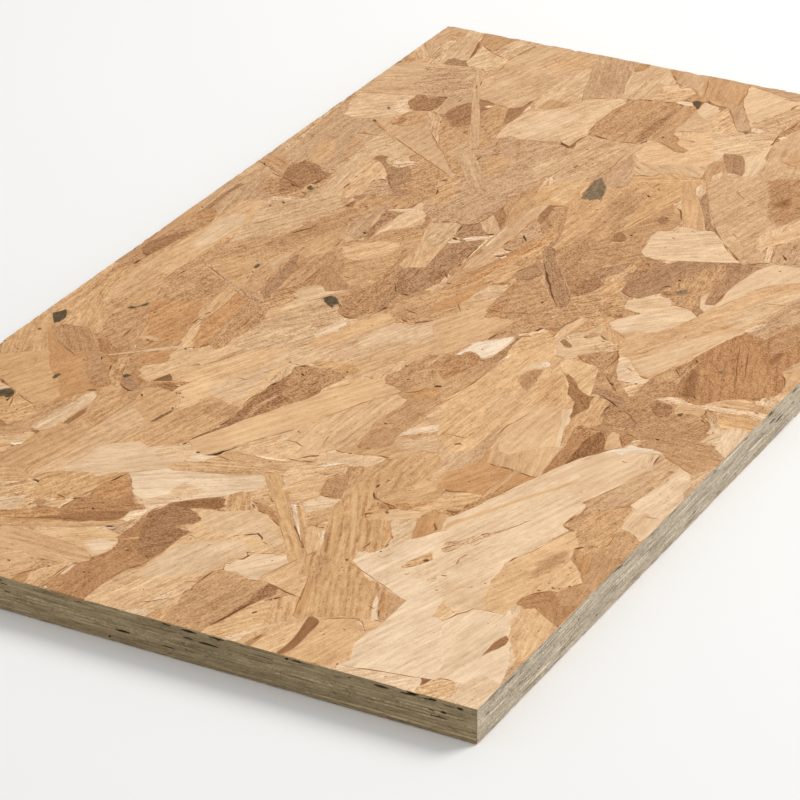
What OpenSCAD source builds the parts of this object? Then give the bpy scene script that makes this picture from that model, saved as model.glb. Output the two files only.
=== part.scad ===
// Oriented strand board panel: a flat sheet of pressed wood strands,
// sawn square on all four edges. One solid piece.
// Frame: origin at the middle of the underside, +X along the length,
// +Y across the width, +Z up through the thickness. Millimetres.

/* [Panel] */
// Length of the panel, along the main run of the face strands
panel_length = 685; // [200:1:2440]
// Width of the panel, across the main run of the face strands
panel_width = 380; // [100:1:1220]
// Thickness of the pressed board
panel_thickness = 18; // [6:1:28]

/* [Hidden] */

// The board is cut from a larger pressed sheet, so its section is a plain
// rectangle with sharp sawn arrises and no tongue, groove or bevel.
module sawn_section(width, thickness) {
    translate([-width / 2, 0])
        square([width, thickness]);
}

module osb_panel() {
    color([0.80, 0.63, 0.43])
        translate([-panel_length / 2, 0, 0])
            rotate([90, 0, 90])
                linear_extrude(height = panel_length)
                    sawn_section(panel_width, panel_thickness);
}

osb_panel();
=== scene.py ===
import math

import bpy
import numpy as np
from mathutils import Matrix, Vector
from mathutils.geometry import delaunay_2d_cdt


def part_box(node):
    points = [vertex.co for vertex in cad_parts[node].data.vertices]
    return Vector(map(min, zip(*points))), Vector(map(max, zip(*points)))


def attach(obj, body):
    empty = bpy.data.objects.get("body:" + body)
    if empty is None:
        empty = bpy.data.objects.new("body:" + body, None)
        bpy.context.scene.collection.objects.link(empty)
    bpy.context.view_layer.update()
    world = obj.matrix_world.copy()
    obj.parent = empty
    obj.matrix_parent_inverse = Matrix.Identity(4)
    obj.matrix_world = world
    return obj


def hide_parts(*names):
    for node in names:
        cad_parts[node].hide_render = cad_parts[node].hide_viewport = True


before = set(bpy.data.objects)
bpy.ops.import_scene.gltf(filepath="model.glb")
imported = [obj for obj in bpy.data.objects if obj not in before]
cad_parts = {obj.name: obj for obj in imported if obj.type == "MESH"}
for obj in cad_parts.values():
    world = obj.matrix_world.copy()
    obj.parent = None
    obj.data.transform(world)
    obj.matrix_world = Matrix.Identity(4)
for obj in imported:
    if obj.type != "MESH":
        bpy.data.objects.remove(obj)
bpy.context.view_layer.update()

LO, HI = [np.array(c, float) * 1000.0 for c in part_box("osb_panel")]
X0, Y0, Z0 = LO
X1, Y1, Z1 = HI

# The panel is worked out in millimetres and turned into metres at the end.
# A board face is an arrangement of wood strands pressed flat, painted from
# the lowest to the topmost one. Every strand that shows has its own outline
# in the mesh, with a small shoulder inside it, its own height, its own tone
# and its own grain direction.


def lin(r, g, b):
    """Linear colour of an 8-bit display colour."""
    c = np.array([r, g, b], float) / 255.0
    return np.where(c <= 0.04045, c / 12.92, ((c + 0.055) / 1.055) ** 2.4)


TONES = {
    "A": lin(233, 201.5, 167),      # white sapwood
    "B": lin(227.5, 194, 158),      # cream
    "C": lin(224, 188, 150),        # pale cream
    "D": lin(223, 184, 142),        # pale yellow
    "E": lin(215, 178, 140),        # light beige
    "F": lin(216, 175, 132),        # light honey
    "G": lin(208.5, 170, 131.5),    # beige
    "H": lin(210, 166.5, 122.5),    # honey
    "I": lin(199, 160.5, 124),      # grey tan
    "J": lin(201, 158, 116),        # tan
    "L": lin(196, 152, 111),        # warm tan
    "N": lin(188, 143.5, 103.5),    # brown
    "O": lin(176, 135, 100),        # grey brown
    "P": lin(184, 136, 94),         # russet
    "R": lin(168, 124.5, 87.5),     # dark brown, also strips of painted shadow below raised strands
    "T": lin(155.5, 110.5, 72),     # darkest brown, also strips of painted shadow below raised strands
    "Q": lin(237, 208, 175.7),      # chalky sapwood
    "U": lin(242.3, 220, 196.2),    # bleached white
    "V": lin(100.4, 78.5, 53.4),    # stained bark brown
    "X": lin(200.5, 151.4, 104.6),  # golden warm tan
    "Y": lin(137.7, 102.3, 67.2),   # umber
    "Z": lin(164.9, 118.5, 79.4),   # golden dark brown
    "a": lin(187.2, 139.9, 98),     # golden brown
    "b": lin(213.6, 169.8, 123.4),  # golden beige
    "c": lin(227.2, 187.4, 143.1),  # light pale yellow
    "d": lin(222.9, 181, 135.5),    # golden pale yellow
    "S": lin(122, 84, 55),          # deep crevice, dark as painted shade
    "M": lin(134, 113, 87),         # weathered grey green
    "K": lin(97, 81, 57),           # bark
    "W": lin(238, 208, 178),        # bleached sliver
}


class Strand:
    """One strand: outline, shoulder, height, tilt, tone, grain and figure."""

    def __init__(self, pts, grain, tone, z, delta=0.8, rim=0.6, fig=(0.3, 0.5, 1.0), tilt=(0.0, 0.0), shift=(0.0, 0.0)):
        pts = np.asarray(pts, float)
        area = 0.5 * np.sum(pts[:, 0] * np.roll(pts[:, 1], -1) - np.roll(pts[:, 0], -1) * pts[:, 1])
        self.out = pts if area > 0 else pts[::-1].copy()
        step = np.roll(pts, -1, 0) - pts
        # The shoulder is never wider than a good part of a narrow strand.
        delta = min(delta, 0.42 * abs(area) * 2.0 / max(np.hypot(step[:, 0], step[:, 1]).sum(), 1e-6))
        self.delta = max(delta, 0.06)
        self.ins = inset(self.out, self.delta)
        self.z = z
        self.mid = self.out.mean(0)
        self.grain = grain
        self.tone = np.asarray(tone, float)
        # rim: how much painted shade darkens the outline, partly real grime in the joint.
        self.rim = rim
        self.fig = fig
        self.tilt = np.asarray(tilt, float)
        self.shift = shift
        self.lo = self.out.min(0)
        self.hi = self.out.max(0)

    def level(self, p):
        return np.minimum(self.z + (p - self.mid) @ self.tilt, 0.0)


def inset(p, d):
    e = np.roll(p, -1, 0) - p
    n = np.stack([-e[:, 1], e[:, 0]], -1)
    n /= np.maximum(np.hypot(n[:, 0], n[:, 1]), 1e-9)[:, None]
    m = n + np.roll(n, 1, 0)
    k = np.maximum(np.hypot(m[:, 0], m[:, 1]), 0.9)
    return p + m * (2.0 * d / k / k)[:, None]


def roughen(pts, grain, rng, fray=0.8, wave=0.3, pitch=1.7, run=9.0):
    """Outline with torn ends across the grain and slightly wandering sides along it."""
    pts = np.asarray(pts, float)
    g = np.array([math.cos(grain), math.sin(grain)])
    out = []
    n = len(pts)
    for i in range(n):
        p, q = pts[i], pts[(i + 1) % n]
        e = q - p
        ln = float(np.hypot(e[0], e[1]))
        if ln < 1e-6:
            continue
        across = abs(e[0] * g[1] - e[1] * g[0]) / ln
        out.append(p)
        if across > 0.55:
            k = max(1, int(ln / pitch))
            if k < 2:
                continue
            t = (np.arange(1, k) + rng.uniform(-0.3, 0.3, k - 1)) / k
            off = rng.uniform(-1, 1, k - 1) * fray * min(1.0, ln / 9.0)
            big = rng.random(k - 1) < 0.12
            off = off + big * rng.uniform(-2.2, 2.2, k - 1) * fray
            out.extend(p + e * t[:, None] + g * off[:, None])
        else:
            k = max(1, int(ln / run))
            if k < 2:
                continue
            t = (np.arange(1, k) + rng.uniform(-0.3, 0.3, k - 1)) / k
            nrm = np.array([-e[1], e[0]]) / ln
            off = rng.normal(0, wave, k - 1)
            out.extend(p + e * t[:, None] + nrm * off[:, None])
    return np.array(out)


def inside(px, py, poly):
    """Which points lie in a polygon."""
    x1, y1 = poly[:, 0], poly[:, 1]
    x2, y2 = np.roll(x1, -1), np.roll(y1, -1)
    dy = np.where(np.abs(y2 - y1) < 1e-12, 1e-12, y2 - y1)
    cross = (y1[None, :] > py[:, None]) != (y2[None, :] > py[:, None])
    xi = x1 + (py[:, None] - y1) * (x2 - x1) / dy
    return (np.sum(cross & (px[:, None] < xi), axis=1) % 2) == 1


def rim_distance(p, poly):
    """Distance from points to a polygon's outline."""
    a = poly
    d = np.roll(poly, -1, 0) - a
    l2 = np.maximum((d * d).sum(1), 1e-12)
    r = p[:, None, :] - a[None]
    t = np.clip((r * d[None]).sum(-1) / l2, 0, 1)
    q = r - t[..., None] * d[None]
    return np.sqrt((q * q).sum(-1).min(1))


def raster(strands, lo, hi, step):
    """Number of the topmost strand in each cell of a fine grid."""
    w = int(math.ceil((hi[0] - lo[0]) / step))
    h = int(math.ceil((hi[1] - lo[1]) / step))
    ids = np.full((h, w), -1, np.int32)
    for i, s in enumerate(strands):
        c0 = max(0, int((s.lo[0] - lo[0]) / step) - 1)
        c1 = min(w, int((s.hi[0] - lo[0]) / step) + 2)
        r0 = max(0, int((s.lo[1] - lo[1]) / step) - 1)
        r1 = min(h, int((s.hi[1] - lo[1]) / step) + 2)
        if c1 <= c0 or r1 <= r0:
            continue
        toggle = np.zeros((r1 - r0, c1 - c0 + 1), np.int32)
        p = (s.out - lo) / step - 0.5
        q = np.roll(p, -1, 0)
        for (xa, ya), (xb, yb) in zip(p, q):
            if ya == yb:
                continue
            if ya > yb:
                xa, ya, xb, yb = xb, yb, xa, ya
            ra = max(r0, int(math.ceil(ya)))
            rb = min(r1, int(math.ceil(yb)))
            if rb <= ra:
                continue
            rows = np.arange(ra, rb)
            xs = xa + (rows - ya) * (xb - xa) / (yb - ya)
            cols = np.clip(np.ceil(xs).astype(int), c0, c1) - c0
            np.add.at(toggle, (rows - r0, cols), 1)
        mask = (np.cumsum(toggle, 1)[:, :-1] % 2) == 1
        ids[r0:r1, c0:c1][mask] = i
    return ids


def arrange(strands, lo, hi, border, base, step=0.5, floor=-0.9):
    """Triangles of a face: points, triangles, strand of each triangle, heights, tones.

    border is a closed list of points round the face. A strand's tone and
    height rise over its shoulder, so that neighbours run into each other.
    """
    lo = np.asarray(lo, float)
    hi = np.asarray(hi, float)
    ids = raster(strands, lo, hi, step)
    h, w = ids.shape

    def seen(p, i):
        c = ((p[:, 0] - lo[0]) / step).astype(int)
        r = ((p[:, 1] - lo[1]) / step).astype(int)
        hit = np.zeros(len(p), bool)
        for dr in (-1, 0, 1):
            for dc in (-1, 0, 1):
                rr, cc = r + dr, c + dc
                ok = (rr >= 0) & (rr < h) & (cc >= 0) & (cc < w)
                hit[ok] |= ids[rr[ok], cc[ok]] == i
        return hit

    verts = [tuple(p) for p in border]
    nb = len(verts)
    edges = [(i, (i + 1) % nb) for i in range(nb)]
    for i, s in enumerate(strands):
        for loop in (s.out, s.ins):
            nxt = np.roll(loop, -1, 0)
            v = seen(loop, i)
            keep = v | np.roll(v, -1) | seen(0.5 * (loop + nxt), i)
            if not keep.any():
                continue
            index = {}
            m = len(loop)
            for a in np.nonzero(keep)[0]:
                b = (a + 1) % m
                for k in (a, b):
                    if k not in index:
                        index[k] = len(verts)
                        verts.append((loop[k, 0], loop[k, 1]))
                edges.append((index[a], index[b]))
    got = delaunay_2d_cdt([Vector(v) for v in verts], edges, [], 0, 1e-4)
    V = np.array([(v[0], v[1]) for v in got[0]], float)
    F = np.array([f for f in got[2] if len(f) == 3], int)
    a, b, c = V[F[:, 0]], V[F[:, 1]], V[F[:, 2]]
    area = 0.5 * ((b[:, 0] - a[:, 0]) * (c[:, 1] - a[:, 1]) - (c[:, 0] - a[:, 0]) * (b[:, 1] - a[:, 1]))
    F[area < 0] = F[area < 0][:, ::-1]
    mid = (a + b + c) / 3.0
    ok = inside(mid[:, 0], mid[:, 1], np.asarray(border, float)) if nb < 60 else inside_many(mid, np.asarray(border, float))
    F, mid = F[ok], mid[ok]

    used, F = np.unique(F, return_inverse=True)
    V, F = V[used], F.reshape(-1, 3)

    fid = np.full(len(F), -1, int)
    H = np.full(len(V), floor, float)
    T = np.tile(np.asarray(base, float), (len(V), 1))
    for i, s in enumerate(strands):
        k = np.nonzero((mid[:, 0] > s.lo[0]) & (mid[:, 0] < s.hi[0]) & (mid[:, 1] > s.lo[1]) & (mid[:, 1] < s.hi[1]))[0]
        if len(k):
            fid[k[inside(mid[k, 0], mid[k, 1], s.out)]] = i
        k = np.nonzero((V[:, 0] > s.lo[0]) & (V[:, 0] < s.hi[0]) & (V[:, 1] > s.lo[1]) & (V[:, 1] < s.hi[1]))[0]
        if len(k):
            k = k[inside(V[k, 0], V[k, 1], s.out)]
            if len(k):
                d = np.clip(rim_distance(V[k], s.out) / s.delta, 0, 1)
                H[k] += (s.level(V[k]) - H[k]) * d
                T[k] += (s.tone - T[k]) * d[:, None]
    return V, F, fid, H, T


def inside_many(p, poly):
    res = np.zeros(len(p), bool)
    for k in range(0, len(p), 4000):
        res[k:k + 4000] = inside(p[k:k + 4000, 0], p[k:k + 4000, 1], poly)
    return res


def rims(V, F, fid, strands):
    """1 at a strand's own outline, 0 at its shoulder, for each corner of each triangle, times the strand's rim: a
    painted shade line along the outline, partly real grime in the joint.
    """
    rim = np.zeros(F.shape)
    for i in np.unique(fid):
        if i < 0:
            continue
        s = strands[i]
        t = np.nonzero(fid == i)[0]
        u, inv = np.unique(F[t].ravel(), return_inverse=True)
        d = 1.0 - np.clip(rim_distance(V[u], s.out) / s.delta, 0, 1)
        rim[t] = (d[inv] * s.rim).reshape(-1, 3)
    return rim


# ---------------------------------------------------------------- strands

def spread(tone, rng, amount=0.05):
    """A little variation within a tone: lighter to darker, the dark side warmer."""
    k = rng.normal(0, amount)
    return tone * np.exp(k * np.array([1.0, 1.35, 1.7]))


def blank(length, width, rng):
    """Outline of a strand lying along X, centred, with tapered or slanted ends."""
    a, b = 0.5 * length, 0.5 * width
    s1, s2 = rng.uniform(-0.6, 0.6, 2) * width
    w1, w2 = b * rng.uniform(0.45, 1.0, 2)
    kind = rng.random()
    if kind < 0.25:
        w1 = b * rng.uniform(0.05, 0.3)
    if kind > 0.85:
        w2 = b * rng.uniform(0.05, 0.3)
    bow = rng.normal(0, 0.04) * width
    return np.array([
        (-a + s1, -w1), (-0.3 * a, -b + bow), (0.35 * a, -b * rng.uniform(0.8, 1.05) + bow), (a + s2, -w2),
        (a - s2 * 0.4, w2), (0.3 * a, b + bow), (-0.35 * a, b * rng.uniform(0.8, 1.05) + bow), (-a - s1 * 0.4, w1)])


def turned(p, ang, at):
    c, s = math.cos(ang), math.sin(ang)
    return p @ np.array([[c, s], [-s, c]]) + np.asarray(at)


def filler(rng, lo, hi, count, zlo, zhi, tones, weights, lean=0.28, crossed=0.15, pitch=1.7, run=9.0):
    """Strands scattered evenly over a face, mostly along X, as the mill lays them."""
    lo, hi = np.asarray(lo, float), np.asarray(hi, float)
    size = hi - lo
    res = []
    # A shuffled low-discrepancy row of places gives even cover without a visible grid.
    n = np.arange(count)
    place = np.stack([(n * 0.7548776662 + rng.random()) % 1.0, (n * 0.5698402910 + rng.random()) % 1.0], -1)
    place = place[rng.permutation(count)]
    for i in range(count):
        length = float(np.clip(rng.lognormal(math.log(86), 0.38), 30, 165))
        width = float(np.clip(rng.lognormal(math.log(20), 0.5), 5, 48))
        ang = rng.normal(0, lean)
        if rng.random() < crossed:
            ang = rng.uniform(-math.pi / 2, math.pi / 2)
            length *= 0.75
        at = lo - 15 + (size + 30) * place[i]
        z = zlo + (zhi - zlo) * (i + rng.random()) / count
        tone = spread(TONES[rng.choice(tones, p=weights)], rng, 0.03)
        pts = roughen(turned(blank(length, width, rng), ang, at), ang, rng, pitch=pitch, run=run)
        res.append(Strand(
            pts, ang, tone, z, delta=rng.uniform(0.4, 0.9), rim=rng.choice([0.0, 0.25, 0.6], p=[0.5, 0.3, 0.2]),
            fig=(rng.choice([0.1, 0.35, 0.9], p=[0.5, 0.33, 0.17]), rng.uniform(0.6, 1.3), rng.uniform(0.6, 1.6)),
            tilt=rng.normal(0, 0.0008, 2), shift=rng.uniform(-400, 400, 2)))
    return res


MIX = (["A", "B", "C", "D", "E", "F", "G", "H", "I", "J", "L", "N", "O", "P", "R", "T"],
       [0.03, 0.05, 0.07, 0.09, 0.08, 0.09, 0.09, 0.11, 0.05, 0.09, 0.10, 0.07, 0.03, 0.03, 0.015, 0.005])

# Strands of the upper face, from the lowest to the topmost one: tone, grain
# direction in degrees, and outline in millimetres from the panel's middle.
# A row marked ! is a crevice: its width, and the line that it follows.
# A crevice row's dark tone is painted shade in the split, partly real grime; its dark option picks how deep and how
# dark.
# Some dark rows (R, T) are strips of painted shadow below raised strands.
UPPER = [
    ("E", 5, (-117,-160, -97,-161, -100,-170, -108,-186, -108,-191, -120,-191, -120,-170)),
    ("D", 0, (-170,3, -150,6, -130,0, -113,-8, -96,-14, -98,-26, -113,-27, -135,-25, -154,-26, -156,-20, -166,-16, -172,-6), {"speck": 0.75}),
    ("I", 6, (113,178, 150,184, 190,190, 215,188, 200,170, 195,150, 160,146, 125,148, 118,165), {"speck": 1.35}),
    ("F", 12, (246,98, 248,110, 250,121, 268,129, 290,130, 312,131, 345,133, 345,92, 300,90, 262,92), {"rim": 0.3, "speck": 1.2}),
    ("H", 3, (-118,191, -60,191, 5,191, 5,150, -30,150, -60,148, -90,142, -112,150, -120,172), {"speck": 1.5}),
    ("F", -4, (-117,-41, -100,-42, -88,-45, -70,-48, -50,-50, -20,-50, -8,-60, -40,-74, -75,-85, -117,-82, -125,-60), {"speck": 0.9}),
    ("E", -3, (-5,-58, 30,-58, 55,-54, 60,-70, 30,-82, 0,-90, -8,-76)),
    ("G", -3, (-5,191, 120,191, 115,172, 60,160, 20,172, -5,175), {"speck": 1.06}),
    ("C", 30, (206,0, 240,0, 262,-2, 290,0, 300,-12, 290,-24, 276,-34, 262,-40, 240,-38, 214,-44)),
    ("G", -10, (-343,55, -328,63, -318,68, -316,40, -330,42, -343,42), {"speck": 1.35}),
    ("H", 8, (113,3, 150,3, 154,-4, 140,-9, 113,-12)),
    ("G", 14, (248,97, 262,100, 300,102, 345,102, 345,84, 320,80, 280,78, 256,86), {"speck": 1.35}),
    ("H", -6, (-262,98, -200,100, -150,100, -140,92, -150,82, -156,73, -170,74, -188,77, -210,80, -232,86, -262,64), {"speck": 1.2}),
    ("L", 10, (113,98, 150,98, 148,86, 140,80, 125,80, 113,82), {"speck": 1.35}),
    ("b", 5, (-262,98, -232,130, -215,142, -190,158, -160,150, -140,130, -140,112, -150,100, -200,100), {"speck": 1.2}),
    ("F", -8, (-343,-50, -336,-52, -308,-60, -302,-62, -303,-68, -330,-70, -343,-62), {"speck": 1.35}),
    ("L", 5, (53,-98, 62,-92, 80,-88, 108,-90, 112,-98, 117,-104, 125,-120, 100,-118, 80,-112, 66,-110, 52,-109), {"band": 0.6, "speck": 1.35}),
    ("F", 5, (-117,-163, -98,-163, -102,-172, -117,-175)),
    ("d", 5, (-343,-168, -225,-158, -225,-191, -343,-191), {"speck": 0.68}),
    ("N", 5, (-5,98, 30,98, 45,94, 30,91, 0,89, -10,94), {"speck": 1.2}),
    ("L", 0, (-166,-16, -157,-18, -154,-25, -136,-25, -113,-26, -98,-25, -95,-40, -115,-41, -140,-40, -150,-50, -162,-48, -168,-30), {"speck": 1.05}),
    ("G", 5, (112,191, 160,191, 200,191, 180,188, 150,184, 118,178, 112,182), {"speck": 0.76}),
    ("E", 12, (309,119, 312,130, 345,132, 345,110, 330,104, 310,106), {"rim": 0.3, "speck": 1.05}),
    ("I", 12, (96,-96, 118,-104, 134,-112, 160,-104, 176,-110, 186,-116, 160,-128, 130,-140, 100,-150, 80,-130), {"speck": 1.35}),
    ("b", 8, (-100,176, -60,182, -20,178, 10,173, 45,171, 60,164, 52,152, 20,149, -20,151, -60,158, -105,160), {"speck": 1.59}),
    ("H", 0, (-3,-60, 10,-64, 30,-64, 42,-70, 40,-80, 20,-76, 5,-72, -3,-66), {"speck": 1.35}),
    ("I", 0, (-5,190, 40,190, 80,188, 60,185, 20,184, -5,185)),
    ("C", 25, (208,-4, 236,-6, 262,-10, 262,-24, 240,-32, 214,-38), {"rim": 0.1, "speck": 0.45}),
    ("J", 0, (-30,92, 0,96, 30,92, 20,84, 0,80, -30,84), {"speck": 1.05}),
    ("C", 20, (-118,-176, -104,-175, -108,-186, -104,-191, -118,-191)),
    ("J", 20, (-330,48, -320,50, -318,40, -328,43, -340,44), {"speck": 1.35}),
    ("H", 3, (113,-30, 140,-30, 175,-27, 207,-30, 205,-46, 180,-44, 150,-40, 124,-34), {"speck": 1.05}),
    ("E", 15, (262,89, 285,95, 318,96, 321,84, 310,78, 290,72, 276,66, 266,66, 258,74, 268,80), {"rim": 0.3, "speck": 1.2}),
    ("G", -7, (-232,98, -205,99, -175,100, -152,99, -150,88, -160,80, -172,76, -205,82, -232,88), {"speck": 1.05}),
    ("J", 25, (140,80, 150,98, 200,99, 212,92, 212,60, 190,58, 160,62, 140,64), {"band": 0.5, "speck": 1.35}),
    ("H", -3, (-160,-30, -150,-38, -130,-41, -112,-41, -110,-48, -125,-60, -150,-62, -162,-48), {"speck": 1.05}),
    ("C", 10, (140,190, 148,190, 146,184, 134,183)),
    ("d", -5, (-343,-60, -330,-69, -300,-66, -294,-71, -296,-76, -311,-80, -308,-89, -343,-90), {"speck": 0.83}),
    ("H", 20, (-113,170, -95,172, -75,178, -62,175, -78,162, -100,155, -112,152), {"speck": 1.15}),
    ("L", -5, (0,-49, 20,-48, 45,-46, 55,-52, 52,-66, 40,-69, 30,-62, 10,-58, -4,-58), {"speck": 1.2}),
    ("R", 0, (-5,185, 30,184, 82,184, 84,180, 40,179, 0,180), {"speck": 1.15}),
    ("D", 18, (262,-14, 290,-13, 300,-16, 292,-23, 276,-33, 262,-30, 256,-24), {"rim": 0.2, "speck": 1.35}),
    ("L", 5, (-60,90, -35,92, -10,88, 10,90, 20,80, 0,68, -20,66, -40,76, -60,80), {"speck": 1.35}),
    ("F", 30, (14,78, 28,86, 36,94, 48,90, 60,82, 62,72, 52,62, 36,60, 20,66), {"speck": 1.2}),
    ("H", 22, (-240,-56, -232,-46, -215,-30, -206,-22, -195,-13, -200,-4, -208,-9, -232,-24, -240,-36), {"band": 0.8, "pitch": 1.1}),
    ("I", 7, (118,178, 140,181, 170,186, 200,189, 205,182, 190,176, 160,173, 130,172, 116,172), {"speck": 1.05}),
    ("G", -62, (231,190, 276,192, 283,180, 290,160, 290,149, 276,142, 246,139, 241,150, 233,170, 229,182), {"speck": 0.79}),
    ("N", -25, (-342,51, -335,50, -326,44, -322,41, -332,41, -342,43), {"speck": 1.2}),
    ("H", -5, (113,-32, 124,-34, 150,-40, 165,-41, 160,-50, 150,-58, 132,-52, 113,-50), {"speck": 0.75}),
    ("I", 8, (252,88, 263,89, 270,82, 268,71, 256,66, 252,76), {"rim": 0.15, "speck": 1.05}),
    ("L", 12, (56,-100, 80,-98, 100,-96, 90,-104, 70,-106, 54,-108), {"speck": 1.35}),
    ("G", -5, (-190,99, -150,100, -147,92, -154,86, -175,88, -190,93), {"speck": 0.9}),
    ("H", 20, (113,80, 124,80, 136,86, 146,80, 150,72, 140,66, 113,66), {"band": 0.5, "speck": 1.35}),
    ("H", -5, (-235,119, -205,116, -180,112, -150,114, -148,100, -180,99, -232,98, -250,104), {"speck": 0.9}),
    ("F", 4, (-70,164, -40,172, -10,173, 20,171, 30,160, 5,154, -30,158, -60,158), {"rim": 0.2, "speck": 0.9}),
    ("D", 2, (-110,-82, -84,-86, -74,-92, -78,-100, -95,-101, -110,-98), {"speck": 0.9}),
    ("O", 0, (-3,-49, 8,-52, 10,-58, -2,-58), {"speck": 1.35}),
    ("B", -20, (-343,-172, -328,-172, -316,-180, -320,-186, -328,-191, -343,-191), {"speck": 0.9}),
    ("F", 3, (42,62, 60,62, 88,68, 92,72, 70,76, 52,72, 46,66), {"speck": 1.35}),
    ("D", 40, (261,-2.5, 276,-1.5, 293,-1, 286,-8, 278,-15, 266,-17, 258,-8), {"speck": 0.9}),
    ("H", 35, (-236,-30, -226,-20, -212,-8, -202,-1, -200,-10, -212,-20, -232,-36), {"band": 0.8, "pitch": 1.3, "speck": 0.9}),
    ("E", -68, (262,191, 271,191, 276,170, 280,151, 273,151, 268,168), {"rim": 0.1, "speck": 0.9}),
    ("d", 5, (-331,-70, -318,-69, -303,-67, -296,-73, -311,-80, -320,-77, -340,-84), {"speck": 1.29}),
    ("F", -3, (-56,86, -40,89, -30,88, -28,82, -40,79, -52,80), {"speck": 1.35}),
    ("C", 8, (142,-112, 150,-103, 160,-104, 172,-110, 186,-112, 176,-117, 158,-122, 148,-118), {"rim": 0.2, "speck": 1.05}),
    ("F", 0, (-343,42, -318,42, -316,34, -343,35), {"speck": 1.35}),
    ("J", -10, (113,-40, 135,-38, 150,-40, 140,-50, 113,-51), {"speck": 1.2}),
    ("G", 22, (-110,191, -96,190, -98,186, -112,184)),
    ("d", 30, (-78,-80, -62,-76, -48,-74, -34,-70, -26,-76, -40,-82, -56,-92, -66,-98, -78,-98), {"speck": 1.05}),
    ("H", 30, (-5,-92, 4,-80, 14,-76, 30,-72, 36,-82, 30,-92, 10,-100, -6,-100), {"speck": 1.22}),
    ("H", -20, (-212,80, -188,77, -168,72, -145,63, -148,47, -155,41, -178,45, -192,49, -198,52, -201,64, -205,72), {"speck": 1.2}),
    ("P", 25, (32,172, 38,177, 44,178, 42,172)),
    ("L", 0, (90,98, 117,99, 130,92, 117,86, 100,84, 88,90), {"speck": 1.35}),
    ("J", 25, (-78,-158, -60,-152, -52,-160, -58,-170, -74,-172), {"speck": 1.35}),
    ("E", -70, (246,190, 260,190, 264,170, 268,152, 256,150, 250,168), {"rim": 0.05, "speck": 1.05}),
    ("L", -3, (-232,109, -205,104, -185,100, -150,98, -150,92, -190,96, -232,100), {"speck": 0.62}),
    ("D", 30, (252,-4, 260,-1.5, 262,-12, 268,-17, 256,-20, 246,-14), {"speck": 1.05}),
    ("N", 4, (62,-110, 80,-108, 100,-106, 117,-104, 125,-118, 112,-120, 90,-116, 70,-115, 62,-115.5), {"band": 0.4, "speck": 1.2}),
    ("D", -25, (-30,80, -24,85, -18,87, -12,82, -9,76, -15,71, -8,62, -12,62, -20,70, -30,74), {"speck": 1.05}),
    ("F", -85, (-100,-134, -90,-128, -84,-134, -86,-146, -98,-142), {"speck": 0.75}),
    ("R", -3, (-342,34, -316,33, -300,29, -285,27, -262,27, -255,24, -246,22, -238,14, -232,6, -244,0, -250,10, -268,1, -282,1, -300,4, -312,8, -325,11, -342,13), {"speck": 1.2}),
    ("D", 10, (-250,-167, -232,-166, -208,-167, -214,-176, -222,-180, -232,-176, -240,-173), {"speck": 1.35}),
    ("L", 10, (-33,191, 5,191, 45,188, 30,180, 5,176, -20,177, -34,180), {"speck": 1.35}),
    ("H", 30, (-4,-92, 6,-90, 14,-98, 4,-104, -10,-98), {"speck": 1.35}),
    ("F", 12, (320,85, 319,97, 345,98, 345,87, 330,84), {"speck": 1.05}),
    ("F", -5, (-225,-1, -207,-4, -204,-6, -214,-14, -222,-18, -228,-12), {"speck": 1.35}),
    ("G", -68, (280,187, 286,184, 290,166, 290,150, 285,158, 282,174), {"rim": 0.15}),
    ("I", 10, (44,180, 70,182, 95,178, 100,168, 92,158, 70,156, 56,160, 46,172), {"speck": 1.13}),
    ("A", -12, (-328,-171, -305,-171, -286,-177, -298,-186, -316,-187, -315,-181), {"speck": 0.75}),
    ("E", 12, (245,-34, 262,-31, 272,-31, 276,-40, 282,-48, 278,-56, 262,-52, 258,-46, 244,-44)),
    ("L", 5, (52,85, 58,90, 70,90, 86,91, 100,90, 108,84, 100,82, 84,83, 68,85), {"speck": 1.81}),
    ("N", 20, (-14,84, -2,90, 10,88, 16,76, 4,66, -8,62, -16,71), {"speck": 1.2}),
    ("B", -50, (-232,3, -206,1, -204,-2, -212,-9, -222,-5), {"speck": 0.75}),
    ("G", -5, (170,160, 180,160, 192,156, 186,148, 178,142, 172,146), {"speck": 1.35}),
    ("J", 8, (246,139, 262,144, 276,147, 290,150, 289,144, 281,140, 268,134, 256,131, 249,133), {"rim": 0.2, "speck": 1.35}),
    ("I", 2, (-5,152, 20,150, 44,148, 62,142, 80,140, 80,124, 50,118, 20,122, -5,128), {"speck": 1.35}),
    ("P", -4, (-342,33, -318,33, -300,26, -290,20, -300,12, -320,12, -342,14), {"speck": 1.05}),
    ("R", 0, (143,-44, 148,-43, 150,-47, 147,-50, 143,-48), {"rim": 0.0}),
    ("E", 8, (287,46, 300,50.5, 312,55, 328,58, 345,60, 345,44, 326,40, 308,42, 292,43), {"rim": 0.3, "speck": 1.35}),
    ("N", -85, (-96,-150, -88,-146, -82,-136, -78,-140, -78,-165, -80,-178, -84,-190, -108,-190, -109,-185, -102,-172, -96,-160), {"band": 0.5, "pitch": 0.8}),
    ("P", 33, (-232,-184, -220,-179, -210,-170, -198,-164.5, -192,-171, -196,-180, -205,-191, -232,-191), {"band": 0.6, "speck": 1.05}),
    ("E", 70, (260,-30, 268,-30, 276,-40, 280,-48, 276,-54, 262,-48, 262,-40), {"rim": 0.1, "speck": 0.9}),
    ("E", -15, (-216,-24, -208,-17, -196,-22, -186,-26, -180,-30, -196,-33, -212,-33, -222,-30), {"speck": 0.9}),
    ("F", 10, (170,110, 185,120, 205,128, 222,136, 220,150, 205,152, 195,158, 188,154, 176,140), {"speck": 0.59}),
    ("G", 5, (228,136, 240,138.5, 249,136, 258,131, 246,129.5, 228,129), {"speck": 0.75}),
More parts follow.
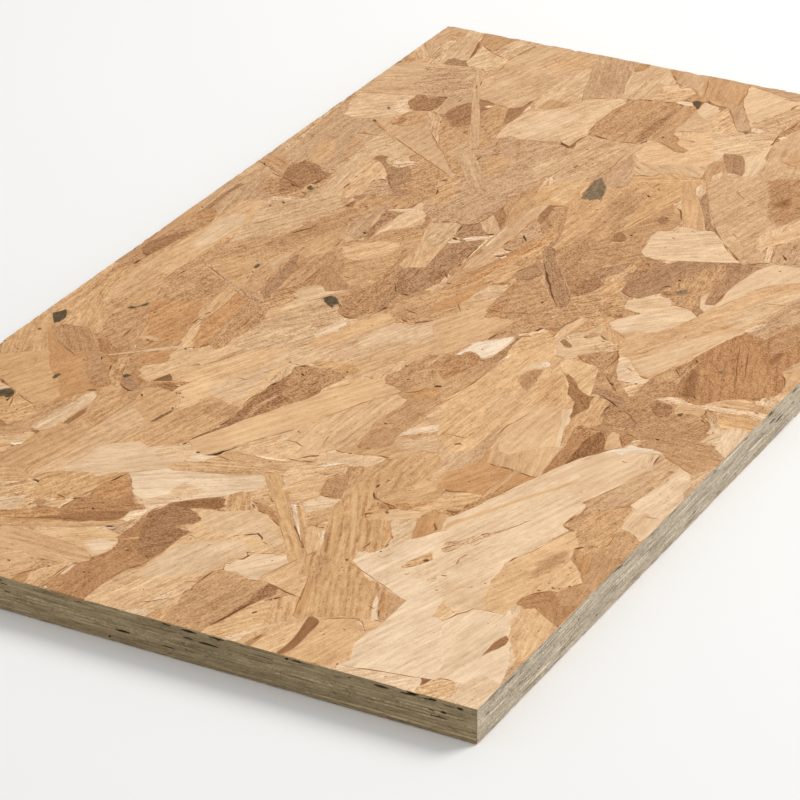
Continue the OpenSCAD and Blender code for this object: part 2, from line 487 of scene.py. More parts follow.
    ("B", -38, (-343,-61, -335,-66, -328,-70, -316,-79, -320,-79, -328,-74, -343,-67), {"speck": 0.72}),
    ("L", -15, (-36,190, -18,188, -20,180, -34,181), {"speck": 1.35}),
    ("T", 45, (25,-75, 31,-72.5, 30,-80, 27,-79)),
    ("a", 28, (-178,112, -162,118, -152,114, -158,103, -165,100, -180,100), {"speck": 1.35}),
    ("N", 0, (-38,49, -32,58, -18,68, -8,61, 0,59, 10,56, 12,42, -15,41, -36,41), {"speck": 1.2}),
    ("W", -2, (-329,32.5, -317,32, -317.5,31, -328,31.5)),
    ("J", 0, (113,-12, 140,-11, 172,-11, 173.5,-20, 173,-26, 160,-29, 136,-30.5, 113,-31), {"speck": 1.05}),
    ("B", 12, (290,47, 302,51, 314,55.5, 326,57, 320,51, 304,47), {"speck": 1.2}),
    ("B", -3, (56,82, 64,84.5, 82,83, 96,82, 107,81, 110,77, 108,74, 100,72, 88,73, 76,72, 72,73, 66,78), {"rim": 0.5, "speck": 1.05}),
    ("c", 12, (-297,-189, -287,-179, -283,-172, -265,-171, -255,-172, -265,-191), {"speck": 0.84}),
    ("N", -86, (-90,-120, -84,-118, -78,-122, -78,-150, -77,-178, -80,-182, -84,-160, -86,-140), {"band": 0.8, "pitch": 1.6}),
    ("N", 18, (228,128, 240,128.5, 250,128, 252,124, 240,119, 228,114)),
    ("X", 9, (-117,150, -95,153, -75,149, -60,144, -80,139, -100,138, -117,137), {"speck": 1.2}),
    ("R", -40, (1,-72, 3,-71, 6.5,-77, 4,-77)),
    ("J", 20, (-215,-186, -196,-178, -178,-174, -172,-182, -178,-191, -215,-191), {"speck": 1.05}),
    ("J", 4, (-37,42, -15,43, 0,44, 2,38, -10,36, -18,34, -28,37), {"speck": 1.35}),
    ("D", 5, (78,70, 90,72, 100,72, 92,68, 80,66)),
    ("L", -88, (-83,-122, -81,-122, -79,-150, -76,-180, -78,-180, -82,-155)),
    ("B", -80, (-291,-31, -283,-32, -278,-36, -264,-36, -264,-50, -272,-56, -285,-50, -291,-51, -293,-46), {"speck": 0.9}),
    ("L", 8, (-208,-45, -209,-36, -200,-32, -188,-28, -182,-27, -174,-34, -172,-40, -185,-43), {"speck": 1.05}),
    ("L", 0, (150,-13, 172,-11.5, 173.5,-26, 158,-27, 148,-24), {"rim": 0.2, "speck": 1.05}),
    ("E", 6, (292,43, 310,44.5, 330,43, 319,36, 306,30.5, 296,29.5, 293,34), {"speck": 1.05}),
    ("G", 5, (282,-37, 294,-38, 306,-42, 318,-46, 334,-49, 320,-54, 300,-58, 276,-57, 280,-46), {"speck": 1.35}),
    ("P", 5, (-117,144, -105,143, -98,139, -117,136), {"speck": 0.9}),
    ("J", -3, (0,-2, 12,-8, 20,-10, 40,-11, 60,-7, 90,-7, 96,-2, 60,2, 20,4, 0,4), {"rim": 0.2, "speck": 1.75}),
    ("C", -5, (-80,-172, -66,-174, -52,-170, -46,-176, -50,-182, -62,-180, -78,-182), {"speck": 1.35}),
    ("O", 0, (0,58, 20,61, 36,60, 46,58, 40,50, 34,46, 33,40, 16,39, 0,38), {"speck": 1.35}),
    ("P", -12, (-172,42, -150,45, -118,42, -100,40, -90,30, -100,18, -115,18, -127,20, -140,26, -155,33, -162,36), {"speck": 1.35}),
    ("I", -4, (92,66, 110,70, 135,68, 160,62, 190,60, 210,58, 211,44, 205,40, 190,42, 150,44, 113,42, 95,44), {"speck": 1.2}),
    ("N", 12, (-208,-45, -208,-41, -196,-37, -184,-34, -174,-35, -173,-38, -188,-40), {"speck": 1.2}),
    ("F", 55, (176,120, 186,136, 196,150, 206,152, 198,140, 190,128, 180,116), {"speck": 1.35}),
    ("L", -25, (-37,41, -28,37, -18,34, -2,38, 5,33, 2,10, -12,6, -20,4, -28,11, -32,16, -30,22), {"speck": 1.35}),
    ("J", -3, (-182,-151, -170,-150, -158,-150, -148,-152, -130,-158, -115,-163, -95,-163, -95,-172, -115,-174, -140,-170, -160,-164, -178,-160), {"speck": 1.35}),
    ("F", 88, (-268,1, -267,10, -264,8, -260,3, -255,1, -252,7, -249,13, -246,9, -243,0, -250,-5, -262,-5), {"speck": 1.35}),
    ("C", 10, (308,50, 330,52, 345,52, 345,43, 330,44, 312,45), {"speck": 1.05}),
    ("A", 5, (-80,-181, -68,-180, -60,-179, -60,-186, -57,-191, -88,-191, -84,-186), {"speck": 0.9}),
    ("G", 10, (284,-50, 300,-50, 312,-53, 296,-57, 280,-55), {"rim": 0.1, "speck": 1.35}),
    ("L", 18, (-60,150, -40,156, -22,153, -10,150, -16,142, -24,130, -32,120, -50,120, -62,134), {"speck": 1.35}),
    ("F", -3, (-96,-2, -70,-4, -40,-5, -10,-6, 4,-8, 4,-28, -14,-32, -26,-30, -30,-26, -46,-23, -54,-18, -55,-12, -70,-9, -92,-8), {"speck": 0.6}),
    ("E", -40, (4,2, 12,0, 28,0, 34,-6, 28,-10, 20,-10, 10,-5), {"speck": 1.2}),
    ("L", 2, (8,58, 24,60, 36,58, 34,50, 14,49), {"speck": 1.13}),
    ("R", -10, (-306,-171, -290,-171, -282,-173, -287,-177, -291,-176), {"speck": 1.05}),
    ("F", -12, (-291,-50, -285,-50, -272,-54, -258,-59, -248,-60, -262,-67, -280,-72, -295,-75, -294,-66, -292,-60), {"speck": 1.05}),
    ("C", 5, (100,144, 130,146, 160,148, 175,148, 178,142, 172,130, 164,122, 150,122, 135,122, 118,119, 100,122), {"band": 0.3, "speck": 1.2}),
    ("T", 60, (239,154, 242,148, 245.5,142, 245,137.5, 242,140, 241,145, 238,150)),
    ("J", 10, (-60,-174, -50,-170, -38,-168, -28,-176, -30,-191, -58,-191, -60,-182), {"speck": 0.99}),
    ("J", -15, (-20,32, -2,31, 4,24, 2,10, -12,8, -18,14, -16,24), {"band": 0.3, "speck": 1.05}),
    ("L", -3, (113,42, 135,44, 160,44, 150,32, 140,30, 134,26, 113,30), {"speck": 1.2}),
    ("A", -8, (64,-119, 80,-116, 100,-118, 112,-122, 118,-130, 100,-130, 80,-125), {"speck": 0.6}),
    ("H", -40, (-50,145, -45,146, -35,137, -26,129, -29,127, -40,136)),
    ("J", -5, (-93,-6, -84,-4, -70,-8, -60,-12, -52,-18, -50,-22, -70,-23, -90,-20, -94,-12), {"speck": 1.35}),
    ("a", 5, (1,-14, 10,-11, 30,-11.5, 46,-11, 52,-20, 40,-30, 28,-38, 12,-42, 6,-30), {"speck": 1.39}),
    ("A", 5, (278,-40, 284,-38, 286,-42, 282,-48, 278,-46)),
    ("H", 80, (-322,72, -300,84, -292,90, -286,80, -280,66, -272,50, -268,40, -274,36, -284,37, -286,30, -292,26, -300,23, -308,28, -312,40, -320,48), {"speck": 0.9}),
    ("J", 20, (174,0, 200,-3, 206,-14, 190,-20, 174,-26), {"speck": 1.05}),
    ("C", 20, (309,30, 319,36, 330,40, 342,43, 345,40, 336,34.5, 328,30, 318,27), {"speck": 1.35}),
    ("R", -70, (-219,123, -215,124, -215,118, -219,118)),
    ("G", 15, (-230,-47, -228,-40, -232,-33, -225,-30, -220,-30, -216,-33, -212,-36, -222,-46)),
    ("H", 4, (113,146, 134,144, 150,138, 140,130, 122,128, 110,128)),
    ("E", 10, (222,172, 231,174, 235,166, 238,158, 237,155, 222,154.5), {"rim": 0.4}),
    ("F", 5, (-56,-180, -44,-176, -36,-178, -36,-191, -55,-191), {"speck": 1.05}),
    ("N", -12, (24,118, 44,118, 62,118, 80,112, 90,104, 70,99, 50,107, 30,111, 12,112), {"speck": 1.35}),
    ("N", 6, (36,58, 50,59, 52,54, 44,50, 36,52)),
    ("P", -10, (-304,-60, -292,-59, -294,-66, -295,-71, -302,-66, -306,-63), {"speck": 1.35}),
    ("H", 5, (-117,136, -98,138, -80,138, -78,133, -96,131, -108,128, -117,126), {"speck": 1.2}),
    ("O", -4, (-92,-5, -82,-5, -70,-7, -74,-10, -90,-10), {"speck": 1.35}),
    ("N", 0, (3,-14, 14,-12, 30,-13, 30,-24, 14,-30, 4,-24), {"speck": 1.35}),
    ("R", -3, (-172,44, -165,43, -155,40, -158,36, -162,36, -168,40)),
    ("P", 5, (-118,-117, -105,-114, -97,-114, -98,-120, -100,-123, -112,-123, -128,-124)),
    ("A", -75, (-228,-40, -222,-35, -219,-32, -214,-33, -209,-38, -207.5,-43, -209,-46, -215,-47, -220,-45), {"speck": 1.05}),
    ("F", -10, (142,137, 150,136, 160,132, 168,126, 165,118, 156,122, 146,122, 138,120), {"speck": 0.6}),
    ("G", 22, (228,108, 228,113, 240,118, 256,127, 275,134.5, 286,141, 292,143.5, 289,139, 276,131, 258,123, 240,114), {"z": -0.04, "rim": 0.4, "speck": 1.35}),
    ("G", 75, (337,-14, 345,-11, 345,-46, 328,-52, 328,-42, 331,-36, 334,-27), {"speck": 1.05}),
    ("H", 88, (-320,70, -306,79, -301,76, -301,52, -303,38, -312,28, -316,33, -320,48), {"band": 0.3, "speck": 0.75}),
    ("b", 60, (176,-10, 192,-8, 206,-20, 206,-44, 190,-40, 178,-30), {"speck": 0.97}),
    ("G", 25, (327,29, 336,35, 345,41, 345,14, 325,12, 316,14, 322,20), {"speck": 0.9}),
    ("J", -4, (-5,112, 14,113, 36,111, 52,108, 64,101, 40,97, 10,99, -5,103), {"speck": 0.83}),
    ("I", 0, (-330,-187, -318,-186, -300,-187, -296,-190, -320,-191, -332,-190), {"speck": 1.5}),
    ("N", 5, (-203,150, -192,152, -188,146, -200,144, -210,145), {"speck": 1.35}),
    ("P", 0, (-98,-114, -88,-112, -90,-120, -90,-126, -98,-128), {"speck": 1.35}),
    ("H", 4, (-196,-168, -175,-166, -155,-169, -170,-174, -190,-178), {"speck": 0.75}),
    ("G", -15, (100,-118, 117,-121, 128,-124, 118,-124)),
    ("J", 14, (-205,-48, -180,-48, -162,-50, -150,-58, -152,-62, -175,-60, -188,-56, -200,-60, -215,-66, -225,-72, -232,-76, -232,-56), {"band": 0.9, "pitch": 1.0, "speck": 1.2}),
    ("J", 12, (-112,130, -95,132, -72,140, -50,141, -42,132, -40,122, -70,118, -90,111, -108,110, -118,116), {"speck": 1.05}),
    ("D", 10, (-90,-5.5, -86,-3.5, -80,-3, -78,-6, -70,-6.5, -66,-4, -72,-1.5, -84,-1, -92,-3)),
    ("N", 10, (10,-30, 28,-28, 44,-26, 36,-34, 28,-40, 14,-46, 12,-40), {"speck": 1.35}),
    ("G", 60, (333,-36, 341,-30, 345,-30, 345,-42, 336,-43, 331,-41), {"rim": 0.1, "speck": 0.9}),
    ("C", -2, (-155,74, -148,79, -138,80, -113,76, -100,74, -98,46, -113,43, -125,44, -147,46, -146,56, -144,63, -160,68, -169,71), {"speck": 1.78}),
    ("F", 3, (-4,114, 10,115, 16,110, 6,108, -4,110)),
    ("H", 11, (40,56, 56,60, 78,64, 91,66, 90,60, 70,56, 50,52), {"speck": 1.35}),
    ("T", 3, (-124,-124, -108,-123.5, -98,-123, -96,-127, -100,-131, -106,-134, -112,-131, -118,-129), {"speck": 1.2}),
    ("H", -4, (-343,-22, -330,-25, -310,-27, -290,-31, -291,-43, -293,-48, -291,-53, -292,-60, -300,-60, -315,-57, -335,-53, -343,-50), {"speck": 1.47}),
    ("C", 85, (-301,66, -297,66, -290,56, -284,44, -280,38, -284,33, -286,28, -292,24, -300,23, -308,28, -303,38, -301,52), {"speck": 1.05}),
    ("C", 45, (204,-3, 214,-1, 232,0, 240,-10, 240,-36, 226,-40, 212,-42, 206,-40, 206,-20), {"band": 0.4, "speck": 0.75}),
    ("P", -25, (-218,-66, -214,-62, -204,-64, -202,-68, -208,-73, -212,-69)),
    ("T", 45, (148,133, 152,134, 154,130, 152,127, 149,129)),
    ("L", 5, (-50,134, -32,129, -30,121, -50,121), {"speck": 1.35}),
    ("N", -9, (-106,-13, -100,-17, -90,-20, -72,-22, -52,-24, -44,-27, -43,-33, -48,-38, -62,-36, -78,-32, -90,-28, -100,-20), {"speck": 1.35}),
    ("J", 15, (44,-12, 50,-6, 56,-6, 64,-8, 72,-9, 64,-18, 52,-24, 44,-18), {"speck": 1.35}),
    ("O", 4, (-2,40, 14,39, 34,41, 40,37, 54,40, 66,42, 74,38, 88,40, 94,36, 88,27, 78,27, 62,25.5, 46,24, 30,26, 16,28, 2,29), {"speck": 1.35}),
    ("B", 22, (282,-38, 290,-34.5, 300,-28, 310,-21, 320,-17, 334,-12.5, 339,-14, 335,-25, 331,-36, 328,-42, 316,-47, 304,-43, 294,-38.5), {"rim": 0.4, "z": -0.07, "speck": 0.75}),
    ("B", 3, (-174,-176, -160,-172, -148,-170, -130,-173, -113,-175, -95,-174, -92,-191, -172,-191), {"speck": 1.05}),
    ("N", 8, (-5,106, 8,108, 16,107, 10,104, -5,102)),
    ("D", -1, (-146,58, -113,56, -112,46, -126,45, -147,46), {"speck": 0.9}),
    ("R", 12, (192,80, 200,82.5, 209,86, 209,83, 200,80.5)),
    ("H", -5, (-202,-70, -198,-60, -190,-57, -175,-61, -150,-63, -120,-60, -110,-70, -112,-82, -140,-81, -160,-80, -178,-83, -190,-83, -200,-78), {"speck": 1.2}),
    ("T", 0, (236,110.5, 240,111.5, 242,109.5, 239,109), {"rim": 0.1}),
    ("H", 30, (176,-44, 190,-38, 206,-34, 206,-46, 196,-48, 184,-50), {"speck": 1.2}),
    ("D", 20, (296,28, 304,29.5, 310,26, 314,20, 308,14, 300,15, 294.5,22), {"speck": 1.35}),
    ("D", 75, (-343,-119, -338,-119, -335,-133, -331,-152, -329,-160, -326,-166, -328,-172, -343,-173), {"speck": 1.2}),
    ("L", 20, (-90,-112, -76,-108, -60,-104, -54,-103, -56,-110, -60,-117, -72,-118, -84,-122), {"speck": 1.35}),
    ("C", -50, (18,-98, 22,-92, 58,-92, 54,-96, 53,-104, 47,-113, 32,-109)),
    ("b", 3, (-72,117, -50,119, -30,120, -33,112, -50,109, -72,110), {"speck": 1.35}),
    ("J", -8, (-117,-27, -98,-26, -92,-27, -82,-33, -62,-37, -48,-38, -46,-46, -50,-49, -70,-48, -90,-44, -104,-41, -117,-41), {"speck": 1.05}),
    ("I", 2, (36,-30, 56,-22, 72,-14, 90,-12, 110,-14, 130,-20, 140,-34, 120,-40, 108,-50, 80,-52, 60,-50, 40,-46, 28,-42), {"speck": 1.35}),
    ("O", 5, (0,38, 16,39, 30,38, 34,30, 20,27, 2,28), {"speck": 1.35}),
    ("T", -6, (-336,-51, -320,-53, -305,-54, -291,-56, -292,-61, -308,-60, -325,-56, -334,-54), {"speck": 1.35}),
    ("H", 24, (-194,135, -188,147, -184,158, -178,164, -176,170, -150,186, -140,191, -110,191, -104,186, -120,172, -132,162, -140,148, -142,140, -150,128, -158,118, -166,120, -176,125, -188,130), {"band": 0.35, "pitch": 0.6, "rim": 0.3, "speck": 1.02}),
    ("E", -35, (-96,50, -88,50, -78,52, -60,50, -42,42, -30,36, -20,34, -28,30, -46,30, -60,32, -76,28, -90,30, -96,40), {"speck": 1.2}),
    ("B", 22, (296,-38, 310,-34, 330,-32, 330,-40, 316,-46, 304,-42), {"rim": 0.05, "z": -0.07, "speck": 0.6}),
    ("I", 5, (60,102, 80,108, 117,108, 117,96, 80,95, 56,98), {"speck": 1.35}),
    ("F", -2, (-180,-66, -150,-65, -146,-68, -120,-72, -112,-82, -140,-80, -168,-80, -184,-76), {"speck": 1.05}),
    ("H", 20, (-70,-108, -60,-106, -56,-104, -60,-114, -68,-117, -76,-117), {"speck": 1.05}),
    ("H", -10, (-291,90, -278,99, -262,99, -262,63, -266,66, -276,67, -283,72, -288,80), {"speck": 1.35}),
    ("D", -65, (-246,86, -232,86, -213,85, -208,78, -202,70, -198,60, -197,54, -196,50, -200,40, -208,41, -215,42, -220,44, -232,57, -240,70), {"rim": 0.3, "speck": 0.6}),
    ("C", -70, (-176,-176, -165,-173, -156,-180, -155,-191, -175,-191), {"speck": 0.6}),
    ("J", 4, (-105,108, -90,105, -70,110, -48,110, -36,110, -40,101, -70,100, -100,99, -110,102), {"speck": 0.9}),
    ("P", -8, (-62,-30, -48,-30, -45,-36, -50,-38, -60,-36), {"speck": 1.35}),
    ("O", 12, (72,38, 74,45, 84,47, 92,49, 94,44, 97,40, 90,30, 84,28, 78,34), {"speck": 1.35}),
    ("L", -3, (62,-24, 90,-16, 117,-18, 130,-26, 110,-34, 108,-48, 70,-50, 56,-38), {"speck": 1.2}),
    ("O", 30, (183,76, 188,72, 183,70.5)),
    ("J", 8, (301,14, 316,13, 345,15, 345,1, 320,-1, 307,0, 305,8), {"speck": 1.05}),
    ("R", 30, (-85,-107, -78,-103, -68,-100, -60,-92, -54,-96, -58,-102, -62,-106, -70,-108, -78,-107), {"band": 0.5, "speck": 1.35}),
    ("H", -70, (-202,-70, -198,-62, -190,-63, -184,-70, -188,-82, -196,-82, -201,-78), {"speck": 0.9}),
    ("H", 5, (228,108, 240,109, 247,108, 247,98, 238,97, 228,94), {"speck": 1.05}),
    ("H", -3, (82,114, 92,112, 104,112, 100,108, 84,108)),
    ("H", 12, (303,-8, 307,-1, 310,1, 345,3, 345,-11, 334,-12, 320,-16, 309,-20, 301,-20, 299,-17, 304,-12), {"z": -0.08, "speck": 0.9}),
    ("F", -25, (-56,41, -42,41, -30,36, -22,33, -30,24, -38,24, -50,30, -58,36), {"rim": 0.3, "speck": 0.9}),
    ("X", 50, (-170,124, -160,118, -148,132, -140,144, -134,158, -120,170, -112,178, -122,176, -140,164, -156,146), {"band": 0.5, "rim": 0.1, "pitch": 0.7, "speck": 0.38}),
    ("A", -20, (-343,-11, -333,-13, -327,-20, -322,-25, -343,-22), {"speck": 0.71}),
    ("P", -2, (-50,-40, -30,-42, -14,-43, -12,-46, -30,-47, -50,-47)),
    ("C", -17, (-36,-112, -30,-104, -14,-100, 0,-98, 16,-100, 30,-107, 46,-113, 56,-115, 64,-119, 80,-126, 95,-134, 104,-146, 90,-156, 75,-154, 56,-150, 40,-143, 28,-139, 10,-133, -2,-130, -12,-127, -26,-123, -30,-118), {"rim": 0.35, "speck": 0.9}),
    ("J", 55, (-62,-121, -60,-114, -56,-106, -50,-102, -36,-100, -32,-101, -42,-108, -50,-116, -56,-128, -62,-130)),
    ("A", 70, (-343,-128, -337,-128, -334,-136, -334,-144, -343,-144), {"speck": 0.9}),
    ("D", 0, (-290,88, -280,89, -270,90, -270,84, -278,81, -288,82), {"speck": 1.35}),
    ("H", 10, (318,2, 345,6, 345,-2, 325,-2), {"speck": 1.05}),
    ("D", 20, (-230,-90, -222,-83, -212,-76, -206,-74, -202,-78, -201,-87, -214,-92, -224,-95), {"speck": 0.9}),
    ("R", 16, (224,90, 232,95, 238,97, 246,98.5, 248,94, 246,91, 236,89, 226,88.5), {"speck": 1.05}),
    ("R", 70, (112,-106, 115.5,-106.5, 118,-112, 121,-117.5, 119,-119.5, 116,-116, 112,-113)),
    ("A", -10, (-240,-120, -222,-121, -205,-127, -184,-136, -178,-142, -174,-148, -183,-151, -205,-148, -225,-144, -250,-140), {"speck": 0.75}),
    ("I", 25, (273,-38, 276,-33, 284,-27, 290,-23, 300,-18, 306,-19, 309,-21, 305,-25, 298,-29, 288,-34, 281,-39, 275,-41.5), {"z": -0.05, "speck": 1.2}),
    ("a", 5, (34,28, 48,24, 66,25, 90,25, 117,28, 117,15, 96,15, 66,16, 50,18, 30,18), {"speck": 1.87}),
    ("F", 3, (-100,28, -90,30, -76,29, -60,31, -45,28, -31,22, -30,14, -28,10, -18,4, -10,0, -14,-5, -50,-4, -92,-2, -92,12, -102,15), {"speck": 1.35}),
    ("D", 7, (-106,107, -95,110, -85,112, -74,113, -76,110, -88,107, -100,103.5, -108,104), {"rim": 0.6, "speck": 1.05}),
    ("N", 40, (-140,147, -131,163, -120,175, -112,174, -108,160, -115,150, -128,140, -136,140), {"band": 0.3, "speck": 1.25}),
    ("F", -10, (-203,-78, -190,-83, -178,-87, -178,-98, -192,-92, -202,-88), {"speck": 1.2}),
    ("G", 10, (112,116, 120,118, 124,116, 122,110, 114,110)),
    ("G", 30, (294,172, 293,178, 302,183, 311,190, 328,191, 337,186, 330,180, 314,175, 300,171), {"speck": 0.75}),
    ("J", 2, (240,8, 262,7.5, 280,8, 295,9, 297,2, 288,0, 272,-1.5, 256,-1, 247,0, 240,3), {"speck": 1.05}),
    ("D", -22, (-330,-14, -320,-18, -312,-21, -305,-25, -306,-28, -322,-25), {"speck": 1.35}),
    ("P", 60, (-62,-121, -58,-112, -52,-104, -46,-108, -52,-118, -58,-128), {"speck": 1.35}),
    ("A", 0, (68,24, 90,25, 110,26, 130,26, 130,16, 110,15.5, 90,15, 72,16), {"speck": 0.9}),
    ("F", -72, (-220,52, -212,50, -204,42, -200,34, -198,22, -195,12, -195,0, -200,-6, -206,-2, -210,8, -213,20, -217,34), {"rim": 0.3, "speck": 1.05}),
    ("R", 6, (113,13, 122,16, 134,16.7, 135,12, 126,12, 113,10)),
    ("O", 40, (273,-39.5, 275.5,-36.5, 278.5,-36, 280,-38.5, 275,-41.5), {"rim": 0.2}),
    ("C", -8, (-60,28, -46,27, -31,22, -30,14, -26,9, -14,2, -8,-1, -12,-5, -40,-4, -58,4, -66,18), {"speck": 0.9}),
    ("L", -25, (-30,-26, -24,-30, -10,-29, 2,-30, 20,-46, 4,-49, -6,-46, -14,-40, -24,-32), {"speck": 1.35}),
    ("J", 20, (-228,-97, -220,-91, -208,-87, -196,-90, -194,-97, -197,-101, -208,-106, -216,-102), {"band": 0.5, "speck": 0.75}),
    ("C", -80, (142,120, 147,124, 154,117, 153,108, 148,110, 144,116)),
    ("E", 32, (288,181, 294,186, 300,191, 314,191, 304,184, 295,178), {"speck": 1.17}),
    ("E", -17, (0,-104, 20,-108, 44,-116, 64,-122, 92,-134, 100,-144, 84,-146, 60,-136, 30,-124, 5,-112), {"rim": 0.1, "speck": 1.05}),
    ("A", -24, (-264,-92, -256,-77, -246,-83, -230,-92, -215,-100, -205,-108, -195,-118, -184,-136, -200,-128, -222,-121, -240,-121, -275,-120), {"rim": 0.2, "speck": 0.9}),
    ("N", 0, (-60,-124, -48,-122, -36,-122, -24,-124, -24,-136, -34,-139, -48,-140, -60,-148, -66,-147, -62,-136), {"speck": 1.35}),
    ("P", 30, (-165,122, -158,124, -152,118, -162,114, -168,117), {"speck": 1.35}),
    ("T", -28, (84,169, 92,167, 98,163, 94,161, 86,165)),
    ("F", 0, (-282,75, -270,74, -266,72, -268,69, -280,70), {"speck": 1.05}),
    ("C", 20, (165,-48, 172,-44.5, 178,-43, 172,-47)),
    ("C", 10, (222,6, 240,7.5, 241,2, 239,-4, 222,-6), {"speck": 1.05}),
    ("W", 35, (281,-12.5, 288,-6, 293,-1, 304,0.5, 304,-4, 302,-9, 296,-12, 288,-13), {"rim": 0.4, "z": -0.06}),
    ("H", 10, (-216,-101, -208,-96, -196,-92, -193,-97, -206,-100), {"speck": 0.9}),
    ("B", 15, (326,182, 332,186, 345,184, 345,179, 333,179.5)),
    ("L", 12, (113,11, 128,12, 138,10, 140,6, 130,2, 113,-2), {"band": 0.6, "speck": 1.35}),
    ("L", 2, (-30,106, -10,107, 10,112, 22,112, 15,104, -10,100, -32,101), {"speck": 2.4}),
    ("J", -20, (-26,-31, -18,-34, -12,-41, -18,-43, -24,-36)),
    ("R", 2, (54,-48, 64,-48, 62,-53, 54,-54)),
    ("H", 13, (-311,-80, -290,-74, -270,-67, -248,-60, -225,-51, -205,-48, -205,-66, -225,-72, -256,-76, -262,-90, -268,-101, -276,-120, -298,-119, -300,-108, -305,-95, -308,-88), {"band": 0.9, "pitch": 1.0, "speck": 1.05}),
    ("H", 20, (121,-120, 128,-119.5, 140,-116, 146,-115, 150,-119, 154,-121, 148,-124, 140,-129, 132,-133, 126,-136, 122.5,-134, 125,-131, 122,-127), {"rim": 0.4, "speck": 1.35}),
    ("J", 22, (70,24, 76,26, 66,16, 68,14)),
    ("G", 20, (60,158, 72,160, 96,158, 94,153, 70,153), {"speck": 1.35}),
    ("A", -25, (-215,-100, -204,-104, -190,-118, -176,-134, -165,-149, -176,-149, -184,-136, -215,-119), {"speck": 0.75}),
    ("H", 5, (-214,-101, -206,-98, -196,-100, -200,-104, -206,-107), {"speck": 0.45}),
    ("L", 15, (154,116, 162,117, 163,113, 158,109, 154,109)),
    ("L", 16, (326,180, 338,180, 345,178, 345,172, 330,172, 329,176)),
    ("P", 12, (-160,102, -152,112, -146,116, -138,110, -136,104, -148,100, -158,100), {"speck": 1.35}),
    ("N", -5, (-280,80, -270,80, -270,76, -280,76)),
    ("O", 28, (145,-75, 152,-72, 160,-67.5, 174,-61, 178,-55, 186,-53, 192,-52.5, 180,-60, 168,-65, 154,-73, 148,-77)),
    ("B", 4, (236,86, 248,86, 252,76, 256,66, 252,56, 240,52, 228,54, 226,70), {"rim": 0.05, "z": -0.05}),
    ("D", 6, (282,-13.3, 292,-13, 297.5,-11.8, 296,-14, 286,-15.5)),
    ("W", -30, (-48,-25, -46,-22.5, -40,-24, -30,-25.5, -28,-30, -22,-37, -18,-41.5, -30,-42, -40,-41, -46,-36, -43,-31, -45,-27), {"rim": 0.5, "z": -0.25}),
    ("N", 0, (66,-48, 86,-48, 104,-50, 100,-56, 80,-56, 72,-55, 66,-51), {"speck": 1.35}),
    ("G", 28, (89,30, 92,35, 98,40, 104,40.5, 116,38, 108,31, 98,27, 90,25), {"band": 0.5, "z": -0.05, "speck": 1.35}),
    ("B", -40, (-30,-118, -28,-108, -22,-106, -24,-112, -28,-117)),
    ("A", -60, (-210,42, -204,40, -199,36, -198,22, -203,30)),
    ("O", -15, (-120,42, -105,40, -96,40, -92,32, -98,22, -105,18, -125,20), {"speck": 1.35}),
    ("C", 35, (-44,-113, -38,-106, -30,-103, -12,-99, -20,-108, -28,-116, -30,-122, -40,-122, -52,-121), {"speck": 1.35}),
    ("L", -2, (-177,-83, -170,-80, -160,-80, -150,-82, -140,-86, -144,-90, -145,-98, -145,-117, -160,-114, -178,-108, -173,-98, -176,-90), {"speck": 0.9}),
    ("O", 40, (82,152, 94,154, 96,148, 88,146, 82,141, 80,144)),
    ("N", 35, (-298,-119, -296,-115, -279,-105, -268,-101, -271,-108, -284,-115, -292,-119), {"speck": 1.2}),
    ("F", 0, (-343,-94, -320,-95, -305,-94, -300,-108, -309,-116, -298,-120, -343,-119), {"speck": 0.9}),
    ("L", 15, (100,28, 110,32, 117,37, 125,38, 125,33, 114,28, 100,25), {"speck": 1.35}),
    ("N", 4, (-95,98, -70,101, -40,101, -20,104, 10,107, 20,102, 0,96, -30,91, -70,88, -92,92), {"speck": 1.2}),
    ("B", -5, (-47,-47, -40,-46.5, -36,-49, -44,-48.5)),
    ("F", 2, (52,-55, 62,-53, 66,-48, 72,-51, 73,-56, 84,-56, 95,-57, 94,-60, 78,-60, 60,-60, 52,-59), {"z": -0.04, "speck": 1.35}),
    ("L", 62, (240,1, 250,1, 256,-2, 251,-7, 245,-10, 241,-14, 237,-19, 234,-19, 231,-16.5, 233,-13, 237,-7), {"z": -0.07, "speck": 1.35}),
    ("B", 30, (-52,-121, -46,-117, -40,-113, -38,-119, -36,-122), {"speck": 1.35}),
    ("R", -60, (-290,81, -284,79, -280,72, -278,62, -272,52, -267,38, -262,42, -258,50, -264,63, -272,66, -281,68), {"band": 0.6}),
    ("J", 20, (-158,116, -142,128, -132,128, -118,132, -116,120, -130,112, -148,112), {"speck": 1.2}),
    ("H", -25, (-251,-103, -248,-101, -240,-103, -230,-108, -218,-113, -214,-120, -205,-122, -205,-126, -222,-121, -232,-116, -245,-110), {"speck": 1.35}),
    ("B", -14, (-122,19, -108,16, -96,13, -92,9, -100,9, -112,13, -122,16)),
    ("X", -3, (-172,-96, -146,-95, -146,-117, -160,-114, -178,-108, -186,-104), {"band": 0.4, "speck": 0.9}),
    ("E", -80, (-200,28, -190,30, -186,24, -170,18, -160,10, -150,6, -140,0, -150,-14, -186,-14, -200,-6), {"speck": 1.2}),
    ("H", 15, (176,4, 186,9, 232,9.5, 232,-2, 200,-4, 174,0), {"speck": 1.05}),
    ("J", 10, (60,15, 80,15, 117,15, 117,2, 100,0, 96,8, 84,6, 70,8), {"speck": 1.35}),
    ("H", 40, (-48,-114, -36,-103, -28,-99, -10,-97, -12,-101, -26,-105, -36,-108), {"speck": 1.35}),
    ("N", 33, (128,-127, 134,-123, 139,-120.5, 136,-124, 130,-128), {"rim": 0.1}),
    ("G", -10, (-36,-46, -16,-45, -10,-48, -20,-56, -36,-51), {"speck": 1.35}),
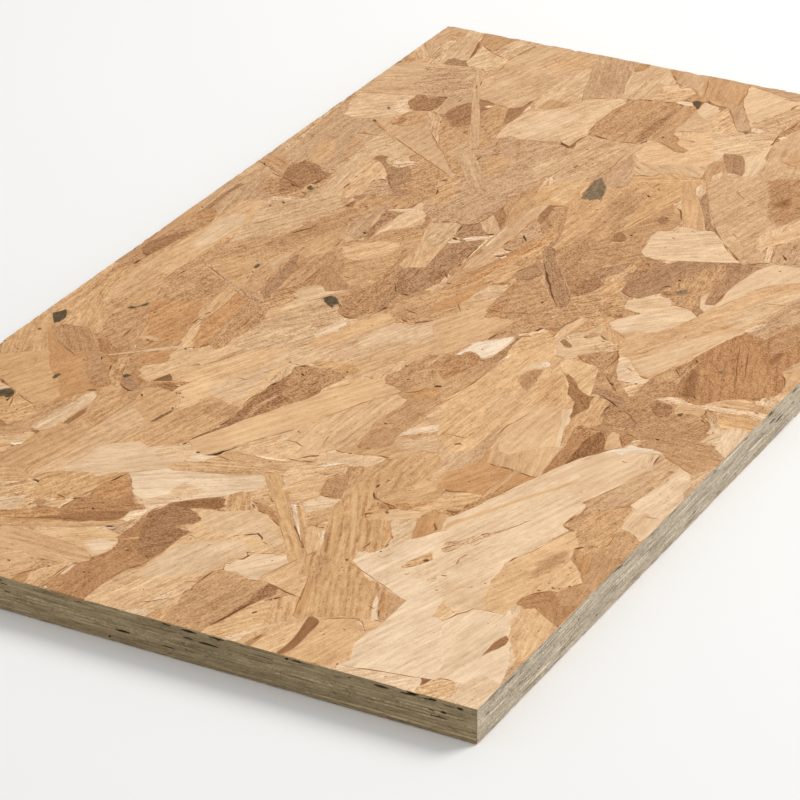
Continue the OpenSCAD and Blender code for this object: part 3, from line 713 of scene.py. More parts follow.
    ("L", -4, (54,-60, 90,-60, 96,-62, 94,-72, 80,-70, 60,-64, 50,-64), {"speck": 1.35}),
    ("N", 75, (247.5,-13, 250.5,-9, 253,-10.5, 252,-15, 250,-20, 248.2,-19)),
    ("D", -80, (76,-136, 100,-132, 102,-146, 90,-154, 80,-150), {"speck": 1.2}),
    ("R", 10, (-280,66, -266,66, -261,63, -263,56, -274,56), {"speck": 1.35}),
    ("B", 12, (179,-52.5, 186,-48, 192,-45.5, 199,-46.5, 196,-50, 188,-53), {"speck": 1.35}),
    ("F", 4, (232,50, 256,49, 280,47, 278,44, 250,43.5, 232,44), {"rim": 0.05, "z": -0.05}),
    ("F", -20, (-192,-93, -182,-90, -174,-96, -172,-101, -180,-102, -192,-100), {"speck": 1.2}),
    ("O", 28, (206,114, 209,119, 213,124, 218,130, 228,131, 240,127, 240,119, 230,114, 221,110.5, 212,112), {"speck": 1.35}),
    ("E", 16, (299,165, 318,169, 345,178, 345,165, 329,161.5, 314,157, 299,155), {"speck": 0.75}),
    ("C", -65, (-268,4, -246,1, -243,-5, -240,-13, -236,-20, -240,-28, -245,-35, -252,-41, -258,-46, -265,-50, -268,-44, -272,-30, -262,-10), {"speck": 0.9}),
    ("H", 55, (-52,-112, -46,-107, -38,-101, -34,-101, -40,-106, -48,-112)),
    ("N", 15, (-150,120, -140,126, -130,128, -132,122, -145,117), {"speck": 1.35}),
    ("J", 20, (82,14, 96,13, 104,10, 110,14, 117,10, 100,0, 90,4, 82,8), {"speck": 1.35}),
    ("J", -17, (-138,92, -120,86, -108,84, -98,91, -88,88, -72,83, -55,77, -40,75, -28,71, -15,66, -8,62, -16,56, -28,57, -36,54, -38,48, -48,49, -60,54, -74,61, -86,69, -102,76, -118,82), {"z": -0.03, "rim": 0.4, "speck": 1.05}),
    ("L", 35, (68,141, 73,150, 78,147, 80,142)),
    ("B", -24, (-205,-107, -198,-101, -185,-105, -165,-112, -150,-117, -135,-122, -120,-128, -108,-136, -98,-146, -93,-158, -97,-163, -115,-162, -128,-159, -140,-155, -155,-150, -164,-149, -172,-140, -185,-126), {"rim": 0.35, "z": -0.01, "speck": 0.53}),
    ("H", -85, (-198,27, -192,28, -188,10, -187,-4, -194,-6, -198,8), {"speck": 1.05}),
    ("D", -5, (135,18, 138,25, 142,29, 150,31.5, 162,28, 176,25, 190,24, 206,22, 232,20, 232,10, 206,9.5, 184,10, 166,8.5, 140,8, 138,12), {"rim": 0.5, "speck": 0.9}),
    ("D", 5, (-117,106, -108,105.5, -106,102, -113,100, -122,100), {"speck": 0.75}),
    ("C", -1, (-20,-59, 0,-59, 22,-60, 30,-61.5, 10,-63.5, -14,-63.5), {"rim": 0.6, "z": -0.02, "speck": 0.75}),
    ("O", -8, (52,-75, 54,-68, 58,-64, 72,-67, 92,-72, 102,-76, 106,-84, 110,-92, 104,-96, 96,-90, 84,-88, 72,-86, 60,-80, 54,-78), {"speck": 1.2}),
    ("D", 1, (-338,-119, -298,-120, -275,-120, -240,-120, -230,-135, -248,-160, -268,-172, -300,-171, -328,-170, -331,-152, -335,-135), {"rim": 0.5, "speck": 0.6}),
    ("D", 2, (-143,-88, -125,-84, -110,-80, -95,-80, -88,-96, -95,-113, -112,-116, -130,-118, -143,-118, -145,-98), {"speck": 0.9}),
    ("R", 3, (-40,-140, -20,-136, 0,-135, 4,-132, 20,-136, 36,-141, 44,-148, 60,-158, 90,-162, 60,-178, 20,-184, 5,-178, -2,-183, -8,-184, -12,-180, -25,-181, -28,-175, -30,-160, -36,-148), {"band": 0.45, "pitch": 0.7, "speck": 1.35}),
    ("O", 12, (306,156, 318,158.5, 329,162, 322,157, 312,155)),
    ("A", 12, (226,-62, 238,-56, 246,-50.5, 257,-49.5, 267,-54, 272,-58, 260,-60.5, 244,-62, 230,-67), {"rim": 0.3, "speck": 1.05}),
    ("L", -13, (0,30, 5,22, 12,20, 24,16, 40,15, 60,11, 66,8, 70,14, 78,13, 84,7, 100,4, 96,-2, 70,1, 50,2, 26,4, 4,4, 0,10), {"rim": 0.3, "speck": 1.05}),
    ("P", 15, (-262,62, -245,60, -231,57, -240,50, -250,42, -262,36, -268,40, -268,52), {"speck": 1.2}),
    ("C", 27, (122,-98, 136,-87, 150,-77, 168,-66, 184,-57, 200,-50, 212,-46, 232,-48, 244,-44, 246,-60, 236,-80, 226,-92, 210,-104, 180,-108, 150,-112, 130,-112), {"z": -0.06, "rim": 0.4, "speck": 0.65}),
    ("I", 14, (276,66, 286,70.3, 300,75, 312,78.5, 322,81, 334,84, 345,87, 345,61, 332,59.5, 320,58, 310,55, 300,51, 293,48, 287,46.3, 284.5,49, 283,55, 280.5,60), {"z": -0.04, "rim": 0.6, "speck": 0.9}),
    ("G", -14, (-62,76, -42,74, -30,70, -18,64, -22,57, -36,54, -39,49, -52,50, -62,56, -70,62), {"rim": 0.1, "z": -0.03, "speck": 1.2}),
    ("D", -3, (-214.5,124, -212,123.5, -196,122.5, -184,121.5, -170,121, -168,119, -168,115.5, -176,113, -190,112.5, -204,113, -203,115, -215,116.5), {"z": -0.02, "fray": 0.3, "rim": 0.6, "speck": 1.05}),
    ("G", 62, (-44,92, -40,100, -34,112, -29,122, -22,136, -16,146, -10,149, -12,142, -18,132, -24,118, -30,107, -36,96), {"z": -0.02, "d": 0.4, "rim": 0.6, "speck": 0.9}),
    ("C", 40, (-26,-66, -14,-63, 2,-64, 4,-78, -4,-92, -10,-90, -14,-84, -22,-79, -27,-78), {"speck": 1.35}),
    ("H", 40, (-262,-56, -250,-60, -235,-55, -222,-46, -222,-24, -228,-12, -236,-18, -240,-28, -250,-40, -264,-50), {"speck": 1.35}),
    ("G", 30, (176,108, 190,118, 200,124, 212,130, 222,136, 222,132, 208,124, 196,117, 184,110), {"z": -0.04, "speck": 1.35}),
    ("J", 20, (321,152, 327,159, 345,165, 345,144, 330,143, 319,147), {"speck": 1.05}),
    ("C", -88, (-190,22, -187,22, -185,8, -184,-8, -187,-8)),
    ("F", -8, (137,22, 142,28, 152,31, 166,27, 178,24, 168,20, 150,20), {"rim": 0.1, "speck": 1.05}),
    ("O", 45, (46,-114, 50,-109, 58,-108, 58,-110, 54,-114)),
    ("B", -27, (-200,-104, -180,-112, -160,-122, -140,-134, -125,-145, -105,-160, -128,-158, -155,-150, -158,-146, -152,-133, -170,-124, -190,-113), {"rim": 0.05, "z": -0.01, "band": 0.3, "pitch": 0.5, "speck": 0.6}),
    ("J", 25, (122.5,-134, 126,-130, 136,-129, 140,-128.5, 134,-132.5, 126,-136)),
    ("I", 14, (286,62, 300,64, 320,70, 345,72, 345,61, 325,59, 305,53, 290,49, 287,54), {"rim": 0.05, "z": -0.04, "speck": 1.05}),
    ("I", 5, (82,143, 90,148, 100,144, 98,139, 84,138)),
    ("E", -85, (-149,-50, -140,-43, -135,-52, -136,-64, -142,-67, -147,-60), {"speck": 0.75}),
    ("H", 58, (149,92, 156,103, 162,112, 170,126, 177,138, 184,148, 190,157, 194,158, 186,144, 178,130, 170,116, 162,104, 154,92), {"z": -0.02, "rim": 0.6, "d": 0.4, "speck": 1.35}),
    ("E", 8, (289,149, 296,153, 310,156, 323,157, 320,151, 317,147, 304,149.5, 294,147), {"rim": 0.4, "speck": 1.35}),
    ("D", -42, (-139,141, -136,140, -127,130, -118,120, -108,110, -100,101, -93,92, -96,92, -104,100, -115,112, -126,126), {"z": -0.01, "rim": 0.7, "d": 0.3}),
    ("R", 50, (-16.5,-70, -14,-67, -10,-63.5, -7,-64, -11,-69, -14,-72)),
    ("O", -70, (94,-57, 104,-55, 112,-52, 100,-60, 99,-68, 96,-72, 94,-64)),
    ("G", -22, (-117,86, -104,79, -92,74, -80,69, -72,63, -78,66, -92,70, -105,76, -116,81)),
    ("T", -3, (-204,113, -190,112.5, -181,111.5, -190,110, -203,110)),
    ("H", -70, (-36,-149, -32,-150, -30,-162, -27,-178, -34,-180, -40,-160), {"speck": 1.35}),
    ("B", -60, (-207,52, -200,54, -196,50, -192,48, -197,44, -200,39, -205,42), {"speck": 1.05}),
    ("R", 5, (152,-2, 153,4, 157,7.5, 166,8, 178,9, 176,5, 173,0, 166,-3, 160,-4, 156,-6), {"speck": 1.35}),
    ("B", 4, (-284,-138, -284,-142, -276,-145, -268,-149, -267,-157, -267,-172, -250,-164, -225,-160, -190,-152, -205,-140, -225,-133, -255,-131, -270,-133, -287,-135), {"rim": 0.2, "speck": 0.9}),
    ("U", 38, (-258,-58, -248,-47, -232,-35, -222,-27, -222,-33, -240,-46, -250,-53), {"speck": 1.35}),
    ("E", 4, (82,139, 100,142, 120,144, 140,146, 142,130, 120,119, 100,118, 84,124), {"band": 0.5, "speck": 1.35}),
    ("D", -72, (-183,-22, -172,-18, -168,-17, -166,-26, -163,-36, -161,-46, -164,-46, -170,-42, -176,-32), {"speck": 1.05}),
    ("B", 6, (288,141, 294,147, 303,150, 316,147, 314,140, 312,134, 300,133, 289,135.5, 293,140), {"rim": 0.4, "speck": 1.2}),
    ("C", -32, (-190,-106, -172,-113, -155,-120, -140,-130, -120,-142, -138,-128, -158,-116, -175,-108), {"rim": 0.0, "z": -0.01}),
    ("B", -60, (40,-70, 52,-70, 52,-78, 58,-82, 59,-90, 58,-94, 52,-98, 46,-112, 38,-108, 38,-85), {"rim": 0.3, "speck": 0.9}),
    ("N", 1, (230.5,41, 240,42.5, 256,43, 270,43.3, 284,42, 292,41.5, 292.5,34, 292,28, 295,22, 294.5,12, 292,8, 280,7.5, 260,7, 246,7.5, 234,7, 232,12, 230.5,20, 232,30, 231,36), {"z": -0.06, "rim": 0.5, "speck": 1.35}),
    ("G", 0, (-24,-182, -10,-181, -8,-184, 0,-183, 8,-178, 15,-184, 20,-191, -30,-191), {"speck": 1.2}),
    ("I", 30, (242.5,-86, 243.5,-80, 245,-76, 249,-71, 258,-71.5, 270,-75, 256,-82), {"speck": 1.05}),
    ("K", 20, (-194,153.5, -191,157, -186,159.5, -183,157.5, -186,153, -189,151, -193,151), {"rim": 0.3}),
    ("D", -78, (-188,4, -184,4, -178,-8, -171,-18, -168,-28, -172,-30, -177,-22, -184,-10), {"speck": 0.75}),
    ("E", 10, (312,133, 315,141, 317,146, 330,144, 345,145, 345,132, 328,130, 316,131), {"rim": 0.3, "speck": 1.05}),
    ("C", 5, (-28,-184, -12,-182, -6,-186, -10,-191, -30,-191), {"speck": 1.64}),
    ("D", -30, (60,14, 66,15.5, 74,15, 75,10, 72,8, 68,11)),
    ("L", 60, (95,150, 98,158, 100,163, 104,171, 109,180, 114,190, 124,184, 122,166, 122,154, 112,147, 100,147), {"rim": 0.6, "z": -0.04, "speck": 1.31}),
    ("D", -21, (-191,48.5, -178,45, -165,38, -152,32, -140,26, -126,20, -112,17.5, -98,14, -92,8, -92,-2, -95,-15, -108,-12, -125,-4, -135,0.5, -150,5, -158,10, -170,15.5, -185,23, -195,28.5, -199,33, -200,39), {"rim": 0.9, "z": 0.0, "d": 0.5, "band": 0.2, "fray": 0.2, "speck": 1.05}),
    ("K", 22, (-113,178, -108,182, -103,185.5, -99,183, -95.5,181.5, -98,179, -104,176, -110,176), {"rim": 0.3, "speck": 0.96}),
    ("A", -50, (10,-86, 16,-78, 20,-76, 28,-79, 36,-86, 38,-92, 40,-110, 22,-104, 18,-96), {"rim": 0.3, "speck": 0.75}),
    ("L", 2, (240,40, 262,41, 284,40, 291,36, 290,26, 270,22, 246,22, 235,28, 236,36), {"rim": 0.05, "z": -0.06, "speck": 1.2}),
    ("A", -30, (-80,62.5, -76,62, -70,59, -60,54, -48,49, -42,46, -37,41, -46,44, -56,43, -62,47, -70,53, -76,58), {"z": -0.01, "rim": 0.2, "speck": 0.9}),
    ("W", 18, (122.5,-118.5, 126,-116.5, 132,-114.5, 137,-112.2, 140,-112.5, 143,-115.3, 136,-116.7, 130,-118.3, 124.5,-120), {"rim": 0.4, "z": -0.02}),
    ("A", -85, (-48,-134, -45,-132, -42,-134, -40,-142, -36,-142, -36,-148, -39,-153, -40,-160, -38,-176, -36,-191, -42,-191, -43,-176, -45,-158, -48,-144), {"z": -0.02, "d": 0.3, "rim": 0.5, "speck": 1.41}),
    ("T", 5, (-128,-124, -118,-123, -108,-123, -104,-128, -108,-136, -117,-130), {"speck": 1.35}),
    ("C", 10, (196,162, 206,163, 212,160, 224,160, 234,161, 233,172, 229,184, 224,187, 210,184, 200,178, 196,170), {"rim": 0.2, "speck": 0.9}),
    ("N", 4, (266,-58, 276,-57, 292,-57.3, 306,-57.5, 296,-62, 284,-62, 270,-60)),
    ("R", 40, (-66,-98, -62,-93, -52,-89, -46,-84, -40,-79.5, -44,-86, -48,-91, -54,-96, -60,-101), {"band": 0.6, "speck": 1.35}),
    ("O", 33, (20,-47, 28,-41, 36,-35, 48,-27, 62,-18, 74,-11, 88,-7, 105,-4, 118,1, 130,6, 132,3, 116,-4, 98,-9, 84,-13, 70,-18, 56,-26, 44,-36, 34,-44), {"z": -0.02, "d": 0.4, "rim": 0.6, "speck": 1.35}),
    ("C", -22, (-189,47, -172,41, -150,31, -150,25, -172,31, -190,34, -197,36), {"rim": 0.0, "z": 0.0, "speck": 0.9}),
    ("C", -85, (-40,-142, -37,-142, -36,-147, -39,-153, -41,-148)),
    ("E", 15, (212,-53, 220,-49, 234,-46.5, 226,-50, 220,-53)),
    ("R", -72, (-186,-2, -183,-3, -181,-14, -183,-17, -185,-10)),
    ("G", 20, (196,162, 204,162, 212,158, 202,150, 196,154), {"speck": 1.2}),
    ("W", -62, (87.5,92.5, 90,92, 96,82, 100,73, 97,73, 92,83), {"z": 0.0, "rim": 0.4}),
    ("W", -33, (-77,62, -70,58, -60,53, -58,49, -64,51, -72,57), {"rim": 0.1}),
    ("N", 20, (271,-60, 276,-57.5, 281,-56.3, 279.5,-59)),
    ("T", 15, (100,147, 108,147, 114,146, 106,142, 100,143)),
    ("B", -66, (98,-64, 100,-58, 106,-54, 116,-52, 126,-51, 140,-52, 146,-60, 142,-70, 132,-84, 122,-98, 117,-104, 112,-98, 108,-88, 102,-76), {"z": -0.03, "rim": 0.5, "speck": 1.05}),
    ("D", -8, (-340,2, -318,3, -300,2, -270,0, -262,-7, -257,-15, -259,-21, -256,-25, -255,-29, -257,-33, -262,-34, -280,-30, -290,-29, -305,-25, -320,-18, -332,-13, -340,-10), {"band": 0.7, "pitch": 0.7, "speck": 0.9}),
    ("P", 6, (-140,-120, -125,-118, -108,-115, -98,-117, -98,-122, -112,-123, -128,-124), {"speck": 1.2}),
    ("O", -40, (-178,-12, -174,-14, -173,-17, -176,-16)),
    ("K", 45, (192,157.5, 194,160.5, 196.5,160.5, 195,158), {"rim": 0.1}),
    ("M", 60, (336,190, 345,190, 345,182, 341,182, 338,186)),
    ("A", -40, (66,43, 72,44, 73,40, 71,38)),
    ("K", -20, (-149,113, -146,115, -143.5,113, -145,110.5, -147,111), {"rim": 0.2}),
    ("T", 30, (-152,83, -149,89, -147,97, -143,98, -134,94, -140,89, -147,86)),
    ("I", 2, (209,88, 224,89, 246,88, 256,86, 253,76, 262,66, 280,62, 284,52, 287,46, 280,44, 250,43, 224,43, 214,46, 211,55, 210,70), {"z": -0.05, "rim": 0.4, "speck": 0.9}),
    ("A", -52, (-231,55, -224,48, -219,40, -216,30, -214,20, -211,10, -205,1, -207,-3, -215,-2, -228,1, -233,6, -238,14, -246,22, -252,28, -254,36, -246,44, -238,50), {"rim": 0.3, "speck": 0.9}),
    ("W", 75, (295.5,10, 297,15.5, 300,15.5, 302,10, 301,6, 296,6.3), {"rim": 0.2, "fray": 0.3}),
    ("K", 60, (-32,59, -30,62, -29,66, -27,68, -24,66.5, -21.5,63, -22,60, -24,59, -26,57.5, -28,60), {"rim": 0.2}),
    ("K", 40, (92,144, 95,147.5, 99,147, 97.5,143.5, 94.5,142)),
    ("C", 0, (-39,-32, -37.5,-31.5, -37,-33.3, -38.5,-33.8)),
    ("O", -50, (97,-66, 99,-64, 98,-68, 96,-70)),
    ("W", -40, (-142,-39, -134,-39.5, -128,-45, -118,-52, -121,-58, -127,-54, -136,-46)),
    ("L", 25, (281,183, 286,187, 289,185, 285,181)),
    ("A", -50, (73,36, 75,39, 79,35, 85,28, 82,27, 77,31), {"z": -0.02}),
    ("a", 32, (-266,-190, -256,-174, -248,-164.5, -243,-167, -238,-172, -233,-178, -222,-184, -215,-191), {"band": 0.5, "speck": 0.85}),
    ("K", 10, (-59,-152, -56,-150.5, -54,-151.5, -55,-153.5, -58,-153.5), {"rim": 0.2}),
    ("T", 80, (-342,0, -339.5,-1, -340,-10, -342,-10)),
    ("T", 60, (-123.5,181, -121,182.5, -120,180.5, -122.5,179.5)),
    ("L", -60, (-149,99, -145,99, -138,82, -141,82, -144,88)),
    ("W", -70, (-224,46, -219,40, -215,26, -212,14, -216,12, -221,20, -226,36)),
    ("B", 10, (221,-64, 228,-61, 240,-57, 248,-62, 240,-70, 224,-70), {"speck": 0.9}),
    ("K", 10, (295,1.5, 299.5,6, 304,8.5, 306.5,5, 305,2, 297,0.3, 291,0), {"rim": 0.2}),
    ("R", 60, (-28,57, -26,59, -26,56.5)),
    ("F", -30, (32,124, 38,123, 42,120, 36,120)),
    ("T", 30, (-32.5,151.5, -30.5,153, -30,151.2, -32,151)),
    ("I", 0, (-39.5,-27, -38,-26.5, -38,-28, -39.2,-28.3)),
    ("O", 5, (109,-33, 117,-32, 130,-31, 128,-39, 112,-40, 110,-37), {"speck": 1.35}),
    ("N", -40, (-140,-46, -132,-50, -138,-51)),
    ("O", 40, (282,186, 286,190, 289,190, 285,185.5)),
    ("K", 15, (45,87.5, 47,88.5, 48.5,87, 46.5,86)),
    ("Q", -18, (-257.2,-68.8, -249.4,-81.6, -238.7,-96.3, -231.1,-107.6, -227.1,-115.3, -222.4,-126.9, -221.1,-138, -234.2,-146.3, -249.5,-155.6, -265.3,-166.7, -284.3,-175.5, -302.3,-184.6, -324.2,-191.5, -342.2,-190.2, -340.3,-178.1, -343.2,-158.6, -343.1,-137.8, -342.5,-117.5, -329.4,-108.2, -321.1,-102.5, -308.7,-93.8, -291.5,-83, -276,-75.7), {"id": 1.0, "rim": 0.0, "speck": 0.33}),
    ("b", 24, (-259.7,-63.9, -256.8,-77.5, -262.4,-88.6, -266.8,-97.8, -268.8,-101.5, -275.5,-104.2, -282.6,-106.1, -290.7,-109.6, -298.5,-113.4, -299.3,-108.2, -300.9,-107.4, -303.4,-106.2, -302.5,-104.5, -302.4,-102.3, -307.2,-91.2, -301.1,-86.1, -292,-76.7, -286.7,-71.8, -278.3,-64.4, -269.3,-64), {"band": 0.9, "pitch": 0.7, "id": 2.0, "rim": 0.0, "speck": 0.86}),
    ("J", 18, (-268.8,-101.5, -272.2,-108.6, -274.8,-115.2, -275.7,-119.2, -281.8,-119, -289.6,-119.2, -297.4,-119.4, -297.1,-116.2, -291.4,-112, -281.7,-107.7, -275.7,-103.8), {"id": 3.0, "speck": 1.0}),
    ("X", 18, (-273.3,-104.5, -272.3,-106.5, -279.9,-111.3, -289.3,-116, -293.6,-115.3, -285.4,-110.2), {"rim": 0.0, "id": 3.0, "d": 2.6, "speck": 0.81}),
    ("F", -16, (-307.2,-91.2, -302.4,-102.3, -300.1,-104.3, -298,-105.7, -299,-106.9, -299.3,-108.2, -307.5,-114.9, -309,-117.7, -319.1,-116.8, -327.8,-116.7, -335,-117.3, -340.6,-110.3, -339.7,-104.4, -335.4,-102, -328.8,-99, -320.6,-96.5, -314.4,-93.4), {"id": 4.0, "rim": 0.0, "speck": 0.59}),
    ("d", -27, (-299.3,-108.2, -298.5,-113.4, -297.4,-119.4, -303.5,-118.8, -309.4,-116.9, -306.2,-113.6), {"speck": 0.63}),
    ("c", -8, (-283.8,-135.9, -274.1,-133.7, -264.7,-132.7, -256.9,-132.1, -255,-133.7, -253,-136.2, -250.3,-137.8, -253.1,-139.3, -242.6,-151.7, -245.5,-154.8, -248.7,-157, -248.2,-159.3, -250.7,-161, -255.5,-163.2, -267.8,-164.7, -267.3,-154.4, -267.8,-149.6, -271.4,-146.5, -275.8,-143.7, -283.7,-141.9, -282.8,-137.9), {"rim": 0.1, "speck": 0.85}),
    ("Q", -9, (-284.4,-142.3, -276.6,-144.1, -268.5,-150, -267.8,-164.7, -263.1,-167.8, -270.5,-169.3, -275.9,-170.8, -283.1,-172.7, -290.3,-169.9, -305.1,-170.8, -314.6,-170.8, -325.9,-170.4, -327.5,-163.9), {"rim": 0.05, "speck": 0.33}),
    ("Z", -9, (-304.9,-171.2, -298.5,-170.7, -291.1,-170.3, -285.6,-171.5, -282.1,-172.7, -282.3,-173.8, -284.1,-175.1, -284.7,-175.8, -289.7,-176.6, -293.2,-175.4, -297.1,-173.5, -301.7,-171.9), {"rim": 0.2, "speck": 1.05}),
    ("A", -44, (-339.8,-109.9, -338.4,-118.1, -336.9,-126.3, -334.5,-138, -333.4,-147.3, -331.9,-155.4, -338.3,-157.4, -343.2,-158.6, -343.1,-150.2, -343.1,-137.8, -342.8,-127.7, -342.7,-111.6), {"rim": 0.1, "speck": 0.9}),
    ("T", -14, (-330.8,-155.8, -329.6,-161.6, -334.9,-160.5, -338.4,-159, -333.5,-157.8)),
    ("c", -35, (-338.1,-157.8, -334.9,-160.5, -330.6,-161.6, -327.5,-163.9, -326.7,-170.8, -332.6,-175.4, -339.9,-175.4, -342.6,-172, -342.9,-166.3, -343,-159), {"speck": 1.47}),
    ("A", -15, (-326.7,-170.8, -327,-175.4, -321.8,-176.6, -316.3,-180, -318.6,-186.2, -320.7,-191.1, -332.6,-191.1, -342.9,-190.6, -343.1,-186.8, -341.8,-178.9, -338.8,-175.8, -332.4,-175.8), {"speck": 0.59}),
    ("F", -18, (-282.3,-0.7, -277.4,-5.5, -274.6,-8.9, -269.6,-13.5, -268.2,-17.5, -268.5,-19.4, -271.4,-21.6, -275.5,-33.7, -284.1,-29.3, -292.7,-28.6, -299.4,-27.4, -307,-26.6, -321.8,-25.2, -321.9,-20.3, -315.4,-13.2, -308.2,-12.8, -298.2,-7, -289.5,-3.4), {"rim": 0.1}),
    ("B", -18, (-314.2,-20.5, -306.5,-23.7, -306.7,-27, -312.3,-26.2, -321.8,-25.2, -322.5,-23.2, -319.7,-22.1, -317.8,-21.4), {"id": 14.0, "rim": 0.0, "speck": 0.67}),
    ("A", -34, (-285.1,-29.3, -279.8,-31.5, -274.9,-35, -270.6,-37.2, -262.2,-45.7, -262.8,-47, -262.2,-49.4, -263.3,-51.1, -268.7,-54.8, -275.8,-53.1, -282.2,-50.5, -286.8,-49.5, -291.2,-51, -292,-49.4, -291.1,-45.2, -289.2,-37.2, -290.2,-31.3), {"rim": 0.1, "speck": 0.42}),
    ("d", -34, (-336.9,-51.3, -329.3,-54.5, -320.4,-56.4, -311.5,-58.4, -307.5,-62.3, -307.7,-67.6, -317.2,-70.1, -324.1,-72.1, -330.3,-69.6, -335,-66.2, -341.3,-63.3, -343.6,-59, -342.8,-51.2), {"speck": 0.97}),
    ("c", -19, (-342.3,-70.6, -335.1,-75.1, -328.8,-78, -318.8,-78.3, -315.3,-81.4, -311.4,-83.3, -308.5,-86.8, -317.6,-90, -326.7,-91.2, -335.4,-91.1, -342.4,-90.6, -343.2,-83.4), {"speck": 0.91}),
    ("d", 23, (-302.7,-65.7, -298.5,-68, -294.9,-71.1, -296.7,-75.3, -305.2,-78.1, -315.7,-80.6, -318.1,-77.9, -322.4,-75.3, -320.7,-71.1, -308.6,-67.7), {"band": 0.6, "speck": 0.89}),
    ("B", -29, (-343.1,-61.8, -335.6,-65, -330.7,-68.8, -329.8,-72.4, -334.8,-70.2, -342.3,-70.6, -342.5,-66.6), {"speck": 1.11}),
    ("a", -13, (-342,-73, -336.5,-74.3, -330.7,-76.1, -330.7,-78.1, -336.7,-77.5, -342.8,-77)),
    ("c", -17, (-287.4,-50.4, -282.6,-51.8, -276.6,-53.5, -270.1,-56.1, -263.9,-57.8, -257.2,-60.8, -260,-63.5, -268.8,-66.5, -276.7,-68.9, -284.4,-71.8, -295.7,-75.2, -294.9,-71.1, -293.1,-64.8, -292.2,-60.6, -290.8,-55.6, -290.5,-52.2), {"speck": 0.81}),
    ("J", -12, (-324.1,-26.6, -311.8,-27, -303.6,-27.2, -296.1,-28, -290.5,-28.8, -290.3,-33, -292.1,-41.5, -292.1,-45.3, -293.1,-47.4, -291.7,-51.9, -292.4,-56.5, -292.5,-60.2, -293.3,-64.4, -295.1,-70.7, -298.5,-68, -300.5,-66, -303.5,-64.1, -305.9,-61.4, -311.5,-58.4, -320.7,-56, -329.8,-53.7, -336.2,-50.8, -342.2,-50.4, -342.9,-43.5, -342.8,-38.2, -344.1,-35.3, -342.2,-33.1, -341.4,-30.1, -333.1,-29.5, -329.3,-28), {"rim": 0.3, "speck": 1.24}),
    ("R", -10, (-336.2,-50.8, -328.3,-52.8, -317.6,-54.2, -309.1,-55.4, -302,-55.4, -296,-55.5, -292,-57.3, -293.2,-62.7, -298.4,-64.3, -305.9,-61.4, -311.5,-58.4, -320.7,-56, -329.8,-53.7), {"rim": 0.1, "speck": 2.28}),
    ("b", 24, (-251.9,-58.9, -247.7,-61.2, -242.3,-64.1, -241.4,-66, -244.9,-72.4, -252.9,-86.1, -258,-90.5, -269.8,-91.9, -278,-96.7, -287.5,-99.4, -300.6,-103.8, -302.8,-102.2, -305.3,-100.8, -307.1,-99.7, -304.7,-95.9, -306.4,-92.8, -308.1,-87.6, -309.9,-86.7, -311.9,-85.6, -312.4,-83.4, -311.6,-80.8, -303.2,-78, -291.2,-74.2, -279.3,-69.9, -268.2,-65.6), {"band": 0.8, "pitch": 1.8, "id": 2.0, "rim": 0.0, "speck": 0.73}),
    ("X", 24, (-269,-66, -267.7,-68.5, -287.8,-76.9, -308.1,-83.9, -311.6,-80.8, -298,-76.5, -284.4,-71.8), {"rim": 0.0, "id": 2.0, "d": 2.6, "speck": 0.43}),
    ("d", -16, (-310.2,-92.9, -305.5,-96.4, -301.5,-99.6, -300.9,-101.4, -301.1,-103.1, -301.3,-104.3, -298.5,-108.3, -305.2,-111.4, -309.9,-114.5, -318.5,-116.2, -326.1,-119.5, -332.6,-121.9, -337.2,-118.5, -341.3,-119.8, -342.7,-111.6, -342,-102.1, -342.1,-93, -336.2,-95.1, -329.2,-95.6, -319.7,-95.3), {"id": 4.0, "rim": 0.0, "speck": 0.73}),
    ("T", 5, (-308.5,-86.8, -307.1,-88.5, -308,-91.6, -310.6,-94.1, -315.2,-94.7, -322,-94.6, -330.3,-95.3, -336.2,-95.1, -339.8,-93.7, -342.7,-91.8, -342,-89.4, -335.8,-90.3, -329,-90.4, -320.9,-89.3, -313.9,-87.8), {"rim": 0.3, "speck": 0.45}),
    ("B", -43, (-265.3,112.7, -254.9,97.6, -252.4,92, -246.3,81.3, -243.7,75, -241.4,68.8, -239.1,62.6, -254.2,61.4, -261.3,62.4, -265.2,65.5, -276.6,66.5, -281.5,72.3, -283.5,76, -282.8,76.9, -283.2,79, -292.3,94.4, -291.6,102.6, -288.8,106.9, -285,107.8, -275.6,109, -270.1,111.6), {"id": 25.0, "rim": 0.0, "speck": 1.13}),
    ("c", -32, (-280.5,86.5, -269.7,86.9, -266.3,84.6, -263.8,77.7, -265.6,74.8, -272.7,75.8, -274.7,77.8, -275.5,79.1, -275.2,79.6, -274.9,80, -277.6,81, -284.2,81.1, -287.5,85.2), {"speck": 1.58}),
    ("N", -42, (-276.8,81.6, -272.4,81.6, -272.7,75.8, -276.6,74.9, -279.8,76.8), {"speck": 0.51}),
    ("F", -43, (-274.8,75.6, -268.9,72.7, -265.4,68.2, -270.4,67.2, -276.2,67.8, -279.2,71.5), {"id": 25.0, "rim": 0.0, "speck": 1.57}),
    ("N", -23, (-251.4,81.9, -248.6,78.4, -245.6,74.4, -240.2,68.1, -236.7,64.5, -237,61.1, -239.7,59.4, -247.1,58.6, -252.7,60.7, -256.9,62.4, -262.8,63.1, -265.2,65.5, -264.6,68.7, -263.1,74.2, -260.5,79.9), {"speck": 2.0}),
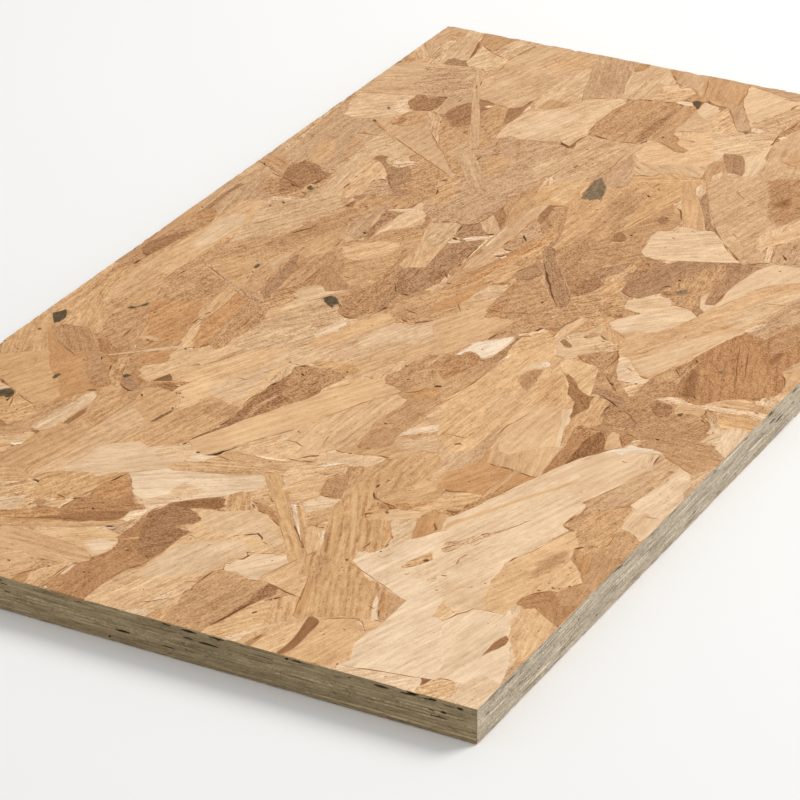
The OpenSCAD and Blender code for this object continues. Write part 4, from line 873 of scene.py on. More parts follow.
    ("P", -54, (-276.6,66.5, -269.5,65.5, -264.9,65.1, -261.3,62.4, -257.3,61, -257.2,56.6, -247.1,58.6, -239.7,59.4, -238.3,58.5, -237.1,57.6, -235.6,56.1, -236.9,53.9, -242.5,47.5, -251.2,40.8, -255.1,37.8, -254,33.5, -252.8,29.2, -255.1,27.2, -257.8,28.3, -262.5,35.3, -266.7,34.9, -272.5,35.7, -276.3,38.8, -279.8,47.6, -282.9,49.3, -288.5,50.4, -287.3,55.2, -286.3,60.1, -289.8,68.9, -293.4,77.8, -297.9,90.6, -293.1,93.8, -283.2,79, -278.5,78, -277.2,75.2, -276.9,69.7), {"id": 29.0, "rim": 0.0, "speck": 1.54}),
    ("a", 20, (-260.5,54.5, -252.4,58, -247.1,58.6, -239.5,58.9, -237.6,57.7, -237.1,57, -235.7,56, -236.9,53.9, -242.5,47.5, -253.7,39.3, -259.4,44, -262.9,48.5), {"rim": 0.1, "speck": 0.83}),
    ("a", 2, (-256.1,63, -251,61.7, -246.7,60, -254.3,57.4, -261.8,54.8, -264.7,56.2), {"speck": 0.57}),
    ("Z", -56, (-288.5,72.6, -281.5,63.3, -272.5,52.3, -267.3,44.5, -263.8,35.6, -267.7,34.8, -272.9,36.5, -280.1,37.3, -279.9,39.9, -279.4,44.6, -279,48.1, -284,49.9, -285.9,52.1, -286.3,55.2, -285.5,60.6, -289.9,71.1), {"rim": 0.1, "speck": 1.04}),
    ("X", -54, (-293.9,93.3, -288.6,81, -285,80.2, -283.5,78, -284,74.8, -284.2,72.7, -281.3,71.2, -279,69.3, -277.8,67.3, -279.9,64.3, -282.7,63.6, -287.4,70.5, -289.4,71.6, -292.5,73.6, -293.2,75.9, -291.8,78.9, -295.5,79.7, -299.5,83.1, -298.3,86.8, -297.9,90.6), {"id": 29.0, "rim": 0.0, "speck": 1.67}),
    ("a", -62, (-271.6,50.7, -268.3,50.6, -269.7,46.9)),
    ("H", -62, (-297.9,90.6, -289.8,68.9, -282.8,51.2, -275.5,39.3, -270.4,33.7, -267.7,26.5, -272.7,30, -276.5,33.1, -282.5,40.3, -289.7,52.3, -295.4,65.2, -301.1,78.2, -304.2,86.2, -304,90.7, -301.9,91, -300,90.2), {"rim": 0.1, "speck": 1.14}),
    ("F", -88, (-305,85.7, -300.6,73, -301.3,64.1, -301.7,52.7, -302,43.1, -302.9,34.8, -306.2,31.1, -311.2,26.7, -315.1,30.2, -318.6,38.9, -320.2,46, -321.1,53.7, -320.2,59.8, -325.4,71.8, -321.6,75.9, -318,80, -314.6,85.5, -312.8,87.1, -309.5,91.6), {"speck": 0.68}),
    ("c", -52, (-301.2,68.1, -294.9,60, -288.7,50.2, -284.1,39.3, -283.5,34.1, -285.1,27, -289.7,25.7, -292.9,23.7, -298.1,23.7, -302,25, -305.3,27.3, -308.1,28.7, -304.6,32.1, -302.9,34.8, -302,43.1, -301.7,52.7, -301.8,61), {"rim": 0.2, "id": 36.0, "speck": 0.65}),
    ("Q", -52, (-298.7,40.9, -292,34.2, -289.7,25.7, -292.9,23.7, -298.1,23.7, -302,25, -305.3,27.3, -308.1,28.7, -304.6,32.1, -301.8,36.7), {"rim": 0.0, "id": 36.0, "d": 2.6, "speck": 0.46}),
    ("F", -42, (-325.4,71.8, -320,65.5, -319.1,64.2, -317.1,61.4, -317.1,61.1, -317.4,60.6, -320,55.5, -321.6,50.6, -324.3,47.7, -328.8,48.5, -335.5,49.5, -341.8,49.7, -345.2,58.3, -343.8,61.6, -342.2,65.5, -338.4,68.5, -337,71.7, -334.2,73.1), {"speck": 1.06}),
    ("J", -42, (-321.9,53.2, -320.2,46, -321.8,41.1, -325.8,40.7, -328.2,43.4, -327.2,47.4), {"speck": 2.13}),
    ("X", -24, (-342.2,50.5, -336.3,49, -331.9,46.5, -331.8,44.4, -337.6,43.8, -341.9,44.2), {"speck": 0.96}),
    ("F", -10, (-332.6,46, -325.6,42.4, -319.8,39.2, -317.5,37.8, -315.9,36.3, -316.6,34.8, -316.8,33.5, -325.1,33.5, -332.5,34, -337.8,34.4, -342.6,33.9, -342.2,42.8), {"speck": 1.52}),
    ("D", -18, (-341.9,11.2, -328.5,10.7, -319.9,9.8, -311,8.4, -304.7,4.3, -297.4,2.3, -288.4,1, -279.3,-0.4, -283.5,-5.1, -290.4,-12.4, -295.1,-16.5, -304.6,-22.1, -313.7,-25.4, -326.5,-29.7, -335.5,-22.8, -337.6,-17.2, -341.7,-11, -343.4,-2.8, -344.9,2.5, -345.3,6.3), {"rim": 0.0, "id": 14.0, "speck": 1.04}),
    ("B", -18, (-329.8,-15.8, -322.7,-17.8, -317.2,-20.7, -319,-22.9, -327.2,-20.6, -329.2,-19.2, -329.9,-17.8, -330.1,-16.6), {"speck": 2.4}),
    ("a", -4, (-340.1,32.9, -332.5,34, -327.4,32, -319.7,31, -315.1,30.2, -313.2,26.5, -308.9,28.2, -306,26.8, -302,25, -298.1,23.7, -293.3,24.5, -289.3,24.9, -288,28.5, -284.3,27.6, -278.4,26.4, -271,26.6, -264.6,26.8, -259.8,25.9, -256,22.8, -249.7,21.2, -252.9,17.1, -257.2,13.5, -261.1,10.2, -264.1,6.8, -274.5,3.4, -282.1,1, -288.4,1, -293,1.9, -298.7,2.7, -303.5,4, -307.1,7, -312.4,9.1, -321,10.1, -328.5,10.7, -335.9,11.3, -342.6,10.7, -342.3,17.9, -342.5,25.8, -342.1,31), {"rim": 0.3, "id": 42.0, "speck": 1.12}),
    ("P", -4, (-284.3,27.6, -271,26.6, -259.8,25.9, -249.7,21.2, -254,16.8, -253.7,13.8, -257.3,10.9, -266.9,6.4, -272.6,4.9, -282.1,1, -293,1.9, -299.7,4.7, -307.6,7.9, -306.7,18.2, -296.7,22.9, -289.3,24.9), {"rim": 0.0, "id": 42.0, "d": 2.6, "speck": 1.23}),
    ("H", -46, (-289.7,25.7, -284.8,22.3, -280,17.1, -276.4,12.3, -280.5,14.1, -285.9,20.5), {"speck": 1.09}),
    ("B", -56, (-235.7,51.7, -229.7,50.4, -225.3,49.1, -225.2,45.5, -224.9,41.2, -226.2,37.9, -226.5,33.9, -228.6,30.4, -231,26.7, -231.6,23.9, -234.8,19.6, -236.1,17.8, -244.9,22.5, -250.7,27.2, -252.6,28.8, -254,33.5, -255.1,37.8, -245.4,44.5), {"rim": 0.0, "id": 44.0, "speck": 0.62}),
    ("A", -46, (-272.3,35.2, -267.1,35.7, -263,36.1, -260,32.5, -259.3,31.9, -257.7,31, -256.6,30.2, -257.8,28.3, -262.2,28.3, -268.1,27.3, -269.9,30.7, -271.7,31.2, -273,31.6, -272.3,33.9), {"speck": 1.55}),
    ("F", -4, (-255.1,27.2, -251.3,28.5, -248.4,27, -244.1,23, -247.4,20.9, -256.5,23.6, -259.8,25.9, -266.7,26.6, -270.2,27.1, -279.6,26.7, -285.1,27, -278.9,29.4, -271.5,29.6, -264.5,28.6, -259.1,28.6), {"speck": 2.0}),
    ("B", -4, (-328.8,32.7, -322.7,32.9, -318.3,32.5, -316.5,30.9, -321.4,30.4, -327.7,30.7)),
    ("W", 6, (-342.2,33.1, -339.1,33, -341.7,30.2)),
    ("W", -62, (-280.2,35.7, -279.3,35.2, -279.5,33.9, -280.8,34.2)),
    ("C", -47, (-205,62.6, -200.3,60.9, -194.6,58.8, -192,56, -192.9,51.6, -194.1,46.1, -194.4,42.4, -200,33.3, -204.9,36, -208.8,39.2, -212.1,38.9, -223.9,50.7, -222.2,54.4, -220.3,57.3, -219.6,63, -216.4,63.7, -212.8,65.5), {"id": 50.0, "rim": 0.0, "speck": 0.47}),
    ("Q", -79, (-209.1,39.6, -204.3,39.2, -200.3,36, -197.8,29, -198.2,23.1, -199.3,18.6, -204.1,19.6, -204.9,21.6, -204.2,25.3, -204.1,28, -208.3,33.8), {"speck": 0.72}),
    ("H", -86, (-197.8,29, -192.1,26.8, -185.2,22.5, -185.4,13.9, -187.3,8.8, -192.6,12.4, -197.5,15.1, -199.3,18.6), {"speck": 0.99}),
    ("F", -69, (-223.1,51.2, -213.7,41.9, -206.4,32.2, -201.7,29.8, -197.7,26.8, -197.4,22.2, -198.6,17.3, -192.6,12.4, -189.9,2.8, -185.9,-11.5, -183,-23.7, -187.3,-26.2, -193.5,-18.7, -199.4,-13.8, -201.1,-10.4, -200.1,-5.9, -200.4,-1.1, -203.8,-0.9, -207.3,3.7, -211.2,15.3, -215,27, -219.7,38.1, -222,38.7, -223.4,40.1, -223.3,42.9, -223,44.5), {"speck": 1.24}),
    ("A", -83, (-186.5,16.1, -186.5,9.4, -186,-0.4, -184.6,-5.2, -187.5,-4.1, -189.5,4.2, -189.6,10.9), {"speck": 1.45}),
    ("Q", -56, (-226.5,49.1, -220.8,40.3, -215,27, -212,14.8, -207.3,3.7, -203.8,-0.9, -210.3,-5.8, -214.9,-9.7, -219,-6.1, -224,-0.8, -229.8,4, -233.7,7.2, -237.8,13, -244.7,19.9, -247.2,22.7, -251.3,24.1, -255.9,26.7, -259.1,28.6, -254.4,36.2, -249.4,39.8, -248.7,46.8, -240.9,46, -231.8,48.2), {"rim": 0.0, "id": 44.0, "speck": 0.49}),
    ("C", -56, (-234.1,44.3, -231,42.4, -225.9,40.1, -224.2,35.6, -227.1,30.7, -227.7,19.2, -227.9,15.4, -229.8,13.3, -232.8,14.4, -236.1,14, -243.8,20.4, -248.9,23.9, -257.4,29.7, -256.5,37.7, -253,41.1, -249.9,42.8, -245.2,42.2, -238.6,43.7), {"rim": 0.0, "id": 44.0, "d": 2.6, "speck": 0.94}),
    ("F", -42, (-223.4,-2, -219,-6.1, -214.9,-9.7, -220,-14.9, -227.9,-22.8, -230.4,-22.1, -228.4,-15.5, -226.4,-8.8, -225.4,-4.4), {"speck": 1.71}),
    ("Q", -46, (-201.4,-10, -195.4,-17, -188.2,-26.7, -190.8,-28.1, -201.5,-20.5, -208.8,-17.1), {"speck": 0.8}),
    ("d", -39, (-209,-16.7, -201.5,-20.5, -190.8,-28.1, -190.8,-32.5, -193.3,-35.1, -194.3,-37.5, -200.6,-38.7, -203.8,-38.7, -209.6,-38.9, -216.8,-29.4, -220,-25.3), {"band": 0.4, "id": 59.0, "rim": 0.0, "speck": 0.87}),
    ("F", -39, (-221,-31.9, -215.4,-34.1, -211.3,-39.9, -212.3,-42.2, -212.6,-45.6, -215.5,-47.5, -222.3,-46.2, -227.6,-42.2, -231.6,-40.7, -227.7,-35.8, -227.4,-33.5, -225.9,-32.2, -223.3,-32)),
    ("D", -35, (-231.6,-40.7, -227.6,-42.2, -223.9,-47.1, -223.4,-50.1, -226.8,-51.8, -231,-52.7, -234.7,-53.3, -237.5,-50.2, -237.1,-50.2, -237.5,-48.9, -237.5,-47.9, -235.5,-43.5), {"id": 61.0, "rim": 0.0, "speck": 1.49}),
    ("c", -18, (-248.7,12.9, -245.8,5.3, -243.6,-1, -238.8,-12.3, -235,-15.5, -235.1,-19.4, -238.3,-25.7, -244.4,-34.7, -254.1,-42.5, -264.2,-49.5, -267.3,-47.4, -268,-45.7, -267.7,-44, -267.6,-42.9, -270,-36.3, -270.7,-33, -274.9,-32.9, -278.8,-31.4, -282.9,-29.6, -286.1,-29.4, -290.9,-28, -297.1,-25.9, -302.1,-26.3, -314.6,-6.3, -313.5,-2.7, -311.2,-1.4, -309.1,2.8, -300.6,2.5, -291.8,1.5, -281.3,1.5, -272.8,1.4, -267.4,-0.8, -264.9,4.6, -260.3,2, -255.5,1.1), {"rim": 0.0, "id": 14.0, "speck": 1.01}),
    ("C", -18, (-246.7,4.8, -237.7,-14.4, -235.9,-19.9, -245.2,-35.2, -262,-47.6, -264.4,-41, -259.6,-34, -256.3,-28.2, -258.7,-21.5, -263.6,-16.3, -265.4,-6.6, -257.2,0.1), {"rim": 0.0, "id": 14.0, "d": 2.6, "speck": 0.65}),
    ("B", -18, (-300.6,2.5, -282.1,1, -272.1,-8, -261.9,-23.5, -263.7,-34.2, -270.2,-33.8, -276.3,-32.1, -285.1,-29.3, -297.1,-25.9, -314.6,-6.3, -313.8,-3, -310.6,-0.4, -310.1,1.7), {"rim": 0.0, "band": 0.4, "id": 14.0, "d": 2.6, "speck": 0.5}),
    ("H", 28, (-232.8,5.5, -229.2,2.8, -224.9,0.9, -222.5,-1.5, -221.8,-5, -228.3,-9.4, -231.6,-13.6, -236.2,-15.2, -238,-11.9, -241.6,-6.9, -243.6,-1, -242.3,1.3, -239.8,6.2, -237.5,8.7), {"id": 63.0, "speck": 1.56}),
    ("d", 28, (-231.7,1.3, -228.3,1.1, -231.8,-2.7, -240.6,-6.8, -240.6,-4.7), {"rim": 0.0, "id": 63.0, "d": 2.6, "speck": 1.4}),
    ("b", 28, (-226.1,-0.9, -224.6,-1.7, -234.2,-8.5, -239.1,-9.8), {"rim": 0.0, "id": 63.0, "d": 2.6, "speck": 1.4}),
    ("a", 67, (-227.5,-8.9, -228.5,-13.3, -228.8,-19, -232.1,-25.3, -240.3,-32.3, -244.4,-34.7, -240.6,-29.7, -236.3,-23.4, -234.7,-18.1, -231.6,-13.6), {"rim": 0.3, "speck": 1.42}),
    ("R", -38, (-247.2,22.7, -242.7,18.3, -237.8,13, -233.7,7.2, -232.8,5.5, -232.7,1.5, -236.9,0.2, -239.2,-0.9, -243.6,-1, -244.8,3.3, -246.1,7.9, -247.9,13.5, -249.7,8.5, -251.3,5.3, -254.8,3.7, -255.5,1.1, -259.5,2.5, -262.5,6.1, -266.9,10.5, -266.8,6.2, -267.1,0.6, -270.5,1.1, -273.2,2.2, -280.5,2, -287.6,1.5, -292.2,2.3, -298.3,4, -295.4,11.6, -290.8,15.4, -281.8,19.5, -274.9,22.4, -269.7,24.9, -260.7,27.6, -254.8,24.6, -251,23.7), {"rim": 0.3, "speck": 1.69}),
    ("T", -52, (-248.1,22.2, -238.6,12.5, -233.9,5.5, -235.1,3.3, -237.5,0.5, -238.3,-2.3, -243,-0.1, -244.4,8.9, -248.5,14.7, -249.7,19), {"rim": 0.1, "speck": 1.29}),
    ("b", 41, (-202.5,-1.3, -199.9,-4.2, -199.6,-9, -209.3,-16.3, -220.5,-24.5, -232.3,-33, -243.8,-41.9, -252.7,-49.2, -258.3,-54.6, -262.5,-58.6, -266.8,-58.4, -267.9,-57.7, -269.2,-57, -270.5,-55.5, -269.5,-53.1, -263.4,-49, -252.7,-41.2, -242.8,-33.7, -229.3,-24.2, -219.5,-15.7, -212.2,-8.6), {"rim": 0.4, "band": 0.5, "speck": 0.77}),
    ("b", 35, (-220.6,-30.5, -221.2,-33.6, -229.1,-39.3, -241,-47.3, -253.5,-53.9, -256.3,-54.5, -246.6,-46.7, -234.8,-38.8, -228.6,-34.1), {"rim": 0.2, "speck": 1.19}),
    ("B", 38, (-227.8,-31.4, -228.6,-34.1, -236.4,-39.7, -242.8,-44, -236.4,-37.6, -231.9,-33.9), {"speck": 0.93}),
    ("H", 2, (-153.9,9.3, -149.9,4.7, -142.2,-1.8, -137.1,-5.2, -138.6,-13, -137.6,-16.1, -137.2,-22.8, -148.5,-23.6, -154.3,-21.3, -157.5,-17.5, -164.4,-17.5, -168.2,-12.4, -172.1,-9.5, -176.3,-7.3, -175,-5.1, -173.6,-2.1, -172.2,0, -170,1.7, -172.5,3.6, -169.1,5.1, -160.5,7.5), {"band": 0.4}),
    ("C", -27, (-174.5,-2.6, -172.6,-4.8, -171.5,-6.2, -170.2,-8.1, -171.3,-8.7, -166.9,-12.8, -165.8,-19.4, -166.2,-25.2, -164.6,-32.6, -162.2,-39.5, -161.1,-46.1, -164.4,-46.3, -169.5,-45.2, -175.9,-41.7, -177.4,-34.3, -177.9,-29.1, -181.4,-20, -185.9,-9.3, -186.4,-6.7, -184.5,-4.3, -179.4,-3.7), {"id": 71.0, "rim": 0.0, "speck": 0.9}),
    ("C", -27, (-179.8,-5.7, -178.4,-12.7, -173.5,-15.5, -173.1,-20.8, -177.2,-25.9, -179.6,-23.4, -180.9,-21.4, -180.9,-20.7, -180.6,-19.5, -184.1,-8.3), {"id": 71.0, "rim": 0.0, "speck": 0.95}),
    ("D", -42, (-185.9,-9.3, -182.8,-19.7, -183.2,-25.4, -182.9,-28.4, -184.4,-28.8, -187.3,-28.9, -189.3,-28.9, -194.7,-24.9, -199.5,-22.2, -202.4,-18.9, -204.4,-14.2, -202.1,-11, -199,-10.1, -194.7,-8.9, -191.1,-9.8), {"speck": 1.31}),
    ("c", -39, (-201.5,-18.4, -195.8,-22.8, -189.5,-28.5, -197.7,-32.1, -204.8,-33.4, -209.7,-34.6, -215.7,-31.5, -217.7,-27.8, -216.8,-25.8, -215.3,-22.4, -213.5,-20.7, -212.9,-17.6, -209.9,-15.2), {"id": 59.0, "rim": 0.0, "speck": 0.79}),
    ("H", 1, (-168.6,-44.8, -162.8,-47.1, -158.4,-51.2, -152.4,-56.2, -147.2,-61.6, -146.4,-67.7, -152.6,-73.2, -162.1,-72.4, -171.4,-71.9, -180.5,-71.5, -189,-68, -191.3,-66.9, -191.5,-65.7, -191.2,-64.8, -191.2,-63.8, -191.6,-58.7, -192.1,-53.5, -199.9,-47, -195.2,-45.4, -186.6,-42.8, -175.9,-41.7), {"band": 0.4, "id": 73.0, "speck": 1.0}),
    ("b", 1, (-189.1,-50.7, -180.8,-51.6, -169.9,-53.2, -161.5,-54, -167.7,-55.2, -176.9,-54.8, -184.3,-53.5), {"rim": 0.0, "id": 73.0, "d": 2.6, "speck": 0.85}),
    ("N", 1, (-191.6,-63, -181.7,-60.7, -172.5,-59, -166.3,-60, -176.4,-62.2, -186.4,-64.4, -190.7,-64.7), {"rim": 0.0, "id": 73.0, "d": 2.6, "speck": 1.09}),
    ("F", -4, (-171.4,-71.9, -156.6,-72.1, -144.4,-73.7, -131.6,-78.4, -131.7,-80.5, -132.6,-82.6, -132.6,-83.8, -139.4,-85.8, -146.3,-87.5, -151.3,-88.8, -158.6,-81.3, -164.8,-80.3, -172.9,-81.9, -178.5,-83.9, -179,-78.7), {"id": 74.0, "rim": 0.0, "speck": 0.98}),
    ("d", -42, (-125,-55.2, -117.8,-62.4, -115.5,-65.2, -114.6,-67.2, -114.1,-68.7, -114.2,-69.3, -117.3,-72.7, -118.3,-74.2, -120.3,-78.3, -122.1,-81.3, -125.8,-83.8, -135.2,-80.4, -145.3,-74.2, -152.8,-72.8, -148.2,-66.5, -137.6,-64.7, -130.1,-63.4), {"speck": 0.93}),
    ("F", -33, (-182.3,-24.9, -179.2,-28.7, -175.7,-33.3, -183.3,-36, -190.1,-36, -193.6,-31.4, -192.6,-28.7, -190.5,-27.2, -190.6,-23.3), {"speck": 1.96}),
    ("N", 20, (-192.7,-30.9, -189.2,-35.5, -180.9,-36.3, -174.3,-38.1, -174.8,-41.6, -183.1,-43, -193.5,-44.5, -199.3,-43.9, -207.6,-47, -207.5,-43.1, -207.3,-39.2, -209.3,-35.4, -201.8,-32.8, -194.9,-31), {"rim": 0.3, "id": 77.0, "speck": 1.07}),
    ("H", 20, (-182.7,-37.3, -175.7,-37.7, -174.8,-41.6, -181.8,-43.3, -191.3,-44.3, -197.2,-43.8, -190,-40.3), {"rim": 0.0, "id": 77.0, "d": 2.6, "speck": 1.33}),
    ("H", -35, (-228.9,-39.7, -224.2,-40.3, -219.7,-44.7, -214.7,-46.1, -223.7,-49.7, -230.6,-50.9, -235.8,-49.1, -236.1,-44.4), {"id": 61.0, "rim": 0.0, "speck": 1.16}),
    ("c", 22, (-249.8,-50.7, -238.8,-45.4, -237.9,-46.2, -236.2,-47.1, -235.4,-47.5, -236.6,-49.6, -235.1,-54.6, -241.3,-57, -249.6,-61.3, -254.1,-60.7, -260.7,-58.1), {"speck": 0.69}),
    ("b", 24, (-207.6,-47, -198.6,-45.2, -192.8,-45.7, -185.2,-49.6, -181.3,-52.9, -180.4,-58.9, -187.3,-56.3, -192.7,-56.6, -197.4,-58.1, -200.4,-60.8, -200.2,-63.4, -201.6,-66.9, -205.5,-63.7, -210.4,-62.6, -213.8,-62.4, -217.8,-65.1, -219.6,-67.8, -216.4,-69.2, -214.7,-70.7, -214.9,-73.5, -214.9,-76.9, -222.8,-82.3, -229.8,-85.1, -236.6,-86.3, -242.1,-85.6, -245,-84.1, -247.2,-77.9, -254.5,-77.8, -255.7,-79.6, -260.4,-86.4, -264.3,-90.7, -271.6,-88.4, -274.1,-84.2, -277.4,-79.3, -278.8,-75.3, -278.2,-70.2, -278.7,-63.2, -265.9,-60, -259.9,-57.6, -254.1,-60.7, -247,-60.3, -237,-55.1, -223.7,-49.7, -214.7,-46.1, -208.9,-46.7), {"rim": 0.0, "band": 1.1, "id": 2.0, "speck": 0.7, "pitch": 1.1}),
    ("b", 24, (-218.6,-48.9, -214.2,-49.1, -234.6,-59.6, -259.8,-71.8, -271.9,-76.2, -272.8,-74.5, -248.3,-63.7), {"rim": 0.0, "id": 2.0, "d": 2.6, "speck": 0.48}),
    ("b", 24, (-207.8,-48.8, -202.5,-48.5, -223.7,-59.9, -245.1,-69.9, -268.8,-82.2, -269.6,-80.6, -241.7,-66.3), {"rim": 0.0, "id": 2.0, "d": 2.6, "speck": 1.25}),
    ("d", 24, (-217,-62.5, -219.8,-67.4, -240.6,-78.5, -247.2,-80, -242.1,-75.6, -229.6,-69.1), {"rim": 0.0, "id": 2.0, "d": 2.6, "speck": 0.5}),
    ("c", 24, (-204.8,-50.3, -196.5,-49.4, -222,-63.2, -247.5,-75.4, -253.2,-76.5, -227.7,-62.7), {"rim": 0.0, "id": 2.0, "d": 2.6, "speck": 0.39}),
    ("X", 24, (-214.5,-73.5, -215.1,-76.5, -218.3,-81.5, -221.2,-85.3, -223.2,-87.2, -230,-84.7, -236.8,-85.8, -229,-80.5), {"rim": 0.0, "id": 2.0, "d": 2.6, "speck": 1.16}),
    ("J", 24, (-217.1,-68.5, -215.4,-71.8, -233.8,-81.5, -238.9,-81.8, -231.4,-76), {"rim": 0.0, "id": 2.0, "d": 2.6, "speck": 0.92}),
    ("J", 24, (-259.8,-61.8, -254.1,-62.8, -256.1,-66.7, -258.9,-70.1, -259.4,-73, -266.1,-69.6, -274,-72.1, -275.7,-68.9), {"rim": 0.0, "id": 2.0, "d": 2.6, "speck": 1.28}),
    ("Q", 27, (-241.1,-53.2, -237.8,-53.5, -237,-55.1, -245.6,-59, -251.9,-61, -248.2,-57.8), {"speck": 1.47}),
    ("B", -52, (-219.5,-32.6, -216.3,-32.4, -211.8,-34.7, -207.9,-38, -207.5,-43.1, -208.7,-47.1, -212.5,-46, -219.7,-44.7, -224.2,-40.3, -228,-41.4, -227.2,-38.7), {"speck": 0.91}),
    ("H", -24, (-157.5,-17.5, -154.1,-20.7, -153.5,-21.9, -153.1,-24.2, -153.5,-25.2, -148,-24.4, -139.9,-24.3, -133.1,-26.1, -127.4,-30.3, -126.5,-34.3, -126.5,-36.2, -126.7,-38.3, -138.1,-39, -141.3,-39.6, -137.3,-45.2, -135.9,-50, -146.3,-45.7, -152.1,-47.8, -147.5,-59, -145.9,-64.2, -152.2,-58.8, -158.2,-53.8, -160.8,-51.7, -160.5,-51.1, -160.6,-50.1, -160.4,-49.6, -161.7,-44.8, -162.2,-39.5, -164.2,-32.4, -166,-27.8, -167.3,-23.1, -166,-19), {"rim": 0.3, "speck": 0.71}),
    ("E", -42, (-144,-43.3, -137.1,-47.8, -127.8,-56.6, -131.9,-64.4, -132,-67.9, -133.7,-69.5, -136.4,-68.7, -140.1,-68.7, -145.4,-60.6, -148.3,-56.6, -149.7,-54.5, -150.9,-52.4, -149.9,-52.1, -150.3,-46.8, -149.7,-45.2, -149.2,-43.7, -148.4,-42.3), {"rim": 0.1, "speck": 1.12}),
    ("X", -38, (-138.6,-44.8, -132.7,-47.1, -130.5,-49.2, -135.7,-50.4, -140,-48.9), {"rim": 0.1}),
    ("W", -42, (-141.5,-39.2, -137.7,-39.9, -132.9,-40, -127,-42.3, -122.5,-47.6, -120.9,-50.7, -121,-52.3, -120.9,-54.1, -128.2,-51.3, -133.4,-45.8, -137.9,-42.8)),
    ("U", -56, (-183.9,-19.8, -180.3,-22.2, -177.7,-26.2, -175.7,-31.1, -178.8,-28.5, -183.4,-23.9), {"speck": 1.39}),
    ("H", -25, (-189.9,-64.2, -185.5,-66.1, -179.6,-71, -173.1,-72.9, -174.2,-81.5, -174.6,-83.7, -175.7,-84.7, -176.8,-86.3, -182.8,-86.2, -186.9,-86.8, -192.1,-83.2, -197.1,-77.8, -201.4,-73.7, -201.8,-68.6, -200.2,-63.4, -198.5,-60.3, -194.2,-57.9, -187.8,-57.6), {"rim": 0.2, "id": 86.0, "speck": 0.88}),
    ("d", -25, (-181.2,-70.2, -172.2,-72.4, -172.9,-79.8, -179.4,-82.2, -186.3,-79.5, -186.8,-74.4), {"rim": 0.0, "id": 86.0, "d": 2.6, "speck": 0.69}),
    ("d", -46, (-186.9,-86.8, -181.5,-86.6, -177.8,-91.6, -172.4,-99.9, -172.3,-102.5, -174.2,-104.6, -177.8,-104.5, -181,-104.4, -190.4,-100.9, -191.8,-96.3, -192.6,-95.7, -193.9,-94.6, -194.5,-94.1, -193.9,-92.2, -195.6,-91.3, -195.7,-90.6, -197.3,-89.9, -196.1,-88, -197.5,-87.3, -198.2,-86.3, -198.5,-85.4, -198.3,-83.8, -198.8,-78.7), {"speck": 1.17}),
    ("D", -52, (-205.6,-71.8, -201.5,-77.6, -200,-84.8, -200.8,-89.5, -207.1,-87.6, -213.5,-81.5, -214.9,-81.3, -216.1,-80.5, -215.7,-78.9, -215.7,-77.4, -216.4,-72.7, -213.1,-70.9, -210.5,-71.5), {"speck": 0.47}),
    ("B", -12, (-214.9,-76.9, -213.6,-77.9, -212.7,-79.1, -212.4,-79.9, -212.7,-81, -206.3,-87.1, -213.4,-89.9, -222.6,-92.8, -227.4,-91.7, -235.3,-90.8, -238,-89.7, -238.2,-87.2, -227.7,-85.1), {"band": 0.5, "speck": 0.82}),
    ("X", -46, (-201,-66, -200.3,-71.6, -198.3,-72.1, -197.1,-73.5, -196.7,-76.1, -197.1,-77.8, -192.1,-83.2, -187.5,-87.7, -194.6,-84.5, -201.3,-80.1, -203.3,-79.7, -203.7,-78.7, -203.7,-77.3, -203.5,-76, -203.9,-70.9), {"speck": 1.68}),
    ("b", -52, (-213.8,-62.4, -210,-63.5, -207.4,-66.3, -206.3,-70.6, -212.4,-73.4, -215.1,-73.2, -214.3,-71.6, -214.5,-70.5, -214.6,-69.2, -218,-66.9)),
    ("Q", -18, (-240.6,-88.5, -234.4,-90.3, -227.4,-91.7, -222.5,-97, -214.7,-101.8, -209.5,-105.8, -198.4,-114.7, -199.3,-117.7, -202.5,-119.9, -206.7,-121.5, -212.6,-122.1, -218.3,-113.1, -226.5,-109.6, -236.2,-107, -243.4,-103.1, -248.3,-101.6, -252,-102.6, -257.3,-108.1, -261.2,-103.9, -264.2,-101.7, -267.3,-97.5, -268.6,-95.4, -267,-93.8, -265.9,-91.6, -260.4,-86.4, -255.7,-79.6, -248,-78.4, -244.9,-80.7, -245.1,-81.6, -245.5,-82.2, -245.5,-83.3, -243.8,-86.5), {"rim": 0.0, "id": 1.0, "speck": 0.42}),
    ("Q", -18, (-226.7,-95.1, -219.6,-100.7, -211.1,-106.7, -200.9,-116, -199.7,-117.3, -202.8,-118.3, -204.6,-118.6, -206.8,-119.1, -216.9,-109.8, -228.9,-103.1, -237.4,-98.8), {"rim": 0.0, "id": 1.0, "d": 2.6, "speck": 0.24}),
    ("A", -18, (-249.8,-106.6, -243.5,-111, -235.4,-114.5, -226.6,-117.5, -217.6,-124.7, -220.1,-128.3, -221.8,-131.2, -223.2,-132.4, -227.1,-134.7, -230.5,-137.6, -241.9,-137.5, -245,-133.6, -252.3,-125.5, -256.8,-121.2, -256,-116.7, -257.4,-111, -257.3,-108.1), {"rim": 0.0, "id": 1.0, "speck": 0.78}),
    ("X", 19, (-226.1,-94.2, -216.2,-90.9, -207.1,-87.6, -200.8,-89.5, -196.5,-93.5, -195.6,-97.3, -197.2,-102.4, -204,-103.9, -209.1,-104.5, -213.9,-101.3, -220.6,-98.6), {"rim": 0.3, "speck": 0.62}),
    ("H", 19, (-204.3,-95.1, -198.2,-94.4, -196.9,-99, -198.1,-102.9, -208.6,-105.3, -212.9,-101.3), {"rim": 0.1, "speck": 0.41}),
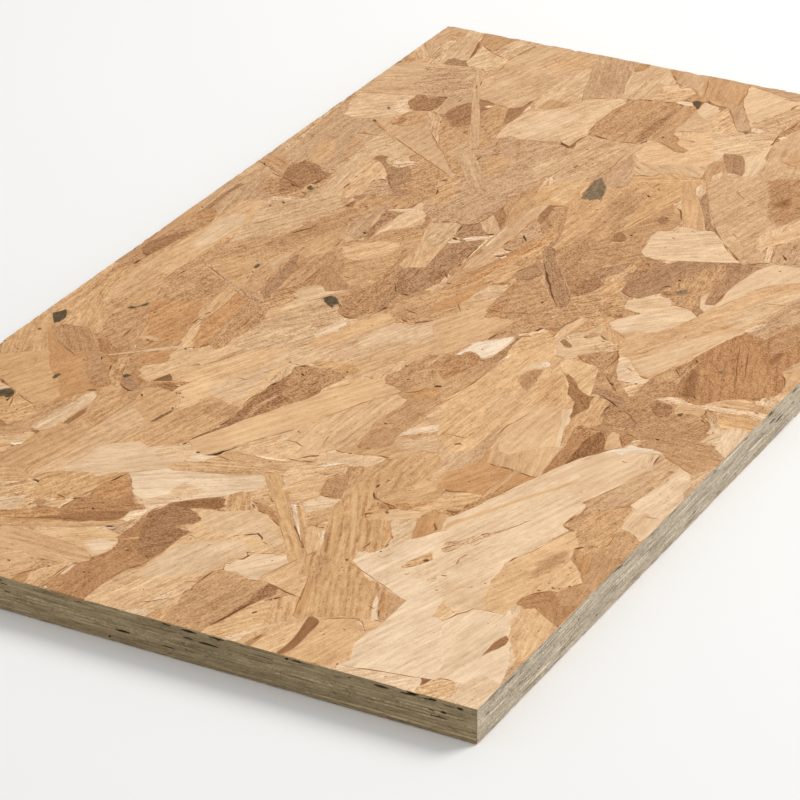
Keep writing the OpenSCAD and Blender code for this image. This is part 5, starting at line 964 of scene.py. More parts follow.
    ("d", -26, (-250.1,-102.1, -243.4,-103.1, -235.4,-106.6, -226.5,-109.6, -218.3,-113.1, -209.3,-120.4, -209.7,-121.5, -209.7,-124, -213.4,-123.9, -216.7,-124.3, -225.7,-117.1, -234.6,-114, -242.7,-110.5, -249,-106.2, -251.5,-103.4), {"rim": 0.3, "speck": 1.65}),
    ("G", -4, (-120,-55.8, -110.7,-61.3, -108.5,-65.5, -106,-68.5, -107.6,-72.2, -107.2,-77.1, -107.4,-80.1, -107.9,-81.4, -108.1,-81.9, -112.2,-83.2, -114.8,-83.9, -128,-85.3, -140.4,-88, -146.2,-85.6, -154.8,-82, -160.6,-77.5, -156.8,-74.3, -151.1,-69.7, -145.9,-67.2, -142.6,-62, -130.2,-58), {"rim": 0.0, "id": 74.0, "speck": 1.04}),
    ("X", -4, (-145.1,-87.7, -133.2,-84.2, -125.3,-83.9, -121.6,-84.2, -133.9,-87.3, -143.5,-90.7), {"rim": 0.0, "id": 74.0, "d": 2.6, "speck": 0.83}),
    ("a", -12, (-91.6,-110.4, -86.4,-115.3, -81.9,-119.4, -83.4,-121.6, -84.4,-124.3, -92.4,-127, -97.4,-124.1, -98.7,-119.3, -101.9,-117.7, -98.2,-113.6, -97.5,-112.9, -96.5,-111.9, -95.1,-110.6), {"speck": 2.4}),
    ("L", 11, (-84.4,-124.3, -81.1,-125.9, -78.3,-128.3, -78,-131.7, -79,-134.6, -81.1,-137.5, -83,-142.6, -86.1,-144.8, -89.9,-147.5, -91.9,-148.4, -98.6,-144.1, -104.5,-137.2, -106.9,-134.7, -95.2,-130.6), {"speck": 1.68}),
    ("X", -25, (-161.5,-78, -154.8,-82, -146.2,-85.6, -144.9,-87.3, -143.9,-88.3, -141.7,-90.4, -143.5,-90.7, -144.7,-97.2, -144.3,-104.6, -151.1,-104.4, -158.8,-104.6, -166.3,-103.1, -174.1,-102.9, -174.5,-97.8, -176.1,-90.6, -176.3,-85.9, -178.7,-82.1, -174.7,-80, -168.1,-79.3), {"rim": 0.2, "speck": 0.69}),
    ("H", -2, (-169.3,-103.6, -156.6,-104.5, -147.4,-105.1, -144.7,-108, -154.4,-108.7, -162.8,-107.7, -174.1,-107.2, -176.7,-104.3), {"speck": 0.71}),
    ("X", -12, (-147.6,-106.8, -146.5,-107.9, -143.8,-110.1, -144.2,-111.1, -144.9,-111.9, -145.8,-118.8, -152.9,-116, -159.5,-114, -165.6,-110.8, -156.2,-109.7), {"speck": 0.46}),
    ("a", -15, (-179.7,-104.8, -170.2,-106.2, -163.4,-110.7, -154.4,-115.2, -163.2,-113.3, -169.7,-111.3, -175.4,-108.9), {"speck": 1.24}),
    ("F", 17, (-142.9,-89.8, -132.1,-86.3, -120.7,-85.9, -106.7,-81.4, -102,-84.4, -95.9,-88.3, -94.7,-91.2, -90.8,-95, -92.4,-98.9, -94.3,-105.2, -108.4,-109.6, -118.7,-112, -128.2,-115.8, -138.5,-117.7, -145.2,-120, -146.5,-115.4, -145.2,-109.3, -143.8,-103.3, -144.7,-97.2), {"rim": 0.3, "speck": 0.62}),
    ("D", 16, (-94.8,-104.3, -91.1,-105.2, -90.3,-106.9, -91,-109.6, -91.2,-111.3, -105.5,-115.2, -118.3,-117.2, -126.7,-118.7, -130.5,-118, -135.9,-118.5, -118.7,-112), {"rim": 0.2, "speck": 0.48}),
    ("P", 6, (-100.7,-115.5, -97.3,-117.6, -99,-121.1, -95.1,-121.9, -105.2,-122.5, -113.2,-122.7, -121.5,-124.2, -130.1,-123.1, -133.9,-122.3, -137.2,-120.3, -145.2,-120, -138.3,-118.2, -129.6,-117.5, -118.8,-116.4, -107.8,-115.2), {"rim": 0.3, "speck": 1.03}),
    ("T", 3, (-104.3,-122.1, -96.9,-122.8, -91.4,-124.4, -89.8,-127.4, -101.7,-133.7, -107.8,-135.1, -111.4,-132.6, -117.3,-130.2, -119.8,-127.6, -125.4,-125.6, -118.2,-124.1, -110.7,-123.1), {"rim": 0.3, "speck": 1.88}),
    ("a", -19, (-192.6,-94.7, -192.4,-99.3, -188.9,-101.7, -183.2,-102.4, -178.8,-104.4, -173.2,-108.9, -182.7,-107.5, -189.1,-105.6, -195.5,-103.6, -199.2,-100.8, -197.7,-97.4), {"rim": 0.2, "speck": 2.4}),
    ("J", -18, (-161.4,-154.6, -152.3,-155.3, -142,-158.2, -134.8,-161.5, -134.3,-165.8, -136.9,-167.6, -138.9,-170.3, -145.1,-171.3, -155.8,-172.5, -160.1,-173.7, -172.8,-167.9, -181.1,-164.3, -185.3,-160.2, -183.7,-155.2, -182,-150.2, -175.2,-151, -167.9,-152.5), {"rim": 0.3, "id": 106.0, "speck": 1.37}),
    ("J", -18, (-160.1,-159.1, -149.7,-160.3, -140.9,-164.5, -141.8,-166, -141.6,-167.2, -144.3,-167.2, -148,-167.8, -156.7,-163.7, -163.6,-162.9), {"rim": 0.0, "id": 106.0, "d": 2.6, "speck": 1.21}),
    ("c", -21, (-225.7,-143, -219.5,-144.9, -210.6,-148.1, -201.6,-151.3, -191.7,-154, -185.4,-156, -182.4,-159.7, -173.8,-165.9, -158.4,-172.9, -157.7,-176.3, -161.7,-178.1, -164.8,-180.9, -170,-182.8, -178.1,-183.4, -182.2,-184.3, -191.6,-174.5, -188.7,-168, -194.3,-167.2, -198.5,-165.2, -204.8,-167.2, -209.5,-168.1, -214.7,-168.1, -224.9,-168.1, -231.8,-166.5, -237.9,-164.6, -247.2,-164.2, -256.9,-166.7, -261.5,-161.5, -266.8,-157.1, -265.8,-155.3, -264.1,-152.8, -242.6,-144, -232.5,-143.9), {"rim": 0.3, "id": 107.0, "speck": 0.7}),
    ("J", -21, (-219.4,-155.1, -207.6,-157.9, -200,-162.3, -203.3,-166, -213.2,-166.9, -223.9,-166.1, -230.5,-163.3, -232.6,-161.7, -233.1,-160.3, -233.2,-159.4, -233,-158.5), {"rim": 0.0, "id": 107.0, "d": 2.6, "speck": 0.87}),
    ("L", 8, (-219.2,-179, -213.5,-180.2, -196.4,-173.3, -189.7,-176.2, -187.3,-186.8, -197.3,-191.6, -220.1,-191, -231.8,-191.7, -243.2,-192.8, -248.6,-182.5, -240.1,-175.8, -235.1,-175.8, -230.4,-181, -225.7,-182.2, -225.9,-181.6, -224.9,-180.8, -223.8,-180.4), {"rim": 0.0, "id": 108.0, "speck": 0.81}),
    ("X", 19, (-199.8,-164.8, -195.6,-168.8, -194.7,-172.5, -204.9,-177, -213.9,-179.4, -220,-179.4, -211.9,-173.3, -206.8,-169.3), {"rim": 0.2, "speck": 0.93}),
    ("c", -4, (-238.3,-165.8, -232.6,-167, -224.1,-167.7, -213.9,-167.7, -207.7,-167.7, -213.4,-172.5, -219.7,-178.2, -225.5,-182.6, -230.6,-178.6, -235.4,-173.4, -237.6,-173, -239,-170.2, -241.9,-166.6), {"rim": 0.3, "speck": 0.74}),
    ("P", -43, (-249.4,-163.8, -242.7,-167, -238,-172.2, -239.9,-176.2, -248.6,-182.5, -251.7,-178.1, -258,-169.5, -257.8,-168.1, -256.5,-167.5, -256.5,-164.6, -255.7,-163.6, -252.9,-163.5), {"rim": 0.3, "speck": 1.14}),
    ("A", -18, (-201.1,-99.2, -193.8,-102.7, -181.8,-107, -170.6,-111.8, -159.3,-116.6, -147,-120.9, -133.7,-124.9, -120.2,-128.9, -110.3,-134.8, -98.2,-144.9, -99.8,-147.4, -102.7,-151.2, -107.2,-154.4, -116.9,-156.7, -122.2,-158.6, -129.9,-160.2, -141.3,-155.2, -147.9,-153.2, -156.4,-149.5, -159.3,-148.3, -158.4,-152, -160.5,-154.1, -166.2,-151.7, -174.3,-150.5, -181.2,-149.8, -183.1,-152.3, -184.5,-155.6, -190.9,-153.6, -200.8,-150.8, -209.8,-147.7, -218.7,-144.5, -224.9,-142.5, -234.1,-144.7, -242.6,-144, -264.8,-151.6, -271,-145.9, -274.6,-142.3, -273.8,-140.6, -272.2,-137.3, -259.8,-128.4, -254.6,-123.6, -243.5,-116.6, -232.8,-108.6, -213.9,-102.9), {"rim": 0.0, "id": 1.0, "speck": 0.42}),
    ("Q", -18, (-201.1,-99.2, -188.3,-105.1, -173.2,-113.1, -156.2,-120.3, -137.2,-126.7, -146.1,-126.9, -164.5,-119.3, -180.5,-111.6, -195.5,-103.6, -203.6,-100.5), {"rim": 0.0, "id": 1.0, "d": 2.6, "speck": 0.21}),
    ("d", -18, (-197.6,-105.8, -187,-109.7, -177.5,-115.4, -162.3,-123.4, -147.9,-132, -132.4,-140.3, -116.4,-149.4, -120.9,-151.6, -136.9,-142.5, -151.4,-133.8, -166.7,-125.7, -181.8,-117.6, -194.8,-111.2, -204.2,-105.6), {"rim": 0.0, "id": 1.0, "d": 2.6, "speck": 0.22}),
    ("B", -18, (-147.8,-121.4, -128.8,-127.8, -111.3,-135.2, -100.4,-144.9, -101.2,-146.7, -102.9,-149.8, -105.9,-150.6, -113.2,-151.1, -129.7,-139, -143.5,-129.8, -150.3,-125.3), {"rim": 0.0, "id": 1.0, "d": 2.6, "speck": 0.2}),
    ("A", -18, (-152.3,-134.2, -136.9,-142.5, -118.7,-153.7, -120.3,-155.9, -121.4,-156.9, -123.2,-159.9, -130.3,-159.3, -147,-152.7, -156.4,-149.5, -158.8,-147, -156.2,-141.5), {"rim": 0.0, "id": 1.0, "d": 2.6, "speck": 0.43}),
    ("F", -18, (-204.5,-101, -198.9,-103.3, -194.6,-109.5, -205,-106.1, -212,-105, -212.6,-103.2, -211.9,-102.2, -208,-101.5), {"rim": 0.0, "id": 1.0, "d": 2.6, "speck": 0.2}),
    ("A", -18, (-224.6,-123.2, -210,-127, -200.8,-132.7, -185.3,-137.8, -177.3,-146.8, -191.8,-147.8, -210.7,-144, -224.3,-139.7, -236.2,-140.7, -233.7,-131.7), {"rim": 0.0, "id": 1.0, "d": 2.6, "speck": 0.45}),
    ("B", -18, (-255.8,-128.5, -245.2,-135.2, -238.6,-141.9, -263.9,-153.2, -271.9,-146.7, -272.2,-144.6, -273.6,-140.2, -272.2,-137.3, -270.3,-135, -269.5,-133.6, -267.8,-132, -268.9,-128.9, -264.1,-128.4), {"rim": 0.0, "id": 1.0, "d": 2.6, "speck": 0.36}),
    ("E", -20, (-220.3,-109.5, -216.4,-114.7, -207.2,-120.3, -203.4,-123.6, -199.6,-126.8, -193,-131.3, -182.5,-136.9, -188.3,-134.1, -196.6,-130.5, -204,-126.5, -212.2,-122.9, -220.3,-119.4, -230.1,-114.7, -229.6,-112.2, -227.4,-110.8, -223.7,-109.9), {"rim": 0.2, "speck": 1.86}),
    ("W", -13, (-174.3,-150.5, -167.5,-151.3, -159,-152.9, -162.9,-153.7, -170.3,-152.1)),
    ("W", 4, (-194.3,-167.2, -188.7,-168, -184.9,-167.2, -190.3,-170.9, -193.3,-169.2)),
    ("J", -25, (-38.5,-91.8, -33.7,-96.7, -31.4,-99.2, -27.8,-104.1, -27.1,-107.1, -25.3,-110.3, -28.8,-110.4, -40,-112.5, -46.7,-118.5, -53.1,-122.7, -51.9,-115.5, -50.6,-111, -50.3,-97.6, -49.8,-95.6, -50.3,-92.1, -42.4,-92), {"speck": 1.27}),
    ("O", 71, (-48.3,-96.6, -48,-104.2, -49.2,-111.4, -53.7,-119.1, -61,-128.1, -70.2,-138, -74.2,-142, -76.9,-144.4, -77.6,-142.8, -79.7,-142.5, -81.8,-131.6, -83.5,-121.6, -84.7,-114.6, -78.9,-108.1, -68.9,-101.3, -64.9,-101.8, -58.7,-99, -52.9,-97.4), {"rim": 0.2, "speck": 1.42}),
    ("G", -12, (-57.1,-100.9, -55.3,-106.7, -58.3,-112.6, -60.6,-117.5, -66.9,-116.8, -74.5,-118.3, -85.3,-120.3, -88,-118.7, -87.6,-117.8, -87.9,-117.2, -87.6,-116, -85.9,-113.7, -81.8,-109.1, -78.8,-107.8, -72.8,-105, -67.7,-102.1), {"speck": 1.56}),
    ("N", -25, (-74.3,-118.7, -62.9,-117.6, -63.8,-122.9, -67.7,-129.2, -72.3,-134.1, -79.7,-133.3, -82.8,-130.5, -83,-130, -82.8,-128.5, -82.6,-127.7, -79.7,-122), {"speck": 1.91}),
    ("N", -8, (-56.6,-122.7, -43.7,-124.2, -31.6,-124, -21.4,-124.6, -17.1,-128.4, -14.5,-130.8, -13.9,-132.9, -15.9,-135.3, -33.1,-140, -39.7,-141.5, -44.2,-138.8, -44.5,-137, -45,-134.9, -44.2,-132.7, -47.8,-139.8, -48.6,-145.1, -58.5,-149.2, -55.6,-157, -53.4,-159.1, -51.9,-160.4, -50.4,-162.4, -52.2,-163.5, -59.2,-170.5, -65.4,-174.4, -73.1,-173.1, -76.1,-171.9, -78.6,-162.4, -83.5,-148.6, -84.2,-138.2, -75.4,-139.4, -67.7,-131.4, -61.4,-122.9), {"rim": 0.1, "speck": 1.52}),
    ("R", -25, (-53.6,-133.3, -50,-135.4, -48.7,-140.3, -49.6,-145.6, -55.6,-147.8, -61.5,-147.9, -64.3,-144.9, -60.3,-138.7), {"rim": 0.1, "id": 120.0, "speck": 1.82}),
    ("N", -25, (-68.3,-134.9, -65.2,-145.3, -59.9,-151, -60.4,-159.2, -65.9,-173.6, -74.4,-168.4, -76.6,-150.7, -76.8,-141.1), {"rim": 0.0, "id": 120.0, "d": 2.6, "speck": 1.55}),
    ("L", -25, (-59.2,-152.3, -56.2,-155.6, -52.8,-159.4, -51.7,-160.8, -54.3,-161.8, -61.8,-172.3, -67.1,-168.8, -66.2,-159.3), {"rim": 0.0, "id": 120.0, "d": 2.6, "speck": 1.45}),
    ("D", -28, (-40,-112.5, -36.9,-121, -33.5,-122.7, -44.4,-122.9, -52.8,-123.1, -46.7,-118.5), {"id": 121.0, "rim": 0.0, "speck": 1.71}),
    ("N", -79, (-86.6,-115.5, -85,-127.8, -82,-142.5, -76.8,-161.5, -71.5,-176.1, -77,-172.3, -80.7,-160.7, -84.4,-149.1, -88.1,-137.4, -90,-124.8, -91.3,-117.8), {"speck": 0.99}),
    ("F", -13, (-106.9,-134.7, -95.2,-130.6, -87.3,-130, -88.3,-134.8, -99.9,-141.5, -104,-138.1), {"speck": 0.51}),
    ("D", -33, (-90.8,-143.5, -87.2,-148.2, -93,-150.5, -98.2,-144.9, -99.9,-141.5), {"speck": 2.4}),
    ("P", -3, (-89.3,-135.3, -86.5,-138.3, -90.8,-143.5, -96.8,-143.2, -99.9,-141.5, -94.8,-138), {"rim": 0.3, "speck": 1.55}),
    ("P", -52, (-40.4,-142.4, -30.7,-140, -15.9,-135.3, -10.9,-140.1, -8.5,-142.9, -0.7,-146.2, 1.5,-149.5, 1.1,-156.6, -1.2,-163.7, -3.9,-167.1, -8,-171.1, -8.7,-175.2, -15.6,-176.7, -20.8,-177.5, -27.9,-175.7, -31,-167.4, -32.5,-159.9, -36.9,-153.8, -33.8,-148, -35.6,-142.3), {"rim": 0.3, "id": 126.0, "speck": 2.0}),
    ("D", -84, (-37,-156, -31.9,-163.4, -39.4,-167.4, -40.9,-160)),
    ("F", -80, (-32.9,-163.9, -29.1,-165.3, -25.8,-166.5, -26.3,-171.4, -27,-175.3, -29.3,-179.3, -30.8,-181.3, -34.3,-180.4, -36.7,-179.6, -38.8,-170.9, -37.7,-166.1), {"speck": 1.05}),
    ("L", 34, (-47.4,-161.3, -45.4,-167.4, -58.1,-172.7, -57.5,-169.2, -52,-164), {"speck": 1.11}),
    ("b", -84, (-46.4,-167.9, -42.5,-182.2, -46.2,-189.5, -49.9,-191, -54.1,-190.5, -57.8,-189.1, -59.9,-180.5, -60.5,-174.9), {"speck": 1.29}),
    ("B", -26, (-59.2,-170.5, -60.5,-174.9, -66.2,-179.6, -73.2,-181.7, -74.6,-180.2, -76.2,-178.5, -75.8,-178.1, -75.7,-177, -75.4,-173.1, -67.7,-174.4, -68.9,-171.6, -64.6,-171.4, -63.2,-170.7), {"speck": 0.8}),
    ("B", 46, (-49.8,-163.5, -50.8,-166.2, -58.8,-173.6, -65.5,-178.7, -68.5,-177.4, -62.3,-171.4), {"speck": 1.16}),
    ("A", 9, (-62.7,-177.4, -57.9,-179, -56.6,-182.3, -56.2,-185.5, -56.8,-188.6, -68.2,-193.7, -77.6,-191.1, -87.3,-192.3, -88.4,-190.2, -80.5,-185.5, -72.5,-180.9), {"rim": 0.2, "speck": 0.59}),
    ("B", -80, (-43,-130.4, -43.1,-134.9, -40.6,-141.9, -36,-141.4, -35.3,-147.6, -37.6,-152.5, -39.8,-155.1, -40.5,-160.9, -40,-168.7, -38.6,-180.5, -42.5,-182.2, -44.8,-170.9, -46.6,-158.3, -48.2,-148.2, -47.8,-139.8, -47.1,-134.1), {"rim": 0.3, "speck": 1.91}),
    ("F", -71, (-52.7,-146.5, -49.1,-146.5, -45.5,-147.2, -45.8,-148.5, -46,-151, -46,-152.6, -45.9,-159.6, -46.9,-162.2, -50.7,-161.8, -53.9,-161.3, -54.7,-160, -54,-158.5, -53.7,-156.1, -58,-150.1), {"speck": 1.1}),
    ("L", -87, (-92.2,-147.4, -84.2,-151.7, -77.7,-162, -77,-172.3, -79.9,-180, -85.1,-187.7, -89.3,-192.7, -95.7,-191.4, -101.5,-188.8, -106.4,-185.9, -110.2,-185, -109.5,-182.1, -104.5,-174.5, -101.2,-167.7, -97,-160.4, -95.1,-155.2, -93.9,-150.9), {"rim": 0.4, "speck": 1.3}),
    ("G", -13, (-97.7,-161.2, -102.1,-168.1, -106.3,-175.3, -111,-174.9, -112.6,-171.9, -121.5,-171.9, -132.6,-172, -141,-170.7, -151.2,-167.8, -157.9,-163.3, -159.4,-161.8, -160.9,-160.5, -160.9,-159.7, -160.1,-159.1, -165.7,-154.6, -166.8,-152.6, -164.4,-152.3, -161.4,-151.5, -157.9,-150.8, -154.5,-151.1, -144.2,-154, -134.7,-157.3, -125.2,-160.6, -117.9,-163.9, -110.7,-162.6), {"rim": 0.0, "id": 137.0, "speck": 1.04}),
    ("G", -13, (-99.5,-162.1, -103.5,-169.8, -112.6,-171.9, -114.1,-170.5, -116.2,-168.5, -116,-167.3, -115.4,-166.4, -116.7,-165.1, -115.6,-164.1, -111.7,-163.5, -108.2,-163), {"rim": 0.0, "id": 137.0, "d": 2.6, "speck": 0.73}),
    ("H", -13, (-170,-156.7, -159.9,-161.6, -154.9,-167, -151,-172.4, -164.2,-174.1, -172.1,-175.3, -183.3,-178.2, -195.7,-180.6, -204.5,-173.7, -200.5,-169.6, -197.9,-166.5, -193.5,-164.5, -188.1,-160, -180,-158), {"rim": 0.0, "id": 137.0, "speck": 1.38}),
    ("J", 8, (-176.1,-175.8, -172.7,-178.2, -173.1,-183.6, -175.9,-188.5, -183.5,-190, -193.9,-190, -196.7,-188.2, -199.8,-186.3, -200.2,-184.1, -198.6,-181, -188.2,-179), {"rim": 0.0, "id": 108.0, "speck": 1.07}),
    ("A", -9, (-141.8,-171.2, -129.7,-173.2, -118.6,-173.2, -111,-174.9, -106.8,-176.6, -110.4,-182.5, -110.5,-186.7, -118.8,-187.9, -125.2,-190.4, -133.8,-190.8, -143.9,-190.3, -159.2,-189.8, -170.8,-190.1, -179.7,-189.2, -177.4,-185.6, -173.4,-181.1, -172.1,-175.3, -164.2,-174.1, -153.4,-174.1, -150.1,-169.9), {"rim": 0.3, "speck": 0.49}),
    ("C", -14, (-110.4,-182.5, -107.3,-186.3, -99.7,-190.1, -110.8,-190.5, -120.6,-190.8, -124.3,-190), {"speck": 1.03}),
    ("I", 0, (-127.2,-186.6, -120.3,-187.1, -121,-190, -130.1,-191.6, -134.3,-189.9), {"id": 140.0, "speck": 0.4}),
    ("C", 0, (-170.8,-175.8, -157.5,-174.5, -153,-179.1, -154.1,-187.3, -162.9,-188.9, -173.5,-188.9, -176.7,-184.8), {"rim": 0.0, "id": 140.0, "d": 2.6, "speck": 0.31}),
    ("B", -18, (-116.2,-130.1, -110.3,-134.8, -105,-142.9, -101.5,-151.8, -99.7,-157.4, -110.2,-161.3, -117.9,-163.9, -125.2,-160.6, -134.7,-157.3, -144.2,-154, -152.7,-150.3, -155.3,-149.5, -154.1,-144, -150.8,-139.7, -137.4,-137.7, -135,-135.6, -124.9,-132.6), {"rim": 0.0, "id": 1.0, "speck": 0.27}),
    ("B", -18, (-137.7,-140.8, -123.5,-146.5, -116.2,-156.3, -112.2,-161.8, -117.9,-163.9, -125.2,-160.6, -134.7,-157.3, -144.2,-154, -155.3,-149.5, -157.1,-146.5, -155.3,-144.3, -154.4,-142.7, -147.4,-142.7, -142.2,-141.7), {"rim": 0.0, "id": 1.0, "d": 2.6, "speck": 0.32}),
    ("B", 10, (-100.4,-156.1, -98.2,-157.6, -97.5,-158.3, -96.4,-160.4, -97.5,-161.7, -105.4,-161.7, -111.6,-163, -115.8,-163.5, -114.9,-157.9, -112,-154, -106.6,-154), {"speck": 0.65}),
    ("U", -58, (-111.7,-134.4, -107.4,-136, -104,-138.1, -99.3,-142.8, -96.7,-143.7, -95,-144.2, -95.9,-147.2, -95.9,-149.2, -95.1,-155.2, -96.6,-163.4, -99.2,-156.1, -102.8,-147.1, -104.6,-146, -107.9,-145.4, -107,-141.7, -106.8,-139.4), {"speck": 0.42}),
    ("b", -22, (-157.4,186.1, -152.4,180, -150.5,176.4, -145.5,170.8, -142.9,166.5, -141.1,161.8, -143.8,159.8, -157.9,148.1, -169.9,135.4, -179.7,128.4, -187.3,131.1, -192.3,133.8, -194.8,136.3, -190.7,142.5, -187.8,148.6, -183.3,156.5, -180.4,162.7, -176.1,173.5, -175,175.8, -173.9,178.8, -172.5,183, -168.7,184.4, -163.8,186), {"rim": 0.1, "speck": 0.64}),
    ("X", -19, (-144.3,160.8, -138.6,154.6, -137.4,152, -132.7,146.3, -129.5,141.1, -129.2,136.9, -130.5,134.1, -140,125.6, -152.8,119.1, -161.4,116.6, -166.4,116.9, -169.4,120.3, -174.5,122.9, -182,125.7, -187.2,126.4, -188.2,130.5, -179.5,130.3, -166.3,140.2, -158.8,149.9), {"rim": 0.0, "id": 144.0, "speck": 0.78}),
    ("N", -19, (-136.3,145.4, -130.3,140.5, -129.2,137.4, -129.6,135.5, -130.2,133.6, -143,124.2, -155.1,118.8, -164.4,117.6, -163.5,122.9, -156.5,133.4), {"rim": 0.0, "id": 144.0, "d": 2.6, "speck": 1.22}),
    ("b", -31, (-196.1,159.8, -194.2,151.5, -188.3,149.5, -190.7,142.5, -194.5,135.8, -201.7,133.4, -203.9,126.1, -213.2,125.7, -216.8,135.1, -218.3,144.7, -217.6,149.3, -215.1,151.8, -212.2,154.8, -207.9,157.8, -200.7,158.8), {"speck": 1.62}),
    ("B", -21, (-179.7,171, -181.3,162, -184.2,155.8, -188.6,157.1, -190.9,159.5, -191.1,160.1, -192.8,162.1, -191.6,162.9, -194.7,167.5, -189.1,168.6, -185.2,169.9)),
    ("J", -14, (-194.5,135.8, -189.1,130, -183.6,126.4, -180.5,124.2, -180.3,123.1, -180.1,121.4, -180.2,119.8, -189.9,122.3, -198.9,123.4, -205.2,124, -213.2,125.7, -216.9,128.3, -218.7,130.7, -217.9,133, -217.7,134.5, -223.2,133.7, -227.9,138.2, -230.2,140.9, -228.1,142.4, -222.2,143.5, -218.3,144.7, -211.1,133.1, -200.5,131.2), {"speck": 1.22}),
    ("P", -63, (-217.4,145.3, -216.2,144.8, -213.8,143.8, -213.8,142.8, -214.9,140.5, -218.2,135.3, -223.7,134.6, -225.8,135, -226.3,136.6, -226.5,137.7, -226.2,139.4, -225,143.9, -224.8,147, -221.4,146.2)),
    ("J", -52, (-224.4,140.5, -217.7,134.5, -212.8,127.2, -215.1,118, -221,120.5, -226.4,128.6, -230.3,129.7, -230.2,131.9, -231,133.9, -230.5,136.4, -230.6,139.1, -229,139.7, -226.8,140.3), {"speck": 0.9}),
    ("D", -52, (-229.6,137, -222.4,125.4, -220,124, -217.1,123.3, -217.8,121, -218.8,118.5, -226.7,117.9, -231.4,122.3, -235.1,123.6, -236.5,125.4, -237,128.4, -236.5,132.3, -236.2,135.2, -235.3,137.1, -232.4,137), {"speck": 1.25}),
    ("H", -37, (-236.5,132.3, -233.3,123.9, -231.5,118.2, -239.3,119.9, -246.8,125.3, -246.9,128.4, -245.3,132.2, -241.4,132.3), {"speck": 1.97}),
    ("H", -14, (-171,113.9, -163.9,116.7, -157.9,114.6, -149.1,119.1, -139,123.8, -132.9,121.7, -146.8,114.6, -156.5,109.6, -160,104.4, -170.3,100.8, -182.1,100.3, -187.8,104.3, -187.6,108.5, -178.3,111.6), {"speck": 1.25}),
    ("H", 18, (-152.8,119.1, -143,124.2, -132.2,127.5, -127,122.4, -141.6,116.7, -155.6,110.2, -159.3,112.6), {"speck": 1.66}),
    ("b", -8, (-199.2,105.6, -186.9,104.9, -180.7,100, -175.3,98.8, -162.1,99, -178.5,95.6, -188.2,98.2, -200,98.1, -204.9,100.8), {"rim": 0.1, "speck": 1.53}),
    ("D", -13, (-202.2,97.8, -188.8,94.8, -175.3,91.8, -158.8,90.5, -144.5,88.8, -145.2,84.3, -148.5,81.5, -153.2,78.6, -158.7,77.3, -165.9,73.7, -172,71.7, -185.1,74, -197.4,74.9, -208,79.7, -215.7,83.3, -226.6,82.1, -235.9,84.6, -244.3,87.7, -251,91.9, -256.8,96.6, -241.2,101.3, -229.9,97.2, -215,95.4), {"band": 0.6, "rim": 0.0, "id": 155.0, "speck": 0.61}),
    ("H", -12, (-248.5,124.2, -238.5,120.5, -230.6,118.7, -226.7,117.9, -217.5,118.2, -214.2,116.3, -206.4,112.6, -201.5,110, -202.2,97.8, -215,95.4, -229.9,97.2, -241.2,101.3, -249.6,104.3, -257.1,107.9, -260.4,110.6, -261.5,112.5, -262,113.7, -261.1,115.6, -260.6,117.9, -261.2,121.2, -256.3,122.5), {"band": 0.6, "rim": 0.1, "id": 156.0, "speck": 0.73}),
    ("F", -12, (-248.5,102.2, -231,99.4, -213.3,96.5, -196.4,95.8, -188.4,94, -201.7,92.4, -220.2,92, -237.1,93.6, -249.6,95.7), {"rim": 0.0, "id": 156.0, "d": 2.6, "speck": 0.77}),
    ("d", -12, (-207.3,78.4, -195.6,76, -185.1,74, -173.8,70.6, -169.9,65.6, -174,63.8, -183.2,61, -188.9,58.4, -195,56.1, -200.5,54, -204.1,67.7, -208,70.3, -209.2,72, -208.2,73.5, -208.2,75.5), {"rim": 0.0, "id": 157.0, "speck": 0.83}),
    ("H", -62, (-260.3,116.2, -257.9,114.4, -255.4,113, -253.5,111.2, -255.2,106.3, -255.6,96.3, -260.8,95.6, -265.4,102.3, -268.6,110.5, -268.4,114.1, -265.1,115.9, -262.3,115.9), {"speck": 1.31}),
    ("F", -43, (-269.4,109.9, -266.3,101.7, -260.2,94.4, -260,87.6, -271.7,86.6, -277.1,93.2, -280.8,98.1, -279.8,98.5, -280,100, -280.5,101.3, -280.1,102.7, -278.9,104.7, -276.8,107.6, -275.9,111.1), {"id": 25.0, "rim": 0.0, "speck": 1.8}),
    ("b", -23, (-258.1,96.9, -250.2,92.4, -242.9,82.9, -237.1,69.5, -232,57.5, -236.9,58.3, -242.5,60.4, -248.9,62, -259.7,63.5, -269.3,71.2, -269.3,73.4, -272.7,79.5, -273,81.6, -272.2,85.6, -272.8,88.7, -259.6,89), {"speck": 1.41}),
    ("B", -47, (-246.1,88.8, -237,86.8, -227.7,84.2, -218.6,84.4, -212.9,82.3, -206.6,74.8, -200.4,67.2, -199.6,54.6, -200.5,51.1, -202.7,45.9, -204.8,42.6, -210.1,42.4, -216.4,42.2, -220.4,41.6, -228.3,52.5, -234.7,62.6, -237,64.4, -239.8,66.3, -242.5,68.2, -240.2,73.3, -243.8,82.3), {"rim": 0.0, "id": 50.0, "speck": 0.41}),
    ("B", -47, (-221.2,69.5, -212.8,62.3, -204.8,51.3, -205.7,46.7, -205.8,40.9, -212.4,41.2, -219.5,42.2, -228.3,52.5, -231.4,60.7), {"rim": 0.0, "id": 50.0, "d": 2.6, "speck": 0.41}),
    ("X", -16, (-250.2,62.3, -242.5,60.4, -236.9,58.3, -231.6,56.7, -237.9,51.5, -248.9,42.8, -255.5,47.1, -260,50.9, -259.3,53.2, -258.1,55.1, -258.7,58.8, -258.1,60.5), {"speck": 1.43}),
    ("Q", -56, (-231.8,57.1, -228.3,52.5, -219.5,42.2, -220.3,36, -222.3,30.4, -224,27.6, -232.1,28.2, -235.6,29.3, -241.5,28.5, -243.8,30.6, -248.6,33.8, -250.9,36, -248.9,42.8, -239.6,50.4), {"rim": 0.0, "id": 44.0, "speck": 0.38}),
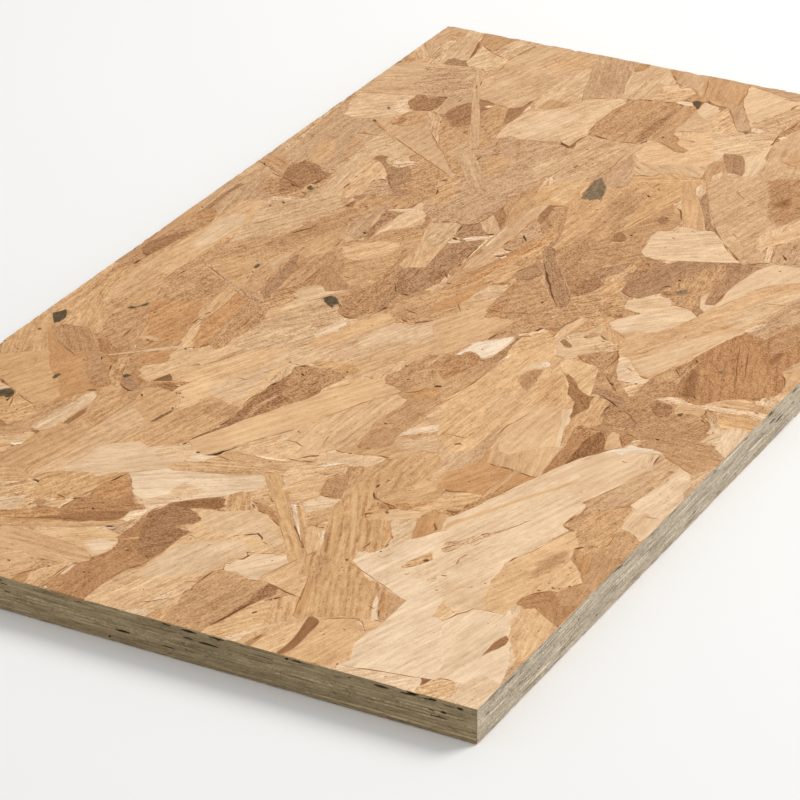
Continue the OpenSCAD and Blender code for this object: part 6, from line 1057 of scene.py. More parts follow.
    ("N", -18, (-125.5,124.6, -120.3,121.1, -114.8,116.1, -114.7,114.2, -114,110.2, -115,108.3, -116.2,106.5, -117.1,104.8, -118.2,103.7, -118.6,101.4, -123.8,101.7, -132.8,106.8, -140.7,107.8, -145.4,109.6), {"id": 161.0, "rim": 0.0, "speck": 1.59}),
    ("O", -22, (-149.6,112.8, -144.9,111, -147.7,104.5, -154.5,98.5, -161.1,99.6, -158.2,105.6, -154.7,110.8), {"speck": 1.49}),
    ("F", -23, (-144.2,107.3, -136.7,107.3, -130.6,105.2, -122.9,102.3, -122.5,99.1, -123.9,97.6, -125.6,95, -127.6,93.4, -135.7,93, -138.9,92.3, -143.8,96.9, -146.1,98.7, -146.1,99.9, -146.7,100.5, -146.1,101.4), {"rim": 0.0, "id": 163.0, "speck": 0.82}),
    ("L", -31, (-159.8,101.6, -151.5,99.8, -148.7,96.8, -147.3,87.1, -147.6,84.2, -148.5,83.3, -151.9,82.1, -155.6,81.9, -164.3,87, -165.4,88.3, -166.4,89.7, -167.9,91.3, -166.6,91.4, -166.6,98.4), {"speck": 0.97}),
    ("Z", -8, (-202.8,112.6, -195.7,112.6, -189.4,112, -181.9,111.6, -188.9,108.8, -197.4,109.1, -203.7,109.7), {"rim": 0.2}),
    ("B", -8, (-214.3,125.6, -206.5,124.3, -197.6,123.2, -187.4,122.2, -180.2,119.8, -175.8,120.8, -170.4,119.7, -167.8,117.2, -170.8,113.5, -177.4,112.2, -182.2,112, -189.8,112.9, -199.7,113.5, -207.5,114.8, -213.3,116.9, -215.8,119.3), {"rim": 0.4, "speck": 0.74}),
    ("U", -45, (-233.6,124.4, -229.4,121.9, -226.9,118.3, -230.6,118.7, -233.7,121.3), {"speck": 2.0}),
    ("K", -63, (-189.5,161.3, -186.3,159.9, -183.3,156.5, -186,152.2, -190.3,151.1, -193.3,153.3, -194,158.2), {"speck": 2.4, "d": 1.2}),
    ("K", -14, (-165.6,144.9, -161.6,145.7, -158.4,144.2, -159.8,142.1, -163.5,142, -166.3,142.6), {"d": 1.2}),
    ("K", -37, (-148.9,113.9, -146.3,113.7, -143.3,111.5, -144.5,110.2, -147.8,111), {"d": 1.2}),
    ("L", -12, (-92.6,135.7, -87.8,131.7, -85.5,128.7, -79.1,124.3, -81.3,120.7, -79.8,118.6, -82.4,115.9, -95.4,110.9, -104.2,107.9, -109.2,112.6, -116,120.9, -116.9,125, -113.6,127.6, -107.4,129.9, -103.8,131.9, -97.2,134.3), {"rim": 0.0, "id": 172.0, "speck": 1.02}),
    ("X", -18, (-119.9,118.5, -115.2,111.9, -110.4,107.6, -107.6,104.6, -116.7,105, -124.3,102.6, -127.6,104.1, -133.2,110.1, -133.9,114, -134.3,115.9, -124.6,117.7), {"id": 161.0, "rim": 0.0, "speck": 1.16}),
    ("D", -23, (-132.3,110.7, -124.3,102.6, -116.2,104.1, -108.5,104, -105.9,101.4, -111.5,95, -117.3,89.1, -123.7,91.7, -133.3,93.4, -135,95.3, -136.6,96.8, -137.8,98.4, -136.1,98.8, -140.7,105.4, -140.2,107.4, -138.9,109.6, -137.7,110.6), {"id": 163.0, "rim": 0.0, "speck": 0.98}),
    ("X", 20, (-102.8,100.4, -91.1,105.1, -79.3,110, -77.1,108.8, -76.3,107.2, -73.7,106.8, -76,103.6, -91.2,97.9, -97.1,96.7, -101.9,96.1)),
    ("N", 0, (-97.1,96.7, -87.8,98.8, -75.2,102.2, -71.3,98.8, -69.7,96.3, -61.9,91.7, -59.4,89.1, -59.1,85.3, -65,82.4, -76.6,84.6, -83.9,86.2, -90.2,88.4, -96.1,92.5), {"rim": 0.0, "id": 174.0, "speck": 1.32}),
    ("B", -23, (-117,120.3, -110.1,112, -104.7,106.4, -88.1,111.8, -81.4,114.1, -79.3,110, -92.6,105.5, -103.3,101.3, -106.2,101.9, -108,103.5, -109,105.2, -108.7,106.1, -108.7,106.9, -114.2,112.5, -119.9,118.5), {"id": 163.0, "rim": 0.0, "speck": 0.82}),
    ("D", -19, (-106.9,100.9, -105.4,99.4, -103.4,97.4, -102.8,96.1, -103.8,95, -96.1,92.5, -90.2,88.4, -81.7,84.5, -67.5,82.2, -56.7,66.4, -73.6,71.4, -85.1,73.5, -95.4,76.3, -103.8,80.1, -113.5,81.9, -118.7,84.7, -118.5,89, -112.9,95.3), {"rim": 0.1, "speck": 0.88}),
    ("c", -23, (-140.7,105.4, -134.9,96.6, -123.7,91.7, -117.1,83.9, -107.6,77.8, -93.1,71.7, -78.4,65.6, -67.7,60, -59.3,51.2, -60,48.1, -63.2,44.7, -63.5,41.7, -68.6,39.8, -75.7,39.5, -82,38.2, -89.2,44.6, -94.9,45.9, -102.3,45.7, -111.3,46.3, -123.8,46.5, -135.9,46.2, -145.6,46.2, -148.3,49.2, -146.9,55.8, -145.5,62.5, -149,64.4, -156.8,65.5, -166.1,67.3, -161.6,72.4, -155.6,74.9, -151.5,78.6, -147.3,84.7, -137.6,80.2, -139.9,89.4, -134.2,92.9, -139.5,98.3, -142,101.1, -144.7,104.3), {"rim": 0.0, "id": 163.0, "speck": 0.71}),
    ("C", -23, (-140.9,72.3, -128.8,68, -114.3,59.1, -98.1,57, -78.8,56.5, -73,52.8, -73.5,51.5, -74.4,49.4, -76.4,48, -80.9,48.2, -96.5,49.1, -112.5,48.5, -128.2,47.9, -143.7,47.3, -145.3,55, -145.1,63.9), {"rim": 0.0, "id": 163.0, "d": 2.6, "speck": 0.65}),
    ("A", -37, (-78.2,62.8, -69.5,56, -59.3,51.2, -60,49, -60.4,46.7, -64.1,46.3, -67.3,46.7, -74.5,53.1, -80,58.8)),
    ("G", -19, (-117.8,85.2, -110.9,81.7, -98.5,77.4, -90.1,73.5, -81.4,71.5, -72.4,69.1, -54.3,61.8, -67.9,62.9, -80.5,67.3, -92.6,70.8, -102.4,75, -110.7,78.9)),
    ("H", -13, (-153.8,97.2, -149.2,90.6, -151,84.8, -151,82.4, -150.6,79.2, -155.6,74.9, -161.6,72.4, -168,73.1, -174.8,74.7, -183.8,78.3, -179.6,82.3, -177.3,85.3, -174.3,89.7, -173.9,92.7, -163.9,95.1), {"id": 155.0, "rim": 0.0, "speck": 0.98}),
    ("H", -12, (-186.5,76.6, -176.6,73.5, -168.4,71.6, -162.7,67.6, -156.8,65.5, -149,64.4, -145.3,62, -147.9,55.3, -147.9,46, -148.6,40.4, -155.7,40.2, -161.6,42.4, -168.8,42.6, -174.9,42.9, -180.7,45.1, -187.4,46.7, -192.7,48, -196,49.9, -198.8,52.2, -200.8,53.6, -200.8,55.1, -199.4,56.4, -203.2,58.9, -206.2,62.2, -204.7,63.8, -204.1,65.5, -203.5,68.5, -202.2,69.5, -203.9,72.4, -198.6,74.6, -192.8,75.2), {"rim": 0.0, "id": 157.0, "speck": 1.1}),
    ("L", -12, (-155.4,60.5, -146.7,60, -148.8,45.4, -148.8,40.8, -156.1,41.1, -162.9,42.7, -166.8,47.8, -164.5,55, -163.9,56.5, -162.6,58.6, -160.4,60.2), {"rim": 0.0, "id": 157.0, "d": 2.6, "speck": 1.26}),
    ("R", -16, (-154.7,43, -146.1,42.5, -137.8,42.8, -128,42.8, -120.5,42.6, -114.4,40.4, -107.8,39.6, -101.2,38.8, -97.7,36.8, -90.8,33.2, -89,29, -93.1,24.8, -99.4,22.8, -105.4,20.2, -114.2,17.6, -122.2,15.1, -130,20.9, -138.1,24.8, -146.1,28.7, -152.5,31.8, -156.6,32.8, -154.3,37.6, -158.4,38.6, -165.6,41.1), {"rim": 0.0, "id": 178.0, "speck": 2.4}),
    ("J", -16, (-144.7,39.8, -136.2,37.4, -129.2,35.7, -123.9,32.5, -132.7,33.1, -140.8,34.7, -147.9,34.5, -155.7,33.3, -155.4,37.5), {"rim": 0.0, "id": 178.0, "d": 2.6, "speck": 1.44}),
    ("P", -16, (-147.4,33.6, -134.6,29.7, -126.3,23.1, -123.1,19.2, -130,20.9, -138.1,24.8, -146.1,28.7, -152.5,31.8), {"rim": 0.0, "id": 178.0, "d": 2.6, "speck": 2.4}),
    ("O", -16, (-124.8,32, -110.3,32.3, -96.6,29.8, -96.8,26.6, -98.4,23.6, -99.4,21.7, -105.2,19.7, -110.7,19.2, -117.5,17.8, -126.3,23.1, -130.9,27.3), {"rim": 0.0, "id": 178.0, "d": 2.6, "speck": 1.64}),
    ("Z", -7, (-139.1,43.1, -129.4,43.1, -121,43.5, -115.4,41, -118,37.7, -126.2,39.3, -132.7,40, -140.1,40.3), {"rim": 0.1, "speck": 2.0}),
    ("D", -27, (-194.1,26.2, -181.5,21.9, -173.2,17.2, -161.8,10.9, -154.8,6.5, -147.1,0.8, -153.2,-4.2, -155.3,-6.6, -159.9,-11.9, -163.6,-16.5, -169.8,-20.4, -184.5,-20.7, -186.8,-0.9, -188.9,11.8, -189.9,22.5), {"rim": 0.0, "id": 71.0, "speck": 1.28}),
    ("A", -27, (-172.1,10.5, -162.7,10.4, -155.2,5.1, -162.9,1.8, -167.8,4.6), {"rim": 0.0, "id": 71.0, "d": 2.6, "speck": 0.59}),
    ("C", -47, (-200.9,57.2, -195.1,50.5, -192,46.7, -195.5,42.3, -199.2,38.3, -204.3,39.2, -208.6,41, -212.2,50.1, -211.9,54.2, -209.4,55.9, -204.2,56.9), {"id": 50.0, "rim": 0.0, "speck": 1.04}),
    ("R", -16, (-192.9,48.4, -182.7,46.7, -174,43.5, -169.7,42.1, -162,41, -156.8,37.8, -160.4,35.6, -167.4,37.7, -174.6,40.2, -182.5,44), {"rim": 0.1, "speck": 2.0}),
    ("c", -27, (-192.2,47.1, -181.6,44.5, -170.8,39.7, -161.6,35.5, -155.7,33.3, -146.1,28.7, -138.1,24.8, -130,20.9, -121.2,15.7, -124.1,11.4, -126.8,8.9, -128.7,5.8, -130.9,2.5, -138.7,1.5, -146.2,1.3, -153.9,7.1, -160.9,11.5, -168.7,15.3, -175.7,19.7, -180.6,22.4, -189.2,25.7, -194.1,28.4, -197.6,30.8, -199.2,33.8, -198.3,36.6, -197.7,39.8, -193.8,43.4), {"rim": 0.0, "id": 181.0, "speck": 0.32}),
    ("D", -27, (-177.9,24, -163.3,18.5, -137.9,6.1, -137.1,3, -137.9,2.2, -143.4,1.6, -146.2,1.3, -160.9,11.5, -172.3,17.7), {"rim": 0.0, "id": 181.0, "d": 2.6, "speck": 0.41}),
    ("Y", -22, (-145.9,98.6, -139.8,96.5, -133.8,94.3, -136.8,90.7, -140.3,89.1)),
    ("Z", -63, (-151.9,98.3, -147.3,91.8, -142.9,86.9, -143.5,82.3, -145.7,82.5, -148.3,82.6, -150.3,82.3, -149.6,86.8, -149.2,90.6), {"speck": 2.4}),
    ("X", -63, (-147.3,101.3, -140.3,89.1, -136.9,81.2, -139,80.5, -143.6,87, -151,98.9), {"speck": 2.39}),
    ("Y", -11, (-183.1,75.8, -174.8,74.7, -169.3,73.4, -164.1,72.6, -169.3,71.1, -175.9,72.2, -181.7,73.2), {"speck": 1.46}),
    ("G", -36, (-26.3,84.7, -24.7,68.7, -31.6,58.7, -35.3,53, -37.7,47.5, -42,48.1, -48.4,50.4, -58,53.8, -70.9,58.7, -72.3,67.3, -61.3,71.1, -54.3,74.5, -42.2,78.3, -36.9,80.4), {"id": 186.0, "rim": 0.0, "speck": 1.78}),
    ("N", -31, (-17.3,62.1, -6.3,46, -17.9,42.6, -28.6,42.6, -35.7,41, -38.6,44.1, -38,48, -35.3,53, -27.4,58.2, -26.2,55.9), {"rim": 0.3, "speck": 1.68}),
    ("J", -9, (-8.9,45.8, -0.3,34.4, -13.6,34.2, -17.7,34.4, -24.5,37.1, -30.9,39.5, -35.2,40, -28.6,42.6, -17.9,42.6), {"speck": 2.0}),
    ("J", -22, (-19.8,33.2, -7.1,31.9, 0.7,32.5, 5.1,27.2, 10.3,20.4, 12.5,17.4, 15.6,10.5, 16.9,5.8, 15.6,3.7, 14.5,1.6, 11.1,-2.3, 11.5,-5.8, 7.4,-6.3, 2.5,-8, -7.5,-8.5, -16.2,3.3, -22.8,8.5, -29.4,13.7, -28.8,20, -26.6,25.9), {"rim": 0.0, "id": 189.0, "speck": 2.26}),
    ("N", -22, (0.7,32.5, 4.7,27.9, 11.9,20, 14.9,16.3, 14.5,12.5, 15.9,6.8, 15.6,3.7, 15.1,1.6, 13.4,-0.9, 12.2,-3.7, 9.2,-4.8, 5.3,-6.2, -3.3,-6.3, -15.5,9.6, -16.1,21), {"rim": 0.0, "id": 189.0, "d": 2.6, "speck": 1.13}),
    ("d", -23, (-75.9,55.8, -59.6,46.9, -52.1,42.3, -45.7,40, -33.8,34.9, -21.9,29.7, -28.7,22.4, -37.4,24, -45,28.6, -54.6,32.1, -61.9,33.8, -70.4,37.8, -73.5,41, -75.8,44.1, -77.8,45.8, -75.1,46.9, -79.8,53.6), {"id": 163.0, "rim": 0.0, "speck": 0.81}),
    ("E", -23, (-57.3,32.3, -46,28.1, -37.4,24, -29.8,19.4, -30,12.2, -24.9,7.4, -17.2,2.7, -7.5,-8.5, -7.3,-14.4, -13.4,-16.1, -15.2,-19.1, -24.1,-21.2, -33.1,-22.9, -38,-24.6, -45.6,-12.5, -55.2,-6.2, -66.6,-3.7, -74.8,-2.4, -85.1,0.5, -93.6,7.3, -98.9,12.9, -99.5,21.2, -94.6,35.6, -95.4,44.5, -95.2,48.6, -93.1,51.3, -89.3,52.1, -80.8,53, -72.7,42.3, -65.1,35), {"rim": 0.0, "id": 163.0, "speck": 1.08}),
    ("B", -23, (-54.4,29.3, -42.6,24.1, -31.8,18.3, -29.1,8, -20.3,1.1, -11,-6.8, -11.3,-10.4, -13.1,-12, -18.1,-12.6, -23.3,-13.3, -35.9,-1.5, -50,8.3, -59.8,17.4, -62.8,20.3, -64.1,21.9, -64,23.2, -63.3,24.2, -63.8,26.6, -60.6,27.7, -58.9,28.6), {"rim": 0.0, "id": 163.0, "d": 2.6, "speck": 0.77}),
    ("F", -23, (-83.5,21.6, -67.9,15.8, -55,5.6, -41.9,-4.7, -26.9,-18.8, -25.1,-23.6, -29.8,-25.3, -35.7,-25.7, -42,-26.7, -51.6,-15.7, -60.4,-6.1, -70.7,-3.1, -82,-0.7, -88.6,7.2, -90.1,15), {"rim": 0.0, "id": 163.0, "d": 2.6, "speck": 0.87}),
    ("b", -31, (-90.7,37.9, -84.1,30, -81.4,19.9, -86.4,10.2, -94.5,9, -96.3,17.3, -94.9,26.7), {"rim": 0.1, "speck": 1.32}),
    ("N", -16, (-98.3,42.8, -95.8,40.4, -94.1,38.6, -93.7,37.2, -94.6,35.6, -93,27.8, -93.4,18.9, -97.8,13, -105.1,15.1, -113.7,17.7, -120.7,19.4, -127,19.8, -131.4,23.5, -129.5,28.3, -128.8,31.8, -122.4,35.5, -115.9,37.5, -104.7,40.6), {"rim": 0.0, "id": 178.0, "speck": 2.31}),
    ("D", -2, (-156.1,9.1, -145,3.7, -131.1,-2.5, -119.1,-7.1, -108.9,-12.7, -99.6,-18.9, -102.3,-25.5, -111.9,-25.7, -121.1,-24, -129.8,-23.2, -139,-23.8, -149.4,-24.1, -158.4,-26.9, -163.7,-21.5, -167.4,-18.1, -171,-12.1, -178.3,-7.7, -177.2,-4, -172.3,-0.2, -171.4,1.1, -171.6,2.8, -170.2,4.7, -168.2,6.5, -165.6,7.4), {"band": 0.4, "rim": 0.1, "speck": 0.72}),
    ("c", -27, (-133.2,22.5, -125.4,19, -115.6,16.6, -106.8,11.3, -96.4,5.7, -89.4,-0.7, -90.2,-6.4, -95.7,-7.7, -94.1,-13.1, -97,-19.2, -102.9,-15, -111,-11.1, -118.2,-6.6, -127.2,-3.1, -135.2,0.8, -144.1,4.2, -156.1,9.1, -157.5,13, -154.1,15.4, -152.4,20.1, -145.2,20.9, -137.3,21.4), {"rim": 0.0, "id": 181.0, "speck": 0.39}),
    ("c", -20, (-117,16.9, -106,14.6, -98.3,11.5, -92.6,7.8, -91,2.4, -96.4,5.7, -103.7,10.2, -111.4,13.2), {"speck": 1.19}),
    ("J", -7, (-83.5,-16.9, -71,-14.7, -58.4,-14.8, -49.4,-17.4, -41,-26.2, -42.3,-28.8, -43.3,-30.7, -47,-32.6, -54.9,-33.6, -65,-28.6, -75.1,-28.3, -84.3,-24.8, -91.2,-21.1, -90.3,-19.6, -89.3,-18.4, -88.4,-17.9), {"id": 193.0, "rim": 0.0, "speck": 1.85}),
    ("L", -7, (-92.4,-7, -83.7,-4.5, -80,-7, -72.5,-6.9, -67,-7.9, -59,-11.1, -51.5,-13.4, -60.8,-14.9, -71,-14.7, -82.5,-16.4, -89.7,-19.2, -93.9,-15.8, -93.8,-11.2), {"rim": 0.0, "id": 193.0, "speck": 1.46}),
    ("J", -8, (-101,-18.6, -90.2,-20.6, -83.4,-24.3, -74.1,-27.8, -64,-28.1, -50,-30.9, -53.6,-33.8, -55.2,-36.3, -57.5,-39.1, -62.8,-41.4, -68.9,-44.2, -79.3,-46.4, -88.9,-44.2, -93.9,-44.1, -100.9,-42.2, -108.8,-40.8, -115.3,-39.9, -125.8,-40, -132,-39.5, -134.9,-37.9, -134.5,-36.9, -134.3,-36, -134.3,-35.2, -130.8,-30.5, -135.8,-27.7, -139,-23.8, -130.5,-21.9, -119.7,-24.4, -111.9,-25.7, -104,-27, -103.9,-22.4), {"rim": 0.0, "id": 194.0, "speck": 1.07}),
    ("X", -8, (-93.5,-21.3, -82.8,-32.5, -68.6,-40.8, -69.1,-42.6, -69.9,-45, -75.5,-46.1, -80.2,-46.9, -94.1,-41.3, -103.6,-32.4, -102.5,-25.1), {"rim": 0.0, "id": 194.0, "d": 2.6, "speck": 1.31}),
    ("H", -8, (-112.9,-37.5, -102.7,-38.7, -91.5,-41.6, -96.7,-43.3, -106.5,-40.7, -117.6,-40, -124.9,-39.5), {"rim": 0.0, "id": 194.0, "d": 2.6, "speck": 1.64}),
    ("N", -8, (-158.4,-26.9, -145.6,-24.7, -138.5,-24.7, -133.8,-29.3, -132.2,-36.8, -132.7,-40.4, -139.1,-39.5, -150.3,-42.4, -155.3,-38.1, -158.9,-34.6, -160.7,-30.1), {"rim": 0.0, "id": 194.0, "speck": 1.06}),
    ("D", -24, (-110.7,-41.9, -101.8,-42.7, -94.8,-44.6, -83.1,-48.4, -84.9,-51.4, -87.5,-53.9, -89.6,-57.8, -96.8,-60.6, -97.9,-62, -109.5,-62.4, -117.3,-56.5, -119.5,-54.1, -121.2,-52.1, -122.8,-50.3, -120.7,-50, -125.7,-47.2, -131.3,-43, -122.2,-42.5, -115.3,-42.1), {"rim": 0.3, "speck": 0.93}),
    ("E", -38, (-125,-55.2, -117.7,-55.7, -109.5,-62.4, -111.5,-64.7, -113.8,-69, -116.6,-70.5, -118.9,-73.7, -119.1,-76.4, -129.7,-73.1, -134.8,-67.8, -138.8,-62.5, -140.9,-59.3, -140.9,-56.7, -138.9,-57.2, -139.4,-54.6, -127.8,-56.6), {"speck": 1.08}),
    ("Q", -19, (-74.9,56.4, -64.2,53.2, -57.4,50, -48.2,47.5, -41.6,44.7, -42.7,41.8, -50.1,43.5, -58.6,47.5, -65.7,51.1, -75.9,55.8), {"speck": 0.55}),
    ("c", -22, (-43.8,44.1, -39.6,43.5, -36.2,39.5, -26.5,36, -18,32.4, -27.8,33.5, -37.8,37.4, -44.7,40.6), {"speck": 1.64}),
    ("Q", -38, (-141.5,-39.2, -135.4,-39.7, -131.8,-39.9, -131.3,-43, -124.8,-46.7, -119.5,-52.2, -117.5,-55, -123.2,-54.2, -129.3,-49.2, -135.5,-44.2), {"speck": 0.99}),
    ("N", 14, (-89.9,-4.5, -83.2,-3.1, -85.4,-6, -90.7,-6.6)),
    ("C", 8, (-80.9,-5.2, -71.2,-4.5, -68.1,-4.5, -73.6,-7.2, -79.5,-6.7)),
    ("K", -22, (-23.2,70.8, -18.1,68.9, -18.8,62.4, -24.3,57.5, -26.6,59.2, -32.2,58.4, -29,63.9), {"speck": 2.4, "d": 1.2}),
    ("F", -23, (9.8,14.9, 19.7,7, 21.9,2.5, 21.1,-0.6, 21.3,-4, 22.7,-6.7, 23.3,-11.2, 10.8,-12.9, 3.1,-13.5, -1.2,-18, -1.9,-24.2, -0.2,-32.6, -8.3,-32.2, -17.1,-30.3, -23.8,-29.8, -30.2,-27.4, -35.6,-24.5, -42.9,-22.6, -48.8,-21.1, -50.6,-17.5, -44.4,-12.8, -35.4,-3.2, -28.9,1.4, -12.2,6.7, -6.7,9.9), {"rim": 0.0, "id": 163.0, "speck": 0.69}),
    ("L", -32, (-0.2,-17.5, 4.4,-22.1, 5,-23.7, 5.3,-25.9, 4.6,-26.7, 8.3,-36.4, 11,-46.6, 15.9,-51.1, 28.5,-52.3, 40.6,-55, 48.2,-59.4, 51.6,-62.9, 53.9,-67, 54.2,-68.6, 54,-70.6, 53.4,-72.3, 51.6,-74.8, 49.9,-75.6, 44.3,-75.2, 32.5,-67.7, 28,-64.2, 23.6,-63.4, 17.5,-61.8, 11,-59.3, 3,-56.4, -0.9,-51.5, -4.9,-48.9, -11.5,-43.6, -17,-37.8, -17.4,-32.2, -7.8,-33.1, -0.5,-32.2, -1.9,-24.2), {"rim": 0.0, "id": 203.0, "speck": 1.83}),
    ("N", -32, (2.8,-13, 11.8,-12.4, 23.3,-11.2, 32,-20.7, 34.7,-26.9, 36.2,-32, 40.1,-38.8, 40.4,-41.8, 42,-47.4, 31.5,-47.9, 24,-48.8, 16.5,-49.6, 12,-46.1, 9.4,-35.9, 6.8,-28.4, 5,-26.2, 2.2,-23.4, 2.4,-21.9, 3.3,-21.5, 1.9,-16.4), {"rim": 0.0, "id": 203.0, "speck": 1.47}),
    ("O", -32, (19.9,-40.9, 34.6,-38.2, 41.5,-46.4, 28.9,-48, 19.1,-49.5, 15.1,-46.9), {"rim": 0.0, "id": 203.0, "d": 2.6, "speck": 1.47}),
    ("d", -4, (-94.3,-40.9, -79.9,-45.1, -66.8,-46.6, -56.7,-47, -47.5,-47.9, -40.2,-49.8, -31.9,-51.2, -21.3,-54.4, -14.8,-59.6, -6.9,-62.5, -16.4,-63.9, -24.4,-65.6, -27.7,-69, -28.1,-73.1, -28,-78.2, -40.7,-82.8, -54.1,-87.8, -64.9,-90.5, -70.5,-96, -72.3,-101.9, -78.3,-97.2, -78.9,-89.2, -82.8,-86.9, -82.5,-85.5, -82.8,-84.1, -82.3,-82.6, -87.4,-79.7, -102.1,-79, -116.6,-78.2, -131.1,-79.3, -137,-76.3, -142.2,-72.5, -140.1,-67.7, -138.7,-64.7, -136.7,-60, -128.9,-55.5, -120.3,-52.1, -109.7,-47.6, -101.7,-43.8), {"rim": 0.0, "band": 0.3, "id": 74.0, "speck": 0.89}),
    ("F", -4, (-83.8,-61.1, -68.8,-61.8, -67.3,-69.4, -70.8,-76.8, -82.2,-78.1, -95.8,-77.4, -105.9,-73.8, -111.4,-70.1), {"rim": 0.0, "id": 74.0, "d": 2.6, "speck": 0.94}),
    ("b", -4, (-59.8,-74.5, -44.8,-74.8, -43.1,-82.9, -59.4,-89.4, -69.7,-92.9, -77,-88.2, -76.1,-80.6), {"rim": 0.0, "id": 74.0, "d": 2.6, "speck": 1.08}),
    ("d", -21, (-22,-43.3, -13.5,-44.7, -6.9,-49.9, 0,-53.3, -3,-60, -14.3,-60.5, -21.2,-57.1, -29.7,-52.9, -38.8,-50.2, -41.6,-47.1, -30.2,-44.6), {"rim": 0.1, "speck": 1.44}),
    ("a", -16, (-53.6,-19.1, -49.8,-24, -45,-28.3, -44.2,-32.4, -47,-36.8, -55,-38.2, -60.8,-36.7, -69.5,-34.4, -77.1,-31.7, -75.8,-29.8, -73.1,-27, -69,-23.9, -67.8,-22, -67.3,-18.9), {"rim": 0.2, "speck": 1.99}),
    ("J", -8, (-79,-32.7, -70.4,-34.9, -61.8,-37.2, -52.1,-38.9, -47.8,-42.4, -46.7,-46.9, -55.3,-47.4, -62.8,-47.3, -71.9,-46.5, -79.9,-45.1, -88,-43.7, -95.2,-41.4, -95.7,-39.2, -94.6,-38.3, -91.8,-36.2, -89.9,-35, -83.6,-33.6), {"rim": 0.0, "id": 194.0, "speck": 1.2}),
    ("D", -4, (-103,-79.5, -87.4,-79.7, -80.2,-84.3, -77.4,-96.7, -80.5,-99.9, -98.5,-106.2, -114.4,-111.5, -118.6,-107, -123.4,-102.7, -126.8,-100, -131.9,-95.5, -130.9,-90.5, -126.7,-87.9), {"rim": 0.0, "id": 74.0, "speck": 0.5}),
    ("B", 19, (-114.2,-111.9, -93.4,-104.7, -78.8,-98.5, -74.4,-102.4, -81.3,-105.2, -87.4,-107.2, -96.5,-110.1, -111.7,-116.6, -113.4,-115.7, -114.3,-114.8, -114.7,-113.5), {"rim": 0.1, "speck": 0.2}),
    ("H", 8, (-65.1,-106.5, -57.9,-106.3, -58.5,-112.1, -62,-117.1, -68.1,-116.8, -74.5,-118.3, -73.4,-119, -75.7,-120.1, -78.6,-121, -83,-122.5, -89.5,-119.1, -88.9,-113.4, -92.8,-112.6, -101.4,-114.2, -111.5,-117, -112.8,-114.5, -95.3,-107.9, -86,-107.6, -76.6,-107.3, -72,-109.4), {"speck": 1.21}),
    ("c", -2, (-31.6,-73.7, -25.8,-77.6, -26.2,-84, -28.2,-90, -28.8,-93.7, -40.1,-98.1, -52.5,-102.6, -59,-104.1, -57,-98.7, -54,-95, -46.9,-89.8, -42.6,-83.8, -41.1,-79.6), {"rim": 0.2, "speck": 0.82}),
    ("C", -43, (-0.9,-64.1, 3.7,-70.4, -1.9,-72, -3.8,-75.8, 3.1,-79.2, -0.3,-87.7, -6.8,-94.8, -12.1,-89.5, -16.6,-83.2, -21.4,-78.8, -25.1,-79, -28.4,-75, -26.5,-68.9, -17.9,-63.5, -12.4,-64.1, -17.1,-69.9, -14.5,-72.5, -9.6,-69.6), {"rim": 0.0, "id": 209.0, "speck": 0.66}),
    ("J", -32, (7.2,-64.6, 20.5,-65, 13.2,-73.7, 5.9,-72.1, 2,-67.2, -2.1,-64.1), {"speck": 1.85}),
    ("H", -11, (19.3,-67.8, 30.2,-65.9, 36.2,-69.9, 44.3,-75.2, 44.6,-76.9, 46,-79.7, 42.4,-81.5, 37,-82.4, 30.3,-83.1, 26.3,-83.9, 24.6,-82.1, 21.9,-80, 20.6,-77.5, 22.5,-76.6, 15.7,-75.9, 13,-73.2), {"speck": 1.49}),
    ("a", 78, (-1.2,-51, 1.3,-53.2, -1.4,-58, -7.7,-58.3, -4,-53), {"speck": 2.0}),
    ("D", -1, (-15.3,-61, -5.3,-60.6, 3.8,-60.6, 14.5,-61, 25.2,-61.5, 21.7,-64.9, 13.3,-63.9, 5.5,-63.8, -2.4,-63.7, -10.4,-63.1, -15.4,-63.4), {"rim": 0.3, "speck": 0.76}),
    ("N", -2, (-22.4,-79.3, -16.6,-83.2, -13.7,-86.3, -8.9,-85.7, -9.4,-92.1, -9.6,-96.7, -17.1,-99.2, -25,-98.6, -31.1,-98.8, -38.2,-99.4, -46.8,-102, -54.3,-104, -55.9,-103.1, -40.1,-98.1, -29.8,-94.2, -27.2,-89.5, -26.2,-84), {"rim": 0.3, "speck": 1.7}),
    ("Z", 41, (-39.3,-78.2, -43.8,-83.8, -47.4,-88.9, -52.3,-93.6, -57,-98.7, -59,-104.1, -57.9,-106.3, -63.6,-106.9, -70.8,-109.4, -75,-108.2, -79.2,-107, -86.2,-107.2, -82.9,-104.4, -75.9,-104.2, -72.5,-101.4, -67.1,-100.4, -64.1,-96.7, -61.4,-92.6, -56.1,-91, -49.5,-87.2), {"rim": 0.4, "speck": 1.37}),
    ("R", 51, (-11.7,-63.2, -6.7,-64.1, -12.4,-71.5, -15.3,-72.1, -16.6,-69.6), {"speck": 1.84}),
    ("T", 6, (20.2,-64.5, 27.5,-63.2, 32,-65.6, 25.3,-66.6, 19.1,-67.4)),
    ("L", -52, (-2.2,-71.6, 2.1,-72.3, 6.9,-77.9, 2.6,-78.3, -2.3,-75)),
    ("N", 6, (-55.9,-63, -47.9,-64, -41.8,-71, -48.6,-72.2, -55.7,-73, -64.6,-74.7, -69.4,-74.9, -67.8,-70.8, -62.7,-66.5, -63.1,-65.9, -61.3,-64.9, -59.4,-64.2), {"rim": 0.2, "d": 1.2, "id": 219.0, "speck": 1.24}),
    ("B", 6, (-49.3,-59, -39.5,-60.8, -35.7,-64.5, -34.1,-66.5, -33.9,-69.3, -37.7,-71.7, -42,-70.5, -46,-65.2, -51.3,-62.3), {"rim": 0.0, "id": 219.0, "d": 2.6, "speck": 0.33}),
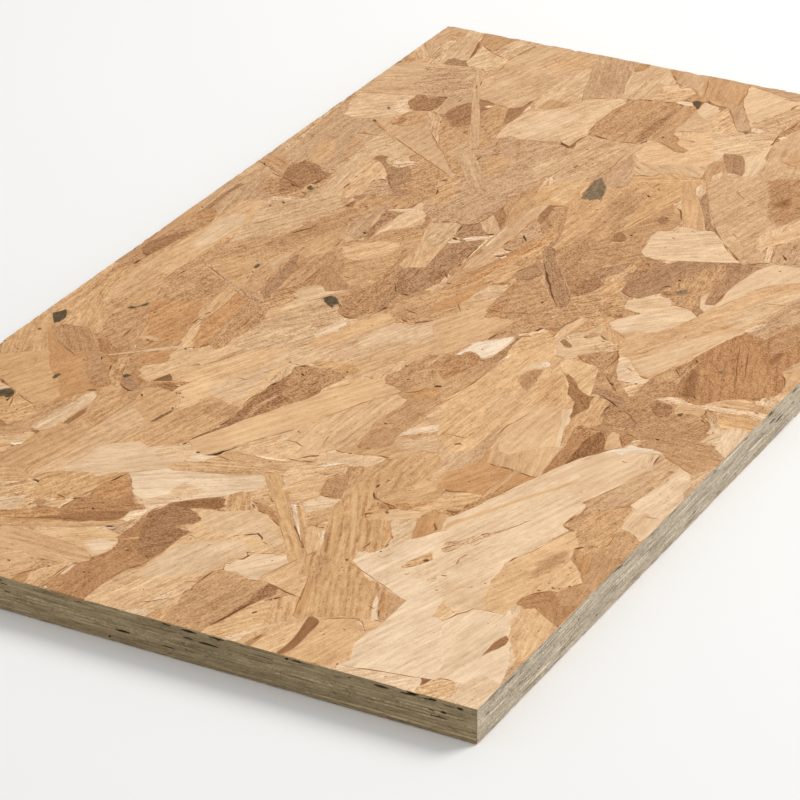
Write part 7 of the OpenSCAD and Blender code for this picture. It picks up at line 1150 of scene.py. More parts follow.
    ("U", -38, (-39.2,-66.3, -34.8,-67.5, -34.7,-70.2, -38.6,-72.2, -41.3,-69.6)),
    ("O", -5, (-48.7,-36, -43.9,-40.3, -39.3,-41.9, -34.1,-42.1, -27.7,-42.2, -22.4,-42.3, -15.7,-41.7, -14.3,-44.5, -21.3,-44.6, -27.7,-44.5, -35.2,-44.9, -42.5,-45.3, -47.2,-46, -47.8,-42.4, -51.2,-40.7), {"rim": 0.2, "speck": 1.84}),
    ("O", -23, (-28.8,-30.1, -21.3,-29.7, -16.8,-30.8, -13.7,-35.5, -19.9,-33.6, -25.1,-32.2), {"speck": 2.0}),
    ("U", -23, (-49.1,-23, -44.9,-23.7, -39,-25.2, -31.7,-27, -26.8,-31.4, -22.5,-34.9, -19.6,-38, -16.4,-40.4, -22.9,-41.4, -28.4,-40.8, -33.6,-40.6, -38.3,-41.4, -43.4,-38.9, -46.7,-36.1, -42.9,-32.4, -42.1,-29.1, -44.7,-26.4, -48.7,-26.2), {"rim": 0.1, "speck": 0.6}),
    ("L", -32, (-22.3,-31.4, -16.2,-34.5, -14,-36.8, -12.3,-39.6, -12,-40.6, -12.4,-41.8, -16.9,-40.6, -21.3,-37.2, -24.7,-34.3), {"id": 203.0, "rim": 0.0, "speck": 1.47}),
    ("W", -11, (-47.2,-46, -40.4,-47, -33.8,-48.8, -40.7,-48.9, -45.6,-48), {"speck": 2.0}),
    ("O", -5, (89.8,-33.2, 94.1,-37.6, 98.6,-41.8, 101.6,-46.7, 106.1,-50.7, 107.1,-53.1, 102.3,-57.4, 87.9,-56.6, 75,-55.8, 69.2,-52.7, 62.4,-50.1, 57.7,-48.9, 60.7,-45.5, 64.7,-42.8, 64.5,-40.8, 72,-37.2, 79.2,-35.2), {"id": 225.0, "rim": 0.0, "speck": 2.3}),
    ("I", -41, (50.1,-52.7, 58.8,-58.9, 55.3,-65.3, 51.2,-73, 46.1,-70.9, 39,-67.4, 32,-61.6, 29.6,-55.7, 31.2,-52.7, 37.1,-54.5, 40.9,-52.3, 46.6,-52.8), {"id": 226.0, "rim": 0.0, "speck": 1.4}),
    ("O", -3, (66.8,-58.6, 76.9,-59.5, 89.8,-60.4, 99.1,-64.8, 97.7,-73, 85.6,-68.3, 73.1,-65.4, 60.8,-65.5), {"speck": 2.4}),
    ("D", -1, (51.6,-55.5, 64.9,-54.8, 75.5,-56.7, 85.1,-56.7, 96.5,-57.2, 103,-58.8, 89.8,-60.4, 78.5,-59.9, 68.9,-59.9, 59.5,-60.3, 50.3,-60.8), {"speck": 1.77}),
    ("I", -41, (124.5,-100.5, 131.5,-109.2, 134.6,-114.5, 138.9,-122.6, 139.3,-125.2, 140.6,-129.7, 141.6,-133.6, 140.3,-135.9, 139.4,-138.8, 135.6,-141.6, 129,-139, 121.7,-130.1, 122.6,-123.9, 115.6,-118.4, 109.2,-116.6, 114.6,-108.4), {"speck": 2.0}),
    ("O", 5, (107.8,-87.1, 113.3,-90.1, 115.1,-92.9, 119.7,-95.6, 118.6,-99.2, 118.8,-102, 117.5,-105.9, 114.9,-117, 103.7,-116.8, 93.5,-115.6, 85,-114.9, 79.4,-114.5, 69.5,-116.2, 62.9,-116.3, 62.5,-110.3, 73,-110, 87,-108.2, 98.4,-106.5, 109.4,-100.9, 101.2,-95.9), {"rim": 0.2, "speck": 1.45}),
    ("O", -17, (56.2,-64.3, 68.6,-64.7, 78.8,-68.5, 89,-69.6, 95.9,-72.2, 104,-77.1, 107.3,-80.5, 110.1,-83.1, 110.9,-85.4, 108.9,-86.6, 113.1,-97.5, 100.3,-94, 89.7,-89.6, 81.8,-87.5, 72.3,-85, 62.7,-84.9, 57.1,-81.8, 51.5,-78.7, 51.2,-73), {"rim": 0.3, "speck": 1.35}),
    ("L", 11, (63.8,-84.4, 72.3,-85, 82.9,-87, 89.7,-89.6, 100.3,-94, 95.3,-100.4, 88,-99.7, 86.4,-104.4, 74.1,-104.3, 64.5,-106.5, 55.7,-110, 51.6,-107.3, 52.4,-101.2, 51.4,-96.6, 53.2,-93.4, 54.2,-92.4, 55.4,-89.9, 60,-92.5, 58.4,-86.9), {"rim": 0.2, "speck": 1.75}),
    ("L", 5, (92.7,-98.1, 102.8,-96.3, 109.8,-99, 106.2,-102.9, 95.2,-105.6, 87.8,-104.4), {"speck": 2.4}),
    ("J", -37, (27,-67.5, 37.3,-69.4, 40.9,-71.1, 37.5,-77.4, 36.8,-86.3, 28.8,-81, 24.5,-77.9, 26.8,-72.2), {"speck": 1.68}),
    ("R", -51, (26,-73.2, 31.7,-73.9, 31.4,-78.6, 27.2,-80.6, 24.6,-76.7), {"rim": 0.2}),
    ("F", -27, (6.8,-88.8, 15.6,-95.9, 22.4,-104, 34.4,-109.6, 45.8,-114, 52.6,-114.3, 59.7,-117.8, 73.1,-123.1, 87.7,-127.9, 99.1,-134.3, 109.9,-147.3, 109.9,-151.1, 105.3,-153.1, 102.7,-153.9, 94.4,-153.9, 84,-149.4, 71.8,-146.3, 60.8,-145.5, 51,-144.3, 42.4,-142.6, 35.8,-139.9, 25,-136.4, 13.3,-133.5, 1.6,-130.5, -8.9,-127.1, -20.4,-124.2, -28.7,-122.6, -29.5,-118.5, -25.7,-114, -23.2,-111.6, -20.8,-106.6, -14.3,-104.6, -14.1,-97.8, -5.2,-92.9, 4.8,-92.5), {"rim": 0.0, "id": 236.0, "speck": 0.91}),
    ("F", -27, (7.2,-89.7, 17.9,-100.4, 32.3,-110.6, 30.9,-118, 15.4,-112.9, 5.6,-106.3, -6.2,-100.7, -9.6,-96.7), {"rim": 0.0, "id": 236.0, "d": 2.6, "speck": 0.83}),
    ("C", -27, (-15.3,-105.1, -1.6,-109.7, 17.7,-117.4, 35.4,-131.7, 48,-138.4, 35.8,-139.9, 17.5,-134.3, -1.6,-129.2, -19.4,-123.7, -28.2,-121.2, -24.5,-113.9), {"rim": 0.0, "id": 236.0, "d": 2.6, "speck": 0.52}),
    ("C", -27, (47,-126.4, 71.3,-132.4, 89.3,-141.4, 102.1,-150.6, 102.7,-152.7, 100.7,-154.3, 96.6,-154.4, 93.3,-154.4, 75.1,-147.7, 57.5,-144.2, 43.3,-139.3), {"rim": 0.0, "id": 236.0, "d": 2.6, "speck": 0.73}),
    ("I", -18, (41.3,-143, 55.4,-145.1, 69.6,-147.3, 82.9,-149.9, 94.4,-153.9, 92,-155.6, 90.2,-158.8, 86.9,-162.6, 82.7,-165.3, 76.5,-166.1, 66.3,-166.1, 55,-162.1, 44.1,-158.5, 37.3,-157.6, 37.5,-153.1, 38.3,-147.2), {"rim": 0.2, "speck": 1.44}),
    ("P", 20, (-2.9,-131.5, 8,-133.1, 19.7,-136.1, 34.8,-140.4, 41.4,-145.8, 37.6,-155.8, 49.5,-158.9, 67.3,-165.6, 61.1,-172.3, 57,-176.3, 49.3,-181.8, 40.6,-180.8, 33.7,-181.8, 26.5,-183.3, 16.6,-178.8, 6.9,-179.2, -0.5,-184.1, -11.3,-186.7, -16.7,-185.8, -21.8,-180.1, -27.8,-172, -32.5,-164.5, -42.6,-157.7, -42,-148.7, -39.9,-141, -22.3,-137.2, -10.5,-136.1, -3.9,-136.9), {"rim": 0.3, "band": 0.6, "id": 238.0, "speck": 1.39}),
    ("T", 20, (-39.4,-141.9, -22.3,-137.2, -10.5,-136.1, -0.4,-136.4, -10,-141.9, -34.4,-151.6, -39.2,-150.2, -39.5,-148.1, -40,-144.4), {"rim": 0.0, "id": 238.0, "d": 2.6, "speck": 1.33}),
    ("P", 20, (-31.2,-157.7, -4.5,-147.7, 19.3,-140.2, 30.4,-141.8, 4.2,-152.5, -28,-163.9, -31.8,-163.3, -31.9,-161.5, -31.6,-159.9), {"rim": 0.0, "id": 238.0, "d": 2.6, "speck": 1.36}),
    ("P", 20, (-24.4,-170.9, 2.2,-160.6, 34.6,-149.9, 32.2,-157.7, 5.6,-167.2, -21.7,-176.1, -23.7,-174.8, -25.1,-174.2, -25.2,-173), {"rim": 0.0, "id": 238.0, "d": 2.6, "speck": 1.26}),
    ("N", -25, (37.7,-158.5, 50.7,-161.2, 66.3,-166.1, 65.2,-168.5, 63.3,-171.1, 63.4,-173.8, 60.8,-174.8, 53.7,-175, 47.2,-174.3, 31.9,-169.4, 22.7,-166.3), {"rim": 0.1, "id": 239.0, "speck": 1.25}),
    ("T", -25, (16.2,-165.9, 27.5,-165.8, 29,-171.2, 19.4,-172.1, 11.5,-171.2), {"rim": 0.0, "id": 239.0, "d": 2.6, "speck": 0.81}),
    ("G", -25, (5.7,-177, 16.6,-178.8, 27.5,-182.8, 27.4,-184.2, 25.8,-185.4, 23.3,-185.6, 20.3,-185.9, 10.5,-181.5), {"speck": 0.76}),
    ("F", 3, (6.9,-179.2, 13.7,-182.8, 21.3,-185.5, 2.1,-193.8, -12.3,-194.1, -15.7,-187.5, -0.2,-184.5), {"speck": 0.65}),
    ("E", -43, (-6.5,-80.5, -0.7,-86.7, -5.2,-92.9, -10.4,-92.6, -12.2,-86.7, -12.6,-83.5), {"id": 209.0, "rim": 0.0, "speck": 1.78}),
    ("L", 11, (-38,-102.1, -31.4,-100.6, -19.8,-98.8, -9.8,-96.2, -26.4,-105.4, -37,-108.9, -43.3,-108.6), {"speck": 1.31}),
    ("N", -33, (-44.7,-122.5, -32.1,-123.1, -27.5,-124.8, -25.2,-127.2, -22.6,-130.6, -22.8,-131.4, -23.6,-132.3, -27,-137.7, -39.7,-141.5, -45.5,-135.3, -47.7,-131.6, -48.7,-129.9, -51.8,-125.4, -49.8,-123.9, -49.5,-122.6), {"speck": 1.66}),
    ("J", -12, (-28.7,-122.6, -18.3,-125.9, -9.7,-128, -19.3,-135.8, -28.2,-137.7, -25.6,-133.2, -27.1,-131.7, -28.7,-129.9, -29.5,-129, -28.4,-127.9), {"speck": 1.6}),
    ("N", 1, (-11,-128, -1.4,-131.9, -3.6,-137.3, -12.5,-137, -22.3,-137.2), {"speck": 2.4}),
    ("A", -28, (-13.1,-97.3, -11.8,-102.2, -18.9,-107.9, -24.7,-113.5, -29.8,-118.1, -28.5,-123, -33.8,-122.2, -36.4,-119.6, -36.9,-118.2, -37.3,-116.5, -37.2,-115.6, -37.3,-108.4, -29.6,-104.1), {"rim": 0.0, "id": 121.0, "speck": 0.81}),
    ("B", -45, (41,-68.8, 46.8,-72.3, 52.6,-78.2, 60.5,-83.1, 59.4,-88.8, 58,-94, 52.7,-96.5, 52.6,-104, 51.5,-109.6, 47.1,-113.9, 41,-112.2, 32.2,-107.8, 22.4,-104, 17.5,-99.5, 15.4,-93.1, 9.3,-88.7, 11,-84.5, 15.6,-78.3, 19.5,-75.8, 26.5,-79.2, 33.2,-84.6, 37.7,-88.1, 36.4,-83, 38.3,-76.4), {"rim": 0.3, "id": 246.0, "speck": 0.58}),
    ("C", -45, (41.9,-70.6, 51.5,-78.7, 59.5,-86.4, 58,-94, 51.6,-97, 50.5,-107.8, 44.5,-93.5, 41.8,-83.3), {"rim": 0.0, "id": 246.0, "d": 2.6, "speck": 0.65}),
    ("Q", -45, (18.7,-76.7, 25.5,-79.7, 35.5,-86.4, 36.8,-87.4, 38,-87.9, 38.9,-89, 37.9,-90.9, 31.3,-88.4, 22,-88.2, 14.8,-89.4, 10.4,-87, 14.2,-80.6), {"rim": 0.0, "id": 246.0, "d": 2.6, "speck": 0.31}),
    ("O", 2, (50.8,-108.3, 57.6,-108.5, 53.9,-114.2, 45.8,-114), {"rim": 0.2, "speck": 1.71}),
    ("B", -17, (59.1,-109, 66.9,-105.9, 72.2,-105.8, 79.8,-107.5, 66.2,-109.7, 61.6,-111.2, 62.7,-115.9, 68.4,-116.7, 79.7,-115, 90.6,-115.2, 99.7,-116.9, 109.9,-118, 116.8,-120.7, 122.6,-123.9, 122.8,-129.6, 125.6,-140.5, 125.6,-143.1, 120.3,-145.5, 116.1,-146.3, 109.9,-147.3, 102.6,-138.5, 97.9,-132, 88.8,-127.4, 77.5,-123.9, 66.4,-120.4, 59,-116.4, 51.5,-114.7), {"rim": 0.3, "speck": 0.35}),
    ("A", -25, (41.1,-142.6, 49.3,-143.4, 53.3,-146.1, 56.5,-149.7, 48,-148.4, 43.5,-146), {"speck": 2.0}),
    ("O", -63, (64.1,-84.8, 67.4,-87.3, 66.3,-91.8, 62.9,-91.7, 61,-88), {"speck": 2.0}),
    ("M", -51, (67.2,-90.9, 70.8,-92.6, 74.4,-95.6, 69.6,-98.1, 65.8,-96.1, 63.9,-93.6), {"speck": 2.4, "d": 1.2}),
    ("M", -63, (-6.5,-148.6, -3.6,-149.5, -3.7,-152.8, -7.6,-152.4), {"d": 1.2}),
    ("J", -3, (-43.4,186.8, -18.7,187.9, -4.2,187.5, 12.6,188.5, 29.6,189.4, 46.2,191.9, 49.2,186, 32.7,183.6, 20.7,183.9, 7.1,185.1, -5.3,186.8, -17.5,185.5, -47.6,184.1), {"speck": 0.48}),
    ("L", -12, (4.4,184.7, 20.7,183.9, 31.5,182.9, 31.4,174.5, 30.7,170.2, 21.3,171.5, 13.2,176.1, 5.1,180.6), {"speck": 1.59}),
    ("a", -20, (31,183.9, 41.4,183.8, 50,178.7, 42.8,172.5, 31,169.8, 30.3,173.8, 30.3,179.6), {"speck": 1.55}),
    ("L", -12, (-43.4,186.8, -28.5,184.9, -17,184.6, -23.5,178, -28.1,178.8, -34.8,180.9, -48.6,183.4), {"speck": 1.74}),
    ("F", -6, (-60,176.2, -41.1,176.9, -25.8,177.1, -14.7,174.6, -1.3,173.5, 11.1,171.6, 23.7,169.8, 34,169.7, 44.7,171.7, 56.3,172.3, 64.9,168, 65.1,164.4, 69.6,160.1, 68.3,156.8, 68.6,154.2, 67.9,149.7, 52.5,150.8, 40.5,151.3, 29.1,150.8, 16.6,152.8, 4.6,153.7, -7,154.2, -16.9,154.4, -27.3,155.5, -35,157, -40,158.8, -52.8,157, -63.4,156.5, -76.3,165.7, -78.2,167.7, -80.5,170.1, -72.9,171.5, -67.2,173.4, -65.2,174.5), {"rim": 0.2, "id": 257.0, "speck": 0.85}),
    ("B", -6, (22.6,169.1, 36.9,169.6, 48,165.3, 49.5,156.7, 37,152.4, 22.2,153, 6.8,155.1, -3.9,159.2, 1.3,165.6), {"rim": 0.0, "id": 257.0, "d": 2.6, "speck": 0.49}),
    ("E", -28, (63.8,157.5, 74.7,148.6, 73.8,146.8, 72.9,145.4, 75.3,141.2, 75.3,138.8, 75,136, 73.2,131.9, 72,129.8, 68.7,127.5, 67.1,123.3, 60,122.7, 52.2,122.8, 40.3,129.1, 32.1,133.7, 25.1,139, 17,143.6, 11.8,148, 24.5,151.3, 40.5,151.3), {"id": 258.0, "rim": 0.0, "speck": 1.16}),
    ("J", -25, (-10.7,153.2, 4.3,151.6, 13.4,147.7, 22.8,140.7, 29.9,132.4, 35.9,126.5, 44.4,118.3, 46.1,114, 42.9,113, 40.2,110.7, 37,108.7, 30.9,107.7, 24.6,106.8, 12.9,113.1, 4.9,117.7, 2,120.6, 0.8,122.5, 0.8,123.8, 1.2,124.8, -2.2,127.9, -3.6,129.5, -2.9,130.8, -2.5,131.9, -4.6,134.2, -7.2,136.6, -7.5,138.6, -6.2,139.1, -11.5,143.9, -15.6,146.4), {"rim": 0.0, "id": 259.0, "speck": 1.59}),
    ("H", -25, (-14.3,146.6, -6.3,142.1, -2,137.8, 1.1,134.9, -1,133.8, -1.4,132.6, 1.9,123.4, -0.1,119.1, -8.2,118.6, -17.1,117, -27.7,113.7, -33.6,114.5, -28.7,123.6, -23.8,132.7, -18.9,142), {"id": 259.0, "rim": 0.0, "speck": 1.15}),
    ("J", -5, (-36.2,111.7, -22.8,114.8, -10.6,117.8, -0.3,119.6, 5.9,118.3, 16.1,115, 27.8,108.7, 27.4,107.1, 27.4,105.4, 25,104.5, 18,103.1, 10.8,108.8, -0.2,108.5, -12.2,107.6, -25.7,104.5, -37.5,101.2, -42.5,103.1), {"id": 260.0, "rim": 0.0, "speck": 1.33}),
    ("E", -5, (1.2,116.7, 11.6,115.4, 19.9,110.3, 10.8,108.8, 0.9,109.1, -7.5,109.2), {"rim": 0.0, "id": 260.0, "d": 2.6, "speck": 0.54}),
    ("J", -12, (-44.2,156.2, -30.1,155.6, -19,153.1, -13.4,150.3, -18.3,143.5, -25.9,131.5, -31.8,121.7, -40.6,120.1, -48.6,122.6, -55.3,127.7, -60.9,133.4, -62.9,135.3, -65.3,137.8, -65.9,139.1, -64.5,140.4, -64.7,145.9, -52,150.1), {"band": 0.4, "id": 172.0, "rim": 0.0, "speck": 1.7}),
    ("H", -7, (-75.3,166.4, -62.4,157.2, -50.3,157.4, -40.6,157.2, -41.9,154.5, -54.5,149.8, -67.7,146.5, -75.6,148.9, -90.3,156.7, -90.1,159.1, -86.8,161.9, -84.6,164.1), {"speck": 1.14}),
    ("X", -12, (-68.1,147.4, -63.5,141.1, -62.1,139.7, -59.1,136.6, -58.9,135.8, -59.9,134.1, -54.3,128.3, -52.6,122.6, -65.3,118.6, -74,115, -80.5,112.3, -86.6,111.5, -101.3,107.3, -113.6,126.1, -93.4,134.6, -79.2,140.4, -78.3,142.8, -77.8,144.1, -73.1,146.6), {"rim": 0.0, "id": 172.0, "speck": 1.25}),
    ("L", -12, (-89.3,157.4, -78.8,149.9, -72.4,145.3, -79.2,140.4, -93.4,134.6, -103.9,132.2, -117.9,129.4, -121.3,131.9, -122.9,133.5, -122.7,135.1, -121.6,136.7, -117.6,140.8, -114.5,144.6, -113.5,148.7, -106,152.3, -101,155.3), {"id": 172.0, "rim": 0.0, "speck": 1.56}),
    ("X", -2, (-83.7,110.9, -72.1,111.3, -62.7,111, -52.2,111.3, -39.5,112.8, -35.7,110.8, -40.3,101.4, -49.4,100.8, -61.9,99.3, -73.3,98.5, -86.6,96.5, -99,93.1, -102.1,95.5, -103.3,96.9, -105.4,98.3, -102.8,100.4, -87.2,105.1), {"rim": 0.1, "speck": 1.45}),
    ("F", 5, (-72.8,115.2, -61.3,116.1, -48.7,117.6, -35.5,118.3, -32.8,115.6, -43.8,113.3, -54.9,111.5, -64.2,111.3, -72.1,111.3), {"speck": 1.0}),
    ("L", 0, (-98.8,92.7, -82.5,96, -68.2,98.6, -55.7,100.1, -43.1,101.5, -40.6,99.3, -47.2,88.8, -57.5,85.7, -67.9,85.5, -75.6,85.2, -82.9,86.8, -94.8,84.9, -98.9,86.8, -100.4,88.3, -98.8,90.2), {"rim": 0.0, "id": 174.0, "speck": 2.05}),
    ("c", 7, (-105.4,105.4, -87.6,110.9, -81,110.7, -75.6,110.4, -86.7,106.6, -103,100.8, -104.6,101.5, -106.7,102.9, -106.1,104), {"speck": 0.86}),
    ("a", -30, (-21.4,93.6, -8.4,97.6, 8,103.4, 15.9,101.8, 13.8,93.5, 10.3,91.1, 1.1,87.5, -10,83.7, -20.3,79.7, -26.5,77.3, -31.2,81.2, -32.8,82.8, -34.2,84.4, -34.1,85.4, -33.6,85.9, -32,90.5), {"speck": 2.4}),
    ("F", -36, (-58,84.2, -43.9,87.7, -35.9,87.6, -31.4,84.1, -29.3,81.5, -26.8,78.2, -26.7,77.3, -27.6,76.7, -27.3,73.3, -28.7,72.1, -32.9,71.5, -36.8,71.3, -45.8,75.8, -52.4,80.9), {"id": 266.0, "rim": 0.0, "speck": 0.79}),
    ("G", -36, (-75.9,83.2, -60.5,83.9, -52.4,80.9, -44.7,76.4, -35.8,71.9, -37.1,66.8, -37.9,64.8, -41.7,63.3, -50.1,63.7, -62.1,69.2, -71.5,77.4), {"id": 186.0, "rim": 0.0, "speck": 1.25}),
    ("E", -23, (-93.9,83.1, -78.5,83.4, -71.5,77.4, -62.1,69.2, -51.1,63.1, -53.2,59.3, -54.9,56.2, -57.2,52.9, -62.7,51.2, -66.5,48.4, -76,48.7, -82.3,56.6, -86.9,61.7, -90.6,68.6, -93.5,72.8, -92.7,77.3), {"id": 163.0, "rim": 0.0, "speck": 1.45}),
    ("O", 6, (-32.4,101.8, -18.5,103.9, -7.1,105.7, 2.1,106.8, 11.3,107.8, 18.2,108.1, 13.3,104, 0.8,101.1, -11,97.3, -22.5,93, -32.2,90.9, -41.7,88.4, -48,87.7, -40.3,93.5, -36.1,98.4), {"rim": 0.2, "speck": 1.44}),
    ("I", 59, (-14.5,147.1, -16.8,140.7, -21.8,131.5, -28.8,121.1, -33.7,112, -38.5,103, -42.2,94.7, -46.7,87.9, -49.9,89, -45.7,98.8, -39.3,109.9, -32.9,121.1, -25.3,133, -19.4,142.9), {"speck": 2.29}),
    ("R", -8, (-15.1,186.4, -4.2,187.5, 3.8,183, 11.9,178.5, 16.6,175, 22.9,171.2, 13.8,172, 4.3,173.8, -3.1,174.2, -11,175.7, -18.8,177.1, -23.5,178, -20.2,182.6), {"rim": 0.1, "speck": 1.43}),
    ("J", 8, (-111.3,134.2, -103.1,135.8, -96,137.2, -97.5,135, -104.8,134.1, -111.6,132.2)),
    ("H", 11, (-104.4,130.7, -96.3,132.8, -91.4,133.4, -96.6,130.8, -104.6,128.7)),
    ("D", -83, (-105.8,131, -102,126.1, -102.1,118.8, -107.1,119.9, -108.3,127), {"speck": 0.83}),
    ("K", -44, (-80.5,154.4, -76.8,153.7, -76.6,150.7, -73.1,149.2, -68.6,148.3, -69.5,146.2, -73.9,145.6, -76.1,148.5, -79.3,149.6, -81.3,152.1), {"d": 1.2}),
    ("K", -14, (-8,120.9, -3.9,121.1, -1.9,119.9, -3.6,117.9, -7.5,117.8, -9.2,119.2), {"d": 1.2}),
    ("L", -29, (98.9,171.8, 98.8,160.1, 92.6,151.3, 92.3,146, 97.4,145.1, 107,144.2, 114.4,144.6, 116,141.6, 99.9,140.1, 91.5,141.7, 83,140.6, 82.2,145.2, 76.8,150.3, 75.2,154.1, 75.8,155.7, 75.6,158, 77.7,160.6, 80,164.8, 81.8,167.9, 82.9,171.1, 92.6,171), {"speck": 2.4}),
    ("G", -28, (72.1,156, 75.1,152.1, 80.1,147.2, 82.7,142.5, 79.2,142.2, 82.9,138, 91.4,139.1, 105.6,140.8, 116.2,141.1, 117.9,138.9, 121.6,134.8, 122.4,133.4, 120.6,132.6, 101.3,125.6, 88.2,121.9, 87.2,115.1, 79,113.6, 72.1,112.8, 63.8,117.5, 55.5,122.2, 47.4,123.8, 39.3,125.4, 28.2,130.2, 31.7,138.5, 37.3,143.4, 44.5,146.4, 51.1,148.6, 61.9,152.9), {"rim": 0.0, "id": 258.0, "speck": 1.37}),
    ("I", 3, (115.7,142.1, 119.8,139.3, 126.6,133.9, 126.9,130.3, 127.3,126.8, 128.1,122.2, 127.8,118.7, 115,116.7, 105.4,117.7, 97.8,117.9, 89.5,116.4, 84.8,116.9, 88.2,121.9, 101.3,125.6), {"band": 0.3, "speck": 0.56}),
    ("N", -25, (28.2,130.2, 39.3,125.4, 50.9,122.7, 62.5,119.9, 70.8,115.2, 77.9,113, 86.2,111.3, 84.2,106.4, 76.7,101, 64.4,102.2, 53.9,105.6, 44.6,109.6, 35.3,113.7, 26.6,116.7, 16.2,123.1, 17.3,126.4, 17.7,128.2, 19.6,131.1), {"rim": 0.0, "id": 259.0, "speck": 1.63}),
    ("J", -13, (84.9,113.8, 92.7,113.1, 98,111.6, 107.6,107.5, 114,100.9, 103.9,97.2, 94.9,97.3, 88.9,100.2, 79.1,99.2, 74.2,100.2, 81.8,108.2), {"speck": 1.74}),
    ("Z", -21, (82,116.5, 88.4,115.7, 93.6,114.2, 83.4,111)),
    ("O", -13, (94.7,118, 102.5,117.4, 107.8,115.9, 99.1,112.3, 93.4,114.7)),
    ("N", -8, (111,115.7, 119.4,114.1, 122.3,105.5, 122.1,104, 121,102.7, 117.2,101.8, 114,100.9, 106.9,105.9, 97.1,110.5, 101.6,116.2), {"id": 280.0, "rim": 0.0, "speck": 1.25}),
    ("R", 2, (128.8,116.7, 136.3,113.9, 135.2,109.8, 136.5,107, 135.4,103.8, 123.1,95.1, 116.3,96.5, 111,98, 116.6,104.8)),
    ("L", -7, (135.2,104.3, 143.5,100.5, 143.8,98, 144.1,95.6, 144.2,92.4, 143.3,91.2, 143.6,87.8, 135,83.8, 128.9,83.7, 122.3,78.9, 116.1,79.3, 112,81.5, 107.5,87.3, 99.8,90.6, 93.7,91, 95.9,95.3, 105,97.9, 112.2,98.6, 116.6,96, 122.8,95.6), {"id": 282.0, "rim": 0.0, "speck": 1.32}),
    ("I", 6, (51.9,98.2, 75.3,100.8, 85.4,98.3, 87.6,96.7, 89.2,95.8, 89.8,94.9, 88.2,93, 82.1,93.3, 71.5,91.2, 61,89, 52.1,86.6, 47.7,89.7), {"speck": 1.25}),
    ("O", -3, (88.5,69.4, 98.1,70.9, 104.9,72.1, 109.9,71, 113.5,68, 115.2,66.9, 114.9,63.7, 114.4,62.2, 111.4,59.6, 111.8,57.8, 110.9,56.2, 103.7,53.5, 101,51.6, 91.3,49.9, 88.5,58.3, 88.2,64.3, 84.7,65.5), {"speck": 1.78}),
    ("J", -30, (42.9,96.2, 44.7,93.9, 48.4,89.6, 50.4,87.2, 47.8,86.6, 53,82.1, 61.7,82, 68.8,76.6, 74.8,70.6, 76.4,64.7, 63.1,56.9, 53.3,54, 47.4,54.4, 40,57.7, 31.2,55.9, 17.9,54.7, 4.8,53.4, -6,53.4, -8.6,55.9, -9.1,57.1, -9.3,58.7, -9.2,59.5, -2.4,67.5, 2.5,76.4, 16.3,87.3, 30.9,91.9), {"rim": 0.1, "id": 286.0, "speck": 1.5}),
    ("c", -30, (36.2,92.5, 45.6,85.4, 54,74.6, 55.6,63.2, 43.2,62.5, 32.9,66, 23.7,73.1, 23.6,84.1), {"rim": 0.0, "id": 286.0, "d": 2.6, "speck": 1.02}),
    ("H", -5, (6.9,102.8, 19.8,107.8, 29.9,107.5, 41.4,104.7, 47.3,98.7, 44.3,93.3, 33.5,92.2, 26.1,92.9, 20.4,95.8, 13.4,101), {"id": 260.0, "rim": 0.0, "speck": 0.97}),
    ("J", 2, (-26.5,95.5, -13.8,97.4, 1.3,100.2, 14.5,101.7, 22.1,98, 26.7,94.5, 20.9,89.3, 9,88, -3,87.2, -12.6,87.2, -19.5,89.9), {"band": 0.8, "speck": 1.28}),
    ("N", 16, (-11.2,76.4, -13,82.7, 0.5,85.6, 13.2,88, 27.2,93.5, 32.4,91.6, 22.1,86.9, 20.1,82.3, 18,78.7, 13,76.4, 7.1,78.3, -0.3,68.7, -6.8,60.2, -13.1,64.5, -15.5,65.2, -17.2,67.3, -17.5,69.4, -16.7,71.4), {"speck": 1.14}),
    ("J", -30, (-29.5,96.2, -22.1,89.6, -29.2,80, -38.8,82.9, -46,86.5, -46.8,90.6, -47.3,94.4, -43,95.2, -40.1,95.4, -32.6,95.6), {"speck": 2.4}),
    ("C", -36, (-47.6,81.9, -38.8,82.9, -32.3,80.6, -24.7,86.8, -18.6,85.5, -12.5,81.7, -10.3,79.4, -9.6,78.3, -9.8,77.7, -10.1,77.1, -15.7,72, -11,65.6, -6.8,60.2, -11.9,62.1, -18.2,66.4, -23.7,69.3, -29.2,72.1, -36.2,75.3, -43.7,77), {"rim": 0.0, "id": 266.0, "speck": 0.67}),
    ("G", -36, (-46.4,71.8, -39.3,73.5, -31.3,70.9, -25.8,68.1, -31.9,59.2, -39.5,58.5, -46.3,65.1, -46.3,67.4, -46.3,70.2), {"id": 186.0, "rim": 0.0, "speck": 1.65}),
    ("N", -4, (-21.5,59.7, -9.2,59.5, -5,54, 5.9,54, 16.8,54.1, 24.7,52.3, 19.2,46.9, 9.9,43.6, 2.2,40, -4.8,37.9, -12.7,37.7, -21.4,38.9, -29.9,40, -34,42.5, -35.6,44.8, -35,47, -34.7,49.2, -27.2,55.3), {"rim": 0.0, "id": 290.0, "speck": 2.02}),
    ("O", 9, (-23.9,38.6, -8.6,40, -0.6,40.2, -3.4,35.1, -12.6,34.8, -19.3,32.3), {"speck": 2.4}),
    ("F", 19, (30.8,53.9, 47.4,54.4, 60.4,56.7, 75.1,61.6, 85.5,64.1, 88.2,63, 89.2,61.6, 89.7,59.2, 89.2,56.8, 90.2,49.3, 89.1,42.7, 87.4,40.6, 84,37.5, 80.5,37.4, 77.5,38.7, 72,39.7, 59,40, 46.5,37, 36.3,35.1, 32,38.2, 31.7,44.1, 26.8,48.1), {"rim": 0.2, "band": 0.5, "speck": 0.96}),
    ("N", 8, (33.9,34.4, 47.6,37.6, 58.2,39, 68.7,37.9, 66.7,35.5, 63.1,32.7, 59.6,30.7, 58.9,29.1, 47.5,25.2, 37.8,21.5, 32.7,26, 35.6,31.1), {"speck": 1.63}),
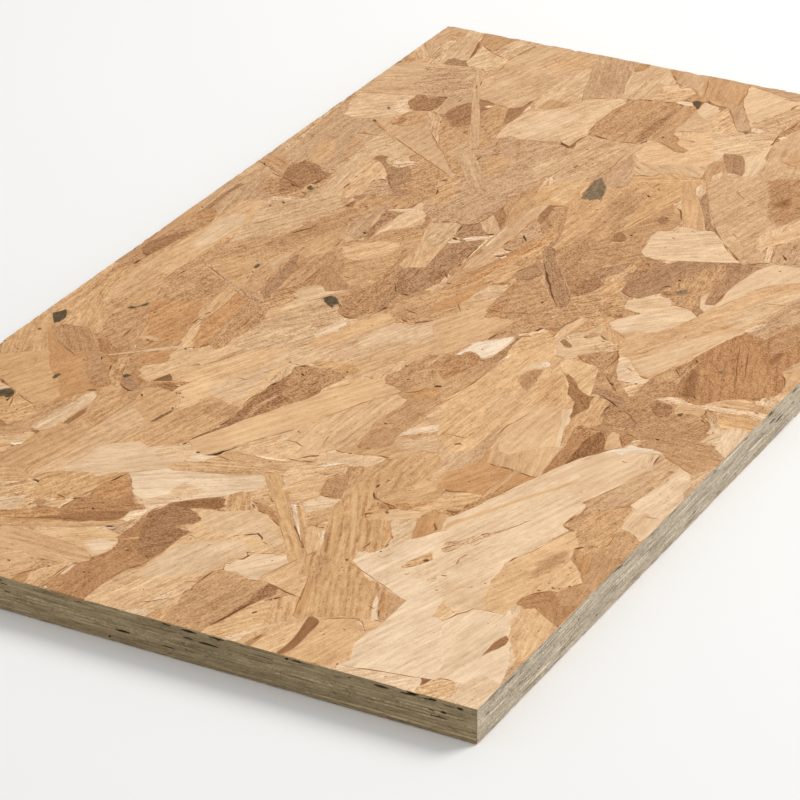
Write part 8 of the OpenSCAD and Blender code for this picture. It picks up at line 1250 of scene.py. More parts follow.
    ("O", -4, (11.5,45.7, 24.8,49.4, 30,47.4, 31.3,42.1, 33.9,41, 34.3,39.6, 34.2,38.6, 33.8,37.4, 36.2,36.2, 37.4,34.1, 36.9,32.8, 36.7,31.7, 30.8,24.3, 20.5,23, 13.9,25.4, 7.2,27.8, 1.6,30.7, 0.3,31.6, -2.1,33.4, -1.4,34, -0.8,35.3, 3.1,41, 3.9,42.2, 3.7,44, 5.5,44.7), {"rim": 0.0, "id": 290.0, "speck": 2.03}),
    ("R", 15, (2.2,40, 12.3,44.3, 16.9,43.3, 14.1,38.1, 5.4,33.9, -0.8,35.3), {"rim": 0.1, "speck": 2.26}),
    ("J", -22, (-24.4,29.4, -7.1,31.9, -1,28, 8.6,22.5, 21.9,17.8, 27,15.7, 23.4,10.7, 20.7,7.5, 19.2,3.5, 6.1,2, -2.3,-0.9, -7.8,-2.8, -13,2.5, -20,11.6, -23.3,15.9, -23,20.8, -23.3,25.3), {"id": 189.0, "rim": 0.0, "speck": 1.43}),
    ("H", -22, (-11.1,32, -1.4,26.1, 9.8,20.2, 24.4,15.5, 20.1,13.3, 5.5,17.9, -6.3,25.2), {"rim": 0.0, "id": 189.0, "d": 2.6, "speck": 2.03}),
    ("O", -2, (49.7,85.8, 58.2,88.7, 66.5,89.6, 74.8,90.5, 83.7,93, 87.5,90.1, 90.9,81.9, 84.3,83.3, 76.6,84.1, 67.8,84.2, 59.3,83.8, 51.4,82.5), {"rim": 0.2, "speck": 2.4}),
    ("C", -8, (53.6,83.7, 65.1,83.9, 75.5,83.4, 85.5,83.9, 90.7,82.4, 97,81.5, 104.4,81.8, 108.2,80.1, 107.6,75.4, 101.6,72.8, 96.4,71.2, 91.1,70.2, 83.6,70.5, 75.9,71.3, 72.2,72.9, 69.9,77.3, 67.1,80, 60.1,82.3), {"rim": 0.3, "speck": 0.85}),
    ("B", -63, (86.9,93.5, 91.6,89.2, 96.2,81.1, 99.3,72.2, 96,72.9, 93.3,74.8, 91.7,76.4, 88.3,77.7, 91,82.6), {"speck": 1.47}),
    ("A", -63, (75.6,158, 79.8,149, 83,140.6, 81.5,137.8, 76.3,147, 71.4,155.6), {"speck": 2.09}),
    ("d", -63, (4.5,58.1, 8.1,57.7, 7.6,55.9, 3.6,55.8)),
    ("P", -39, (101.6,163.6, 111.2,147.9, 102.6,146.8, 96.9,147.4, 93.7,150.7, 94.9,155.8)),
    ("K", -51, (93.5,146.7, 96.9,146.1, 96.4,142.6, 92.8,142.1, 91.7,144.4), {"d": 1.2}),
    ("I", -16, (139.9,92.2, 146.2,83.5, 149.9,77.7, 158.1,67.5, 161.2,58.8, 165.3,52.3, 164.1,45, 145.5,39.8, 134.7,37.4, 122.8,37.4, 113.2,38.6, 103.8,39.9, 94.4,41.1, 90.8,45.3, 91.7,52, 86.7,56.4, 84,59, 85.4,60.4, 86,63.1, 90.6,67.2, 96.4,74.6, 103.5,78.2, 112.8,83.3, 129.3,88.5), {"rim": 0.0, "id": 302.0, "speck": 1.89}),
    ("H", -16, (136.1,87.6, 147.5,77.3, 122.2,67.6, 110.2,67.4, 108,69.1, 106.8,70.4, 107.6,71.4, 107.7,72.3, 107.6,76, 108.1,80.6, 116.1,81.2, 122.5,83.4, 130.6,86.2), {"rim": 0.0, "id": 302.0, "d": 2.6, "speck": 1.8}),
    ("I", -16, (116.4,67, 127,58.2, 128.6,43.5, 124.2,37.5, 109.7,39.9, 100,47.1, 100.1,58.3, 96.9,61.2, 97.9,64, 104.5,64.2, 108.8,65.2, 111.4,65.8), {"rim": 0.0, "id": 302.0, "d": 2.6, "speck": 1.35}),
    ("J", 1, (163.6,46, 166,43.8, 170.1,40.5, 170.6,37.5, 169.5,34.6, 154.2,31.8, 143.1,29.9, 133.7,22, 134.4,29.2, 134.5,34.8, 148.6,39.6), {"speck": 1.11}),
    ("J", 5, (94.5,24, 111.6,30.4, 124.5,34, 138.8,35.2, 135.6,29.8, 134.2,21, 123.2,22.2, 108.6,22.1, 99.7,22.4), {"speck": 0.95}),
    ("E", 1, (84.8,62.5, 91.7,52, 90.9,47.8, 80.6,45.4, 72.8,43.7, 66.2,42.7, 57.8,47.9, 59.1,50, 60.9,52.2, 64.2,55.7, 68.9,57.3, 74.5,59.5), {"speck": 1.19}),
    ("O", -22, (74.4,43.4, 83.1,46.1, 88.4,47.1, 92.5,47.5, 93.1,43.5, 97.4,40.8, 91.3,35.8, 86.6,30.9, 84.2,27.2, 79.6,33.3, 75.3,38.9), {"rim": 0.2, "speck": 2.07}),
    ("G", 23, (97.7,40.3, 104.3,38.9, 111.8,38.5, 102.2,31.6, 94,25, 88.5,24.5, 86.2,28.8, 90.4,34.7), {"speck": 1.29}),
    ("R", 36, (111.3,39.5, 122.3,38.4, 112.8,31, 104.4,27.3, 92.9,24.4, 95.8,27.1, 104.2,33.3), {"rim": 0.2, "speck": 1.36}),
    ("J", 1, (23.1,20.8, 36,22.3, 43.9,20.5, 51.3,14.2, 38.6,14.7, 27.5,14.8, 19.2,15.1, 12,18.4), {"speck": 0.89}),
    ("R", -4, (31.5,33.7, 38,26.4, 28.9,22.7, 29,25.2, 19.7,27.3, 19.2,28.9, 20.8,31.2, 26.6,32.6), {"id": 290.0, "rim": 0.0, "speck": 2.21}),
    ("O", -4, (44.6,40.8, 56.4,42.3, 66,43.1, 70.3,37.5, 75,33.9, 78,29.4, 79.8,26.1, 69.1,26, 59.4,25.7, 48.9,24.3, 42.2,23.8, 38,26.4, 30.4,33.1, 31.1,34.9, 31.6,37, 32.6,39.1), {"rim": 0.0, "id": 290.0, "speck": 2.04}),
    ("H", -4, (137.9,5.1, 148.7,4.3, 152.3,2.4, 151.6,1.4, 152.2,-0.4, 151.7,-1.5, 152.6,-6, 153.5,-16.5, 152.8,-18.3, 153,-19.2, 154,-21.4, 147.8,-22.5, 143.6,-23, 137,-24.5, 124.3,-19.8, 114.9,-18.4, 105.6,-17, 94,-16.8, 83.2,-15, 87.1,-8.8, 101.8,-6.9, 119.1,-1.2, 133.9,4.3), {"speck": 1.03}),
    ("G", 13, (183.8,6.8, 187.3,5.6, 187.4,3.7, 187.4,2.4, 187.4,-0.1, 181.9,-5.9, 175.2,-9.9, 173.1,-16.5, 165,-16.8, 157.7,-18.3, 151.1,-17.7, 146.9,-12.4, 160.5,-4)),
    ("N", -5, (84.5,-12, 95.2,-16.2, 109.1,-18.3, 125.5,-19.3, 139.3,-23.4, 133.4,-27.9, 126.1,-32.5, 117,-37.3, 110,-40.3, 97,-46.1, 86.7,-48.9, 79.1,-45, 64.4,-43.3, 51.1,-44, 43.3,-42, 56.2,-32.7, 68.1,-23.8), {"rim": 0.0, "id": 225.0, "speck": 1.61}),
    ("H", -10, (55.4,-52.4, 67.9,-58, 71.3,-60.7, 67.3,-62.1, 67.2,-64.1, 61.3,-65.1, 53.7,-66.2, 48.4,-67.5, 46.2,-58.1, 50.1,-52.7), {"speck": 1.44}),
    ("J", -41, (36.6,-44.8, 44.9,-52.9, 49.4,-67, 51.2,-74.1, 46.3,-74.1, 42,-74.9, 37.4,-76.6, 32.1,-76.9, 28.2,-77.3, 23.1,-70.5, 17.8,-63.3, 16.8,-59.9, 15.2,-55.3, 14.2,-51.9, 13.9,-49.8, 25.3,-48.7), {"id": 226.0, "rim": 0.0, "speck": 2.33}),
    ("L", -32, (16,-17.9, 33.3,-14.8, 43.1,-12.7, 44.9,-14.7, 47.3,-17.9, 46.8,-18.8, 46.7,-19.7, 43.7,-27.2, 34.2,-34.9, 24,-43.6, 22.8,-46.4, 21,-47.8, 19.8,-49.6, 13.4,-48.9, 7.3,-42, 3.8,-35.8, 0.4,-31.7, 0.6,-28.5, -1,-23.4, -0.8,-21.3, 6.2,-17.1), {"id": 203.0, "rim": 0.0, "speck": 1.81}),
    ("a", -23, (-3.7,-15.8, 11.5,-14.3, 21.2,-17.5, 7.8,-22.7, 0.1,-23.2, -2.3,-20.7, -4.7,-18.5, -4.6,-17.2), {"speck": 2.4}),
    ("R", -23, (47,-41.4, 58.8,-43.1, 66.1,-46.6, 59.3,-54.6, 52.2,-54, 45.5,-51.5, 39.9,-48.4, 40.9,-42.7), {"rim": 0.2, "speck": 2.16}),
    ("I", -15, (73,12.9, 85.4,13.8, 96.4,14.6, 110.9,14.7, 116.4,12.6, 104.2,5.2, 97.2,-0.7, 88.7,4.6, 78.2,8.3), {"speck": 1.75}),
    ("L", 18, (108.3,8.5, 115.5,8.5, 127.5,10.9, 136.1,11.5, 139.6,11, 139.2,9.2, 139.7,7.3, 139.3,5.2, 124,0.6, 106.8,-5.5, 95.1,-7.8, 90.9,-5.1, 98.5,2.3), {"speck": 1.45}),
    ("H", 0, (67.6,-3.8, 79.8,-2.9, 90.1,-3.7, 83.2,-9.6, 71.7,-11.8, 65.3,-10.3), {"speck": 1.63}),
    ("H", -20, (31.9,6.4, 46.7,7, 56.9,3.3, 58.4,-4.9, 62.8,-8, 51.3,-7.3, 47.1,-7.1, 38.4,-6.3, 34.5,-3.6, 33.8,-1.5, 34.6,-0.3, 34.8,0.8, 32.7,2.8, 32,4, 31.2,5.3), {"id": 318.0, "rim": 0.0, "speck": 1.3}),
    ("O", -31, (46.6,-6.2, 54,-7.1, 61.9,-9, 69.9,-11, 66.4,-15.1, 57.9,-20, 52.3,-19.9, 45,-16.5, 43.7,-14.9, 41.8,-12.7, 41,-11.4, 42.4,-11.3), {"speck": 1.75}),
    ("X", -22, (-5.7,13.7, 15.8,8.6, 30.2,4.3, 29.6,-2.5, 22.7,0.4, 11.8,0.6, 4.2,2.4, -5.7,6, -14,9.2, -13.1,11.1, -13.3,13.4, -10.5,13.1), {"id": 189.0, "rim": 0.0, "speck": 0.94}),
    ("E", -23, (9.2,0.4, 24.8,1.5, 32.8,-3.3, 38.3,-8.7, 29,-11.7, 20.1,-12.8, 12.3,-8.1, 7.6,-1.7), {"rim": 0.0, "id": 163.0, "speck": 1.28}),
    ("X", -22, (2.7,18.2, 22,14.9, 42.1,10.5, 59,7.4, 75,3.6, 93.4,1, 104.9,-1.7, 104.7,-3.7, 104.5,-5, 100.9,-5.7, 96.9,-5.7, 78.7,-3.5, 61.6,-0.3, 45.7,3.5, 29,6.6, 14.6,10.9, -2.5,15.4), {"rim": 0.0, "id": 189.0, "speck": 2.4}),
    ("a", -22, (36.6,18.4, 56.6,12.1, 72.5,8.4, 91,5.8, 97.3,1.8, 81.9,1.2, 64.8,4.4, 48.9,8.1, 33.2,11.8), {"rim": 0.0, "id": 189.0, "d": 2.6, "speck": 1.18}),
    ("H", -20, (2.6,15.8, 21.1,11.4, 35,6.8, 51.9,3.7, 68.9,0.5, 84.9,-3.3, 95.6,-4.6, 94.1,-5.9, 82.1,-4.7, 65.5,-1.2, 48.6,2, 31.8,5.2, 17.4,9.4, 1,13.7), {"id": 318.0, "rim": 0.0, "speck": 1.26}),
    ("P", -56, (33,-2.5, 36.8,-5.3, 37.7,-10.2, 33,-7.3)),
    ("b", -13, (142.3,31.3, 154.2,28.7, 163.5,25.3, 175.6,22.7, 180,19, 182.3,16.8, 183.7,14.2, 181.2,11.8, 161.2,9.3, 147.5,6.8, 139.1,5.7, 135.2,8.3, 134.6,10.2, 134.5,11.7, 135.3,13, 134,18.5, 134.3,23.6), {"rim": 0.0, "id": 321.0, "speck": 0.79}),
    ("c", -13, (154.3,22.6, 167.8,20, 177.3,13.5, 160.7,10.3, 146.9,7.8, 140.4,8.8, 138.9,14.8, 139.9,17.9, 142.3,20.2, 145.4,22.4), {"rim": 0.0, "id": 321.0, "d": 2.6, "speck": 0.93}),
    ("O", 33, (80.4,-6.8, 88.6,-6.3, 84.7,-12.4, 76,-17.4, 65.9,-24.9, 54,-33.8, 44.1,-41, 33.9,-47.3, 25.3,-48.7, 21.3,-46.1, 29.6,-39, 39.1,-31.3, 51.3,-23.3, 66.2,-14.6), {"rim": 0.3, "speck": 1.9}),
    ("R", 8, (114.5,13.5, 125.8,14.3, 135.8,16.3, 135.8,12, 124.7,10.7, 114.1,8.4, 109.4,9.1), {"speck": 1.72}),
    ("G", -1, (41,20.7, 55,23.3, 62.9,21.5, 76.6,22.6, 86.4,22.9, 95,23, 100.8,23, 112.5,22.9, 124.3,22.8, 132.7,20.9, 137.9,16.7, 122.2,15.6, 110.4,15.7, 98.7,15.8, 87.6,15, 76.4,14.6, 67.7,14.9, 59.9,13.9, 52.4,14.8, 46.3,15.8), {"rim": 0.3, "speck": 0.71}),
    ("M", 13, (151.1,5.5, 162.2,7.3, 173.4,9.1, 181.7,10.8, 183.5,7.3, 171.1,-1.2, 154.9,-7.6, 153.8,-4.2, 150.6,-0.8), {"speck": 1.59, "d": 1.2}),
    ("W", -51, (66.5,43.4, 71.7,43.1, 71.7,37.6, 69.8,37.3, 66.4,41.5)),
    ("W", -51, (74.7,38.6, 79.2,36.1, 83.6,29.3, 83.6,25.6, 77.8,29.3, 72.6,35.1), {"speck": 1.15}),
    ("W", -44, (63.5,16.4, 68.2,14, 73.5,7.1, 68.5,9.3, 63.9,12.9), {"speck": 2.0}),
    ("W", -44, (62.4,10.3, 66.8,7.8, 65.3,6.1, 62.2,7.9)),
    ("I", -4, (220.6,32.4, 227.2,27.5, 233.5,22.6, 234,19.5, 234.3,17, 233.8,13.1, 233.1,8.2, 208.2,7.5, 193.9,8, 182.6,6.2, 173.4,9.1, 172.6,12.5, 180.5,16.1, 190.9,21.2, 200.2,25, 213.2,29.4), {"speck": 2.0}),
    ("I", 2, (181.1,6.1, 200.2,7.9, 219.8,9.3, 217.8,4, 207.1,-2.4, 195.3,-3.7, 197.1,-5.5, 191.5,-7.3, 186,-9, 181.8,-10.2, 174.4,-7.6, 172.8,-6.6, 171.8,-5.5, 171.6,-3.7, 171.9,-2.7, 175.7,1.6), {"speck": 1.0}),
    ("E", 61, (221.8,11.5, 234.1,12.4, 239,7.6, 244.1,1.9, 248.2,-4.5, 250.2,-7.9, 256.4,-17.3, 255.4,-29, 231.6,-38, 214.7,-41.4, 205.8,-41.9, 205.7,-32.7, 204.3,-24.2, 196.8,-18.5, 191.7,-11.6, 195.6,-4.2, 208.1,-1.3), {"rim": 0.2, "band": 0.6, "speck": 0.53}),
    ("H", -15, (144.4,-7.6, 167.3,-2.5, 174.4,-4.6, 179.4,-11.4, 178.3,-21.1, 174.8,-25.9, 169.8,-19.1, 170.9,-12.4, 161.1,-11, 146.9,-12.4, 136.7,-12.6), {"speck": 1.48}),
    ("L", -5, (131.5,-13.9, 152.7,-12.1, 164.3,-11.3, 172.1,-11.8, 172.2,-17.9, 173.6,-26.4, 165.3,-27.9, 149.5,-28.8, 137.6,-28.5, 123.4,-29.3, 112.5,-30.4, 103.8,-27.5, 105.9,-25.1, 107.4,-22.5, 111.3,-19.8, 117.5,-17.7, 122.5,-15.5), {"rim": 0.0, "id": 225.0, "speck": 1.35}),
    ("b", -10, (120.7,-32.4, 137.6,-31.5, 151.9,-30.7, 168.7,-28.7, 177.5,-28.2, 183.3,-21.8, 188.1,-13.4, 195.5,-16, 200.7,-19, 200.3,-20.4, 199.3,-21.4, 199.3,-23.4, 198.5,-33.6, 187,-40.8, 174.1,-45, 164.1,-40, 153.3,-39.1, 143.7,-37.6, 127.2,-36.5), {"rim": 0.1, "speck": 1.09}),
    ("b", -63, (188.9,-6.2, 195.5,-16, 196.8,-21.5, 200.8,-38.1, 202.7,-39.3, 204.4,-39.7, 205.8,-41.5, 204.1,-44.5, 200.4,-46.2, 192.1,-36, 188.2,-22.5, 186.8,-14), {"speck": 1.02}),
    ("L", -38, (102.2,-27.1, 109.6,-33.1, 111.3,-34.9, 112.1,-36.5, 112.2,-37.2, 112,-37.8, 116.8,-41.5, 118.2,-43.4, 118.9,-44.4, 119.9,-45.9, 119.2,-46.3, 122.9,-50.5, 111.6,-53.5, 103.8,-54.9, 97.7,-59.5, 89.7,-57.5, 82.7,-52, 74.2,-40.9, 76.1,-35.3, 77.1,-31.1, 82.5,-29.2, 89.1,-29.6, 97.1,-28.1), {"id": 336.0, "rim": 0.0, "speck": 1.64}),
    ("L", -38, (120.1,-33.9, 133,-36.7, 147.3,-38.9, 160.5,-41.7, 168.5,-42.8, 163.4,-50, 153.2,-56, 145.6,-58.3, 135.2,-57.8, 128.7,-50.7, 120.1,-50.7, 120.4,-45.7, 118.5,-43.6, 117.9,-42.3, 118,-41.7, 117.9,-41), {"rim": 0.0, "id": 336.0, "speck": 1.11}),
    ("R", -38, (143.4,-42.6, 152.1,-43.9, 150.2,-50.2, 142.4,-52, 139.2,-48.7), {"rim": 0.0, "id": 336.0, "d": 2.6, "speck": 1.12}),
    ("H", 24, (194.8,-35.4, 201.3,-39.1, 197.9,-44.3, 183.9,-49.5, 176.5,-55.4, 161.7,-64, 143.6,-74.1, 138.5,-67, 138.2,-63.6, 156.7,-54.3, 157.7,-48.5, 159.7,-46.2, 163,-45.9, 167.4,-43.9, 169.9,-45.6, 174.6,-46), {"speck": 0.76}),
    ("L", 12, (207.5,-42.3, 224,-38.4, 232.1,-39, 233.4,-44.6, 225.1,-49.6, 217.1,-48.9, 211.3,-46.7, 203.8,-47.1), {"speck": 0.91}),
    ("B", 11, (254.3,-27, 259.4,-31.5, 264.3,-38.2, 272.4,-42.6, 270.9,-48.5, 273.7,-52.1, 270.7,-58.8, 247.5,-62.9, 229.3,-66.7, 219.2,-65.1, 224.4,-60.3, 239.8,-54, 246.7,-49.1, 244.9,-39.4, 232.4,-42.6, 230.1,-38.1, 233,-35.4, 236.2,-31.9, 239.5,-29, 242.9,-20.5, 247.2,-24.6), {"rim": 0.2, "speck": 0.41}),
    ("G", 10, (225,-67.3, 245.7,-65.5, 270.4,-58.3, 274.6,-61.3, 277.6,-62.9, 280,-66.8, 281.9,-69.2, 280.8,-71.6, 279.2,-75.4, 275.1,-84, 269,-87.8, 256.2,-90.9, 251.7,-91.2, 242.3,-93.1, 233.2,-95.2, 228.9,-92.3, 225,-90.9, 227,-87.4, 227.4,-83.9, 221.8,-76), {"id": 340.0, "rim": 0.0, "speck": 1.03}),
    ("J", -40, (247.3,-71.5, 255.7,-75.8, 266.2,-81, 265.9,-84.4, 265.7,-88.5, 262,-89.1, 257,-90.3, 253.3,-90.1, 247.1,-89.3, 245.1,-86.8, 244.1,-85.1, 243.6,-83.4, 243.7,-82.8, 245,-76.2), {"speck": 0.82}),
    ("G", -11, (202.4,-47.1, 210.9,-51.8, 219.6,-56.9, 219.7,-66, 224,-69, 224.9,-70.8, 224.5,-72.1, 223.5,-73.5, 228.4,-76.9, 228.3,-79.1, 229.3,-81.5, 228.6,-83.3, 237,-93.6, 230.1,-98.9, 224.8,-101.8, 222.6,-105.1, 212.5,-108.2, 198.1,-111.5, 187.9,-114.8, 175.1,-112.6, 165.5,-108, 159,-103.8, 145.3,-102.3, 144.8,-103.5, 145.2,-105.1, 140.6,-105.9, 136,-106.4, 133.1,-111.8, 130,-116.6, 125.1,-120.6, 117.8,-114.5, 116.4,-113, 114.4,-110.9, 113,-109.2, 114.6,-108.4, 120.8,-101.5, 129.4,-93.6, 139.5,-85.5, 150.5,-76.3, 163.7,-67.9, 180.9,-58.2), {"rim": 0.3, "id": 342.0, "speck": 1.11}),
    ("N", -11, (219.8,-75.1, 234.5,-94.7, 231.2,-100.3, 227.2,-103.4, 217.7,-106.4, 209.4,-108.7, 194.7,-112.7, 187.9,-114.8, 172.7,-110.8, 165.4,-105.1, 175.7,-94, 196,-87.5), {"rim": 0.0, "id": 342.0, "d": 2.6, "speck": 1.44}),
    ("T", -11, (189.9,-90.1, 200.2,-92.8, 202.1,-94.2, 203.8,-96.2, 203.5,-97, 203,-98.1, 195.2,-103.3, 188.9,-99.5, 187.6,-94.2), {"rim": 0.0, "id": 342.0, "d": 2.6, "speck": 0.95}),
    ("D", -26, (135.8,-105.9, 151.3,-108.4, 164.3,-111.5, 184.3,-116.3, 182.6,-119.3, 180.9,-121.7, 177.9,-124.4, 172.4,-126.1, 170.1,-127.7, 160.6,-126.5, 152.7,-119.5, 146.3,-115.3, 137.3,-111.7), {"rim": 0.2, "speck": 0.87}),
    ("I", 4, (125.1,-120.6, 142.3,-115.9, 149.2,-118.1, 153.3,-123.3, 153.6,-129.5, 150.8,-131.4, 149.9,-132.9, 147.7,-133.8, 149.4,-135.1, 139.5,-137.6, 130.7,-139.5, 126.4,-133.8, 126.2,-128.1, 121.7,-124.9), {"speck": 1.41}),
    ("C", 17, (120.9,-117.8, 134.1,-113.7, 139.7,-113.5, 142.9,-115.6, 131,-118.5, 122.6,-121.1), {"speck": 1.58}),
    ("E", -41, (134.6,-130.8, 143.2,-134, 142.6,-135.7, 140.5,-138.2, 137.8,-137.9, 134.1,-138, 133,-133.2)),
    ("H", -1, (76.6,-56.2, 87.9,-56.6, 94.4,-57, 92.8,-60.7, 79.5,-61.8, 77.7,-60.6, 75.7,-58.9, 76.1,-57.7)),
    ("N", -23, (88.3,-57.5, 95.5,-60.6, 97.2,-69.2, 87.9,-70.1, 79.8,-65.2), {"speck": 1.58}),
    ("B", -56, (103.5,-54.4, 114.3,-53.4, 124,-50, 131.5,-50.6, 136.6,-59, 141.8,-61.2, 143.2,-62.5, 143.8,-66.3, 142.7,-71, 145.9,-78.4, 139,-84.5, 128.9,-92.6, 121.5,-100.1, 115.7,-107.9, 111,-97.3, 107.2,-87.3, 101,-72.7, 99.6,-64.5, 99.4,-58.7), {"rim": 0.3, "speck": 0.74}),
    ("Z", -1, (108.2,-33.1, 117.4,-31.6, 123.4,-33.5, 114.9,-40.6, 111.3,-40.6), {"speck": 1.65}),
    ("O", 23, (177.4,-54.4, 185.7,-53, 188.9,-53.3, 177.3,-59.8, 163.5,-67.4, 152.4,-74.2, 144.7,-79, 144.6,-73.1, 158.4,-66.1, 171.9,-58.1), {"speck": 1.68}),
    ("O", 22, (244.3,-38.4, 246.7,-49.1, 237.4,-55.4, 224.7,-60.8, 217.7,-62.1, 219.6,-56.9, 218.9,-52.4, 230.8,-45.5), {"rim": 0.3, "speck": 1.33}),
    ("B", 21, (192.1,-44.9, 199,-45, 198.3,-48.1, 190,-52.5, 184,-52.5, 177.4,-54.4, 183.9,-49.5), {"speck": 0.79}),
    ("I", 11, (209.5,-52.1, 219.3,-50.4, 225.9,-49.5, 218,-53.7, 210.9,-54.8)),
    ("E", -10, (167.1,-42.9, 175.7,-43.7, 167.6,-49.6, 161.9,-50.1, 163.9,-46.8), {"speck": 1.95}),
    ("E", -23, (136.1,-56.8, 143.7,-57.4, 148,-58.7, 140.4,-62.2, 134.1,-61.3), {"speck": 2.0}),
    ("G", -58, (229.4,188.6, 239.5,188.8, 252.9,189.5, 263,182, 268.8,174.4, 272.4,165.8, 276.4,155.1, 279,144.9, 281.5,133.6, 278.3,127.8, 276.4,122.7, 270.2,119.1, 267.7,118.1, 258.5,118.6, 253.3,118.8, 247.5,128.3, 244.2,136.5, 239.5,147.3, 236.8,155.8, 232.8,167, 229.4,178.5, 226.1,186.7), {"rim": 0.2, "id": 358.0, "speck": 1.01}),
    ("G", -58, (246.7,174.6, 258.8,164.4, 268.3,149.3, 266.9,135.2, 253.5,141.4, 244.1,156.4, 240.1,167.6), {"rim": 0.0, "id": 358.0, "d": 2.6, "speck": 1.37}),
    ("G", 2, (144,187.8, 162.1,190.3, 176.5,190.7, 192.7,191.3, 210.9,191.6, 222.7,191.6, 229.9,190.9, 228.8,186.2, 218,187.6, 206.2,187.6, 194.6,187.7, 181.7,187, 166.5,184.9, 154.4,183.2, 138.2,180.4), {"speck": 2.4}),
    ("I", -1, (134.8,181, 154.7,182.7, 169.8,184.8, 185,186.9, 197.9,187.6, 208.3,186.8, 216.7,186.8, 206.8,183.3, 195.7,179, 191.6,177.3, 192.2,173, 194.3,165.6, 193.9,160, 188.1,152.2, 182.3,143.1, 178.1,143.4, 175.1,147.6, 175,154.1, 174.1,158.9, 170,159.2, 163.3,150.2, 159.7,144.9, 150.5,144.3, 140.6,145.2, 132.4,145.8, 120.8,144.3, 117.3,145.7, 116,147.9, 117.2,149.8, 117.2,151.3, 126.2,157.8, 125.3,165.7, 119,171.9, 119.6,173.1, 120.3,174.8, 122.7,176.4, 124.1,177.9, 124.8,179.5), {"rim": 0.1, "id": 360.0, "speck": 1.3}),
    ("F", -1, (128.2,166.1, 142.9,171.3, 154.9,172.9, 159.9,169.3, 159.8,163.3, 147.2,156.8, 133.5,152.9, 123.8,156.4), {"rim": 0.0, "id": 360.0, "d": 2.6, "speck": 0.83}),
    ("J", -1, (145.3,154.4, 165.2,159.1, 170.8,154.4, 164.4,148.2, 151.6,148.2, 139.3,147.7, 131.1,148.3), {"rim": 0.0, "id": 360.0, "d": 2.6, "speck": 1.05}),
    ("C", -43, (215.1,186.6, 226.7,187.1, 229.4,178.5, 232.1,169.9, 235.5,161.7, 237.8,155.6, 229.8,154.6, 224.1,152.8, 217.1,147, 211.3,148.5, 204.2,151.2, 199.6,155.3, 198.3,157.2, 196.9,159.3, 196.8,159.8, 197,160.4, 192.4,167.8, 192.3,174.4, 193.9,179.3, 206.5,183.8), {"rim": 0.2, "id": 361.0, "speck": 0.96}),
    ("A", -43, (218.5,160.4, 231.4,161.5, 236.3,156.8, 225.4,153.5, 217.1,147, 211.5,149.9, 208.9,156.5, 214.1,159.3), {"rim": 0.0, "id": 361.0, "d": 2.6, "speck": 1.52}),
    ("G", -9, (182.1,144.9, 192.5,146.8, 193.4,142, 197.8,136.5, 204.6,129.7, 196.4,123.3, 184.6,115, 173.7,105.3, 162.9,95.6, 154.2,88.4, 148.9,83.7, 150.6,78.9, 147.8,76.8, 142.6,80.9, 148.6,91.8, 157.5,106.2, 164.6,118.4, 173.2,130.9), {"rim": 0.1, "speck": 0.9}),
    ("J", -28, (194.6,149.2, 204.3,149.3, 211.3,148.5, 217.1,147, 220.3,143.9, 221.4,142.2, 221.1,140.8, 221,139.3, 215.4,134.2, 204.6,129.7, 200.5,132.8, 196.6,137.2, 193.3,140.6, 193.6,144.7), {"id": 363.0, "speck": 1.46}),
    ("P", -28, (193.2,147.1, 205.6,150, 209.1,148, 204.7,142.2, 197.6,141.7, 192.8,143), {"rim": 0.0, "id": 363.0, "d": 2.6, "speck": 2.29}),
    ("J", -7, (211.6,125.6, 218.3,125.3, 209.6,116.7, 207.3,111.6, 215.6,108.2, 224.4,103.7, 222.5,100, 215,96.1, 208.5,92, 203.4,90, 190.8,84.6, 183.8,82.4, 182.7,90.8, 176.3,97, 164.1,96.3, 174.9,105.9, 195.7,118.4), {"rim": 0.0, "id": 364.0, "speck": 1.58}),
    ("I", -20, (219.8,132, 234.2,136.4, 242.9,135.8, 248.2,128.7, 255.9,120.2, 248,116, 239.2,123.3, 232.6,126.4, 226.9,127.9, 219.1,127), {"speck": 0.85}),
    ("G", 24, (218.5,137.9, 222.6,136.2, 218.8,130.8, 212,124.8, 198.3,119.8, 186.2,112, 174.4,106.9, 184.3,115.5, 196.2,123.8, 196.7,128.6, 200.6,129.2, 203.5,129.4, 206.4,129.4), {"speck": 1.7}),
    ("R", -17, (217.8,126.3, 228.2,128.6, 234,127.1, 240.5,124, 250.6,117.4, 247.2,113.9, 246.5,111.7, 241.7,107.2, 238.3,105.3, 230.9,103.8, 221.9,102.3, 213.2,108.2, 208.5,110.9, 205.4,113.8, 211.4,119.6), {"rim": 0.3, "speck": 1.93}),
    ("R", -38, (224.9,154.6, 233,155, 239.6,155.3, 241.6,149.7, 241.1,144.1, 243.3,141.6, 245.6,138.4, 244.6,138.4, 244.6,137.4, 234.4,135.9, 226.8,134.5, 222,135.8, 219.5,139.1, 218,143.6, 217.5,147.9), {"rim": 0.3, "speck": 2.18}),
    ("J", -7, (162.9,95.6, 177.6,97.7, 184,91.4, 170.1,81.6, 151.9,77.7, 148.5,78.4, 149.8,84.8), {"speck": 1.93}),
    ("E", -20, (154.2,146.3, 167.9,147.5, 174.3,144.5, 176.8,142.2, 177.4,141.6, 177.2,140.3, 176.9,139.4, 173.2,130.9, 167.9,122.8, 162.5,114.7, 156.7,115.4, 149.4,112.7, 149.8,118, 144.1,120, 141.8,115.5, 147.9,124.7, 151.1,127.8, 152,132.1, 145,133.4, 149.6,139.9, 147.7,146.6), {"rim": 0.1, "speck": 1.16}),
